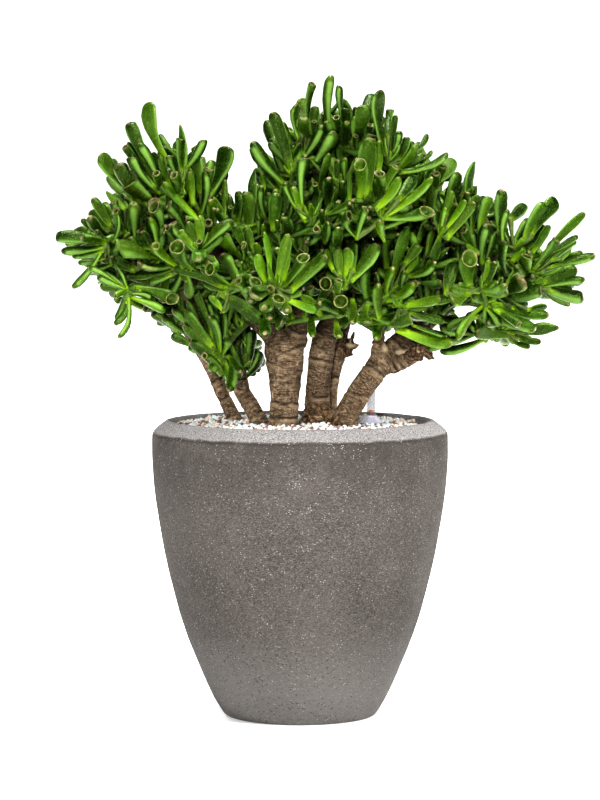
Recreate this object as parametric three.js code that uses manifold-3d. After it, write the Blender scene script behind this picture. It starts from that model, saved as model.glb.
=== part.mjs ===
// Potted horntree jade plant: a multi-stemmed succulent in a round pot filled with
// mineral granules, with a water-level indicator standing in the granules.
// Millimetres, +Z up, origin at the centre of the pot's underside. -Y is the front.

import * as THREE from 'three';
import { mergeVertices } from 'three/addons/utils/BufferGeometryUtils.js';
import Module from 'manifold-3d';

const wasm = await Module();
wasm.setup();

// ---------------------------------------------------------------- driving dimensions
const POT_SIDES = 36;
const POT_FLOOR = 20;            // thickness of the pot's bottom
const GRANULE_TOP = 365;         // level of the granules, 5 mm under the rim
const COLLAR_BASE = 363.4;       // the indicator's collar sits a little in the granules
const ROOT_DEPTH = 300;          // height at which the modelled trunk bases end in the granules
const GAP = 0.45;                // clearance between neighbouring pieces

const INDICATOR_X = 89;
const INDICATOR_Y = 4;
const SIGHT_TUBE_R = 6;
const SIGHT_TUBE_WALL = 1.2;
const SIGHT_TUBE_BOTTOM = 355.4;
const SIGHT_TUBE_TOP = 423;
const COLLAR_R = 17.5;
const GUIDE_TUBE_R = 10;
const GUIDE_TUBE_BORE = 8;
const GUIDE_TUBE_BOTTOM = 42;     // the pot is too narrow below this height
const GUIDE_TUBE_TOP = 355;
const ROD_R = 1;
const FLOAT_R = 6;
const FLOAT_BOTTOM = 44.9;       // the float rests on the ring in the foot of the guide tube
const FLOAT_HEIGHT = 40;
const ROD_TOP = 376.1;
const TIP_R = 2.75;
const TIP_HEIGHT = 5.5;

// outer profile of the pot, radius and height, from the underside up to the rim
const POT_OUTER = [
  [95.6, 0], [106.3, 18], [126, 61], [144.7, 109], [161.7, 169], [174.3, 230], [183, 290], [185, 331],
  [185, 352], [182.6, 357], [168, 369], [165.5, 370],
];
// inner profile, from the rim down to the floor: the lip leans in, the wall below it is thinner
const POT_INNER = [
  [161.5, 370], [149.5, 361.5], [149.5, 350], [172, 316], [162, 230], [149.5, 169], [132.5, 109], [95, POT_FLOOR],
];

// trunks and their woody branches: each branch is a list of [x, y, z, radius]; the first
// one of a trunk rises from the granules
const TRUNKS = {
  trunk_left_rear: [
    [[-81.2, 52.0, 360.6, 10.0], [-88.8, 54.0, 378.3, 9.0], [-97.7, 57.0, 397.1, 8.5], [-105.4, 60.0, 416.0, 8.5], [-119.5, 66.0, 443.7, 8.5], [-142.5, 72.0, 479.0, 8.0], [-163.4, 88.0, 516.6, 7.0], [-179.5, 108.0, 551.8, 6.0]],
    [[-142.5, 72.0, 479.0, 6.5], [-170.0, 35.0, 508.4, 6.0], [-191.7, -10.0, 527.6, 5.0], [-201.5, -60.0, 534.2, 4.5]],
    [[-163.4, 88.0, 516.6, 6.0], [-190.0, 62.0, 565.7, 5.5], [-208.0, 20.0, 599.2, 5.0]],
  ],
  trunk_left: [
    [[-48.8, 0.0, 364.5, 10.5], [-58.8, 0.0, 382.1, 10.5], [-66.3, 0.0, 394.6, 10.0], [-73.2, 0.0, 407.2, 10.0], [-73.7, -2.0, 416.1, 10.0], [-84.8, -8.0, 441.4, 9.5], [-97.1, -12.0, 464.1, 9.0], [-117.9, -22.0, 498.2, 8.0], [-136.2, -32.0, 527.1, 7.5], [-158.1, -38.0, 568.0, 6.5], [-168.0, -35.0, 609.9, 5.5]],
    [[-136.2, -32.0, 527.1, 6.0], [-127.6, -62.0, 561.2, 5.5], [-122.7, -100.0, 575.5, 4.5]],
    [[-158.1, -38.0, 568.0, 6.0], [-141.3, -20.0, 609.7, 5.5], [-134.2, -8.0, 638.1, 5.0]],
  ],
  trunk_centre_left: [
    [[-19.9, -25.0, 361.4, 19.0], [-19.9, -25.0, 377.6, 18.3], [-18.6, -25.0, 396.3, 18.3], [-18.6, -25.0, 418.8, 20.0], [-18.6, -26.0, 443.7, 23.5], [-19.2, -27.0, 464.9, 25.0]],
    [[-19.2, -27.0, 464.9, 18.0], [-34.7, -31.0, 481.2, 16.0], [-54.4, -38.0, 498.8, 13.0], [-73.9, -50.0, 530.1, 10.0], [-93.6, -50.0, 568.3, 8.0], [-112.8, -22.0, 599.9, 7.0], [-104.6, 0.0, 636.8, 5.5]],
    [[-19.2, -27.0, 464.9, 18.0], [-4.9, -38.0, 484.0, 15.0], [0.0, -52.0, 506.8, 12.0], [-6.1, -78.0, 537.2, 9.0], [-17.1, -72.0, 568.8, 7.5], [-25.9, -45.0, 613.7, 6.5], [-17.3, -28.0, 656.7, 5.0]],
  ],
  trunk_centre: [
    [[20.1, 10.0, 361.3, 18.0], [21.3, 10.0, 378.9, 15.8], [22.6, 8.0, 406.7, 15.0], [25.0, 8.0, 438.0, 15.5], [28.8, 7.0, 463.2, 15.5], [32.5, 5.0, 478.3, 14.5], [38.7, 0.0, 497.3, 13.0], [42.3, -15.0, 526.5, 11.0], [44.6, -30.0, 560.4, 9.5], [44.5, -28.0, 601.2, 8.5], [42.1, -20.0, 644.4, 7.5], [39.7, -10.0, 687.7, 6.0]],
    [[42.3, -15.0, 526.5, 7.0], [51.5, -70.0, 536.9, 6.0], [54.5, -115.0, 542.0, 5.0]],
    [[44.5, -28.0, 601.2, 6.0], [27.0, -65.0, 612.7, 5.0]],
    [[42.1, -20.0, 644.4, 6.0], [17.4, -4.0, 679.1, 5.0]],
  ],
  trunk_rear: [
    [[37.3, 36.0, 359.3, 10.0], [37.9, 36.0, 392.2, 9.5], [40.4, 37.0, 423.8, 10.0], [45.4, 38.0, 449.0, 11.0], [53.1, 46.0, 480.2, 9.0], [59.6, 60.0, 511.3, 8.5], [63.6, 78.0, 542.4, 8.0], [70.1, 85.0, 580.4, 7.5], [78.8, 76.0, 625.0, 6.5], [84.5, 50.0, 666.8, 5.5]],
    [[45.4, 38.0, 449.0, 9.0], [55.4, 33.0, 458.1, 8.0], [64.2, 30.0, 462.0, 4.5], [70.5, 28.0, 462.8, 2.2]],
    [[63.6, 78.0, 542.4, 7.0], [15.4, 112.0, 564.5, 6.0], [-36.1, 132.0, 579.5, 5.0]],
    [[70.1, 85.0, 580.4, 6.5], [122.3, 128.0, 592.5, 6.0], [168.1, 145.0, 592.2, 5.0]],
  ],
  trunk_right: [
    [[55.9, -27.0, 364.1, 16.5], [58.4, -27.0, 377.8, 15.5], [64.6, -27.0, 390.3, 15.0], [72.0, -26.5, 402.7, 15.0], [80.7, -26.0, 416.3, 15.0], [92.0, -22.0, 431.0, 15.0], [102.0, -18.0, 445.7, 15.0]],
    [[102.0, -18.0, 445.7, 12.0], [98.7, -24.0, 461.0, 9.0], [98.0, -28.0, 469.9, 7.5], [100.2, -36.0, 483.9, 5.5], [105.7, -60.0, 509.6, 5.0]],
    [[102.0, -18.0, 445.7, 15.0], [114.6, -12.0, 457.9, 14.0], [128.4, -8.0, 470.2, 13.0], [142.2, -4.0, 480.0, 12.5], [154.8, -2.0, 489.9, 12.0], [172.3, 0.0, 504.8, 11.0], [189.5, -4.0, 519.9, 9.5], [206.6, -10.0, 538.8, 8.5], [228.9, -10.0, 559.9, 7.0], [251.8, -2.0, 572.2, 6.0]],
    [[102.0, -18.0, 445.7, 10.0], [113.0, -24.0, 436.1, 8.0], [124.1, -29.0, 440.8, 7.5], [135.0, -34.0, 446.6, 7.5], [149.4, -46.0, 459.6, 7.5], [167.6, -52.0, 472.3, 6.5], [187.4, -50.0, 484.5, 5.5], [210.0, -42.0, 486.6, 5.0]],
    [[172.3, 0.0, 504.8, 8.5], [174.2, -10.0, 545.0, 8.0], [167.9, -38.0, 582.8, 6.5], [158.3, -28.0, 625.9, 5.5]],
    [[174.2, -10.0, 545.0, 7.0], [145.1, 14.0, 594.3, 6.0], [119.3, -8.0, 650.5, 5.5], [110.9, -40.0, 674.0, 5.0]],
  ],
};

const SHOOTS = [
  { twigs: [[[-216.0, 19.0, 600.3], [-251.3, 14.6, 604.8]]],
    leaves: [[[-248.3, 15.0, 604.4], 0, [-223.0, 66.4, 628.1], 7.5]] },
  { twigs: [[[-159.4, -34.3, 553.0], [-188.2, -27.5, 541.4], [-207.3, -30.7, 561.2]], [[-207.3, -30.7, 561.2], [-216.2, -55.0, 607.7]], [[-216.2, -55.0, 607.7], [-235.3, -85.0, 593.5]]],
    leaves: [[[-233.8, -82.6, 594.6], 0, [-297.6, -83.6, 599.6], 7.5],
      [[-233.8, -82.6, 594.6], 0, [-291.2, -88.6, 582.6], 6.3],
      [[-215.7, -53.6, 605.1], 0, [-256.4, -95.2, 625.2], 6.9],
      [[-205.3, -30.4, 559.0], 0, [-205.5, -69.2, 567.7], 6.7],
      [[-233.8, -82.6, 594.6], 0, [-264.4, -122.5, 599.0], 5.0],
      [[-215.7, -53.6, 605.1], [-199.3, -51.5, 590.5], [-203.0, -69.9, 640.9], 7.5],
      [[-233.8, -82.6, 594.6], 0, [-221.2, -116.0, 630.2], 5.0],
      [[-215.7, -53.6, 605.1], 0, [-253.7, -61.7, 647.0], 6.3],
      [[-215.7, -53.6, 605.1], 0, [-257.0, -50.2, 632.2], 6.3],
      [[-233.8, -82.6, 594.6], 0, [-275.1, -39.1, 608.7], 7.5],
      [[-215.7, -53.6, 605.1], [-227.4, -54.9, 593.0], [-229.1, -62.9, 642.1], 5.7],
      [[-215.7, -53.6, 605.1], [-213.4, -60.0, 632.3], [-238.1, -55.3, 655.5], 5.0],
      [[-233.8, -82.6, 594.6], 0, [-277.6, -94.2, 537.7], 5.7]] },
  { twigs: [[[-196.4, -5.5, 531.5], [-210.3, 16.2, 558.0], [-217.3, 24.6, 552.6]]],
    leaves: [[[-215.6, 22.5, 553.9], 0, [-218.2, 76.2, 564.6], 5.8]] },
  { twigs: [[[-203.1, -69.5, 534.5], [-209.8, -110.0, 535.8]]],
    leaves: [[[-209.3, -107.0, 535.7], 0, [-256.9, -111.1, 562.5], 5.0],
      [[-209.3, -107.0, 535.7], 0, [-245.8, -114.0, 551.7], 5.7],
      [[-209.3, -107.0, 535.7], 0, [-242.9, -104.0, 539.2], 5.7],
      [[-209.3, -107.0, 535.7], 0, [-221.0, -108.9, 477.5], 7.5],
      [[-209.3, -107.0, 535.7], 0, [-229.6, -80.0, 569.0], 5.0],
      [[-209.3, -107.0, 535.7], 0, [-234.8, -57.7, 529.2], 6.3]] },
  { twigs: [[[-188.9, 107.2, 554.3], [-216.5, 104.7, 561.6], [-244.2, 102.3, 568.9]], [[-216.5, 104.7, 561.6], [-222.7, 130.3, 568.7], [-228.8, 155.8, 575.8]], [[-228.8, 155.8, 575.8], [-175.4, 173.0, 586.5]], [[-222.7, 130.3, 568.7], [-213.4, 122.5, 626.5]], [[-175.4, 173.0, 586.5], [-167.7, 159.0, 640.3]]],
    leaves: [[[-178.3, 172.1, 585.9], 0, [-174.2, 215.3, 580.1], 7.5],
      [[-168.1, 159.8, 637.4], 0, [-174.9, 197.8, 629.1], 6.6],
      [[-168.1, 159.8, 637.4], 0, [-184.0, 196.6, 641.8], 4.7],
      [[-228.2, 153.0, 575.1], 0, [-247.7, 199.8, 562.5], 5.0],
      [[-178.3, 172.1, 585.9], 0, [-157.3, 203.4, 564.9], 5.9],
      [[-213.9, 122.9, 623.6], 0, [-226.2, 164.1, 604.2], 5.7],
      [[-241.3, 102.6, 568.1], 0, [-247.5, 136.9, 585.1], 6.6],
      [[-168.1, 159.8, 637.4], 0, [-175.8, 162.3, 687.4], 6.5],
      [[-168.1, 159.8, 637.4], 0, [-146.8, 189.5, 661.2], 7.0],
      [[-168.1, 159.8, 637.4], 0, [-199.8, 162.0, 658.5], 5.2],
      [[-168.1, 159.8, 637.4], 0, [-126.1, 181.2, 636.9], 7.5],
      [[-228.2, 153.0, 575.1], 0, [-259.3, 161.6, 594.3], 4.9]] },
  { twigs: [[[-208.0, 25.7, 603.1], [-201.7, 57.0, 639.4]], [[-201.7, 57.0, 639.4], [-178.5, 111.2, 674.6]]],
    leaves: [[[-179.5, 108.8, 673.1], 0, [-201.0, 147.7, 671.0], 5.6],
      [[-202.1, 55.0, 637.1], 0, [-199.1, 115.1, 650.9], 6.6],
      [[-179.5, 108.8, 673.1], 0, [-186.7, 124.0, 696.4], 6.0]] },
  { twigs: [[[-197.8, 26.2, 595.6], [-180.1, 18.2, 601.4], [-186.8, 30.6, 595.3]]],
    leaves: [[[-185.5, 28.2, 596.5], 0, [-168.6, 78.6, 588.1], 7.5]] },
  { twigs: [[[-133.2, -18.2, 625.4], [-124.9, -31.5, 628.4], [-122.1, -40.0, 629.7]], [[-124.9, -31.5, 628.4], [-157.6, -30.8, 632.1], [-190.3, -30.0, 635.8]], [[-157.6, -30.8, 632.1], [-152.0, -40.4, 643.2], [-146.3, -50.0, 654.3]], [[-152.0, -40.4, 643.2], [-175.0, -40.0, 661.7]]],
    leaves: [[[-187.4, -30.1, 635.4], 0, [-247.0, -28.5, 701.1], 7.5],
      [[-172.6, -40.0, 659.8], 0, [-209.9, -27.1, 739.3], 7.5],
      [[-123.0, -37.2, 629.2], 0, [-91.3, -31.9, 710.9], 7.5],
      [[-147.4, -48.2, 652.2], 0, [-154.3, -93.8, 674.9], 6.3],
      [[-187.4, -30.1, 635.4], 0, [-223.0, -39.4, 689.9], 7.5],
      [[-172.6, -40.0, 659.8], 0, [-197.9, -45.5, 714.4], 7.5],
      [[-172.6, -40.0, 659.8], 0, [-206.6, -45.0, 696.0], 6.9],
      [[-172.6, -40.0, 659.8], 0, [-175.2, -88.7, 677.4], 5.7],
      [[-172.6, -40.0, 659.8], 0, [-215.4, -40.5, 709.6], 5.0],
      [[-147.4, -48.2, 652.2], 0, [-147.6, -42.5, 737.7], 6.3],
      [[-147.4, -48.2, 652.2], [-140.2, -45.1, 683.7], [-119.1, -49.1, 718.0], 7.5],
      [[-147.4, -48.2, 652.2], 0, [-146.1, -49.2, 719.2], 5.7],
      [[-187.4, -30.1, 635.4], [-219.9, -30.0, 671.5], [-234.7, 12.7, 694.1], 5.0],
      [[-147.4, -48.2, 652.2], 0, [-160.1, -40.9, 698.5], 5.7],
      [[-123.0, -37.2, 629.2], 0, [-117.9, -52.6, 680.0], 6.9],
      [[-123.0, -37.2, 629.2], 0, [-124.5, -36.6, 705.9], 6.3],
      [[-147.4, -48.2, 652.2], [-131.5, -53.4, 637.1], [-135.1, -51.8, 678.8], 5.0],
      [[-123.0, -37.2, 629.2], [-111.0, -40.3, 607.5], [-110.0, -73.1, 644.6], 6.3],
      [[-187.4, -30.1, 635.4], [-169.2, -33.0, 628.4], [-191.3, -34.8, 645.7], 5.0]] },
  { twigs: [[[-128.6, -93.8, 567.9], [-135.4, -98.0, 563.5], [-139.6, -105.0, 562.3]], [[-139.6, -105.0, 562.3], [-121.6, -135.0, 584.7]], [[-135.4, -98.0, 563.5], [-173.7, -75.0, 573.8]], [[-173.7, -75.0, 573.8], [-168.2, -85.0, 600.8]]],
    leaves: [[[-122.9, -132.8, 583.1], 0, [-120.1, -181.2, 574.9], 7.5],
      [[-138.0, -102.5, 562.7], 0, [-173.0, -142.3, 589.7], 6.3],
      [[-168.8, -84.0, 598.0], 0, [-181.4, -115.2, 623.0], 5.7],
      [[-171.2, -76.5, 573.1], 0, [-218.0, -111.9, 585.5], 7.5],
      [[-171.2, -76.5, 573.1], [-151.6, -76.0, 565.3], [-197.0, -96.0, 569.4], 7.5],
      [[-168.8, -84.0, 598.0], [-139.1, -81.2, 603.2], [-159.9, -106.7, 638.6], 6.9],
      [[-122.9, -132.8, 583.1], 0, [-123.9, -134.3, 622.0], 6.3],
      [[-168.8, -84.0, 598.0], 0, [-160.2, -130.0, 611.1], 5.0],
      [[-122.9, -132.8, 583.1], 0, [-144.6, -129.7, 608.7], 5.7],
      [[-122.9, -132.8, 583.1], 0, [-134.7, -135.5, 618.4], 5.0],
      [[-168.8, -84.0, 598.0], [-180.4, -87.6, 583.8], [-192.2, -94.1, 605.8], 5.7],
      [[-122.9, -132.8, 583.1], 0, [-81.7, -137.5, 620.8], 6.9],
      [[-168.8, -84.0, 598.0], [-182.9, -86.2, 586.2], [-207.1, -87.5, 599.6], 5.0],
      [[-171.2, -76.5, 573.1], [-149.1, -79.0, 562.9], [-211.8, -72.5, 551.7], 5.0]] },
  { twigs: [[[-164.0, 100.4, 522.3], [-154.4, 124.7, 519.1], [-159.0, 143.0, 535.7]], [[-154.4, 124.7, 519.1], [-122.7, 133.1, 482.0]], [[-159.0, 143.0, 535.7], [-113.3, 176.0, 552.6]]],
    leaves: [[[-115.6, 174.3, 551.8], 0, [-122.1, 217.4, 555.8], 7.5],
      [[-115.6, 174.3, 551.8], 0, [-131.1, 198.5, 520.1], 6.8],
      [[-115.6, 174.3, 551.8], 0, [-85.4, 208.1, 547.9], 6.0],
      [[-158.5, 140.8, 533.7], 0, [-202.6, 140.9, 507.0], 7.5],
      [[-124.7, 132.6, 484.3], 0, [-93.2, 166.3, 496.6], 7.5]] },
  { twigs: [[[-111.3, 2.3, 643.2], [-115.9, 3.9, 647.7], [-120.6, 5.5, 652.2]], [[-115.9, 3.9, 647.7], [-120.7, 57.9, 631.1]], [[-120.6, 5.5, 652.2], [-155.4, 38.7, 691.0]], [[-120.7, 57.9, 631.1], [-67.5, 77.5, 623.2]], [[-120.7, 57.9, 631.1], [-124.1, 110.6, 652.2]]],
    leaves: [[[-123.9, 107.8, 651.1], 0, [-112.7, 120.4, 694.6], 7.5],
      [[-153.7, 37.1, 689.1], 0, [-180.6, 82.5, 682.9], 5.9],
      [[-120.5, 55.0, 632.0], 0, [-154.0, 87.2, 641.7], 6.3],
      [[-118.5, 4.8, 650.2], 0, [-182.5, -1.2, 658.0], 7.5],
      [[-70.3, 76.4, 623.6], 0, [-70.3, 95.3, 644.7], 6.2]] },
  { twigs: [[[-127.2, -39.4, 539.7], [-108.7, -30.7, 543.1], [-98.9, -25.5, 544.7]], [[-98.9, -25.5, 544.7], [-106.7, 40.1, 563.2]]],
    leaves: [[[-106.4, 37.2, 562.4], 0, [-147.6, 61.1, 559.9], 7.4],
      [[-101.6, -26.9, 544.3], 0, [-121.3, -54.8, 532.9], 7.5]] },
  { twigs: [[[-90.7, -19.0, 470.0], [-83.5, -27.0, 475.4], [-96.6, -28.5, 487.0]], [[-83.5, -27.0, 475.4], [-122.3, -32.7, 477.9], [-144.3, -15.0, 486.7]], [[-83.5, -27.0, 475.4], [-55.5, 5.9, 499.9]], [[-83.5, -27.0, 475.4], [-97.1, -62.0, 453.1]], [[-55.5, 5.9, 499.9], [-16.0, 16.1, 542.5]]],
    leaves: [[[-96.2, -59.6, 454.6], 0, [-142.5, -63.4, 509.7], 6.9],
      [[-142.1, -16.8, 485.8], 0, [-185.0, -20.9, 503.1], 7.5],
      [[-57.2, 3.9, 498.5], 0, [-64.9, -8.9, 566.0], 7.5],
      [[-18.0, 15.5, 540.3], 0, [-23.3, 59.9, 546.7], 6.3],
      [[-94.3, -28.2, 485.0], 0, [-97.0, 4.9, 543.9], 6.6]] },
  { twigs: [[[-105.8, -4.2, 466.7], [-111.5, 10.4, 468.2], [-111.8, 20.1, 468.1]], [[-111.8, 20.1, 468.1], [-67.9, 25.0, 456.0]], [[-67.9, 25.0, 456.0], [-77.5, 79.3, 475.9]], [[-77.5, 79.3, 475.9], [-64.3, 110.2, 494.6], [-51.1, 141.2, 513.3]], [[-77.5, 79.3, 475.9], [-82.0, 119.8, 437.0]], [[-64.3, 110.2, 494.6], [-43.7, 73.9, 526.3]]],
    leaves: [[[-70.8, 24.7, 456.8], 0, [-85.9, 45.7, 492.9], 6.3],
      [[-52.1, 138.8, 511.8], 0, [-31.9, 171.6, 543.1], 7.5],
      [[-81.8, 117.6, 439.1], 0, [-108.4, 143.5, 461.9], 5.3],
      [[-44.9, 76.0, 524.4], 0, [-76.5, 86.6, 551.1], 5.5],
      [[-77.0, 76.5, 474.9], 0, [-105.2, 97.2, 494.0], 5.4],
      [[-111.7, 17.1, 468.1], 0, [-131.7, 47.9, 507.0], 4.9]] },
  { twigs: [[[19.5, -64.5, 613.1], [-13.5, -62.2, 614.7], [-46.6, -60.0, 616.4]], [[-13.5, -62.2, 614.7], [-0.8, -25.6, 591.4]], [[-46.6, -60.0, 616.4], [-83.6, -50.0, 613.8]], [[-83.6, -50.0, 613.8], [-107.7, -70.0, 605.5]], [[-13.5, -62.2, 614.7], [-25.5, -95.0, 609.5]]],
    leaves: [[[-105.5, -68.1, 606.2], 0, [-111.1, -118.4, 617.0], 5.7],
      [[-24.5, -92.2, 609.9], 0, [-27.9, -101.3, 653.1], 7.5],
      [[-80.8, -50.8, 614.0], 0, [-100.9, -95.1, 633.7], 5.7],
      [[-43.6, -60.2, 616.2], 0, [-46.2, -89.9, 661.6], 5.7],
      [[-1.6, -28.1, 592.9], 0, [-7.1, -57.5, 602.8], 5.4],
      [[-24.5, -92.2, 609.9], [-20.7, -93.4, 592.4], [-19.3, -131.2, 624.3], 7.5],
      [[-43.6, -60.2, 616.2], [-65.0, -60.4, 600.4], [-66.0, -70.2, 653.1], 7.5],
      [[-43.6, -60.2, 616.2], 0, [-55.1, -62.0, 681.2], 5.7],
      [[-80.8, -50.8, 614.0], 0, [-76.1, -56.4, 655.5], 5.7]] },
  { twigs: [[[-23.0, -54.8, 581.2], [-26.4, -41.3, 570.5], [-34.2, -43.8, 550.6]], [[-34.2, -43.8, 550.6], [-60.9, -88.0, 566.8]], [[-60.9, -88.0, 566.8], [-86.1, -108.0, 536.9]], [[-86.1, -108.0, 536.9], [-28.8, -155.0, 540.8]]],
    leaves: [[[-31.1, -153.1, 540.7], 0, [-54.5, -199.5, 532.8], 7.5],
      [[-31.1, -153.1, 540.7], 0, [-42.6, -199.6, 518.6], 7.5],
      [[-31.1, -153.1, 540.7], 0, [-15.4, -207.6, 515.3], 5.7],
      [[-31.1, -153.1, 540.7], 0, [-52.1, -200.4, 549.4], 7.5],
      [[-31.1, -153.1, 540.7], 0, [-24.8, -207.9, 529.5], 7.5],
      [[-84.4, -106.6, 539.0], 0, [-94.6, -106.5, 579.3], 7.5],
      [[-59.5, -85.5, 565.9], 0, [-79.0, -96.8, 614.3], 5.7],
      [[-33.2, -43.4, 553.3], 0, [-52.4, -89.2, 543.5], 7.5],
      [[-31.1, -153.1, 540.7], 0, [-14.3, -159.0, 604.3], 6.9],
      [[-84.4, -106.6, 539.0], [-60.7, -107.1, 522.3], [-74.4, -147.6, 547.8], 5.7]] },
  { twigs: [[[-104.7, -13.3, 604.1], [-77.9, -7.8, 596.6], [-61.5, 9.2, 613.4]], [[-61.5, 9.2, 613.4], [-21.9, 46.9, 593.6]]],
    leaves: [[[-63.2, 7.5, 611.7], 0, [-63.7, 56.7, 621.7], 5.6],
      [[-24.0, 45.0, 594.6], 0, [-47.5, 51.9, 615.4], 5.7]] },
  { twigs: [[[-44.5, 133.2, 584.8], [-62.4, 135.6, 596.1], [-80.3, 138.1, 607.5]], [[-62.4, 135.6, 596.1], [-55.4, 182.8, 571.0]], [[-62.4, 135.6, 596.1], [-21.3, 154.6, 638.3]], [[-21.3, 154.6, 638.3], [-15.4, 132.7, 665.7], [-9.5, 110.8, 693.0]], [[-15.4, 132.7, 665.7], [29.1, 168.3, 686.0]]],
    leaves: [[[26.9, 166.5, 685.0], 0, [7.1, 200.1, 708.6], 7.5],
      [[26.9, 166.5, 685.0], 0, [63.4, 200.1, 687.6], 4.8],
      [[-55.8, 180.2, 572.4], 0, [-66.7, 218.6, 558.4], 5.9],
      [[-55.8, 180.2, 572.4], 0, [-84.0, 199.2, 585.7], 4.5],
      [[-55.8, 180.2, 572.4], 0, [-60.8, 207.3, 582.9], 4.1],
      [[-55.8, 180.2, 572.4], 0, [-33.4, 214.1, 589.4], 4.5],
      [[-55.8, 180.2, 572.4], 0, [-80.5, 202.2, 526.6], 6.4],
      [[-55.8, 180.2, 572.4], 0, [-5.5, 200.1, 568.2], 6.9],
      [[-23.3, 153.7, 636.3], 0, [-51.4, 182.9, 634.2], 6.3],
      [[-77.8, 137.8, 605.9], 0, [-78.4, 179.1, 602.0], 6.1],
      [[-10.0, 112.6, 690.7], 0, [-24.0, 132.6, 710.6], 4.6]] },
  { twigs: [[[-13.0, -20.1, 658.8], [-11.8, -8.2, 654.0], [-10.7, 3.6, 649.2]], [[-11.8, -8.2, 654.0], [-1.9, -28.3, 657.2], [-9.8, -60.0, 676.3]], [[-9.8, -60.0, 676.3], [-2.4, -47.5, 689.9], [4.9, -35.0, 703.5]], [[-2.4, -47.5, 689.9], [-7.4, -45.0, 696.0]], [[-10.7, 3.6, 649.2], [-21.0, 59.1, 665.5]]],
    leaves: [[[-9.2, -57.5, 674.8], 0, [-34.3, -56.6, 752.1], 7.5],
      [[3.8, -36.9, 701.4], 0, [4.9, -82.6, 744.2], 7.5],
      [[3.8, -36.9, 701.4], 0, [-3.7, -40.3, 762.3], 7.5],
      [[3.8, -36.9, 701.4], 0, [2.5, 8.5, 771.1], 7.5],
      [[3.8, -36.9, 701.4], 0, [16.0, -28.5, 787.2], 5.0],
      [[3.8, -36.9, 701.4], [14.8, -37.5, 728.0], [18.5, -33.2, 760.0], 6.3],
      [[-5.6, -45.9, 693.8], 0, [-21.0, -29.0, 740.5], 5.0],
      [[3.8, -36.9, 701.4], [17.3, -32.8, 725.6], [17.1, -64.9, 740.9], 3.8],
      [[-20.5, 56.2, 664.7], 0, [-53.0, 81.1, 680.3], 6.6],
      [[-10.9, 0.8, 650.3], 0, [-16.8, 21.3, 675.9], 6.1],
      [[-9.2, -57.5, 674.8], 0, [-57.6, -60.2, 716.6], 7.5]] },
  { twigs: [[[3.2, 124.0, 566.4], [12.7, 148.2, 563.4], [9.3, 165.8, 560.3]], [[9.3, 165.8, 560.3], [27.7, 172.6, 615.2]]],
    leaves: [[[26.8, 172.3, 612.4], 0, [58.1, 218.5, 593.1], 7.5],
      [[26.8, 172.3, 612.4], 0, [5.1, 214.3, 617.0], 7.1],
      [[26.8, 172.3, 612.4], 0, [42.1, 206.1, 620.2], 4.9],
      [[9.9, 162.9, 560.8], 0, [-17.1, 199.6, 538.3], 7.5],
      [[9.9, 162.9, 560.8], 0, [56.2, 201.7, 547.9], 4.8],
      [[9.9, 162.9, 560.8], 0, [31.2, 196.6, 562.0], 5.4]] },
  { twigs: [[[67.3, 82.6, 523.6], [65.2, 83.5, 516.0], [62.3, 83.6, 512.0]], [[62.3, 83.6, 512.0], [32.1, 93.8, 525.6], [2.0, 104.0, 539.3]], [[32.1, 93.8, 525.6], [33.0, 53.7, 550.2]], [[33.0, 53.7, 550.2], [55.3, 20.0, 586.5]], [[55.3, 20.0, 586.5], [21.6, 56.9, 626.8]]],
    leaves: [[[23.1, 55.2, 624.9], 0, [21.3, 97.6, 604.1], 7.5],
      [[4.6, 103.1, 538.1], 0, [-14.7, 127.4, 557.1], 5.8],
      [[64.0, 83.6, 514.4], 0, [99.0, 89.2, 541.4], 6.0],
      [[54.0, 21.9, 584.5], 0, [87.9, 43.0, 598.3], 6.0],
      [[32.9, 56.2, 548.7], 0, [-8.4, 81.7, 545.8], 6.5]] },
  { twigs: [[[44.8, -25.6, 654.5], [60.6, -48.5, 661.3], [46.5, -70.0, 661.6]]],
    leaves: [[[48.1, -67.5, 661.6], 0, [46.5, -67.2, 693.4], 5.0],
      [[48.1, -67.5, 661.6], [34.3, -68.7, 637.2], [35.1, -104.2, 671.3], 6.9],
      [[48.1, -67.5, 661.6], [58.8, -65.4, 633.5], [52.2, -100.3, 667.7], 5.7]] },
  { twigs: [[[-4.6, -89.8, 555.0], [3.6, -95.0, 574.2]], [[3.6, -95.0, 574.2], [8.5, -102.5, 599.2], [13.3, -110.0, 624.2]], [[8.5, -102.5, 599.2], [32.7, -115.0, 607.3]], [[32.7, -115.0, 607.3], [87.1, -110.0, 639.9]], [[87.1, -110.0, 639.9], [98.2, -150.0, 623.3]]],
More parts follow.
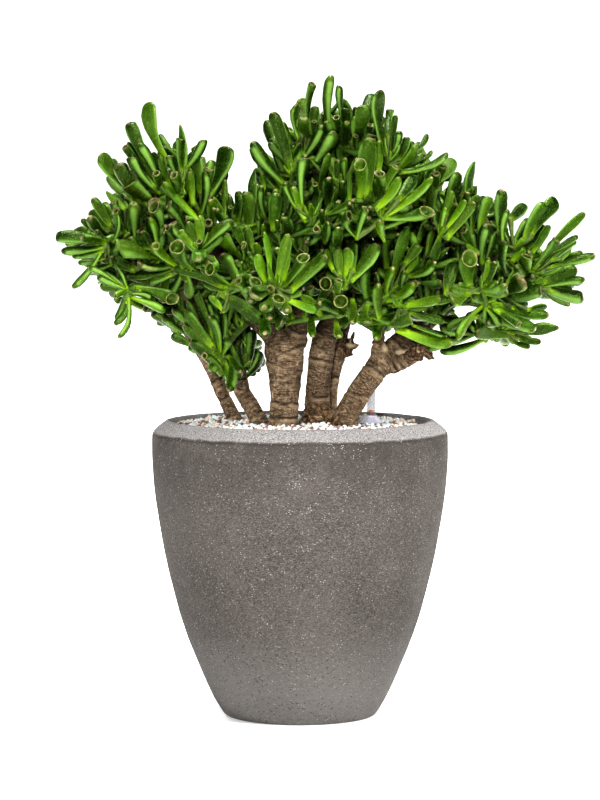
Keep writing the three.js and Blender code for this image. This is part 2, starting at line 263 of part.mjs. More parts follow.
    leaves: [[[97.5, -147.3, 624.4], [100.7, -149.3, 595.8], [94.8, -192.2, 620.2], 5.0],
      [[97.5, -147.3, 624.4], [67.1, -148.9, 600.6], [59.2, -193.0, 626.1], 6.3],
      [[84.6, -110.2, 638.3], 0, [84.6, -110.4, 719.5], 7.5],
      [[12.8, -109.2, 621.3], 0, [-7.3, -108.6, 660.4], 7.5],
      [[30.1, -113.7, 606.4], 0, [59.8, -155.9, 641.3], 5.0],
      [[2.5, -94.3, 571.5], 0, [-1.2, -94.0, 617.9], 7.5],
      [[97.5, -147.3, 624.4], 0, [158.2, -145.8, 672.3], 5.7],
      [[84.6, -110.2, 638.3], 0, [95.6, -156.9, 677.0], 7.5],
      [[97.5, -147.3, 624.4], 0, [118.5, -150.0, 672.3], 6.3],
      [[97.5, -147.3, 624.4], 0, [138.8, -119.4, 673.6], 6.9],
      [[97.5, -147.3, 624.4], [68.3, -148.6, 598.2], [78.4, -179.4, 634.3], 5.7],
      [[84.6, -110.2, 638.3], 0, [116.3, -104.6, 684.6], 5.7],
      [[84.6, -110.2, 638.3], 0, [95.7, -100.4, 716.0], 5.0],
      [[30.1, -113.7, 606.4], 0, [33.5, -157.4, 617.4], 7.5],
      [[84.6, -110.2, 638.3], 0, [62.3, -150.7, 643.6], 5.0],
      [[30.1, -113.7, 606.4], [46.0, -113.4, 586.7], [45.5, -155.8, 612.6], 6.3],
      [[30.1, -113.7, 606.4], [2.4, -111.8, 604.8], [19.1, -158.3, 610.3], 5.0]] },
  { twigs: [[[54.7, -125.1, 543.0], [55.2, -150.0, 545.5]]],
    leaves: [[[55.1, -147.0, 545.2], [45.6, -147.4, 528.6], [46.2, -192.6, 550.3], 5.0],
      [[55.1, -147.0, 545.2], 0, [92.6, -138.9, 592.0], 7.5],
      [[55.1, -147.0, 545.2], 0, [56.4, -142.7, 587.3], 7.5],
      [[55.1, -147.0, 545.2], 0, [63.1, -105.2, 591.4], 7.5]] },
  { twigs: [[[40.6, -10.0, 698.7], [41.4, -10.0, 708.7], [42.2, -10.0, 718.6]], [[41.4, -10.0, 708.7], [70.0, -50.0, 702.1]]],
    leaves: [[[68.3, -47.6, 702.5], 0, [77.9, -79.8, 760.0], 7.5],
      [[68.3, -47.6, 702.5], [76.1, -48.4, 740.1], [87.9, -14.8, 775.3], 7.5],
      [[41.9, -10.0, 715.6], 0, [39.6, -15.2, 798.7], 7.5],
      [[41.9, -10.0, 715.6], 0, [57.7, -50.1, 740.0], 5.7],
      [[41.9, -10.0, 715.6], 0, [44.1, -60.1, 745.9], 5.0],
      [[41.9, -10.0, 715.6], 0, [49.5, -18.5, 785.0], 5.7],
      [[41.9, -10.0, 715.6], 0, [57.6, -52.1, 755.9], 6.9],
      [[41.9, -10.0, 715.6], [28.6, -5.8, 728.6], [28.6, -1.1, 752.2], 3.8],
      [[68.3, -47.6, 702.5], 0, [85.9, -53.2, 735.1], 5.7]] },
  { twigs: [[[86.6, 48.4, 676.8], [90.1, 45.8, 693.3], [93.6, 43.1, 709.7]], [[90.1, 45.8, 693.3], [40.6, 47.8, 690.0]], [[90.1, 45.8, 693.3], [107.4, 71.8, 694.9], [124.6, 97.9, 696.5]], [[40.6, 47.8, 690.0], [3.6, 57.6, 732.6]], [[107.4, 71.8, 694.9], [74.1, 104.7, 733.4]], [[124.6, 97.9, 696.5], [84.4, 151.9, 696.4]]],
    leaves: [[[75.8, 103.1, 731.5], 0, [103.6, 148.3, 729.1], 7.5],
      [[86.2, 149.5, 696.4], 0, [100.2, 185.5, 700.1], 5.4],
      [[123.0, 95.4, 696.3], 0, [151.7, 116.6, 707.3], 7.0],
      [[5.5, 57.1, 730.4], 0, [-11.7, 109.7, 705.4], 7.5],
      [[93.0, 43.6, 706.8], 0, [128.7, 61.0, 716.6], 6.5],
      [[43.6, 47.7, 690.2], 0, [85.8, 60.9, 680.0], 7.5]] },
  { twigs: [[[98.9, -51.1, 491.8], [92.2, -60.0, 485.0]], [[92.2, -60.0, 485.0], [73.9, -90.0, 496.6], [55.7, -120.0, 508.3]], [[55.7, -120.0, 508.3], [-12.2, -100.0, 496.5]], [[73.9, -90.0, 496.6], [110.6, -100.0, 531.8]], [[110.6, -100.0, 531.8], [121.1, -115.0, 515.4]]],
    leaves: [[[108.5, -99.4, 529.8], 0, [162.6, -132.6, 570.2], 6.3],
      [[119.9, -113.2, 517.4], 0, [170.4, -123.0, 525.3], 5.7],
      [[57.1, -117.6, 507.3], 0, [46.6, -171.3, 482.8], 5.0],
      [[93.8, -58.0, 486.6], 0, [92.4, -103.9, 476.0], 5.7],
      [[-9.3, -100.8, 497.0], 0, [-64.5, -100.5, 500.3], 6.1],
      [[108.5, -99.4, 529.8], 0, [131.3, -96.0, 611.9], 6.9],
      [[57.1, -117.6, 507.3], [82.2, -121.2, 520.4], [79.9, -176.2, 499.8], 7.5],
      [[108.5, -99.4, 529.8], [126.3, -103.6, 565.9], [144.5, -100.0, 590.1], 6.3],
      [[108.5, -99.4, 529.8], 0, [136.4, -126.6, 544.8], 6.9],
      [[108.5, -99.4, 529.8], 0, [111.9, -139.0, 563.2], 5.7],
      [[119.9, -113.2, 517.4], 0, [184.2, -114.0, 525.0], 5.7],
      [[-9.3, -100.8, 497.0], [-34.1, -96.0, 513.4], [-22.8, -151.8, 497.5], 7.5],
      [[119.9, -113.2, 517.4], 0, [184.2, -116.8, 471.8], 7.5]] },
  { twigs: [[[52.6, -20.0, 627.0], [75.3, -15.7, 625.4], [72.6, -3.7, 647.2]], [[75.3, -15.7, 625.4], [81.7, -41.7, 605.7]]],
    leaves: [[[73.0, -5.1, 644.6], 0, [112.8, 47.1, 656.2], 7.0],
      [[81.1, -39.4, 607.5], 0, [91.5, -92.3, 612.4], 6.7]] },
  { twigs: [[[49.5, 1.2, 522.1], [56.8, 13.7, 529.9], [60.5, 9.9, 531.1]], [[60.5, 9.9, 531.1], [113.3, 32.8, 522.4]]],
    leaves: [[[110.6, 31.6, 522.8], 0, [134.7, -18.7, 530.9], 7.5],
      [[58.5, 12.0, 530.4], 0, [84.5, 38.1, 528.8], 5.8]] },
  { twigs: [[[110.1, -49.5, 676.7], [107.0, -90.0, 688.3]]],
    leaves: [[[107.2, -87.1, 687.5], 0, [98.5, -81.6, 778.1], 7.5],
      [[107.2, -87.1, 687.5], [107.0, -85.8, 721.1], [110.5, -49.3, 754.7], 5.0],
      [[107.2, -87.1, 687.5], 0, [116.7, -85.9, 747.7], 4.4],
      [[107.2, -87.1, 687.5], 0, [179.8, -90.8, 701.6], 7.5],
      [[107.2, -87.1, 687.5], 0, [139.5, -129.5, 708.4], 5.0],
      [[107.2, -87.1, 687.5], 0, [119.9, -101.1, 728.1], 5.7]] },
  { twigs: [[[108.0, -56.2, 514.1], [124.4, -28.7, 545.8], [140.7, -1.3, 577.6]], [[140.7, -1.3, 577.6], [113.0, 28.6, 597.0], [85.3, 58.6, 616.3]], [[124.4, -28.7, 545.8], [142.5, -60.0, 561.2]], [[124.4, -28.7, 545.8], [86.0, -37.0, 543.2]], [[113.0, 28.6, 597.0], [137.1, 43.6, 592.0], [161.3, 58.6, 587.0]], [[137.1, 43.6, 592.0], [110.2, 58.2, 568.8]]],
    leaves: [[[141.1, -57.6, 560.0], 0, [173.5, -50.9, 597.8], 7.5],
      [[158.8, 57.0, 587.5], 0, [194.2, 72.8, 600.5], 6.7],
      [[87.1, 56.6, 615.0], 0, [124.7, 61.8, 634.7], 7.5],
      [[112.3, 57.1, 570.6], 0, [112.8, 83.8, 595.7], 6.2],
      [[139.6, -3.2, 575.5], 0, [118.1, -56.4, 597.8], 6.3],
      [[88.9, -36.3, 543.4], 0, [107.5, -72.9, 538.4], 5.3],
      [[141.1, -57.6, 560.0], 0, [181.6, -86.7, 587.4], 5.0],
      [[141.1, -57.6, 560.0], 0, [161.6, -69.5, 606.7], 5.0]] },
  { twigs: [[[125.0, -0.5, 653.0], [136.4, 35.8, 659.5], [126.4, 47.8, 654.2]], [[136.4, 35.8, 659.5], [140.0, 5.2, 690.2]]],
    leaves: [[[128.2, 45.6, 655.2], 0, [165.7, 83.5, 648.6], 6.7],
      [[139.7, 7.3, 688.1], 0, [135.5, 49.0, 713.2], 6.6]] },
  { twigs: [[[156.7, -15.0, 493.7], [158.8, -30.3, 498.3], [173.0, -36.5, 511.6]]],
    leaves: [[[171.0, -35.6, 509.6], 0, [191.7, -57.6, 543.4], 7.5]] },
  { twigs: [[[177.0, 148.2, 589.1], [191.1, 153.3, 584.1], [205.1, 158.4, 579.2]], [[191.1, 153.3, 584.1], [164.5, 164.6, 580.0], [138.0, 175.8, 575.9]], [[164.5, 164.6, 580.0], [166.2, 171.0, 632.8]], [[166.2, 171.0, 632.8], [92.3, 178.8, 636.1]], [[166.2, 171.0, 632.8], [181.8, 122.5, 667.1]], [[205.1, 158.4, 579.2], [260.5, 138.7, 589.0]]],
    leaves: [[[166.1, 170.7, 629.8], 0, [180.6, 211.3, 606.8], 7.5],
      [[166.1, 170.7, 629.8], 0, [182.4, 198.1, 645.9], 5.2],
      [[202.4, 157.4, 580.2], 0, [207.1, 199.4, 557.6], 7.5],
      [[95.3, 178.5, 636.0], 0, [115.9, 216.7, 629.6], 6.9],
      [[166.1, 170.7, 629.8], 0, [144.9, 198.7, 634.9], 6.0],
      [[95.3, 178.5, 636.0], 0, [74.7, 210.2, 660.4], 6.6],
      [[95.3, 178.5, 636.0], 0, [116.2, 208.9, 600.5], 5.2],
      [[140.7, 174.7, 576.3], 0, [120.0, 205.7, 567.2], 6.6],
      [[140.7, 174.7, 576.3], 0, [155.5, 196.8, 581.6], 4.4],
      [[140.7, 174.7, 576.3], 0, [141.8, 198.0, 591.1], 4.3],
      [[95.3, 178.5, 636.0], 0, [59.2, 208.8, 631.0], 5.2],
      [[257.7, 139.7, 588.5], 0, [252.1, 156.6, 630.3], 6.8],
      [[181.0, 124.9, 665.4], 0, [177.1, 153.8, 688.2], 7.5],
      [[257.7, 139.7, 588.5], 0, [297.8, 171.0, 558.6], 7.2]] },
  { twigs: [[[138.7, -0.2, 619.4], [172.8, -22.7, 626.2], [192.6, -35.0, 624.7]], [[172.8, -22.7, 626.2], [159.8, -50.0, 653.1]], [[172.8, -22.7, 626.2], [196.9, 18.9, 606.3]], [[192.6, -35.0, 624.7], [217.3, -60.0, 586.9]], [[217.3, -60.0, 586.9], [170.0, -100.0, 602.2]], [[196.9, 18.9, 606.3], [212.2, 77.8, 619.0]]],
    leaves: [[[172.2, -98.1, 601.5], 0, [210.9, -104.6, 642.3], 6.9],
      [[160.8, -48.0, 651.1], 0, [173.6, -94.5, 685.8], 5.7],
      [[215.8, -58.5, 589.1], 0, [232.9, -60.8, 648.2], 6.9],
      [[190.1, -33.4, 624.9], 0, [215.7, -36.9, 692.4], 6.9],
      [[211.5, 75.0, 618.4], 0, [269.7, 74.8, 622.0], 7.5],
      [[195.5, 16.5, 607.4], 0, [238.3, 50.0, 596.7], 6.4],
      [[215.8, -58.5, 589.1], [245.7, -55.2, 604.0], [249.7, -47.2, 656.7], 7.5],
      [[215.8, -58.5, 589.1], [251.5, -63.9, 557.6], [248.7, -103.9, 595.0], 6.3],
      [[215.8, -58.5, 589.1], [223.3, -63.6, 565.0], [228.7, -71.6, 615.3], 7.5],
      [[160.8, -48.0, 651.1], 0, [165.1, -96.4, 677.4], 5.7],
      [[172.2, -98.1, 601.5], [177.4, -96.4, 624.0], [184.6, -96.6, 655.6], 5.0],
      [[160.8, -48.0, 651.1], [161.1, -51.1, 623.6], [164.7, -78.4, 664.1], 6.9],
      [[190.1, -33.4, 624.9], 0, [205.3, -72.5, 654.3], 5.7],
      [[190.1, -33.4, 624.9], 0, [197.3, -37.0, 677.7], 7.5],
      [[160.8, -48.0, 651.1], 0, [189.3, 3.7, 696.5], 7.5],
      [[190.1, -33.4, 624.9], [209.9, -33.7, 637.0], [218.5, -33.2, 661.7], 6.3],
      [[215.8, -58.5, 589.1], [228.6, -55.6, 568.4], [239.3, -59.4, 605.3], 5.0],
      [[172.2, -98.1, 601.5], 0, [161.7, -97.6, 569.4], 5.7],
      [[190.1, -33.4, 624.9], 0, [229.4, 4.4, 649.3], 5.0]] },
  { twigs: [[[67.5, 87.5, 547.5], [82.8, 126.9, 535.9], [87.3, 145.1, 539.6]], [[82.8, 126.9, 535.9], [126.9, 105.7, 517.0]], [[126.9, 105.7, 517.0], [174.5, 145.8, 509.3]], [[174.5, 145.8, 509.3], [254.4, 150.6, 511.7]], [[254.4, 150.6, 511.7], [259.9, 121.4, 501.6], [265.5, 92.2, 491.5]], [[259.9, 121.4, 501.6], [316.4, 122.5, 546.7]]],
    leaves: [[[314.1, 122.4, 544.9], 0, [341.1, 101.6, 581.6], 7.5],
      [[314.1, 122.4, 544.9], 0, [353.6, 116.8, 537.1], 6.1],
      [[251.4, 150.5, 511.6], 0, [232.8, 162.0, 550.7], 7.2],
      [[265.0, 95.0, 492.5], 0, [264.2, 119.2, 524.9], 6.3],
      [[172.2, 143.9, 509.7], 0, [203.3, 162.7, 516.6], 5.5],
      [[86.6, 142.2, 539.0], 0, [91.0, 164.0, 572.6], 6.6],
      [[124.4, 106.9, 518.0], 0, [141.4, 119.8, 544.4], 7.5]] },
  { twigs: [[[214.3, -46.8, 483.7], [221.7, -55.0, 478.6]], [[221.7, -55.0, 478.6], [237.7, -55.0, 481.1], [253.7, -55.0, 483.5]], [[237.7, -55.0, 481.1], [226.2, -100.0, 518.4]], [[226.2, -100.0, 518.4], [248.1, -80.0, 531.1]], [[226.2, -100.0, 518.4], [219.8, -125.0, 538.7]]],
    leaves: [[[246.1, -81.9, 530.0], 0, [270.6, -122.6, 549.5], 7.5],
      [[220.4, -122.7, 536.8], 0, [244.8, -166.7, 544.8], 6.9],
      [[226.8, -97.7, 516.6], 0, [286.4, -109.6, 488.4], 7.5],
      [[250.7, -55.0, 483.1], 0, [318.8, -56.2, 487.3], 7.5],
      [[219.8, -53.0, 479.9], 0, [172.6, -51.5, 458.7], 6.3],
      [[220.4, -122.7, 536.8], 0, [180.9, -180.1, 528.5], 7.5],
      [[246.1, -81.9, 530.0], 0, [294.6, -80.0, 534.8], 7.5],
      [[220.4, -122.7, 536.8], 0, [235.1, -130.1, 570.2], 5.0],
      [[226.8, -97.7, 516.6], 0, [303.4, -93.4, 504.8], 6.9],
      [[226.8, -97.7, 516.6], 0, [263.7, -139.5, 494.6], 5.0],
      [[246.1, -81.9, 530.0], 0, [269.1, -75.8, 561.6], 5.0],
      [[250.7, -55.0, 483.1], [271.1, -52.8, 476.0], [216.7, -77.6, 484.6], 7.5],
      [[226.8, -97.7, 516.6], [257.9, -99.5, 513.6], [277.1, -52.5, 516.7], 5.7]] },
  { twigs: [[[252.1, 5.7, 570.8], [250.7, 29.6, 567.8], [248.8, 42.5, 566.8]], [[248.8, 42.5, 566.8], [247.4, 36.8, 537.9], [246.0, 31.1, 509.0]], [[247.4, 36.8, 537.9], [300.4, 38.1, 554.1]], [[247.4, 36.8, 537.9], [206.2, 58.4, 541.0]], [[248.8, 42.5, 566.8], [281.1, 76.6, 602.1]]],
    leaves: [[[297.5, 38.1, 553.2], 0, [316.8, 85.1, 571.1], 7.5],
      [[279.4, 74.9, 600.3], 0, [297.9, 107.2, 610.0], 5.7],
      [[208.9, 57.0, 540.8], 0, [209.3, 95.2, 575.6], 7.0],
      [[249.2, 39.5, 567.1], 0, [264.5, 85.7, 564.2], 5.2],
      [[246.2, 31.7, 511.9], 0, [252.9, 43.0, 543.4], 6.8]] },
  { twigs: [[[258.7, -7.7, 571.7], [278.7, -31.2, 562.7], [287.3, -45.0, 554.6]], [[278.7, -31.2, 562.7], [262.7, -60.0, 585.7]], [[287.3, -45.0, 554.6], [288.2, -50.0, 540.0]]],
    leaves: [[[285.9, -42.7, 556.0], 0, [363.1, -50.6, 576.9], 6.3],
      [[288.0, -49.0, 542.8], 0, [349.0, -46.0, 525.1], 7.5],
      [[288.0, -49.0, 542.8], 0, [350.7, -53.5, 546.3], 5.7],
      [[285.9, -42.7, 556.0], [308.0, -46.7, 579.3], [342.9, -40.6, 600.1], 4.4],
      [[263.9, -57.8, 584.0], 0, [316.8, -39.9, 644.4], 7.5],
      [[263.9, -57.8, 584.0], 0, [300.9, -54.5, 639.6], 7.5],
      [[288.0, -49.0, 542.8], 0, [340.9, -51.9, 559.7], 7.5],
      [[263.9, -57.8, 584.0], [284.7, -62.0, 579.6], [305.0, -66.6, 614.0], 5.0],
      [[263.9, -57.8, 584.0], 0, [281.5, -52.8, 621.2], 6.9],
      [[285.9, -42.7, 556.0], 0, [315.7, -56.3, 595.5], 5.7],
      [[263.9, -57.8, 584.0], 0, [256.1, -63.1, 632.3], 5.7],
      [[263.9, -57.8, 584.0], [259.2, -58.2, 567.3], [274.1, -54.9, 586.8], 5.7]] },
];

// ---------------------------------------------------------------- geometry helpers
function toSolid(geometry) {
  let g = geometry.clone();
  g.deleteAttribute('normal');
  g.deleteAttribute('uv');
  g = mergeVertices(g, 1e-3);
  const p = g.attributes.position;
  const src = g.index.array;
  const tri = [];
  let volume = 0;
  const a = new THREE.Vector3();
  const b = new THREE.Vector3();
  const c = new THREE.Vector3();
  for (let i = 0; i < src.length; i += 3) {
    if (src[i] === src[i + 1] || src[i + 1] === src[i + 2] || src[i] === src[i + 2]) continue;
    a.fromBufferAttribute(p, src[i]);
    b.fromBufferAttribute(p, src[i + 1]);
    c.fromBufferAttribute(p, src[i + 2]);
    volume += a.dot(b.cross(c));
    tri.push(src[i], src[i + 1], src[i + 2]);
  }
  if (volume < 0) for (let i = 0; i < tri.length; i += 3) [tri[i + 1], tri[i + 2]] = [tri[i + 2], tri[i + 1]];
  return new wasm.Manifold(new wasm.Mesh({
    numProp: 3,
    vertProperties: new Float32Array(p.array),
    triVerts: new Uint32Array(tri),
  }));
}

function toGeometry(solid) {
  const mesh = solid.getMesh();
  const g = new THREE.BufferGeometry();
  g.setAttribute('position', new THREE.BufferAttribute(new Float32Array(mesh.vertProperties), 3));
  g.setIndex(new THREE.BufferAttribute(new Uint32Array(mesh.triVerts), 1));
  g.computeVertexNormals();
  return g;
}

// body of revolution about +Z from a [radius, height] profile
function turned(profile, sides) {
  const g = new THREE.LatheGeometry(profile.map(([r, z]) => new THREE.Vector2(r, z)), sides);
  g.rotateX(Math.PI / 2);
  return toSolid(g);
}

// tapered limb with straight stretches between its points [x, y, z, radius]
function limb(points, sides, grow = 0) {
  const steps = points.length - 1;
  const at = points.map((q) => new THREE.Vector3(q[0], q[1], q[2]));
  const dirs = at.slice(1).map((q, i) => q.clone().sub(at[i]).normalize());
  const tangents = at.map((_, i) => {
    const before = dirs[Math.max(0, i - 1)];
    const after = dirs[Math.min(steps - 1, i)];
    return before.clone().add(after).normalize();
  });
  const normals = [];
  let n = new THREE.Vector3(1, 0, 0);
  if (Math.abs(tangents[0].x) > 0.8) n.set(0, 1, 0);
  for (const t of tangents) {
    n = n.clone().addScaledVector(t, -n.dot(t)).normalize();
    normals.push(n);
  }
  const g = new THREE.CylinderGeometry(1, 1, 1, sides, steps);
  const p = g.attributes.position;
  const v = new THREE.Vector3();
  const side = new THREE.Vector3();
  for (let i = 0; i < p.count; i += 1) {
    const k = Math.round((0.5 - p.getY(i)) * steps);
    side.crossVectors(tangents[k], normals[k]);
    const r = points[k][3] + grow;
    v.copy(at[k]).addScaledVector(normals[k], p.getX(i) * r).addScaledVector(side, p.getZ(i) * r);
    p.setXYZ(i, v.x, v.y, v.z);
  }
  return toSolid(g);
}

// one finger leaf: thin where it grows out, widest near its blunt tip
function leaf(from, to, r) {
  const a = new THREE.Vector3(...from);
  const dir = new THREE.Vector3(...to).sub(a);
  const length = dir.length();
  const profile = [[0, 0], [r, length * 0.7], [r * 0.82, length * 0.93], [0, length]];
  const g = new THREE.LatheGeometry(profile.map(([x, y]) => new THREE.Vector2(x, y)), 4);
  const q = new THREE.Quaternion().setFromUnitVectors(new THREE.Vector3(0, 1, 0), dir.normalize());
  g.applyQuaternion(q);
  g.translate(a.x, a.y, a.z);
  return toSolid(g);
}

const TWIG_R = 4;

function shoot({ twigs, leaves }) {
  let s = null;
  const join = (t) => { s = s === null ? t : s.add(t); };
  for (const path of twigs) join(limb(path.map((q) => [...q, TWIG_R]), 4));
  for (const [hub, base, tip, r] of leaves) {
    if (base) {
      const d = new THREE.Vector3(...tip).sub(new THREE.Vector3(...base)).normalize().multiplyScalar(r * 0.9);
      join(limb([[...hub, 3], [base[0] + d.x, base[1] + d.y, base[2] + d.z, 2.6]], 4));
      join(leaf(base, tip, r));
    } else {
      join(leaf(hub, tip, r));
    }
  }
  return s;
}

// ---------------------------------------------------------------- materials
const material = (color, roughness, extra = {}) => new THREE.MeshStandardMaterial({ color, roughness, metalness: 0, ...extra });
const STONE = () => material(0x77706b, 0.95);
const GRANULES = () => material(0xb9aca0, 0.9);
const BARK = () => material(0x76604b, 0.85);
const LEAF = () => material(0x42681a, 0.42);
const CLEAR = () => material(0xe6e8ea, 0.12, { transparent: true, opacity: 0.4 });
const GREY_PLASTIC = () => material(0x55585a, 0.5);
const RED_PLASTIC = () => material(0xc8401c, 0.4);

const plant = new THREE.Group();
function add(name, solid, mat) {
  const mesh = new THREE.Mesh(toGeometry(solid), mat);
  mesh.name = name;
  plant.add(mesh);
}

// ---------------------------------------------------------------- pot
add('pot', turned([[0, 0], ...POT_OUTER, ...POT_INNER, [0, POT_FLOOR]], POT_SIDES), STONE());

// ---------------------------------------------------------------- trunks
// each trunk stands in the granules on a stump that widens a little downwards
const stump = (trunk) => {
  const [x, y, , r] = trunk[0][0];
  return [[x, y, ROOT_DEPTH, r * 1.12], ...trunk[0].slice(0, 3)];
};
for (const [name, branches] of Object.entries(TRUNKS)) {
  const [x, y, , r] = branches[0][0];
  let s = limb([[x, y, ROOT_DEPTH, r * 1.12], ...branches[0]], 8);
  for (const b of branches.slice(1)) s = s.add(limb(b, 6));
  add(name, s, BARK());
}

// ---------------------------------------------------------------- granules
// they fill the pot up to GRANULE_TOP and close around the trunks and the guide tube
{
  const inner = POT_INNER.slice(1, -1).map(([r, z]) => [r - GAP / Math.cos(Math.PI / POT_SIDES), z]);
  const [[rimR, rimZ], [lipR, lipZ]] = POT_INNER;
  const edge = lipR + (GRANULE_TOP - lipZ) * (rimR - lipR) / (rimZ - lipZ);   // where the level meets the leaning lip
  const profile = [
    [0, GRANULE_TOP], [edge - 1.9 * GAP, GRANULE_TOP], ...inner, [94.2, POT_FLOOR + GAP], [0, POT_FLOOR + GAP],
  ];
  let bed = turned(profile, POT_SIDES);
  for (const trunk of Object.values(TRUNKS)) {
    const path = stump(trunk);
    path[0] = [path[0][0], path[0][1], ROOT_DEPTH - GAP, path[0][3]];
    bed = bed.subtract(limb(path, 8, GAP + 0.1));
  }
  const well = turned([[0, GUIDE_TUBE_BOTTOM - 0.5], [GUIDE_TUBE_R + 0.6, GUIDE_TUBE_BOTTOM - 0.5], [GUIDE_TUBE_R + 0.6, 400], [0, 400]], 20);
  bed = bed.subtract(well.translate([INDICATOR_X, INDICATOR_Y, 0]));
  const seat = turned([[0, COLLAR_BASE - GAP], [COLLAR_R + 0.6, COLLAR_BASE - GAP], [COLLAR_R + 0.6, 400], [0, 400]], 16);
  bed = bed.subtract(seat.translate([INDICATOR_X, INDICATOR_Y, 0]));
  add('granules', bed, GRANULES());
}

// ---------------------------------------------------------------- water-level indicator
const place = (s) => s.translate([INDICATOR_X, INDICATOR_Y, 0]);
add('indicator_guide_tube', place(turned([
  [GUIDE_TUBE_R, GUIDE_TUBE_BOTTOM], [GUIDE_TUBE_R, GUIDE_TUBE_TOP], [ROD_R + 1.4, GUIDE_TUBE_TOP], [ROD_R + 1.4, GUIDE_TUBE_TOP - 3],
  [GUIDE_TUBE_BORE, GUIDE_TUBE_TOP - 3], [GUIDE_TUBE_BORE, GUIDE_TUBE_BOTTOM + 2.5], [4, GUIDE_TUBE_BOTTOM + 2.5], [4, GUIDE_TUBE_BOTTOM],
  [GUIDE_TUBE_R, GUIDE_TUBE_BOTTOM],
], 16)), GREY_PLASTIC());
add('indicator_sight_tube', place(turned([
  [SIGHT_TUBE_R, SIGHT_TUBE_BOTTOM], [SIGHT_TUBE_R, SIGHT_TUBE_TOP - 1.5], [SIGHT_TUBE_R - 1.5, SIGHT_TUBE_TOP], [0, SIGHT_TUBE_TOP],
  [0, SIGHT_TUBE_TOP - SIGHT_TUBE_WALL], [SIGHT_TUBE_R - SIGHT_TUBE_WALL, SIGHT_TUBE_TOP - SIGHT_TUBE_WALL - 1.2],
  [SIGHT_TUBE_R - SIGHT_TUBE_WALL, SIGHT_TUBE_BOTTOM], [SIGHT_TUBE_R, SIGHT_TUBE_BOTTOM],
], 16)), CLEAR());
add('indicator_collar', place(turned([
  [COLLAR_R, COLLAR_BASE], [COLLAR_R, COLLAR_BASE + 2.6], [8.2, COLLAR_BASE + 11.6], [8.2, COLLAR_BASE + 13.2], [6.6, COLLAR_BASE + 13.2],
  [6.6, COLLAR_BASE + 10.6], [15.4, COLLAR_BASE + 1.8], [15.4, COLLAR_BASE], [COLLAR_R, COLLAR_BASE],
], 16)), CLEAR());
add('float_and_rod', place(turned([
  [0, FLOAT_BOTTOM], [FLOAT_R, FLOAT_BOTTOM], [FLOAT_R, FLOAT_BOTTOM + FLOAT_HEIGHT], [ROD_R, FLOAT_BOTTOM + FLOAT_HEIGHT + 2],
  [ROD_R, ROD_TOP], [0, ROD_TOP],
], 12)), GREY_PLASTIC());
add('float_tip', place(turned([
  [0, ROD_TOP + 0.3], [TIP_R, ROD_TOP + 0.3], [TIP_R, ROD_TOP + TIP_HEIGHT - 0.6], [TIP_R - 0.8, ROD_TOP + TIP_HEIGHT], [0, ROD_TOP + TIP_HEIGHT],
], 12)), RED_PLASTIC());

// ---------------------------------------------------------------- leafy shoots
// every shoot is one living piece: green twigs with their finger leaves
SHOOTS.forEach((s, i) => add(`leafy_shoot_${String(i + 1).padStart(2, '0')}`, shoot(s), LEAF()));

export default plant;
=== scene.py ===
import math

import bmesh
import bpy
import numpy as np
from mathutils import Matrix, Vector


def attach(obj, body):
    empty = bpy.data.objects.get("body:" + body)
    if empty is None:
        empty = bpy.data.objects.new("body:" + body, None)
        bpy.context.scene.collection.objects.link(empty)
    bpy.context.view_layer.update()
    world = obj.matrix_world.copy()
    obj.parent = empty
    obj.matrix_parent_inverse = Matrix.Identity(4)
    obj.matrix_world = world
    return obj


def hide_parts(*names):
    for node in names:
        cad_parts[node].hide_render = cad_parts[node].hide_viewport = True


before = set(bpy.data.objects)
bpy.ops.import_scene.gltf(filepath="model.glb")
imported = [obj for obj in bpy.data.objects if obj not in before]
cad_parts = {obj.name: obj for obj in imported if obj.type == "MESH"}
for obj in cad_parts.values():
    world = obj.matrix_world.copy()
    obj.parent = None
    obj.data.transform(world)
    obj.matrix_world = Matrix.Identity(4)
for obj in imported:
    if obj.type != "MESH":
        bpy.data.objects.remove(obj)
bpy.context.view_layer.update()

scene = bpy.context.scene
MM = 0.001

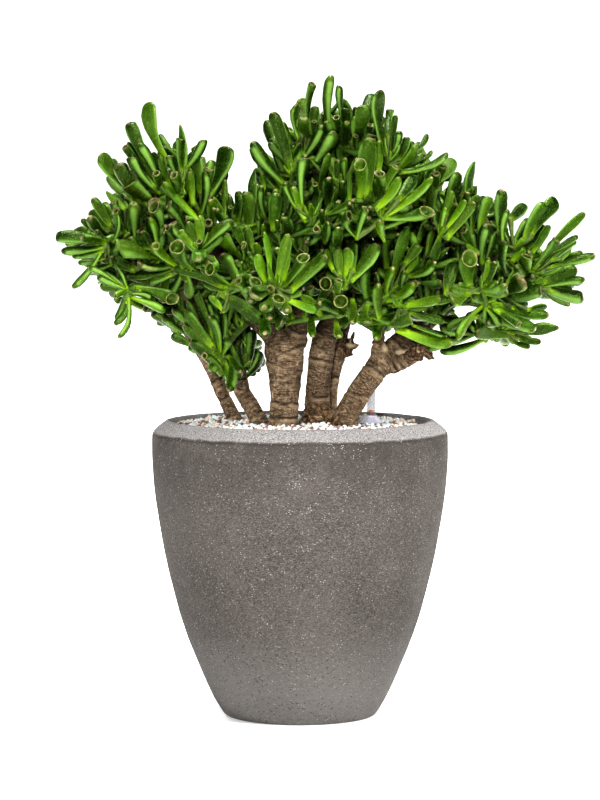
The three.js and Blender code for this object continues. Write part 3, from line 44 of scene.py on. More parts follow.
# ------------------------------------------------------------------ tables, in millimetres
# trunks: name, then each limb as points x, y, z and radius in mm
TRUNKS = {
    "trunk_left_rear": [[(-81.2, 52, 360.6, 10), (-88.8, 54, 378.3, 9), (-97.7, 57, 397.1, 8.5), (-105.4, 60, 416, 8.5), (-119.5, 66, 443.7, 8.5), (-142.5, 72, 479, 8), (-163.4, 88, 516.6, 7), (-179.5, 108, 551.8, 6)], [(-142.5, 72, 479, 6.5), (-170, 35, 508.4, 6), (-191.7, -10, 527.6, 5), (-201.5, -60, 534.2, 4.5)], [(-163.4, 88, 516.6, 6), (-190, 62, 565.7, 5.5), (-208, 20, 599.2, 5)]],
    "trunk_left": [[(-48.8, 0, 364.5, 10.5), (-58.8, 0, 382.1, 10.5), (-66.3, 0, 394.6, 10), (-73.2, 0, 407.2, 10), (-73.7, -2, 416.1, 10), (-84.8, -8, 441.4, 9.5), (-97.1, -12, 464.1, 9), (-117.9, -22, 498.2, 8), (-136.2, -32, 527.1, 7.5), (-158.1, -38, 568, 6.5), (-168, -35, 609.9, 5.5)], [(-136.2, -32, 527.1, 6), (-127.6, -62, 561.2, 5.5), (-122.7, -100, 575.5, 4.5)], [(-158.1, -38, 568, 6), (-141.3, -20, 609.7, 5.5), (-134.2, -8, 638.1, 5)]],
    "trunk_centre_left": [[(-19.9, -25, 361.4, 19), (-19.9, -25, 377.6, 18.3), (-18.6, -25, 396.3, 18.3), (-18.6, -25, 418.8, 20), (-18.6, -26, 443.7, 23.5), (-19.2, -27, 464.9, 25)], [(-19.2, -27, 464.9, 18), (-34.7, -31, 481.2, 16), (-54.4, -38, 498.8, 13), (-73.9, -50, 530.1, 10), (-93.6, -50, 568.3, 8), (-112.8, -22, 599.9, 7), (-104.6, 0, 636.8, 5.5)], [(-19.2, -27, 464.9, 18), (-4.9, -38, 484, 15), (0, -52, 506.8, 12), (-6.1, -78, 537.2, 9), (-17.1, -72, 568.8, 7.5), (-25.9, -45, 613.7, 6.5), (-17.3, -28, 656.7, 5)]],
    "trunk_centre": [[(20.1, 10, 361.3, 18), (21.3, 10, 378.9, 15.8), (22.6, 8, 406.7, 15), (25, 8, 438, 15.5), (28.8, 7, 463.2, 15.5), (32.5, 5, 478.3, 14.5), (38.7, 0, 497.3, 13), (42.3, -15, 526.5, 11), (44.6, -30, 560.4, 9.5), (44.5, -28, 601.2, 8.5), (42.1, -20, 644.4, 7.5), (39.7, -10, 687.7, 6)], [(42.3, -15, 526.5, 7), (51.5, -70, 536.9, 6), (54.5, -115, 542, 5)], [(44.5, -28, 601.2, 6), (27, -65, 612.7, 5)], [(42.1, -20, 644.4, 6), (17.4, -4, 679.1, 5)]],
    "trunk_rear": [[(37.3, 36, 359.3, 10), (37.9, 36, 392.2, 9.5), (40.4, 37, 423.8, 10), (45.4, 38, 449, 11), (53.1, 46, 480.2, 9), (59.6, 60, 511.3, 8.5), (63.6, 78, 542.4, 8), (70.1, 85, 580.4, 7.5), (78.8, 76, 625, 6.5), (84.5, 50, 666.8, 5.5)], [(45.4, 38, 449, 9), (55.4, 33, 458.1, 8), (64.2, 30, 462, 4.5), (70.5, 28, 462.8, 2.2)], [(63.6, 78, 542.4, 7), (15.4, 112, 564.5, 6), (-36.1, 132, 579.5, 5)], [(70.1, 85, 580.4, 6.5), (122.3, 128, 592.5, 6), (168.1, 145, 592.2, 5)]],
    "trunk_right": [[(55.9, -27, 364.1, 16.5), (58.4, -27, 377.8, 15.5), (64.6, -27, 390.3, 15), (72, -26.5, 402.7, 15), (80.7, -26, 416.3, 15), (92, -22, 431, 15), (102, -18, 445.7, 15)], [(102, -18, 445.7, 12), (98.7, -24, 461, 9), (98, -28, 469.9, 7.5), (100.2, -36, 483.9, 5.5), (105.7, -60, 509.6, 5)], [(102, -18, 445.7, 15), (114.6, -12, 457.9, 14), (128.4, -8, 470.2, 13), (142.2, -4, 480, 12.5), (154.8, -2, 489.9, 12), (172.3, 0, 504.8, 11), (189.5, -4, 519.9, 9.5), (206.6, -10, 538.8, 8.5), (228.9, -10, 559.9, 7), (251.8, -2, 572.2, 6)], [(102, -18, 445.7, 10), (113, -24, 436.1, 8), (124.1, -29, 440.8, 7.5), (135, -34, 446.6, 7.5), (149.4, -46, 459.6, 7.5), (167.6, -52, 472.3, 6.5), (187.4, -50, 484.5, 5.5), (210, -42, 486.6, 5)], [(172.3, 0, 504.8, 8.5), (174.2, -10, 545, 8), (167.9, -38, 582.8, 6.5), (158.3, -28, 625.9, 5.5)], [(174.2, -10, 545, 7), (145.1, 14, 594.3, 6), (119.3, -8, 650.5, 5.5), (110.9, -40, 674, 5)]],
}
# shoot tips: x, y, z in mm and the direction that the shoot grows in
HUBS = [
    (-175, -40, 661.7, -0.36, -0.15, 0.92), (-146.3, -50, 654.3, -0.17, -0.20, 0.96), (-122.1, -40, 629.7, -0.20, -0.33, 0.92), (-190.3, -30, 635.8, -0.49, -0.18, 0.85), (-216.2, -55, 607.7, -0.61, -0.22, 0.76),
    (-235.3, -85, 593.5, -0.82, -0.42, 0.38), (-173.7, -75, 573.8, -0.77, -0.51, 0.38), (-209.8, -110, 535.8, -0.99, -0.14, -0.00), (-168.2, -85, 600.8, -0.44, -0.59, 0.68), (-121.6, -135, 584.7, -0.15, -0.70, 0.69),
    (-139.6, -105, 562.3, -0.40, -0.73, 0.56), (-107.7, -70, 605.5, -0.17, -0.57, 0.80), (-86.1, -108, 536.9, -0.74, -0.63, 0.22), (-97.1, -62, 453.1, -0.66, -0.64, 0.38), (-144.3, -15, 486.7, -0.91, -0.41, 0.05),
    (-67.9, 25, 456, -0.44, 0.59, 0.68), (-9.8, -60, 676.3, -0.35, -0.11, 0.93), (-7.4, -45, 696, -0.02, -0.18, 0.98), (4.9, -35, 703.5, 0.12, -0.18, 0.98), (42.2, -10, 718.6, 0.09, -0.21, 0.97),
    (46.5, -70, 661.6, -0.05, -0.54, 0.84), (107, -90, 688.3, 0.23, -0.25, 0.94), (70, -50, 702.1, 0.12, -0.23, 0.97), (87.1, -110, 639.9, 0.03, -0.47, 0.88), (98.2, -150, 623.3, 0.27, -0.56, 0.79),
    (32.7, -115, 607.3, 0.03, -0.78, 0.62), (13.3, -110, 624.2, -0.06, -0.36, 0.93), (-46.6, -60, 616.4, -0.17, -0.46, 0.87), (-25.5, -95, 609.5, -0.03, -0.54, 0.84), (-83.6, -50, 613.8, -0.18, -0.33, 0.93),
    (-60.9, -88, 566.8, -0.22, -0.65, 0.73), (-28.8, -155, 540.8, 0.03, -0.83, 0.55), (-12.2, -100, 496.5, -0.18, -0.98, 0.05), (3.6, -95, 574.2, -0.05, -0.65, 0.76), (55.2, -150, 545.5, -0.01, -0.60, 0.80),
    (55.7, -120, 508.3, 0.02, -0.98, 0.17), (110.6, -100, 531.8, 0.33, -0.71, 0.62), (142.5, -60, 561.2, 0.45, -0.35, 0.82), (121.1, -115, 515.4, 0.63, -0.74, 0.22), (92.2, -60, 485, 0.28, -0.87, 0.40),
    (159.8, -50, 653.1, 0.21, -0.33, 0.92), (170, -100, 602.2, 0.40, -0.44, 0.81), (192.6, -35, 624.7, 0.40, -0.14, 0.90), (217.3, -60, 586.9, 0.52, -0.35, 0.78), (219.8, -125, 538.7, 0.20, -0.69, 0.70),
    (262.7, -60, 585.7, 0.60, -0.14, 0.79), (287.3, -45, 554.6, 0.74, -0.29, 0.61), (248.1, -80, 531.1, 0.73, -0.49, 0.49), (288.2, -50, 540, 0.91, -0.24, 0.33), (226.2, -100, 518.4, 0.87, -0.49, -0.01),
    (253.7, -55, 483.5, 0.90, -0.42, -0.13), (221.7, -55, 478.6, -0.31, -0.68, 0.66), (93.6, 43.1, 709.7, 0.10, 0.18, 0.98), (-77.5, 79.3, 475.9, -0.44, 0.89, -0.07), (265.5, 92.2, 491.5, 0.68, 0.72, 0.15),
    (-67.5, 77.5, 623.2, -0.22, 0.48, 0.85), (212.2, 77.8, 619, 0.39, 0.45, 0.80), (168.6, 16.1, 500.4, 0.95, 0.30, 0.04), (124.6, 97.9, 696.5, 0.14, 0.39, 0.91), (3.6, 57.6, 732.6, -0.04, 0.21, 0.98),
    (166.2, 171, 632.8, 0.20, 0.69, 0.70), (-51.1, 141.2, 513.3, -0.20, 0.94, 0.29), (-155.4, 38.7, 691, -0.30, 0.17, 0.94), (62.3, 83.6, 512, 0.14, 0.96, 0.26), (-124.1, 110.6, 652.2, -0.26, 0.51, 0.82),
    (2, 104, 539.3, -0.09, 0.88, 0.46), (-213.4, 122.5, 626.5, -0.41, 0.56, 0.72), (-217.3, 24.6, 552.6, -0.80, 0.22, 0.56), (-16, 16.1, 542.5, -0.43, 0.41, 0.80), (27.7, 172.6, 615.2, -0.00, 0.75, 0.67),
    (181.8, 122.5, 667.1, 0.23, 0.51, 0.83), (126.9, 105.7, 517, 0.30, 0.90, 0.31), (-251.3, 14.6, 604.8, -0.64, 0.09, 0.76), (246, 31.1, 509, 0.91, 0.36, 0.23), (254.4, 150.6, 511.7, 0.46, 0.84, 0.29),
    (-9.5, 110.8, 693, -0.06, 0.44, 0.90), (-120.6, 5.5, 652.2, -0.32, 0.03, 0.95), (174.5, 145.8, 509.3, 0.33, 0.90, 0.28), (-244.2, 102.3, 568.9, -0.58, 0.59, 0.56), (316.4, 122.5, 546.7, 0.58, 0.68, 0.45),
    (281.1, 76.6, 602.1, 0.53, 0.44, 0.72), (-167.7, 159, 640.3, -0.29, 0.63, 0.72), (-113.3, 176, 552.6, -0.25, 0.85, 0.46), (84.4, 151.9, 696.4, 0.07, 0.54, 0.84), (-159, 143, 535.7, -0.40, 0.82, 0.40),
    (-201.7, 57, 639.4, -0.45, 0.30, 0.84), (-161.2, 42.5, 510.5, -0.83, 0.50, 0.24), (-122.7, 133.1, 482, -0.39, 0.91, 0.12), (-21, 59.1, 665.5, -0.10, 0.31, 0.95), (-80.3, 138.1, 607.5, -0.20, 0.70, 0.69),
    (-55.4, 182.8, 571, -0.14, 0.84, 0.52), (260.5, 138.7, 589, 0.41, 0.68, 0.61), (138, 175.8, 575.9, 0.18, 0.82, 0.54), (300.4, 38.1, 554.1, 0.78, 0.30, 0.55), (-55.5, 5.9, 499.9, -0.97, 0.18, -0.16),
    (87.3, 145.1, 539.6, 0.13, 0.89, 0.43), (-184, 93.5, 546.6, -0.56, 0.67, 0.48), (-228.8, 155.8, 575.8, -0.44, 0.72, 0.54), (29.1, 168.3, 686, -0.00, 0.59, 0.81), (74.1, 104.7, 733.4, 0.06, 0.36, 0.93),
    (-61.5, 9.2, 613.4, -0.28, 0.08, 0.96), (113.3, 32.8, 522.4, 0.63, 0.68, 0.37), (-111.8, 20.1, 468.1, -0.87, 0.34, -0.36), (205.1, 158.4, 579.2, 0.31, 0.77, 0.56), (60.5, 9.9, 531.1, 0.50, 0.44, 0.74),
    (-21.3, 154.6, 638.3, -0.08, 0.66, 0.74), (92.3, 178.8, 636.1, 0.09, 0.70, 0.70), (9.3, 165.8, 560.3, -0.04, 0.86, 0.50), (-82, 119.8, 437, -0.32, 0.93, -0.18), (-175.4, 173, 586.5, -0.33, 0.76, 0.57),
    (-43.7, 73.9, 526.3, -0.32, 0.86, 0.39), (140, 5.2, 690.2, 0.19, 0.02, 0.98), (-178.5, 111.2, 674.6, -0.31, 0.45, 0.84), (-120.7, 57.9, 631.1, -0.33, 0.35, 0.88), (81.7, -41.7, 605.7, 0.16, -0.35, 0.92),
    (-98.9, -25.5, 544.7, -0.69, -0.37, 0.62), (55.3, 20, 586.5, 0.11, 0.23, 0.97), (-0.8, -25.6, 591.4, -0.12, -0.27, 0.95), (21.6, 56.9, 626.8, -0.02, 0.39, 0.92), (140.7, -1.3, 577.6, 0.47, -0.02, 0.88),
    (229.9, -13.6, 552.5, 0.78, -0.14, 0.61), (-186.8, 30.6, 595.3, -0.58, 0.22, 0.78), (-149.3, -28.9, 573.8, -0.62, -0.27, 0.74), (206.2, 58.4, 541, 0.64, 0.58, 0.50), (196.9, 18.9, 606.3, 0.47, 0.14, 0.87),
    (-106.7, 40.1, 563.2, -0.55, 0.44, 0.71), (72.6, -3.7, 647.2, 0.10, -0.02, 0.99), (126.4, 47.8, 654.2, 0.20, 0.27, 0.94), (33, 53.7, 550.2, 0.02, 0.74, 0.67), (173, -36.5, 511.6, 0.80, -0.56, 0.23),
    (248.8, 42.5, 566.8, 0.67, 0.36, 0.65), (86, -37, 543.2, 0.36, -0.65, 0.66), (-10.7, 3.6, 649.2, -0.09, 0.02, 1.00), (85.3, 58.6, 616.3, 0.15, 0.42, 0.90), (-207.3, -30.7, 561.2, -0.74, -0.26, 0.62),
    (32.6, -34.5, 545, 0.02, -0.68, 0.73), (40.6, 47.8, 690, 0.02, 0.22, 0.98), (-96.6, -28.5, 487, -0.84, -0.52, -0.15), (-34.2, -43.8, 550.6, -0.34, -0.64, 0.69), (130, -6.5, 638, 0.24, -0.04, 0.97),
    (161.3, 58.6, 587, 0.40, 0.48, 0.78), (-21.9, 46.9, 593.6, -0.18, 0.43, 0.88), (106.8, -34, 678.6, 0.14, -0.17, 0.98), (110.2, 58.2, 568.8, 0.30, 0.60, 0.74),
]
# shoots, left to right: where each grows out of its trunk, its twigs, and its leaves as (tip number, kind, tone, base x, y, z, end x, y, z, width); a dot after the kind: deeper in the crown
SHOOTS = [
    {"root": (-208, 20, 599.2), "twigs": [[(-216, 19, 600.3), (-233.7, 16.8, 602.5), (-251.3, 14.6, 604.8)]], "leaves": [
        (72, "f", "b", -245, 15.2, 595.1, -278, 47.1, 594.5, 10.7), (72, "f", "m", -242.5, 12.1, 597.2, -227.6, -20.8, 643.3, 11.7), (72, "f", "m", -242.2, 11.5, 591.3, -277.2, -20.7, 580.8, 10.6), (72, "b", "p", -239.8, 15.2, 593.2, -223, 66.4, 628.1, 15.6),
        (72, "t", "m", -236.9, 10.7, 589.9, -217.7, -35, 618.6, 13.7), (72, "f", "p", -239.2, 14.6, 588, -270.7, 58.2, 574.4, 10.6), (72, "b.", "d", -236.6, 16.2, 602.4, -270, 9.2, 603.2, 14.9), (72, "f.", "m", -248.2, 16, 603.1, -294.6, 27.1, 589.3, 12.2),
        (72, "b.", "m", -240.2, 19, 603.5, -250.8, 69.3, 609.4, 12.5), (72, "f.", "d", -241.9, 17.9, 603.2, -284.4, 51.1, 604.4, 13.8), (72, "p.", "m", -240.6, 13.3, 603.6, -254.3, -24, 610.6, 11.3), (72, "f.", "d", -236.4, 17, 601.3, -284.1, 19.6, 582.1, 13.7),
        (72, "f.", "d", -217.6, 16.6, 601.3, -236.4, -12, 616.4, 12.4), (72, "b.", "d", -218.1, 17.2, 599.1, -249.3, -10.6, 584.7, 15.3), (72, "f.", "d", -234.4, 15.7, 605.2, -243.5, 2.3, 638.4, 11.9), (72, "f.", "d", -245.5, 18.1, 605.3, -245.5, 68.2, 631.1, 14.4),
        (72, "p.", "d", -235.7, 18.2, 604.3, -259, 33.6, 626.8, 13.7), (72, "f.", "d", -230, 19.5, 601, -269.3, 56.9, 589.4, 11.3), (72, "f.", "m", -216, 16.6, 602, -215.2, -14.7, 627.7, 13.3),
    ]},
    {"root": (-152, -36.3, 556.6), "twigs": [[(-159.4, -34.3, 553), (-188.2, -27.5, 541.4), (-207.3, -30.7, 561.2)], [(-207.3, -30.7, 561.2), (-211.8, -42.9, 584.4), (-216.2, -55, 607.7)], [(-216.2, -55, 607.7), (-225.8, -70, 600.6), (-235.3, -85, 593.5)]], "leaves": [
        (4, "P", "p", -213.4, -60, 632.3, -238.1, -55.3, 655.5, 10.1), (4, "F", "p", -230.8, -58.5, 610.2, -253.7, -61.7, 647, 12.6), (4, "F", "b", -228.7, -51.2, 619.9, -244.9, -8.2, 640.6, 11.3), (4, "T", "d", -227.4, -54.9, 593, -229.1, -62.9, 642.1, 11.3),
        (4, "B", "p", -199.3, -51.5, 590.5, -203, -69.9, 640.9, 18.9), (4, "C", "p", -231.1, -53.6, 605.2, -257, -50.2, 632.2, 12.6), (4, "C", "d", -233.2, -59.1, 599.2, -256.4, -95.2, 625.2, 13.8), (4, "F", "d", -243.3, -54.6, 597.9, -267.8, -54.5, 621.2, 8.8),
        (4, "F", "m", -243.6, -51.3, 596.6, -261.8, -53.2, 610.1, 7.6), (5, "B", "d", -235.3, -85, 593.5, -297.6, -83.6, 599.6, 16.4), (5, "F", "m", -235.3, -85, 593.5, -264.4, -122.5, 599, 10.1), (5, "S", "p", -243.6, -89.4, 594.8, -275.1, -39.1, 608.7, 15.1),
        (5, "F", "d", -238.9, -86.1, 587.4, -291.2, -88.6, 582.6, 12.6), (5, "F", "m", -238.8, -88.5, 582.6, -278.2, -84.1, 576.4, 8.8), (5, "F", "p", -240.2, -86.2, 585, -277.6, -94.2, 537.7, 11.3), (5, "F", "m", -236.9, -80.2, 573.9, -271.4, -76.4, 567.7, 8.8),
        (5, "F", "d", -229.4, -84.1, 566.7, -261.3, -82.6, 558.1, 10.1), (5, "P", "d", -228.1, -83.6, 593.5, -221.2, -116, 630.2, 10.1), (5, "T", "m", -239.1, -83.2, 595.9, -246.6, -116.3, 606.1, 7.6), (134, "s", "m", -209.6, -31.3, 562, -236.3, -38.4, 573.9, 11.6),
        (134, "f", "m", -208.7, -31.4, 563.2, -220.1, -36.7, 582, 7.1), (134, "t", "m", -205.6, -31.2, 559.9, -225.6, -53.5, 581.1, 11.1), (134, "f", "b", -201, -29.2, 558.4, -198.5, -41.6, 606.9, 10.3), (134, "f", "b", -203.4, -29.3, 555.5, -246.6, -43.3, 547.7, 13.1),
        (134, "b", "d", -199.1, -25.6, 554.7, -218.7, 6, 579.3, 12), (134, "f", "m", -198.4, -29.8, 554.1, -205.5, -69.2, 567.7, 13.3), (134, "f", "m", -196.9, -26.7, 549.4, -233.2, -33.7, 528.6, 11.5), (134, "f", "m", -193.8, -26.1, 553.1, -173.5, -21.8, 599.4, 11.8),
        (134, "t", "m", -190.8, -27.5, 548, -173.4, -68.3, 549.3, 10.6), (4, "t", "d", -217.2, -56.2, 609.7, -224.9, -65.1, 626.6, 7.4), (4, "f", "d", -214.1, -53.8, 607, -219.9, -49.6, 644.2, 10.3), (4, "f", "m", -213.1, -51.8, 602.1, -247.5, -28.4, 618, 13.2),
        (4, "t", "m", -210.6, -53.4, 597.3, -249.6, -76.6, 583, 10.2), (4, "f", "m", -201.7, -49.9, 593.5, -174.3, -42.9, 625.6, 11.6), (5, "b", "m", -237.5, -86.2, 593.6, -258.2, -97.5, 596.7, 8.5), (4, "f.", "d", -212, -36.2, 573, -258.2, -35.9, 599, 10.9),
        (134, "t.", "d", -176.6, -31.9, 543.9, -190.3, -53.2, 511.3, 11.4), (134, "f.", "m", -190.8, -29, 541.9, -219.6, -45.8, 551.3, 10.8), (5, "f.", "d", -226, -72.1, 598.4, -229.1, -96.7, 575.3, 11.5), (5, "f.", "b", -220.9, -58.2, 607.5, -244.2, -37.7, 639.4, 11),
        (134, "f.", "d", -161.1, -35.9, 554.8, -190.3, -63.4, 590.2, 11.1), (134, "f.", "m", -171.3, -32.6, 551.2, -188.7, -47.4, 597, 13.8), (4, "s.", "m", -209.5, -41.2, 578.8, -198.6, -71.7, 606.9, 19.3), (4, "b.", "d", -213.1, -48.8, 597.8, -204.4, -55.1, 638.5, 12.1),
        (4, "f.", "m", -208.8, -32.2, 569.1, -217.4, -11, 616.9, 10.8), (5, "f.", "d", -220.9, -61.9, 604.2, -239.4, -86, 593.4, 14.2), (134, "t.", "d", -186.9, -29.6, 544.5, -190, -50.2, 577.5, 13.6), (4, "t.", "d", -213.5, -43, 583.7, -238.2, -58.3, 604.5, 11.6),
        (4, "f.", "m", -215.7, -53.2, 602.1, -227.1, -78.6, 627.7, 10.8), (134, "f.", "d", -190.8, -26.1, 541.2, -222.5, -8.3, 542.2, 13.2), (4, "f.", "b", -208.2, -33.5, 560.4, -221, -71.9, 552.9, 12.4), (134, "f.", "m", -167.3, -31.3, 550.3, -212.1, 0.5, 545.4, 12.3),
        (4, "b.", "m", -214.6, -47.5, 597.7, -229.2, -31.6, 652.5, 11.7), (5, "t.", "m", -222.4, -66.7, 605.1, -224.8, -95.9, 631.5, 11.6), (4, "r.", "d", -211, -42, 587.2, -201, -31.2, 623.2, 15.2), (134, "b.", "p", -214.3, -32.6, 534.8, -227.5, -36.1, 495.4, 11.7),
        (4, "s.", "p", -215.9, -58.1, 607.9, -213, -86.7, 601.2, 12.3),
    ]},
    {"root": (-191.5, -9.6, 527.4), "twigs": [[(-196.4, -5.5, 531.5), (-210.3, 16.2, 558), (-217.3, 24.6, 552.6)]], "leaves": [
        (67, "f", "p", -219.6, 25.3, 553.3, -245.6, 33.9, 563.5, 7.5), (67, "f", "m", -219.2, 25, 554.2, -235.5, 28.4, 570.7, 6.7), (67, "c", "d", -216.1, 22.9, 551.3, -249, 10.1, 569, 13.8), (67, "f", "d", -215.4, 25.2, 551.6, -235.6, 45.8, 573.2, 9.7),
        (67, "p", "p", -212.8, 23.8, 547.2, -251, 41.4, 538.2, 12.1), (67, "f", "d", -207.8, 24.2, 546.2, -218.2, 76.2, 564.6, 11.6), (67, "f", "m", -209.2, 20.3, 546, -255.5, -16.2, 558.7, 10.5), (67, "p", "d", -200.3, 22.5, 540.5, -193.9, 74, 538.5, 10.6),
        (67, "f.", "d", -218.2, 27.2, 553.3, -236, 75.8, 567.7, 14.1), (67, "f.", "d", -203.3, 5.9, 547.3, -204.9, 15.4, 582.4, 12.4), (67, "t.", "m", -214.9, 20.9, 552.6, -231.4, 29.3, 517.7, 10.7), (67, "p.", "p", -206, 11.2, 550, -215.8, 51.9, 573.4, 10.9),
        (67, "s.", "d", -203, 3.8, 547.1, -199.7, -17.8, 595.5, 19.4), (67, "f.", "m", -207.5, 8.1, 550.8, -233.3, 1.1, 580.2, 13.7), (67, "f.", "d", -202.6, -0.2, 541.9, -227.8, -25.8, 570.9, 12.8), (67, "f.", "d", -208.9, 14.4, 554.6, -226, 44.9, 579, 12.2),
        (67, "f.", "d", -196.2, -3.1, 533.3, -194.1, 25.6, 557.3, 13.1), (67, "p.", "d", -210.2, 10.6, 553.5, -253.7, -16.3, 565.5, 12.8), (67, "f.", "m", -205.3, 11.6, 549.3, -203.5, 49.2, 559.3, 12.7), (67, "f.", "d", -216.7, 21, 554.9, -255.1, 29.4, 552.8, 12.1),
        (67, "f.", "d", -206.4, 11.4, 548.1, -222.8, 55.1, 542.1, 12.6), (67, "f.", "p", -212.3, 18.4, 557.2, -245, 53.4, 547.5, 11.8), (67, "f.", "b", -203.7, 2.2, 539.2, -236.8, 10.3, 531.7, 11), (67, "f.", "d", -198.9, 2.6, 542.1, -166.7, 19.1, 577.9, 12.7),
        (67, "f.", "b", -213, 16, 556.7, -247.1, 12.5, 542.7, 14),
    ]},
    {"root": (-201.5, -60, 534.2), "twigs": [[(-203.1, -69.5, 534.5), (-206.4, -89.8, 535.1), (-209.8, -110, 535.8)]], "leaves": [
        (7, "F", "m", -209.8, -110, 535.8, -245.8, -114, 551.7, 11.3), (7, "F", "m", -220.8, -108.3, 541.8, -256.9, -111.1, 562.5, 10.1), (7, "F", "m", -213.6, -106.3, 533.2, -242.9, -104, 539.2, 11.3), (7, "T", "b", -209.8, -110, 535.8, -222.5, -141.8, 529.6, 7.6),
        (7, "S", "p", -208.4, -113.7, 529.8, -221, -108.9, 477.5, 17.6), (7, "R", "p", -202.7, -105.6, 539.3, -155.1, -113.7, 525, 16.4), (7, "F", "b", -205.2, -106, 525.9, -164, -105, 508.9, 12.6), (7, "S", "d", -210.8, -113.5, 526.2, -234.8, -57.7, 529.2, 12.6),
        (7, "F", "p", -210.9, -113.1, 521.3, -194.2, -83.4, 512.9, 8.8), (7, "P", "m", -209.8, -110, 535.8, -229.6, -80, 569, 10.1), (7, "F", "d", -204, -105.7, 530.8, -179.7, -105, 523.5, 10.1), (7, "f", "b", -194.1, -105.5, 535.2, -211.2, -64.7, 528.9, 11.6),
        (7, "t.", "d", -206.9, -75.1, 535.6, -248.3, -69.4, 553, 12.5), (7, "f.", "m", -204.5, -70.2, 531.9, -227.7, -81, 493.1, 10.9), (7, "f.", "m", -208.8, -86.9, 536.2, -243.6, -81.7, 553.9, 12), (7, "f.", "m", -212, -106.7, 536.9, -242.2, -96.8, 554.3, 12.1),
    ]},
    {"root": (-179.5, 108, 551.8), "twigs": [[(-188.9, 107.2, 554.3), (-216.5, 104.7, 561.6), (-244.2, 102.3, 568.9)], [(-216.5, 104.7, 561.6), (-222.7, 130.3, 568.7), (-228.8, 155.8, 575.8)], [(-228.8, 155.8, 575.8), (-202.1, 164.4, 581.1), (-175.4, 173, 586.5)], [(-222.7, 130.3, 568.7), (-218, 126.4, 597.6), (-213.4, 122.5, 626.5)], [(-175.4, 173, 586.5), (-171.6, 166, 613.4), (-167.7, 159, 640.3)]], "leaves": [
        (78, "f", "d", -246, 104, 569.4, -262.3, 119.4, 575.9, 7.4), (78, "f", "m", -245.4, 103.7, 570.5, -257.9, 118.1, 588.8, 7.1), (78, "f", "m", -244, 99.6, 567.7, -274.5, 96.4, 585.2, 11.4), (78, "b", "d", -242.1, 102.1, 567.5, -247.5, 136.9, 585.1, 13.2),
        (78, "f", "p", -239.1, 97.9, 566.6, -235.5, 106.3, 608.1, 12.5), (78, "f", "m", -241.2, 98.7, 563.4, -273.3, 121.9, 551.4, 9.9), (78, "r", "b", -236, 97.2, 562.1, -217.7, 144, 570.3, 16.3), (78, "f", "m", -233.6, 91.7, 561.7, -214.1, 76.8, 616.8, 11.9),
        (78, "p", "d", -233.7, 88.1, 557, -269.2, 49.6, 560.2, 11.1), (78, "c", "d", -230.6, 92, 556.8, -208.6, 125.6, 556.3, 19), (81, "p", "b", -168.7, 160.5, 642, -178, 173.6, 659.3, 7.5), (81, "s", "p", -166.9, 156.7, 639.7, -175.8, 162.3, 687.4, 13),
        (81, "f", "p", -167.5, 158.6, 637.4, -184, 196.6, 641.8, 9.4), (81, "r", "m", -164.3, 155.6, 635.5, -146.8, 189.5, 661.2, 14), (81, "f", "m", -167.3, 154.2, 635.5, -199.8, 162, 658.5, 10.3), (81, "b", "b", -164.6, 153.5, 631, -174.9, 197.8, 629.1, 13.2),
        (81, "f", "p", -165.2, 147.6, 627.8, -217.1, 128.9, 625.5, 11.2), (81, "c", "d", -161, 150.1, 628.3, -126.1, 181.2, 636.9, 16.1), (81, "f", "d", -160.8, 144.1, 626.8, -146.2, 115.3, 661.6, 13.3), (81, "f", "m", -162.6, 147.3, 623.4, -180.1, 173.6, 598.3, 13.7),
        (109, "f", "m", -176.2, 175.1, 587.5, -182.2, 192.5, 597.4, 6.1), (109, "f", "d", -176.1, 171.2, 584.4, -204.1, 190.4, 591, 9), (109, "f", "d", -174, 171.6, 585.9, -173, 191.9, 608.5, 11.4), (109, "r", "d", -172.8, 169.1, 581.5, -174.2, 215.3, 580.1, 16.4),
        (109, "p", "m", -169.3, 164.7, 580.3, -129.4, 189.4, 601.9, 12), (109, "f", "d", -173.8, 163.8, 579.3, -222.9, 170.9, 580.8, 11.3), (109, "f", "b", -169.3, 162.5, 576.1, -157.3, 203.4, 564.9, 11.7), (109, "b", "d", -171.5, 159.3, 578.5, -199.1, 141.9, 610.4, 12.5),
        (109, "r", "d", -170.8, 157.4, 573.6, -207.5, 161.3, 562.4, 14.2), (109, "t", "d", -166.3, 157.2, 575.7, -128.2, 159.4, 600.4, 12.4), (66, "b", "m", -215.3, 123.5, 627.7, -231.6, 132, 640, 8.7), (66, "f", "m", -212.6, 120.3, 625.8, -227.1, 123.3, 663.5, 8.9),
        (66, "p", "d", -212.4, 118, 621.1, -254.6, 120.8, 634.5, 11.2), (66, "f", "m", -209.1, 117.7, 616.7, -226.2, 164.1, 604.2, 11.4), (66, "f", "p", -208.9, 112.3, 614.4, -264.7, 92.2, 620.2, 10.2), (66, "r", "d", -205.6, 112.6, 609.7, -223.2, 152, 579.9, 15.1),
        (97, "t", "p", -230.3, 157.7, 576.4, -244.1, 176.8, 584.1, 8.1), (97, "p", "d", -229.5, 157.4, 577.6, -236.6, 174.7, 597.6, 6.5), (97, "t", "p", -229.1, 153.3, 574.8, -259.3, 161.6, 594.3, 9.9), (97, "f", "d", -226.2, 152, 570.8, -247.7, 199.8, 562.5, 10.1),
        (97, "f", "b", -225.7, 146.4, 569.7, -280.7, 138.6, 586.8, 10.6), (97, "f", "d", -221.7, 145.7, 565.3, -227.7, 194.1, 534.2, 11.2), (109, "f.", "m", -229.6, 156.6, 578.6, -238.4, 166.1, 613.2, 12.6), (97, "f.", "d", -225.7, 138.3, 569.7, -256.7, 184.2, 561.4, 14.1),
        (109, "f.", "d", -219.1, 160.5, 580.4, -245.7, 180.7, 625, 13.2), (109, "f.", "d", -182.2, 172.6, 587, -223.6, 188.9, 613.1, 11.6), (109, "f.", "d", -181.3, 173.8, 586.8, -208.2, 210.5, 609, 10.8), (81, "f.", "m", -170.1, 161.3, 638.3, -206.5, 186.1, 678.9, 10.8),
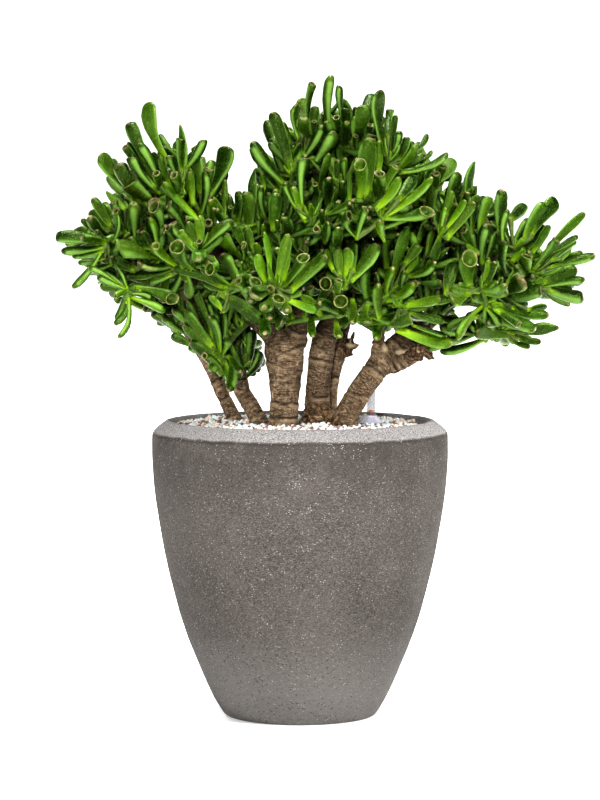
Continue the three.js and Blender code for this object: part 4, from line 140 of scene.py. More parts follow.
        (97, "f.", "p", -219.2, 117.8, 562.3, -218.2, 150.7, 520.9, 11.4), (109, "f.", "b", -206.6, 164.3, 583, -210.3, 184.1, 628.9, 11.7), (66, "f.", "m", -215.7, 125.8, 621.7, -241.4, 173.1, 634.9, 13), (78, "f.", "m", -241.4, 101.7, 569.9, -270.9, 83.9, 610.5, 14.1),
        (81, "f.", "d", -174.2, 175.5, 587.4, -153.6, 217.1, 606, 13.6), (97, "f.", "d", -225.4, 131.4, 568.6, -266.8, 149, 570.4, 12), (81, "f.", "m", -174.5, 172.3, 599.7, -187.5, 212.9, 632.1, 10.9), (109, "f.", "d", -230, 158.1, 577.4, -252.6, 200.9, 608.8, 11.3),
        (78, "f.", "m", -214.1, 107, 559.2, -250.9, 140, 541.8, 12.5), (109, "f.", "m", -207.9, 165.5, 581, -230.5, 203.1, 594.1, 11.7), (97, "f.", "m", -222, 123.2, 564.2, -246, 152, 529.1, 10.9), (109, "p.", "d", -225.3, 159.7, 576.4, -251.9, 187.3, 572.3, 11),
        (78, "f.", "m", -236.2, 101.3, 566.1, -276.9, 67.4, 568.5, 12.8), (109, "f.", "p", -207.1, 165.9, 580.1, -219.4, 213.3, 580.3, 11.9), (97, "p.", "m", -225.7, 130.2, 568.4, -267.9, 129.5, 566.5, 10.8), (109, "f.", "d", -211, 164, 578.6, -191.6, 217.1, 570.9, 10.8),
        (81, "f.", "m", -173.4, 165.3, 620.3, -220.1, 179, 644.4, 11.4), (81, "f.", "d", -172.2, 164.7, 625.9, -214.9, 195.8, 649, 14.4), (109, "f.", "d", -186.5, 172.5, 584.1, -208.2, 220, 580.2, 13.4), (109, "f.", "d", -229.7, 158.6, 576.5, -245.8, 211.5, 591.6, 11.4),
        (97, "f.", "b", -230.8, 154.1, 575.1, -274.2, 175.9, 580.3, 13.7), (81, "f.", "p", -170.2, 167.4, 619.6, -161.1, 220, 631.1, 12.6), (109, "f.", "b", -213.8, 162.9, 580.9, -244.5, 192.9, 613.9, 11), (81, "f.", "p", -171.1, 160.4, 637.1, -220.3, 166.3, 652.9, 14.4),
        (78, "p.", "m", -235.5, 104.7, 564.1, -260.7, 126.9, 536.3, 10.8), (97, "f.", "d", -228.3, 148.5, 571.2, -257.7, 172.7, 533.2, 13.6), (109, "f.", "b", -225.5, 158.6, 578.5, -268.3, 177.6, 610.8, 13.2), (97, "p.", "m", -231.1, 152.7, 575.2, -269.9, 151.5, 580.7, 13.5),
        (97, "f.", "d", -229.3, 147.9, 572, -273.2, 161.3, 549.3, 14.3), (78, "r.", "m", -200.5, 107.8, 559.9, -202.1, 133.6, 603.6, 12.4), (66, "s.", "p", -216.9, 124.6, 621.1, -267.9, 150.3, 624, 18.8), (109, "f.", "b", -176.9, 171.6, 586.7, -143.5, 170.9, 602.2, 11.8),
        (66, "b.", "d", -220, 130.9, 569.9, -173.6, 141.5, 593.3, 13.6), (97, "f.", "d", -222.3, 137.3, 572.3, -194, 160.3, 607.2, 12.3), (97, "f.", "m", -223.4, 131.8, 566.2, -236.3, 159.8, 524.6, 13.4), (97, "f.", "d", -221, 115.5, 567.1, -252.5, 107.1, 611, 12.5),
        (78, "t.", "d", -218.6, 103.1, 563, -244.4, 82.4, 583.6, 13.3), (97, "f.", "d", -218.3, 111.5, 565.9, -226.6, 132.2, 618.6, 12.6), (66, "f.", "m", -216.2, 126.5, 599.9, -180.5, 128, 647.3, 13.1), (97, "f.", "d", -216.7, 104.4, 564.6, -219, 100.4, 608.3, 13.2),
        (81, "f.", "m", -172.6, 167.5, 606.5, -165.4, 149.6, 662.1, 13.2), (81, "f.", "p", -174.1, 167.6, 613.4, -212.5, 191, 616.3, 11.9), (109, "f.", "m", -190.8, 170.2, 581.4, -187.9, 208.8, 549.2, 12.2), (78, "f.", "m", -212.8, 102.9, 562.2, -226.1, 67.7, 593, 12.5),
        (97, "f.", "d", -221.2, 116.5, 566.9, -257.5, 125.7, 609.3, 11.8), (109, "f.", "m", -182.6, 171.2, 584.6, -143.3, 191.6, 588.4, 10.8), (81, "f.", "m", -175.5, 175.6, 587.9, -175.6, 217.6, 613.5, 14.4), (66, "f.", "b", -219, 125.9, 588.4, -204.6, 91.6, 625.7, 13.4),
        (81, "f.", "b", -167.9, 159.5, 632.5, -145.6, 122.3, 669.1, 12), (97, "f.", "m", -218.9, 106.2, 560.5, -256.2, 129.9, 546.8, 12.7), (81, "f.", "d", -169.3, 163.7, 621.6, -146.5, 151.4, 663.4, 12.2), (78, "b.", "p", -188.8, 108.7, 556.9, -187.7, 135.2, 604.5, 14.3),
        (81, "f.", "p", -172.2, 170.7, 600.4, -147.2, 181.1, 641.3, 11.7), (78, "f.", "m", -218.9, 102.9, 561.2, -251.7, 78, 559.3, 12.6), (78, "f.", "m", -213.7, 106.5, 558.3, -243.3, 130.7, 526.1, 13.4), (78, "f.", "d", -191.2, 107, 552.4, -221.1, 105.3, 530.5, 12.4),
        (78, "f.", "d", -190.2, 104.7, 555.2, -210.6, 67.6, 571.1, 11.8), (66, "f.", "m", -216, 126.8, 611.5, -214.2, 156.1, 645.7, 11.6), (66, "p.", "b", -218.3, 126.8, 609.1, -252.1, 157.9, 609.1, 11.1), (109, "f.", "d", -203.2, 164.3, 583.9, -221.6, 163.3, 634, 12.1),
        (66, "p.", "d", -213.5, 122, 623.7, -204.3, 108.4, 657.8, 12.2), (81, "f.", "m", -173.9, 169, 610.8, -192.9, 190.4, 628.6, 11.9), (66, "f.", "d", -215.7, 122.1, 617.5, -220.8, 100.5, 645.4, 13.3), (66, "f.", "p", -224.4, 130.1, 571.1, -243.8, 128.7, 600.8, 13),
        (97, "f.", "m", -223.3, 122.5, 565.5, -265.7, 135.9, 555.4, 12.2), (81, "p.", "m", -168.3, 163, 636.6, -169.2, 214.8, 644.4, 10.6), (66, "f.", "m", -216.7, 123.5, 605.6, -210.3, 89.1, 644.7, 13.1), (97, "s.", "m", -219.2, 118.7, 563.4, -217.9, 160.4, 545.2, 15.8),
    ]},
    {"root": (-207.4, 21.4, 598.1), "twigs": [[(-208, 25.7, 603.1), (-204.9, 41.3, 621.3), (-201.7, 57, 639.4)], [(-201.7, 57, 639.4), (-190.1, 84.1, 657), (-178.5, 111.2, 674.6)]], "leaves": [
        (112, "c", "m", -179.3, 112.5, 676.6, -186.7, 124, 696.4, 12), (112, "f", "m", -179.3, 109.5, 672.4, -207.1, 112.1, 692.3, 9.6), (112, "p", "b", -177.2, 109.6, 667.6, -201, 147.7, 671, 11.1), (112, "f", "d", -172.8, 106.5, 665.5, -142.2, 123.1, 691.5, 10.3),
        (112, "f", "m", -177.1, 105.4, 664.3, -218.5, 102.2, 671.3, 13), (112, "f", "m", -173.6, 106, 659.7, -177.7, 143.8, 652.2, 12.5), (112, "b", "d", -174.4, 101, 657, -215.2, 86.5, 662.4, 12.7), (112, "f", "m", -169.6, 102.2, 657.6, -133.3, 109, 671.4, 12.3),
        (85, "f", "d", -203.4, 57.8, 640.9, -219.7, 65.7, 657.4, 8.4), (85, "f", "m", -202.5, 57.5, 641.7, -209.9, 62.3, 665.4, 7.7), (85, "f", "m", -201.2, 54.6, 637.6, -222.6, 36.7, 667.6, 9.3), (85, "f", "p", -197.9, 54.3, 634.8, -197.4, 51.7, 686.7, 10.9),
        (85, "f", "p", -199.7, 56.2, 632.3, -232.1, 89.8, 634.4, 12), (85, "f", "b", -196.2, 55.6, 629.5, -199.1, 115.1, 650.9, 13.2), (85, "t", "m", -196.9, 51.3, 630.1, -213.6, 14.8, 658.9, 13), (85, "b", "d", -193, 51.3, 627.3, -168.2, 38.9, 675.1, 14.2),
        (85, "s", "d", -193.4, 48.5, 622.1, -223.1, -7.9, 638.5, 19.4), (85, "r", "p", -191.1, 52.8, 621.1, -169.5, 93, 615.9, 18), (112, "f.", "m", -181.6, 109.1, 674.5, -209.2, 131.9, 713.3, 11), (112, "f.", "d", -182.6, 99.1, 668.7, -159.8, 111.4, 711.4, 11.3),
        (112, "f.", "b", -186, 100.1, 667.6, -219.1, 131.7, 693.7, 11.6), (112, "f.", "m", -187.5, 92, 665.3, -214.3, 63.2, 709.1, 12.3), (112, "f.", "m", -181.2, 101.4, 671.7, -167.4, 73.3, 716.4, 13.7), (112, "f.", "m", -187, 93.2, 666, -203, 87.7, 718.7, 12.1),
        (112, "f.", "p", -183.1, 105.4, 670.7, -203.3, 149.5, 698.8, 14.1), (112, "f.", "m", -182.5, 109.3, 672.1, -222.5, 133.7, 671.3, 12.5), (85, "b.", "m", -204.7, 53.6, 636.7, -241.6, 64.3, 673.4, 13.1), (112, "s.", "d", -189.5, 89.9, 662.5, -214.1, 109.8, 708.4, 15.9),
        (85, "f.", "p", -208.5, 35.5, 611.4, -236.8, 63.8, 604, 10.9), (112, "f.", "d", -194.1, 73.7, 649.2, -167.6, 117.5, 663.2, 14.2), (85, "p.", "m", -202.1, 55.8, 635.7, -196.8, 97.3, 651.8, 10.8), (112, "p.", "d", -195.6, 78.1, 651.5, -233.4, 119.9, 651.9, 12.9),
        (112, "p.", "m", -200.2, 67.2, 646.9, -244.8, 80.2, 674.7, 12.2), (112, "f.", "m", -197.4, 63.6, 642.3, -154.7, 99.9, 641.5, 13.5), (85, "f.", "d", -205.3, 43.1, 627.5, -221.4, 15.8, 652.4, 10.8), (112, "f.", "d", -199.3, 58.4, 640.4, -166.1, 78.5, 656.9, 12.7),
        (112, "f.", "d", -196.4, 68.4, 647.4, -179.1, 94.9, 675.1, 14.3), (85, "f.", "d", -209.8, 27.5, 604.8, -234.2, 53, 631, 11.5), (112, "f.", "d", -200.5, 57.4, 642.1, -183.2, 64.5, 686.2, 12.3), (85, "f.", "b", -205.6, 44.1, 621.4, -218.3, 91.6, 628.4, 14),
        (85, "f.", "d", -207.5, 35.9, 613.6, -219.1, 61.6, 632.8, 10.9), (112, "f.", "b", -186.9, 91.2, 661.5, -172.5, 120.6, 681.6, 12.7), (112, "f.", "d", -197.7, 65.9, 648.5, -199.3, 56.3, 702.1, 14.1), (85, "f.", "d", -206.1, 27.5, 604.6, -170.8, 61.5, 635.2, 11.3),
        (85, "f.", "d", -201.5, 59.2, 641.2, -199.1, 89.7, 670.4, 10.9), (85, "f.", "d", -202.3, 42.2, 622.4, -155.1, 59.6, 649.5, 13.6), (112, "f.", "d", -193.1, 72.7, 648.5, -165.2, 89.9, 650.8, 11.5),
    ]},
    {"root": (-204.8, 27.4, 593.3), "twigs": [[(-197.8, 26.2, 595.6), (-180.1, 18.2, 601.4), (-186.8, 30.6, 595.3)]], "leaves": [
        (121, "s", "d", -188.4, 31.7, 596.9, -204.3, 42.4, 614.2, 10.7), (121, "t", "d", -184.6, 30.3, 594.4, -188.1, 38.4, 628.4, 10.2), (121, "s", "m", -182.4, 27, 590.5, -191.2, -3, 622.6, 15.2), (121, "f", "b", -183.3, 30.7, 589.4, -206.5, 63.5, 601.5, 10),
        (121, "f", "m", -178.3, 28.9, 587.4, -159.2, 48.8, 621.5, 12), (121, "f", "m", -181.8, 27.5, 584.7, -223.7, 22, 572.1, 10.2), (121, "c", "m", -176.6, 29.3, 582.2, -168.6, 78.6, 588.1, 18.3), (121, "r", "b", -177.8, 24.8, 583.4, -191, -11.9, 609.6, 14),
        (121, "t", "m", -176.6, 25.4, 577.6, -214.9, 17.5, 558.1, 12.4), (121, "b.", "d", -195.9, 25.8, 597.8, -160.7, 19.6, 640.5, 13.6), (121, "t.", "d", -182.6, 17.9, 603.4, -189.6, 1.5, 641, 11.5), (121, "f.", "m", -180.2, 19.1, 603, -158.4, 18.4, 632.2, 11.9),
        (121, "f.", "m", -185.5, 23, 600.8, -162.7, 42.1, 626.6, 13.1), (121, "t.", "m", -188, 22.1, 601.9, -196, 30, 639.3, 10.5),
    ]},
    {"root": (-137.6, -13.7, 624.6), "twigs": [[(-133.2, -18.2, 625.4), (-124.9, -31.5, 628.4), (-122.1, -40, 629.7)], [(-124.9, -31.5, 628.4), (-157.6, -30.8, 632.1), (-190.3, -30, 635.8)], [(-157.6, -30.8, 632.1), (-152, -40.4, 643.2), (-146.3, -50, 654.3)], [(-152, -40.4, 643.2), (-163.5, -40.2, 652.4), (-175, -40, 661.7)]], "leaves": [
        (0, "S", "p", -163.9, -38.7, 693.6, -184.8, -33.2, 764.9, 21.4), (0, "B", "d", -187.3, -37.2, 691.2, -209.9, -27.1, 739.3, 16.4), (0, "F", "m", -172.4, -42.7, 664.1, -197.9, -45.5, 714.4, 15.1), (0, "F", "m", -185, -36.3, 671.5, -212.4, -28.3, 715.9, 7.6),
        (0, "T", "d", -178.5, -44.9, 659.2, -215.4, -40.5, 709.6, 10.1), (0, "T", "d", -172.7, -37, 651.8, -206.6, -45, 696, 13.8), (0, "F", "d", -168.8, -40.3, 659.2, -181.4, -32.3, 703.5, 8.8), (0, "F", "m", -160.1, -42, 661.7, -172.2, -45.1, 699.7, 8.8),
        (0, "T", "m", -174.9, -42.5, 659.2, -175.2, -88.7, 677.4, 11.3), (1, "P", "p", -146.2, -50.5, 666.6, -147.6, -42.5, 737.7, 12.6), (1, "T", "d", -145, -50, 678.8, -146.1, -49.2, 719.2, 11.3), (1, "T", "m", -140.3, -45, 651.8, -160.1, -40.9, 698.5, 11.3),
        (1, "T", "m", -152.5, -48.8, 654.3, -154.3, -93.8, 674.9, 12.6), (1, "B", "d", -140.2, -45.1, 683.7, -119.1, -49.1, 718, 15.1), (1, "F", "b", -131.5, -53.4, 637.1, -135.1, -51.8, 678.8, 10.1), (2, "P", "p", -121.9, -44.6, 649.4, -124.5, -36.6, 705.9, 12.6),
        (2, "F", "d", -123.2, -44.6, 626, -117.9, -52.6, 680, 13.8), (2, "S", "d", -113.4, -39.9, 646.9, -91.3, -31.9, 710.9, 26.4), (2, "F", "b", -111, -40.3, 607.5, -110, -73.1, 644.6, 12.6), (2, "T", "m", -135.8, -35.8, 614.9, -142.1, -64.7, 634.8, 7.6),
        (3, "S", "p", -200.3, -28.7, 641.9, -247, -28.5, 701.1, 21.4), (3, "F", "d", -219.9, -30, 671.5, -234.7, 12.7, 694.1, 10.1), (3, "C", "d", -197.6, -32.5, 639.5, -223, -39.4, 689.9, 18.9), (3, "R", "p", -172.9, -33.1, 634.6, -210.3, -46.9, 665.3, 21.4),
        (3, "T", "m", -195.4, -28.1, 624.7, -212.8, -47.3, 648.2, 8.8), (3, "F", "b", -169.2, -33, 628.4, -191.3, -34.8, 645.7, 10.1), (2, "r", "d", -122.9, -40.6, 631.9, -131.4, -47, 656.2, 8.2), (2, "b", "d", -121.2, -38.1, 628.3, -120.3, -31.4, 666.2, 13.3),
        (2, "f", "b", -122.3, -37.8, 623.5, -152.6, -46.6, 650.1, 11.5), (2, "t", "m", -120.7, -38, 618.1, -142.2, -81.8, 621, 10.3), (1, "b", "d", -145.8, -46.9, 648, -164.8, -20, 684.1, 15.8), (1, "f", "d", -144.6, -47.2, 633.3, -179.9, -74.2, 623.2, 12.1),
        (0, "b", "m", -172.2, -37.3, 656, -176, -11.3, 696.5, 11.7), (0, "r", "m", -169.3, -39.9, 645.7, -177.5, -91, 641.5, 18), (3, "t", "d", -188.5, -28.5, 634.6, -191.7, -18, 670.7, 9.6), (3, "f", "m", -187.8, -27, 629.8, -219.5, 2.5, 655.5, 11.2),
        (3, "p", "p", -183, -26.8, 627, -156, -3.9, 674.9, 11.7), (3, "f", "d", -183.9, -25.3, 621.3, -219.3, 7.8, 622.7, 12), (3, "f.", "p", -127.8, -31.7, 629, -161.3, -33.5, 639.6, 13.7), (3, "f.", "m", -156.2, -29.8, 634.1, -183.5, -9.7, 682.4, 12.7),
        (0, "f.", "m", -166, -39.3, 653.8, -211.8, -22.8, 680.9, 14.2), (3, "b.", "b", -151.3, -29.3, 630.9, -192.8, -2.5, 630.6, 12.4), (2, "f.", "b", -124.2, -29.3, 626.9, -79.4, -47.1, 618.7, 11.4), (3, "f.", "m", -141.8, -31.4, 633.2, -129, -35.8, 674, 10.9),
        (3, "f.", "m", -156.3, -30.3, 634.7, -142.5, -25.3, 666.2, 12.2), (3, "f.", "d", -157.5, -29.9, 632.5, -191.7, -18.3, 645.2, 11.7), (3, "f.", "d", -144.9, -29.4, 629.2, -171, -8, 617.8, 11.8), (0, "f.", "b", -174.7, -38.9, 662, -196.9, -25.8, 689.6, 10.9),
        (3, "f.", "d", -189.1, -28.9, 637.6, -211.2, -13.1, 668.6, 14.3), (3, "f.", "m", -153.6, -31.6, 634.4, -137.9, -43.1, 676.9, 13.7), (3, "f.", "d", -149.7, -29.9, 633.7, -165.9, -12.5, 681.7, 12), (3, "f.", "d", -136, -30.8, 632.6, -126.5, -25.7, 666.7, 13.9),
        (2, "b.", "m", -128.1, -25.5, 626.5, -104.6, -52.7, 629.5, 12.7), (3, "f.", "p", -166.5, -29.9, 632.6, -198.4, -22.1, 633.5, 10.8), (3, "r.", "m", -138.1, -33.9, 629.4, -156.1, -72.5, 627.5, 13.6),
    ]},
    {"root": (-123.8, -91.5, 572.3), "twigs": [[(-128.6, -93.8, 567.9), (-135.4, -98, 563.5), (-139.6, -105, 562.3)], [(-139.6, -105, 562.3), (-130.6, -120, 573.5), (-121.6, -135, 584.7)], [(-135.4, -98, 563.5), (-154.5, -86.5, 568.6), (-173.7, -75, 573.8)], [(-173.7, -75, 573.8), (-171, -80, 587.3), (-168.2, -85, 600.8)], [(-173.7, -75, 573.8), (-161.5, -52, 569.8), (-149.3, -28.9, 573.8)]], "leaves": [
        (6, "T", "d", -200.4, -78.5, 559.2, -237, -79.3, 576.3, 17.6), (6, "R", "p", -183.3, -77.6, 575.1, -218, -111.9, 585.5, 22.7), (6, "C", "m", -151.6, -76, 565.3, -197, -96, 569.4, 20.1), (6, "F", "m", -149.1, -79, 562.9, -211.8, -72.5, 551.7, 10.1),
        (8, "R", "d", -170.6, -88.2, 593.6, -177.7, -114.4, 636.3, 17.6), (8, "T", "d", -139.1, -81.2, 603.2, -159.9, -106.7, 638.6, 13.8), (8, "F", "b", -174.5, -83.6, 586.2, -181.4, -115.2, 623, 11.3), (8, "T", "d", -152.4, -84.3, 593.5, -160.2, -130, 611.1, 10.1),
        (8, "F", "m", -182.9, -86.2, 586.2, -207.1, -87.5, 599.6, 10.1), (8, "F", "d", -180.4, -87.6, 583.8, -192.2, -94.1, 605.8, 11.3), (9, "F", "b", -121.6, -135, 584.7, -144.6, -129.7, 608.7, 11.3), (9, "F", "m", -121.6, -135, 584.7, -134.7, -135.5, 618.4, 10.1),
        (9, "F", "b", -121.6, -135, 584.7, -123.9, -134.3, 622, 12.6), (9, "P", "b", -121.6, -135, 584.7, -109.9, -160.6, 606.7, 7.6), (9, "F", "m", -121.6, -135, 584.7, -81.7, -137.5, 620.8, 13.8), (9, "T", "m", -121.6, -135, 584.7, -120.4, -169.2, 596.1, 8.8),
        (9, "F", "p", -116.8, -132.5, 583.5, -120.1, -181.2, 574.9, 16.4), (9, "R", "p", -104.6, -139.7, 575.2, -108, -189.6, 563.3, 15.1), (10, "T", "b", -150.4, -106.3, 566, -173, -142.3, 589.7, 12.6), (10, "R", "m", -130.9, -109.7, 561.2, -147.5, -149.5, 588.6, 17.6),
        (122, "f", "p", -145.2, -25.3, 569.4, -165.9, 0.3, 606.8, 10.5), (122, "t", "d", -143.8, -24.7, 563.8, -187, -9.4, 554, 13), (122, "f", "d", -141, -27, 566.4, -130, -56.6, 608.4, 11.8), (122, "t", "m", -138.4, -22.9, 563.3, -129.4, 4.4, 602.7, 12.2),
        (122, "r", "m", -138.2, -21.7, 557.6, -177.7, 9.7, 548.3, 16.5), (8, "f", "d", -167.6, -82.9, 600.1, -183.6, -87.4, 632.2, 8.6), (8, "f", "d", -158.5, -70.8, 588.3, -148.7, -37.4, 624.8, 13.7), (9, "r", "d", -121.4, -125.8, 577.8, -154.5, -120.1, 616.2, 15.9),
        (9, "t", "d", -120.5, -119.1, 571, -153.2, -101.9, 589.7, 10.6), (6, "f", "m", -172.9, -73, 572.2, -211.8, -75.7, 575.1, 10.1), (6, "f", "d", -168, -70.5, 572.9, -186.9, -64.4, 624.2, 10.8), (6, "t", "b", -160.9, -67.9, 565.3, -166.4, -100.5, 524.1, 12.4),
        (6, "p", "d", -155.9, -66.3, 566.5, -122.8, -108, 588.7, 11.8), (6, "f", "m", -158.8, -62.4, 565.1, -189.4, -19.2, 554, 11.7), (10, "c", "m", -140.6, -106.8, 563.7, -152.3, -128.3, 582.1, 10.1), (10, "f", "m", -133.4, -88.4, 550.7, -177.5, -61.2, 558.2, 13.4),
        (10, "f.", "m", -131.4, -99.1, 565.1, -110.4, -131.1, 568.9, 12.8), (8, "t.", "m", -174.9, -73.7, 576.2, -192.1, -54.6, 613.5, 13.2), (10, "b.", "p", -136.9, -97.4, 566, -161.9, -87.2, 611.4, 12.4), (10, "p.", "m", -131.6, -93.9, 568.5, -174.8, -95.1, 579.9, 10.7),
        (6, "f.", "b", -171.8, -76.1, 571.3, -204.5, -57, 554.2, 11.4), (6, "f.", "d", -141.9, -94.2, 562.4, -165.4, -81.3, 527.3, 12.4), (9, "f.", "b", -122.6, -131.6, 585.9, -120.6, -112.4, 626.3, 11.3), (8, "f.", "d", -168.3, -86.9, 599.4, -162.8, -118.4, 613.9, 10.9),
        (9, "f.", "b", -131.9, -113.9, 570.5, -103.7, -116.4, 593.8, 12), (9, "f.", "m", -125.6, -124.5, 578.6, -93.7, -126.5, 606.5, 14.3), (6, "f.", "m", -172.1, -76, 573.1, -219.2, -48.1, 583.9, 12), (8, "b.", "d", -171.9, -75.4, 576.1, -150.3, -80.8, 607.4, 12.1),
        (8, "f.", "d", -173.2, -77.6, 575.2, -163.9, -126.6, 605.9, 10.8), (6, "p.", "p", -164.7, -81.6, 572.6, -137.8, -101.3, 545.2, 12.5), (10, "f.", "p", -139, -100.4, 558.2, -136.6, -81.5, 524.8, 12.9), (10, "f.", "p", -153.7, -102, 555.1, -184.7, -95.5, 543.9, 11.1),
    ]},
    {"root": (-167.3, 92.8, 525.1), "twigs": [[(-164, 100.4, 522.3), (-154.4, 124.7, 519.1), (-159, 143, 535.7)], [(-154.4, 124.7, 519.1), (-138.6, 128.9, 500.6), (-122.7, 133.1, 482)], [(-159, 143, 535.7), (-136.1, 159.5, 544.2), (-113.3, 176, 552.6)], [(-159, 143, 535.7), (-171.5, 118.3, 537.1), (-184, 93.5, 546.6)]], "leaves": [
        (96, "r", "b", -185.6, 95.4, 546.7, -199.6, 112.1, 549.3, 9.5), (96, "f", "d", -185, 95.1, 548.2, -194.5, 109.6, 565.1, 6.1), (96, "f", "p", -184, 91, 545.5, -213.2, 95.4, 559, 9.9), (96, "r", "d", -179.2, 88.5, 544.9, -178.4, 100.8, 592.7, 17.9),
        (96, "f", "m", -181.2, 89.1, 541.5, -214.7, 111, 525.6, 11.3), (96, "b", "d", -179.3, 84.9, 541.1, -222.2, 81.1, 554.3, 12.2), (96, "f", "d", -173.7, 82.3, 540.8, -158.6, 83, 588.4, 12.2), (96, "f", "b", -170.3, 81, 536, -134.5, 109.6, 533.5, 11.2),
        (87, "p", "m", -124.1, 135.2, 482.2, -136.7, 153.6, 485.7, 6), (87, "f", "m", -122.4, 130.9, 483, -140.2, 153.2, 504.7, 11.3), (87, "f", "d", -121.3, 131.6, 480.7, -124, 165.1, 471, 11.3), (87, "r", "m", -118.2, 127.5, 481.7, -93.2, 166.3, 496.6, 17.3),
        (87, "b", "p", -117.5, 122.9, 478.4, -110.8, 148.4, 437.8, 12.1), (87, "t", "d", -118.7, 121.8, 482.9, -134.9, 125, 533.4, 10.5), (87, "t", "m", -114.2, 118.9, 480.9, -69.8, 144.6, 505.7, 10.3), (87, "f", "m", -115.4, 113.4, 481.8, -128.5, 103.6, 527.8, 12.8),
        (87, "f", "d", -114.7, 114.2, 477, -115.9, 119.3, 431.2, 12.7), (82, "r", "m", -112.7, 174.9, 550.9, -122.1, 217.4, 555.8, 15.5), (82, "r", "d", -112.9, 169.5, 550.4, -147, 182, 582.5, 15.7), (82, "p", "b", -109.8, 170.9, 548.6, -85.4, 208.1, 547.9, 12),
        (82, "f", "b", -111.1, 167, 545.4, -131.1, 198.5, 520.1, 13.5), (82, "f", "p", -111.4, 161.5, 545.6, -164, 157, 566.5, 11.5), (82, "f", "b", -108.6, 159.5, 541, -123.7, 192.2, 498.8, 12.2), (84, "b", "p", -160.2, 145.1, 536.5, -172.9, 167.8, 548.1, 7.9),
        (84, "f", "b", -158.7, 140, 536, -180.2, 147, 569, 8.7), (84, "f", "b", -157.3, 142.1, 533.9, -156.3, 184.5, 535.1, 11.2), (84, "f", "p", -157.9, 137, 531.5, -200.8, 154.9, 518.5, 10.7), (84, "t", "m", -152.7, 134.8, 530.3, -126.4, 176.3, 527.3, 10.7),
        (84, "f", "b", -155.5, 132.6, 532.6, -187.7, 131.1, 577.4, 11.9), (84, "r", "m", -154.5, 129.7, 527.8, -202.6, 140.9, 507, 17), (84, "f", "d", -150.8, 129.4, 530.9, -117.6, 134.7, 579.1, 13.1), (87, "f.", "m", -140.2, 128.8, 506.3, -93, 146.7, 521.5, 13.5),
        (87, "f.", "d", -152.6, 127.8, 513.7, -185.4, 160.6, 502, 13.2), (87, "p.", "b", -140.5, 131.2, 499.9, -164.9, 172.6, 481.3, 13), (87, "f.", "m", -129.7, 133, 486.2, -166.6, 147.1, 477, 13.2), (87, "p.", "d", -148.6, 128.8, 509, -183.8, 167.7, 491.5, 12.6),
        (87, "b.", "d", -130.6, 131.6, 488.7, -126, 141, 446.8, 12.7), (87, "f.", "p", -131.6, 133.1, 489.6, -144.9, 171.8, 457.9, 11), (82, "b.", "d", -136.5, 162.5, 544.6, -143.2, 217, 555.4, 14.5), (82, "f.", "m", -137, 162.3, 543.7, -153.3, 216.5, 537.4, 13.6),
        (84, "f.", "d", -160.5, 108.6, 521.2, -135.8, 159.1, 518.5, 11.7), (82, "f.", "d", -118.7, 175.7, 550.7, -136.7, 215.5, 548.8, 12.3), (82, "f.", "d", -129.6, 165.2, 545.7, -95.2, 208.8, 544.8, 10.9), (87, "f.", "m", -121, 134, 480.9, -83.7, 151.1, 455.1, 13.3),
        (82, "f.", "m", -117.4, 175.2, 549.1, -116.2, 213.9, 519.2, 11.5), (82, "f.", "m", -160.6, 145.5, 535.2, -189.4, 189.8, 529.6, 11.7), (82, "t.", "p", -142.6, 157.8, 544.1, -177.9, 179.8, 571.3, 12.8), (84, "f.", "d", -160.8, 144.4, 535.5, -194.3, 181.7, 547.5, 11.7),
        (87, "f.", "m", -123.1, 135.9, 483.4, -121.9, 174.5, 497.4, 12.9), (87, "s.", "d", -140.9, 126.7, 503.7, -105.4, 106.9, 472.6, 19.8), (84, "f.", "p", -153.4, 124.6, 520.5, -128, 152, 538.2, 12.1), (82, "f.", "m", -159.3, 145.9, 536.5, -162.8, 182.1, 549.2, 11.6),
        (87, "c.", "m", -138.8, 127.6, 498.4, -134.9, 107.6, 455, 17.6), (84, "b.", "b", -156.4, 125.4, 521.3, -192.9, 137.6, 564.5, 12.4), (84, "f.", "p", -154.2, 123, 522.2, -141.6, 127.4, 556.6, 12.9), (84, "f.", "m", -160, 139.8, 531, -197.9, 171, 534.8, 12.1),
        (82, "f.", "p", -151.4, 149.5, 541.6, -172.4, 145.8, 575.5, 13.2), (82, "t.", "m", -157.9, 143.5, 538.4, -140, 150.6, 584.9, 13.5), (82, "f.", "d", -145.6, 156, 541.3, -153.6, 194.3, 550, 11.9), (82, "f.", "d", -156.4, 144.3, 536.3, -120.2, 161.2, 548.3, 12.6),
        (82, "f.", "d", -128.7, 163.8, 545.3, -91.3, 176.9, 540.8, 14.3), (82, "b.", "p", -129, 163.5, 544.3, -89.3, 173.7, 522.6, 12.2), (84, "f.", "m", -165.8, 102.4, 520.9, -195, 136.1, 500.2, 14.3), (87, "t.", "d", -137.7, 131.2, 502.3, -122.5, 171.1, 534.1, 11.7),
        (84, "f.", "m", -159.9, 144.8, 533.9, -174, 179.4, 522.3, 11), (84, "f.", "m", -161.3, 142.4, 536.6, -196.4, 145.1, 562.8, 11.1), (84, "f.", "d", -155.3, 134.9, 529.3, -133.9, 159, 570.1, 13.1), (84, "f.", "d", -158.4, 129.1, 523.9, -196.5, 128.6, 537.5, 11.3),
        (82, "f.", "b", -127.5, 168.6, 549.3, -141, 213.8, 585.7, 12.9), (87, "f.", "d", -125.7, 133.5, 489.3, -100.3, 163.5, 534.2, 12.4), (84, "f.", "m", -155.8, 129, 526.1, -160.1, 126.7, 582, 12.4), (82, "f.", "d", -123.1, 172.3, 548.4, -136.8, 212.6, 537.9, 12.4),
        (82, "f.", "d", -153.6, 149.3, 536.9, -141, 198.5, 531.8, 11.2), (82, "t.", "m", -141.7, 158.8, 543.9, -157.3, 188, 562.7, 10.9), (87, "f.", "d", -136.8, 131.3, 500.5, -111.1, 165.7, 501.8, 14.2), (84, "f.", "m", -156.3, 137.7, 533.7, -138.8, 136.3, 570.5, 14),
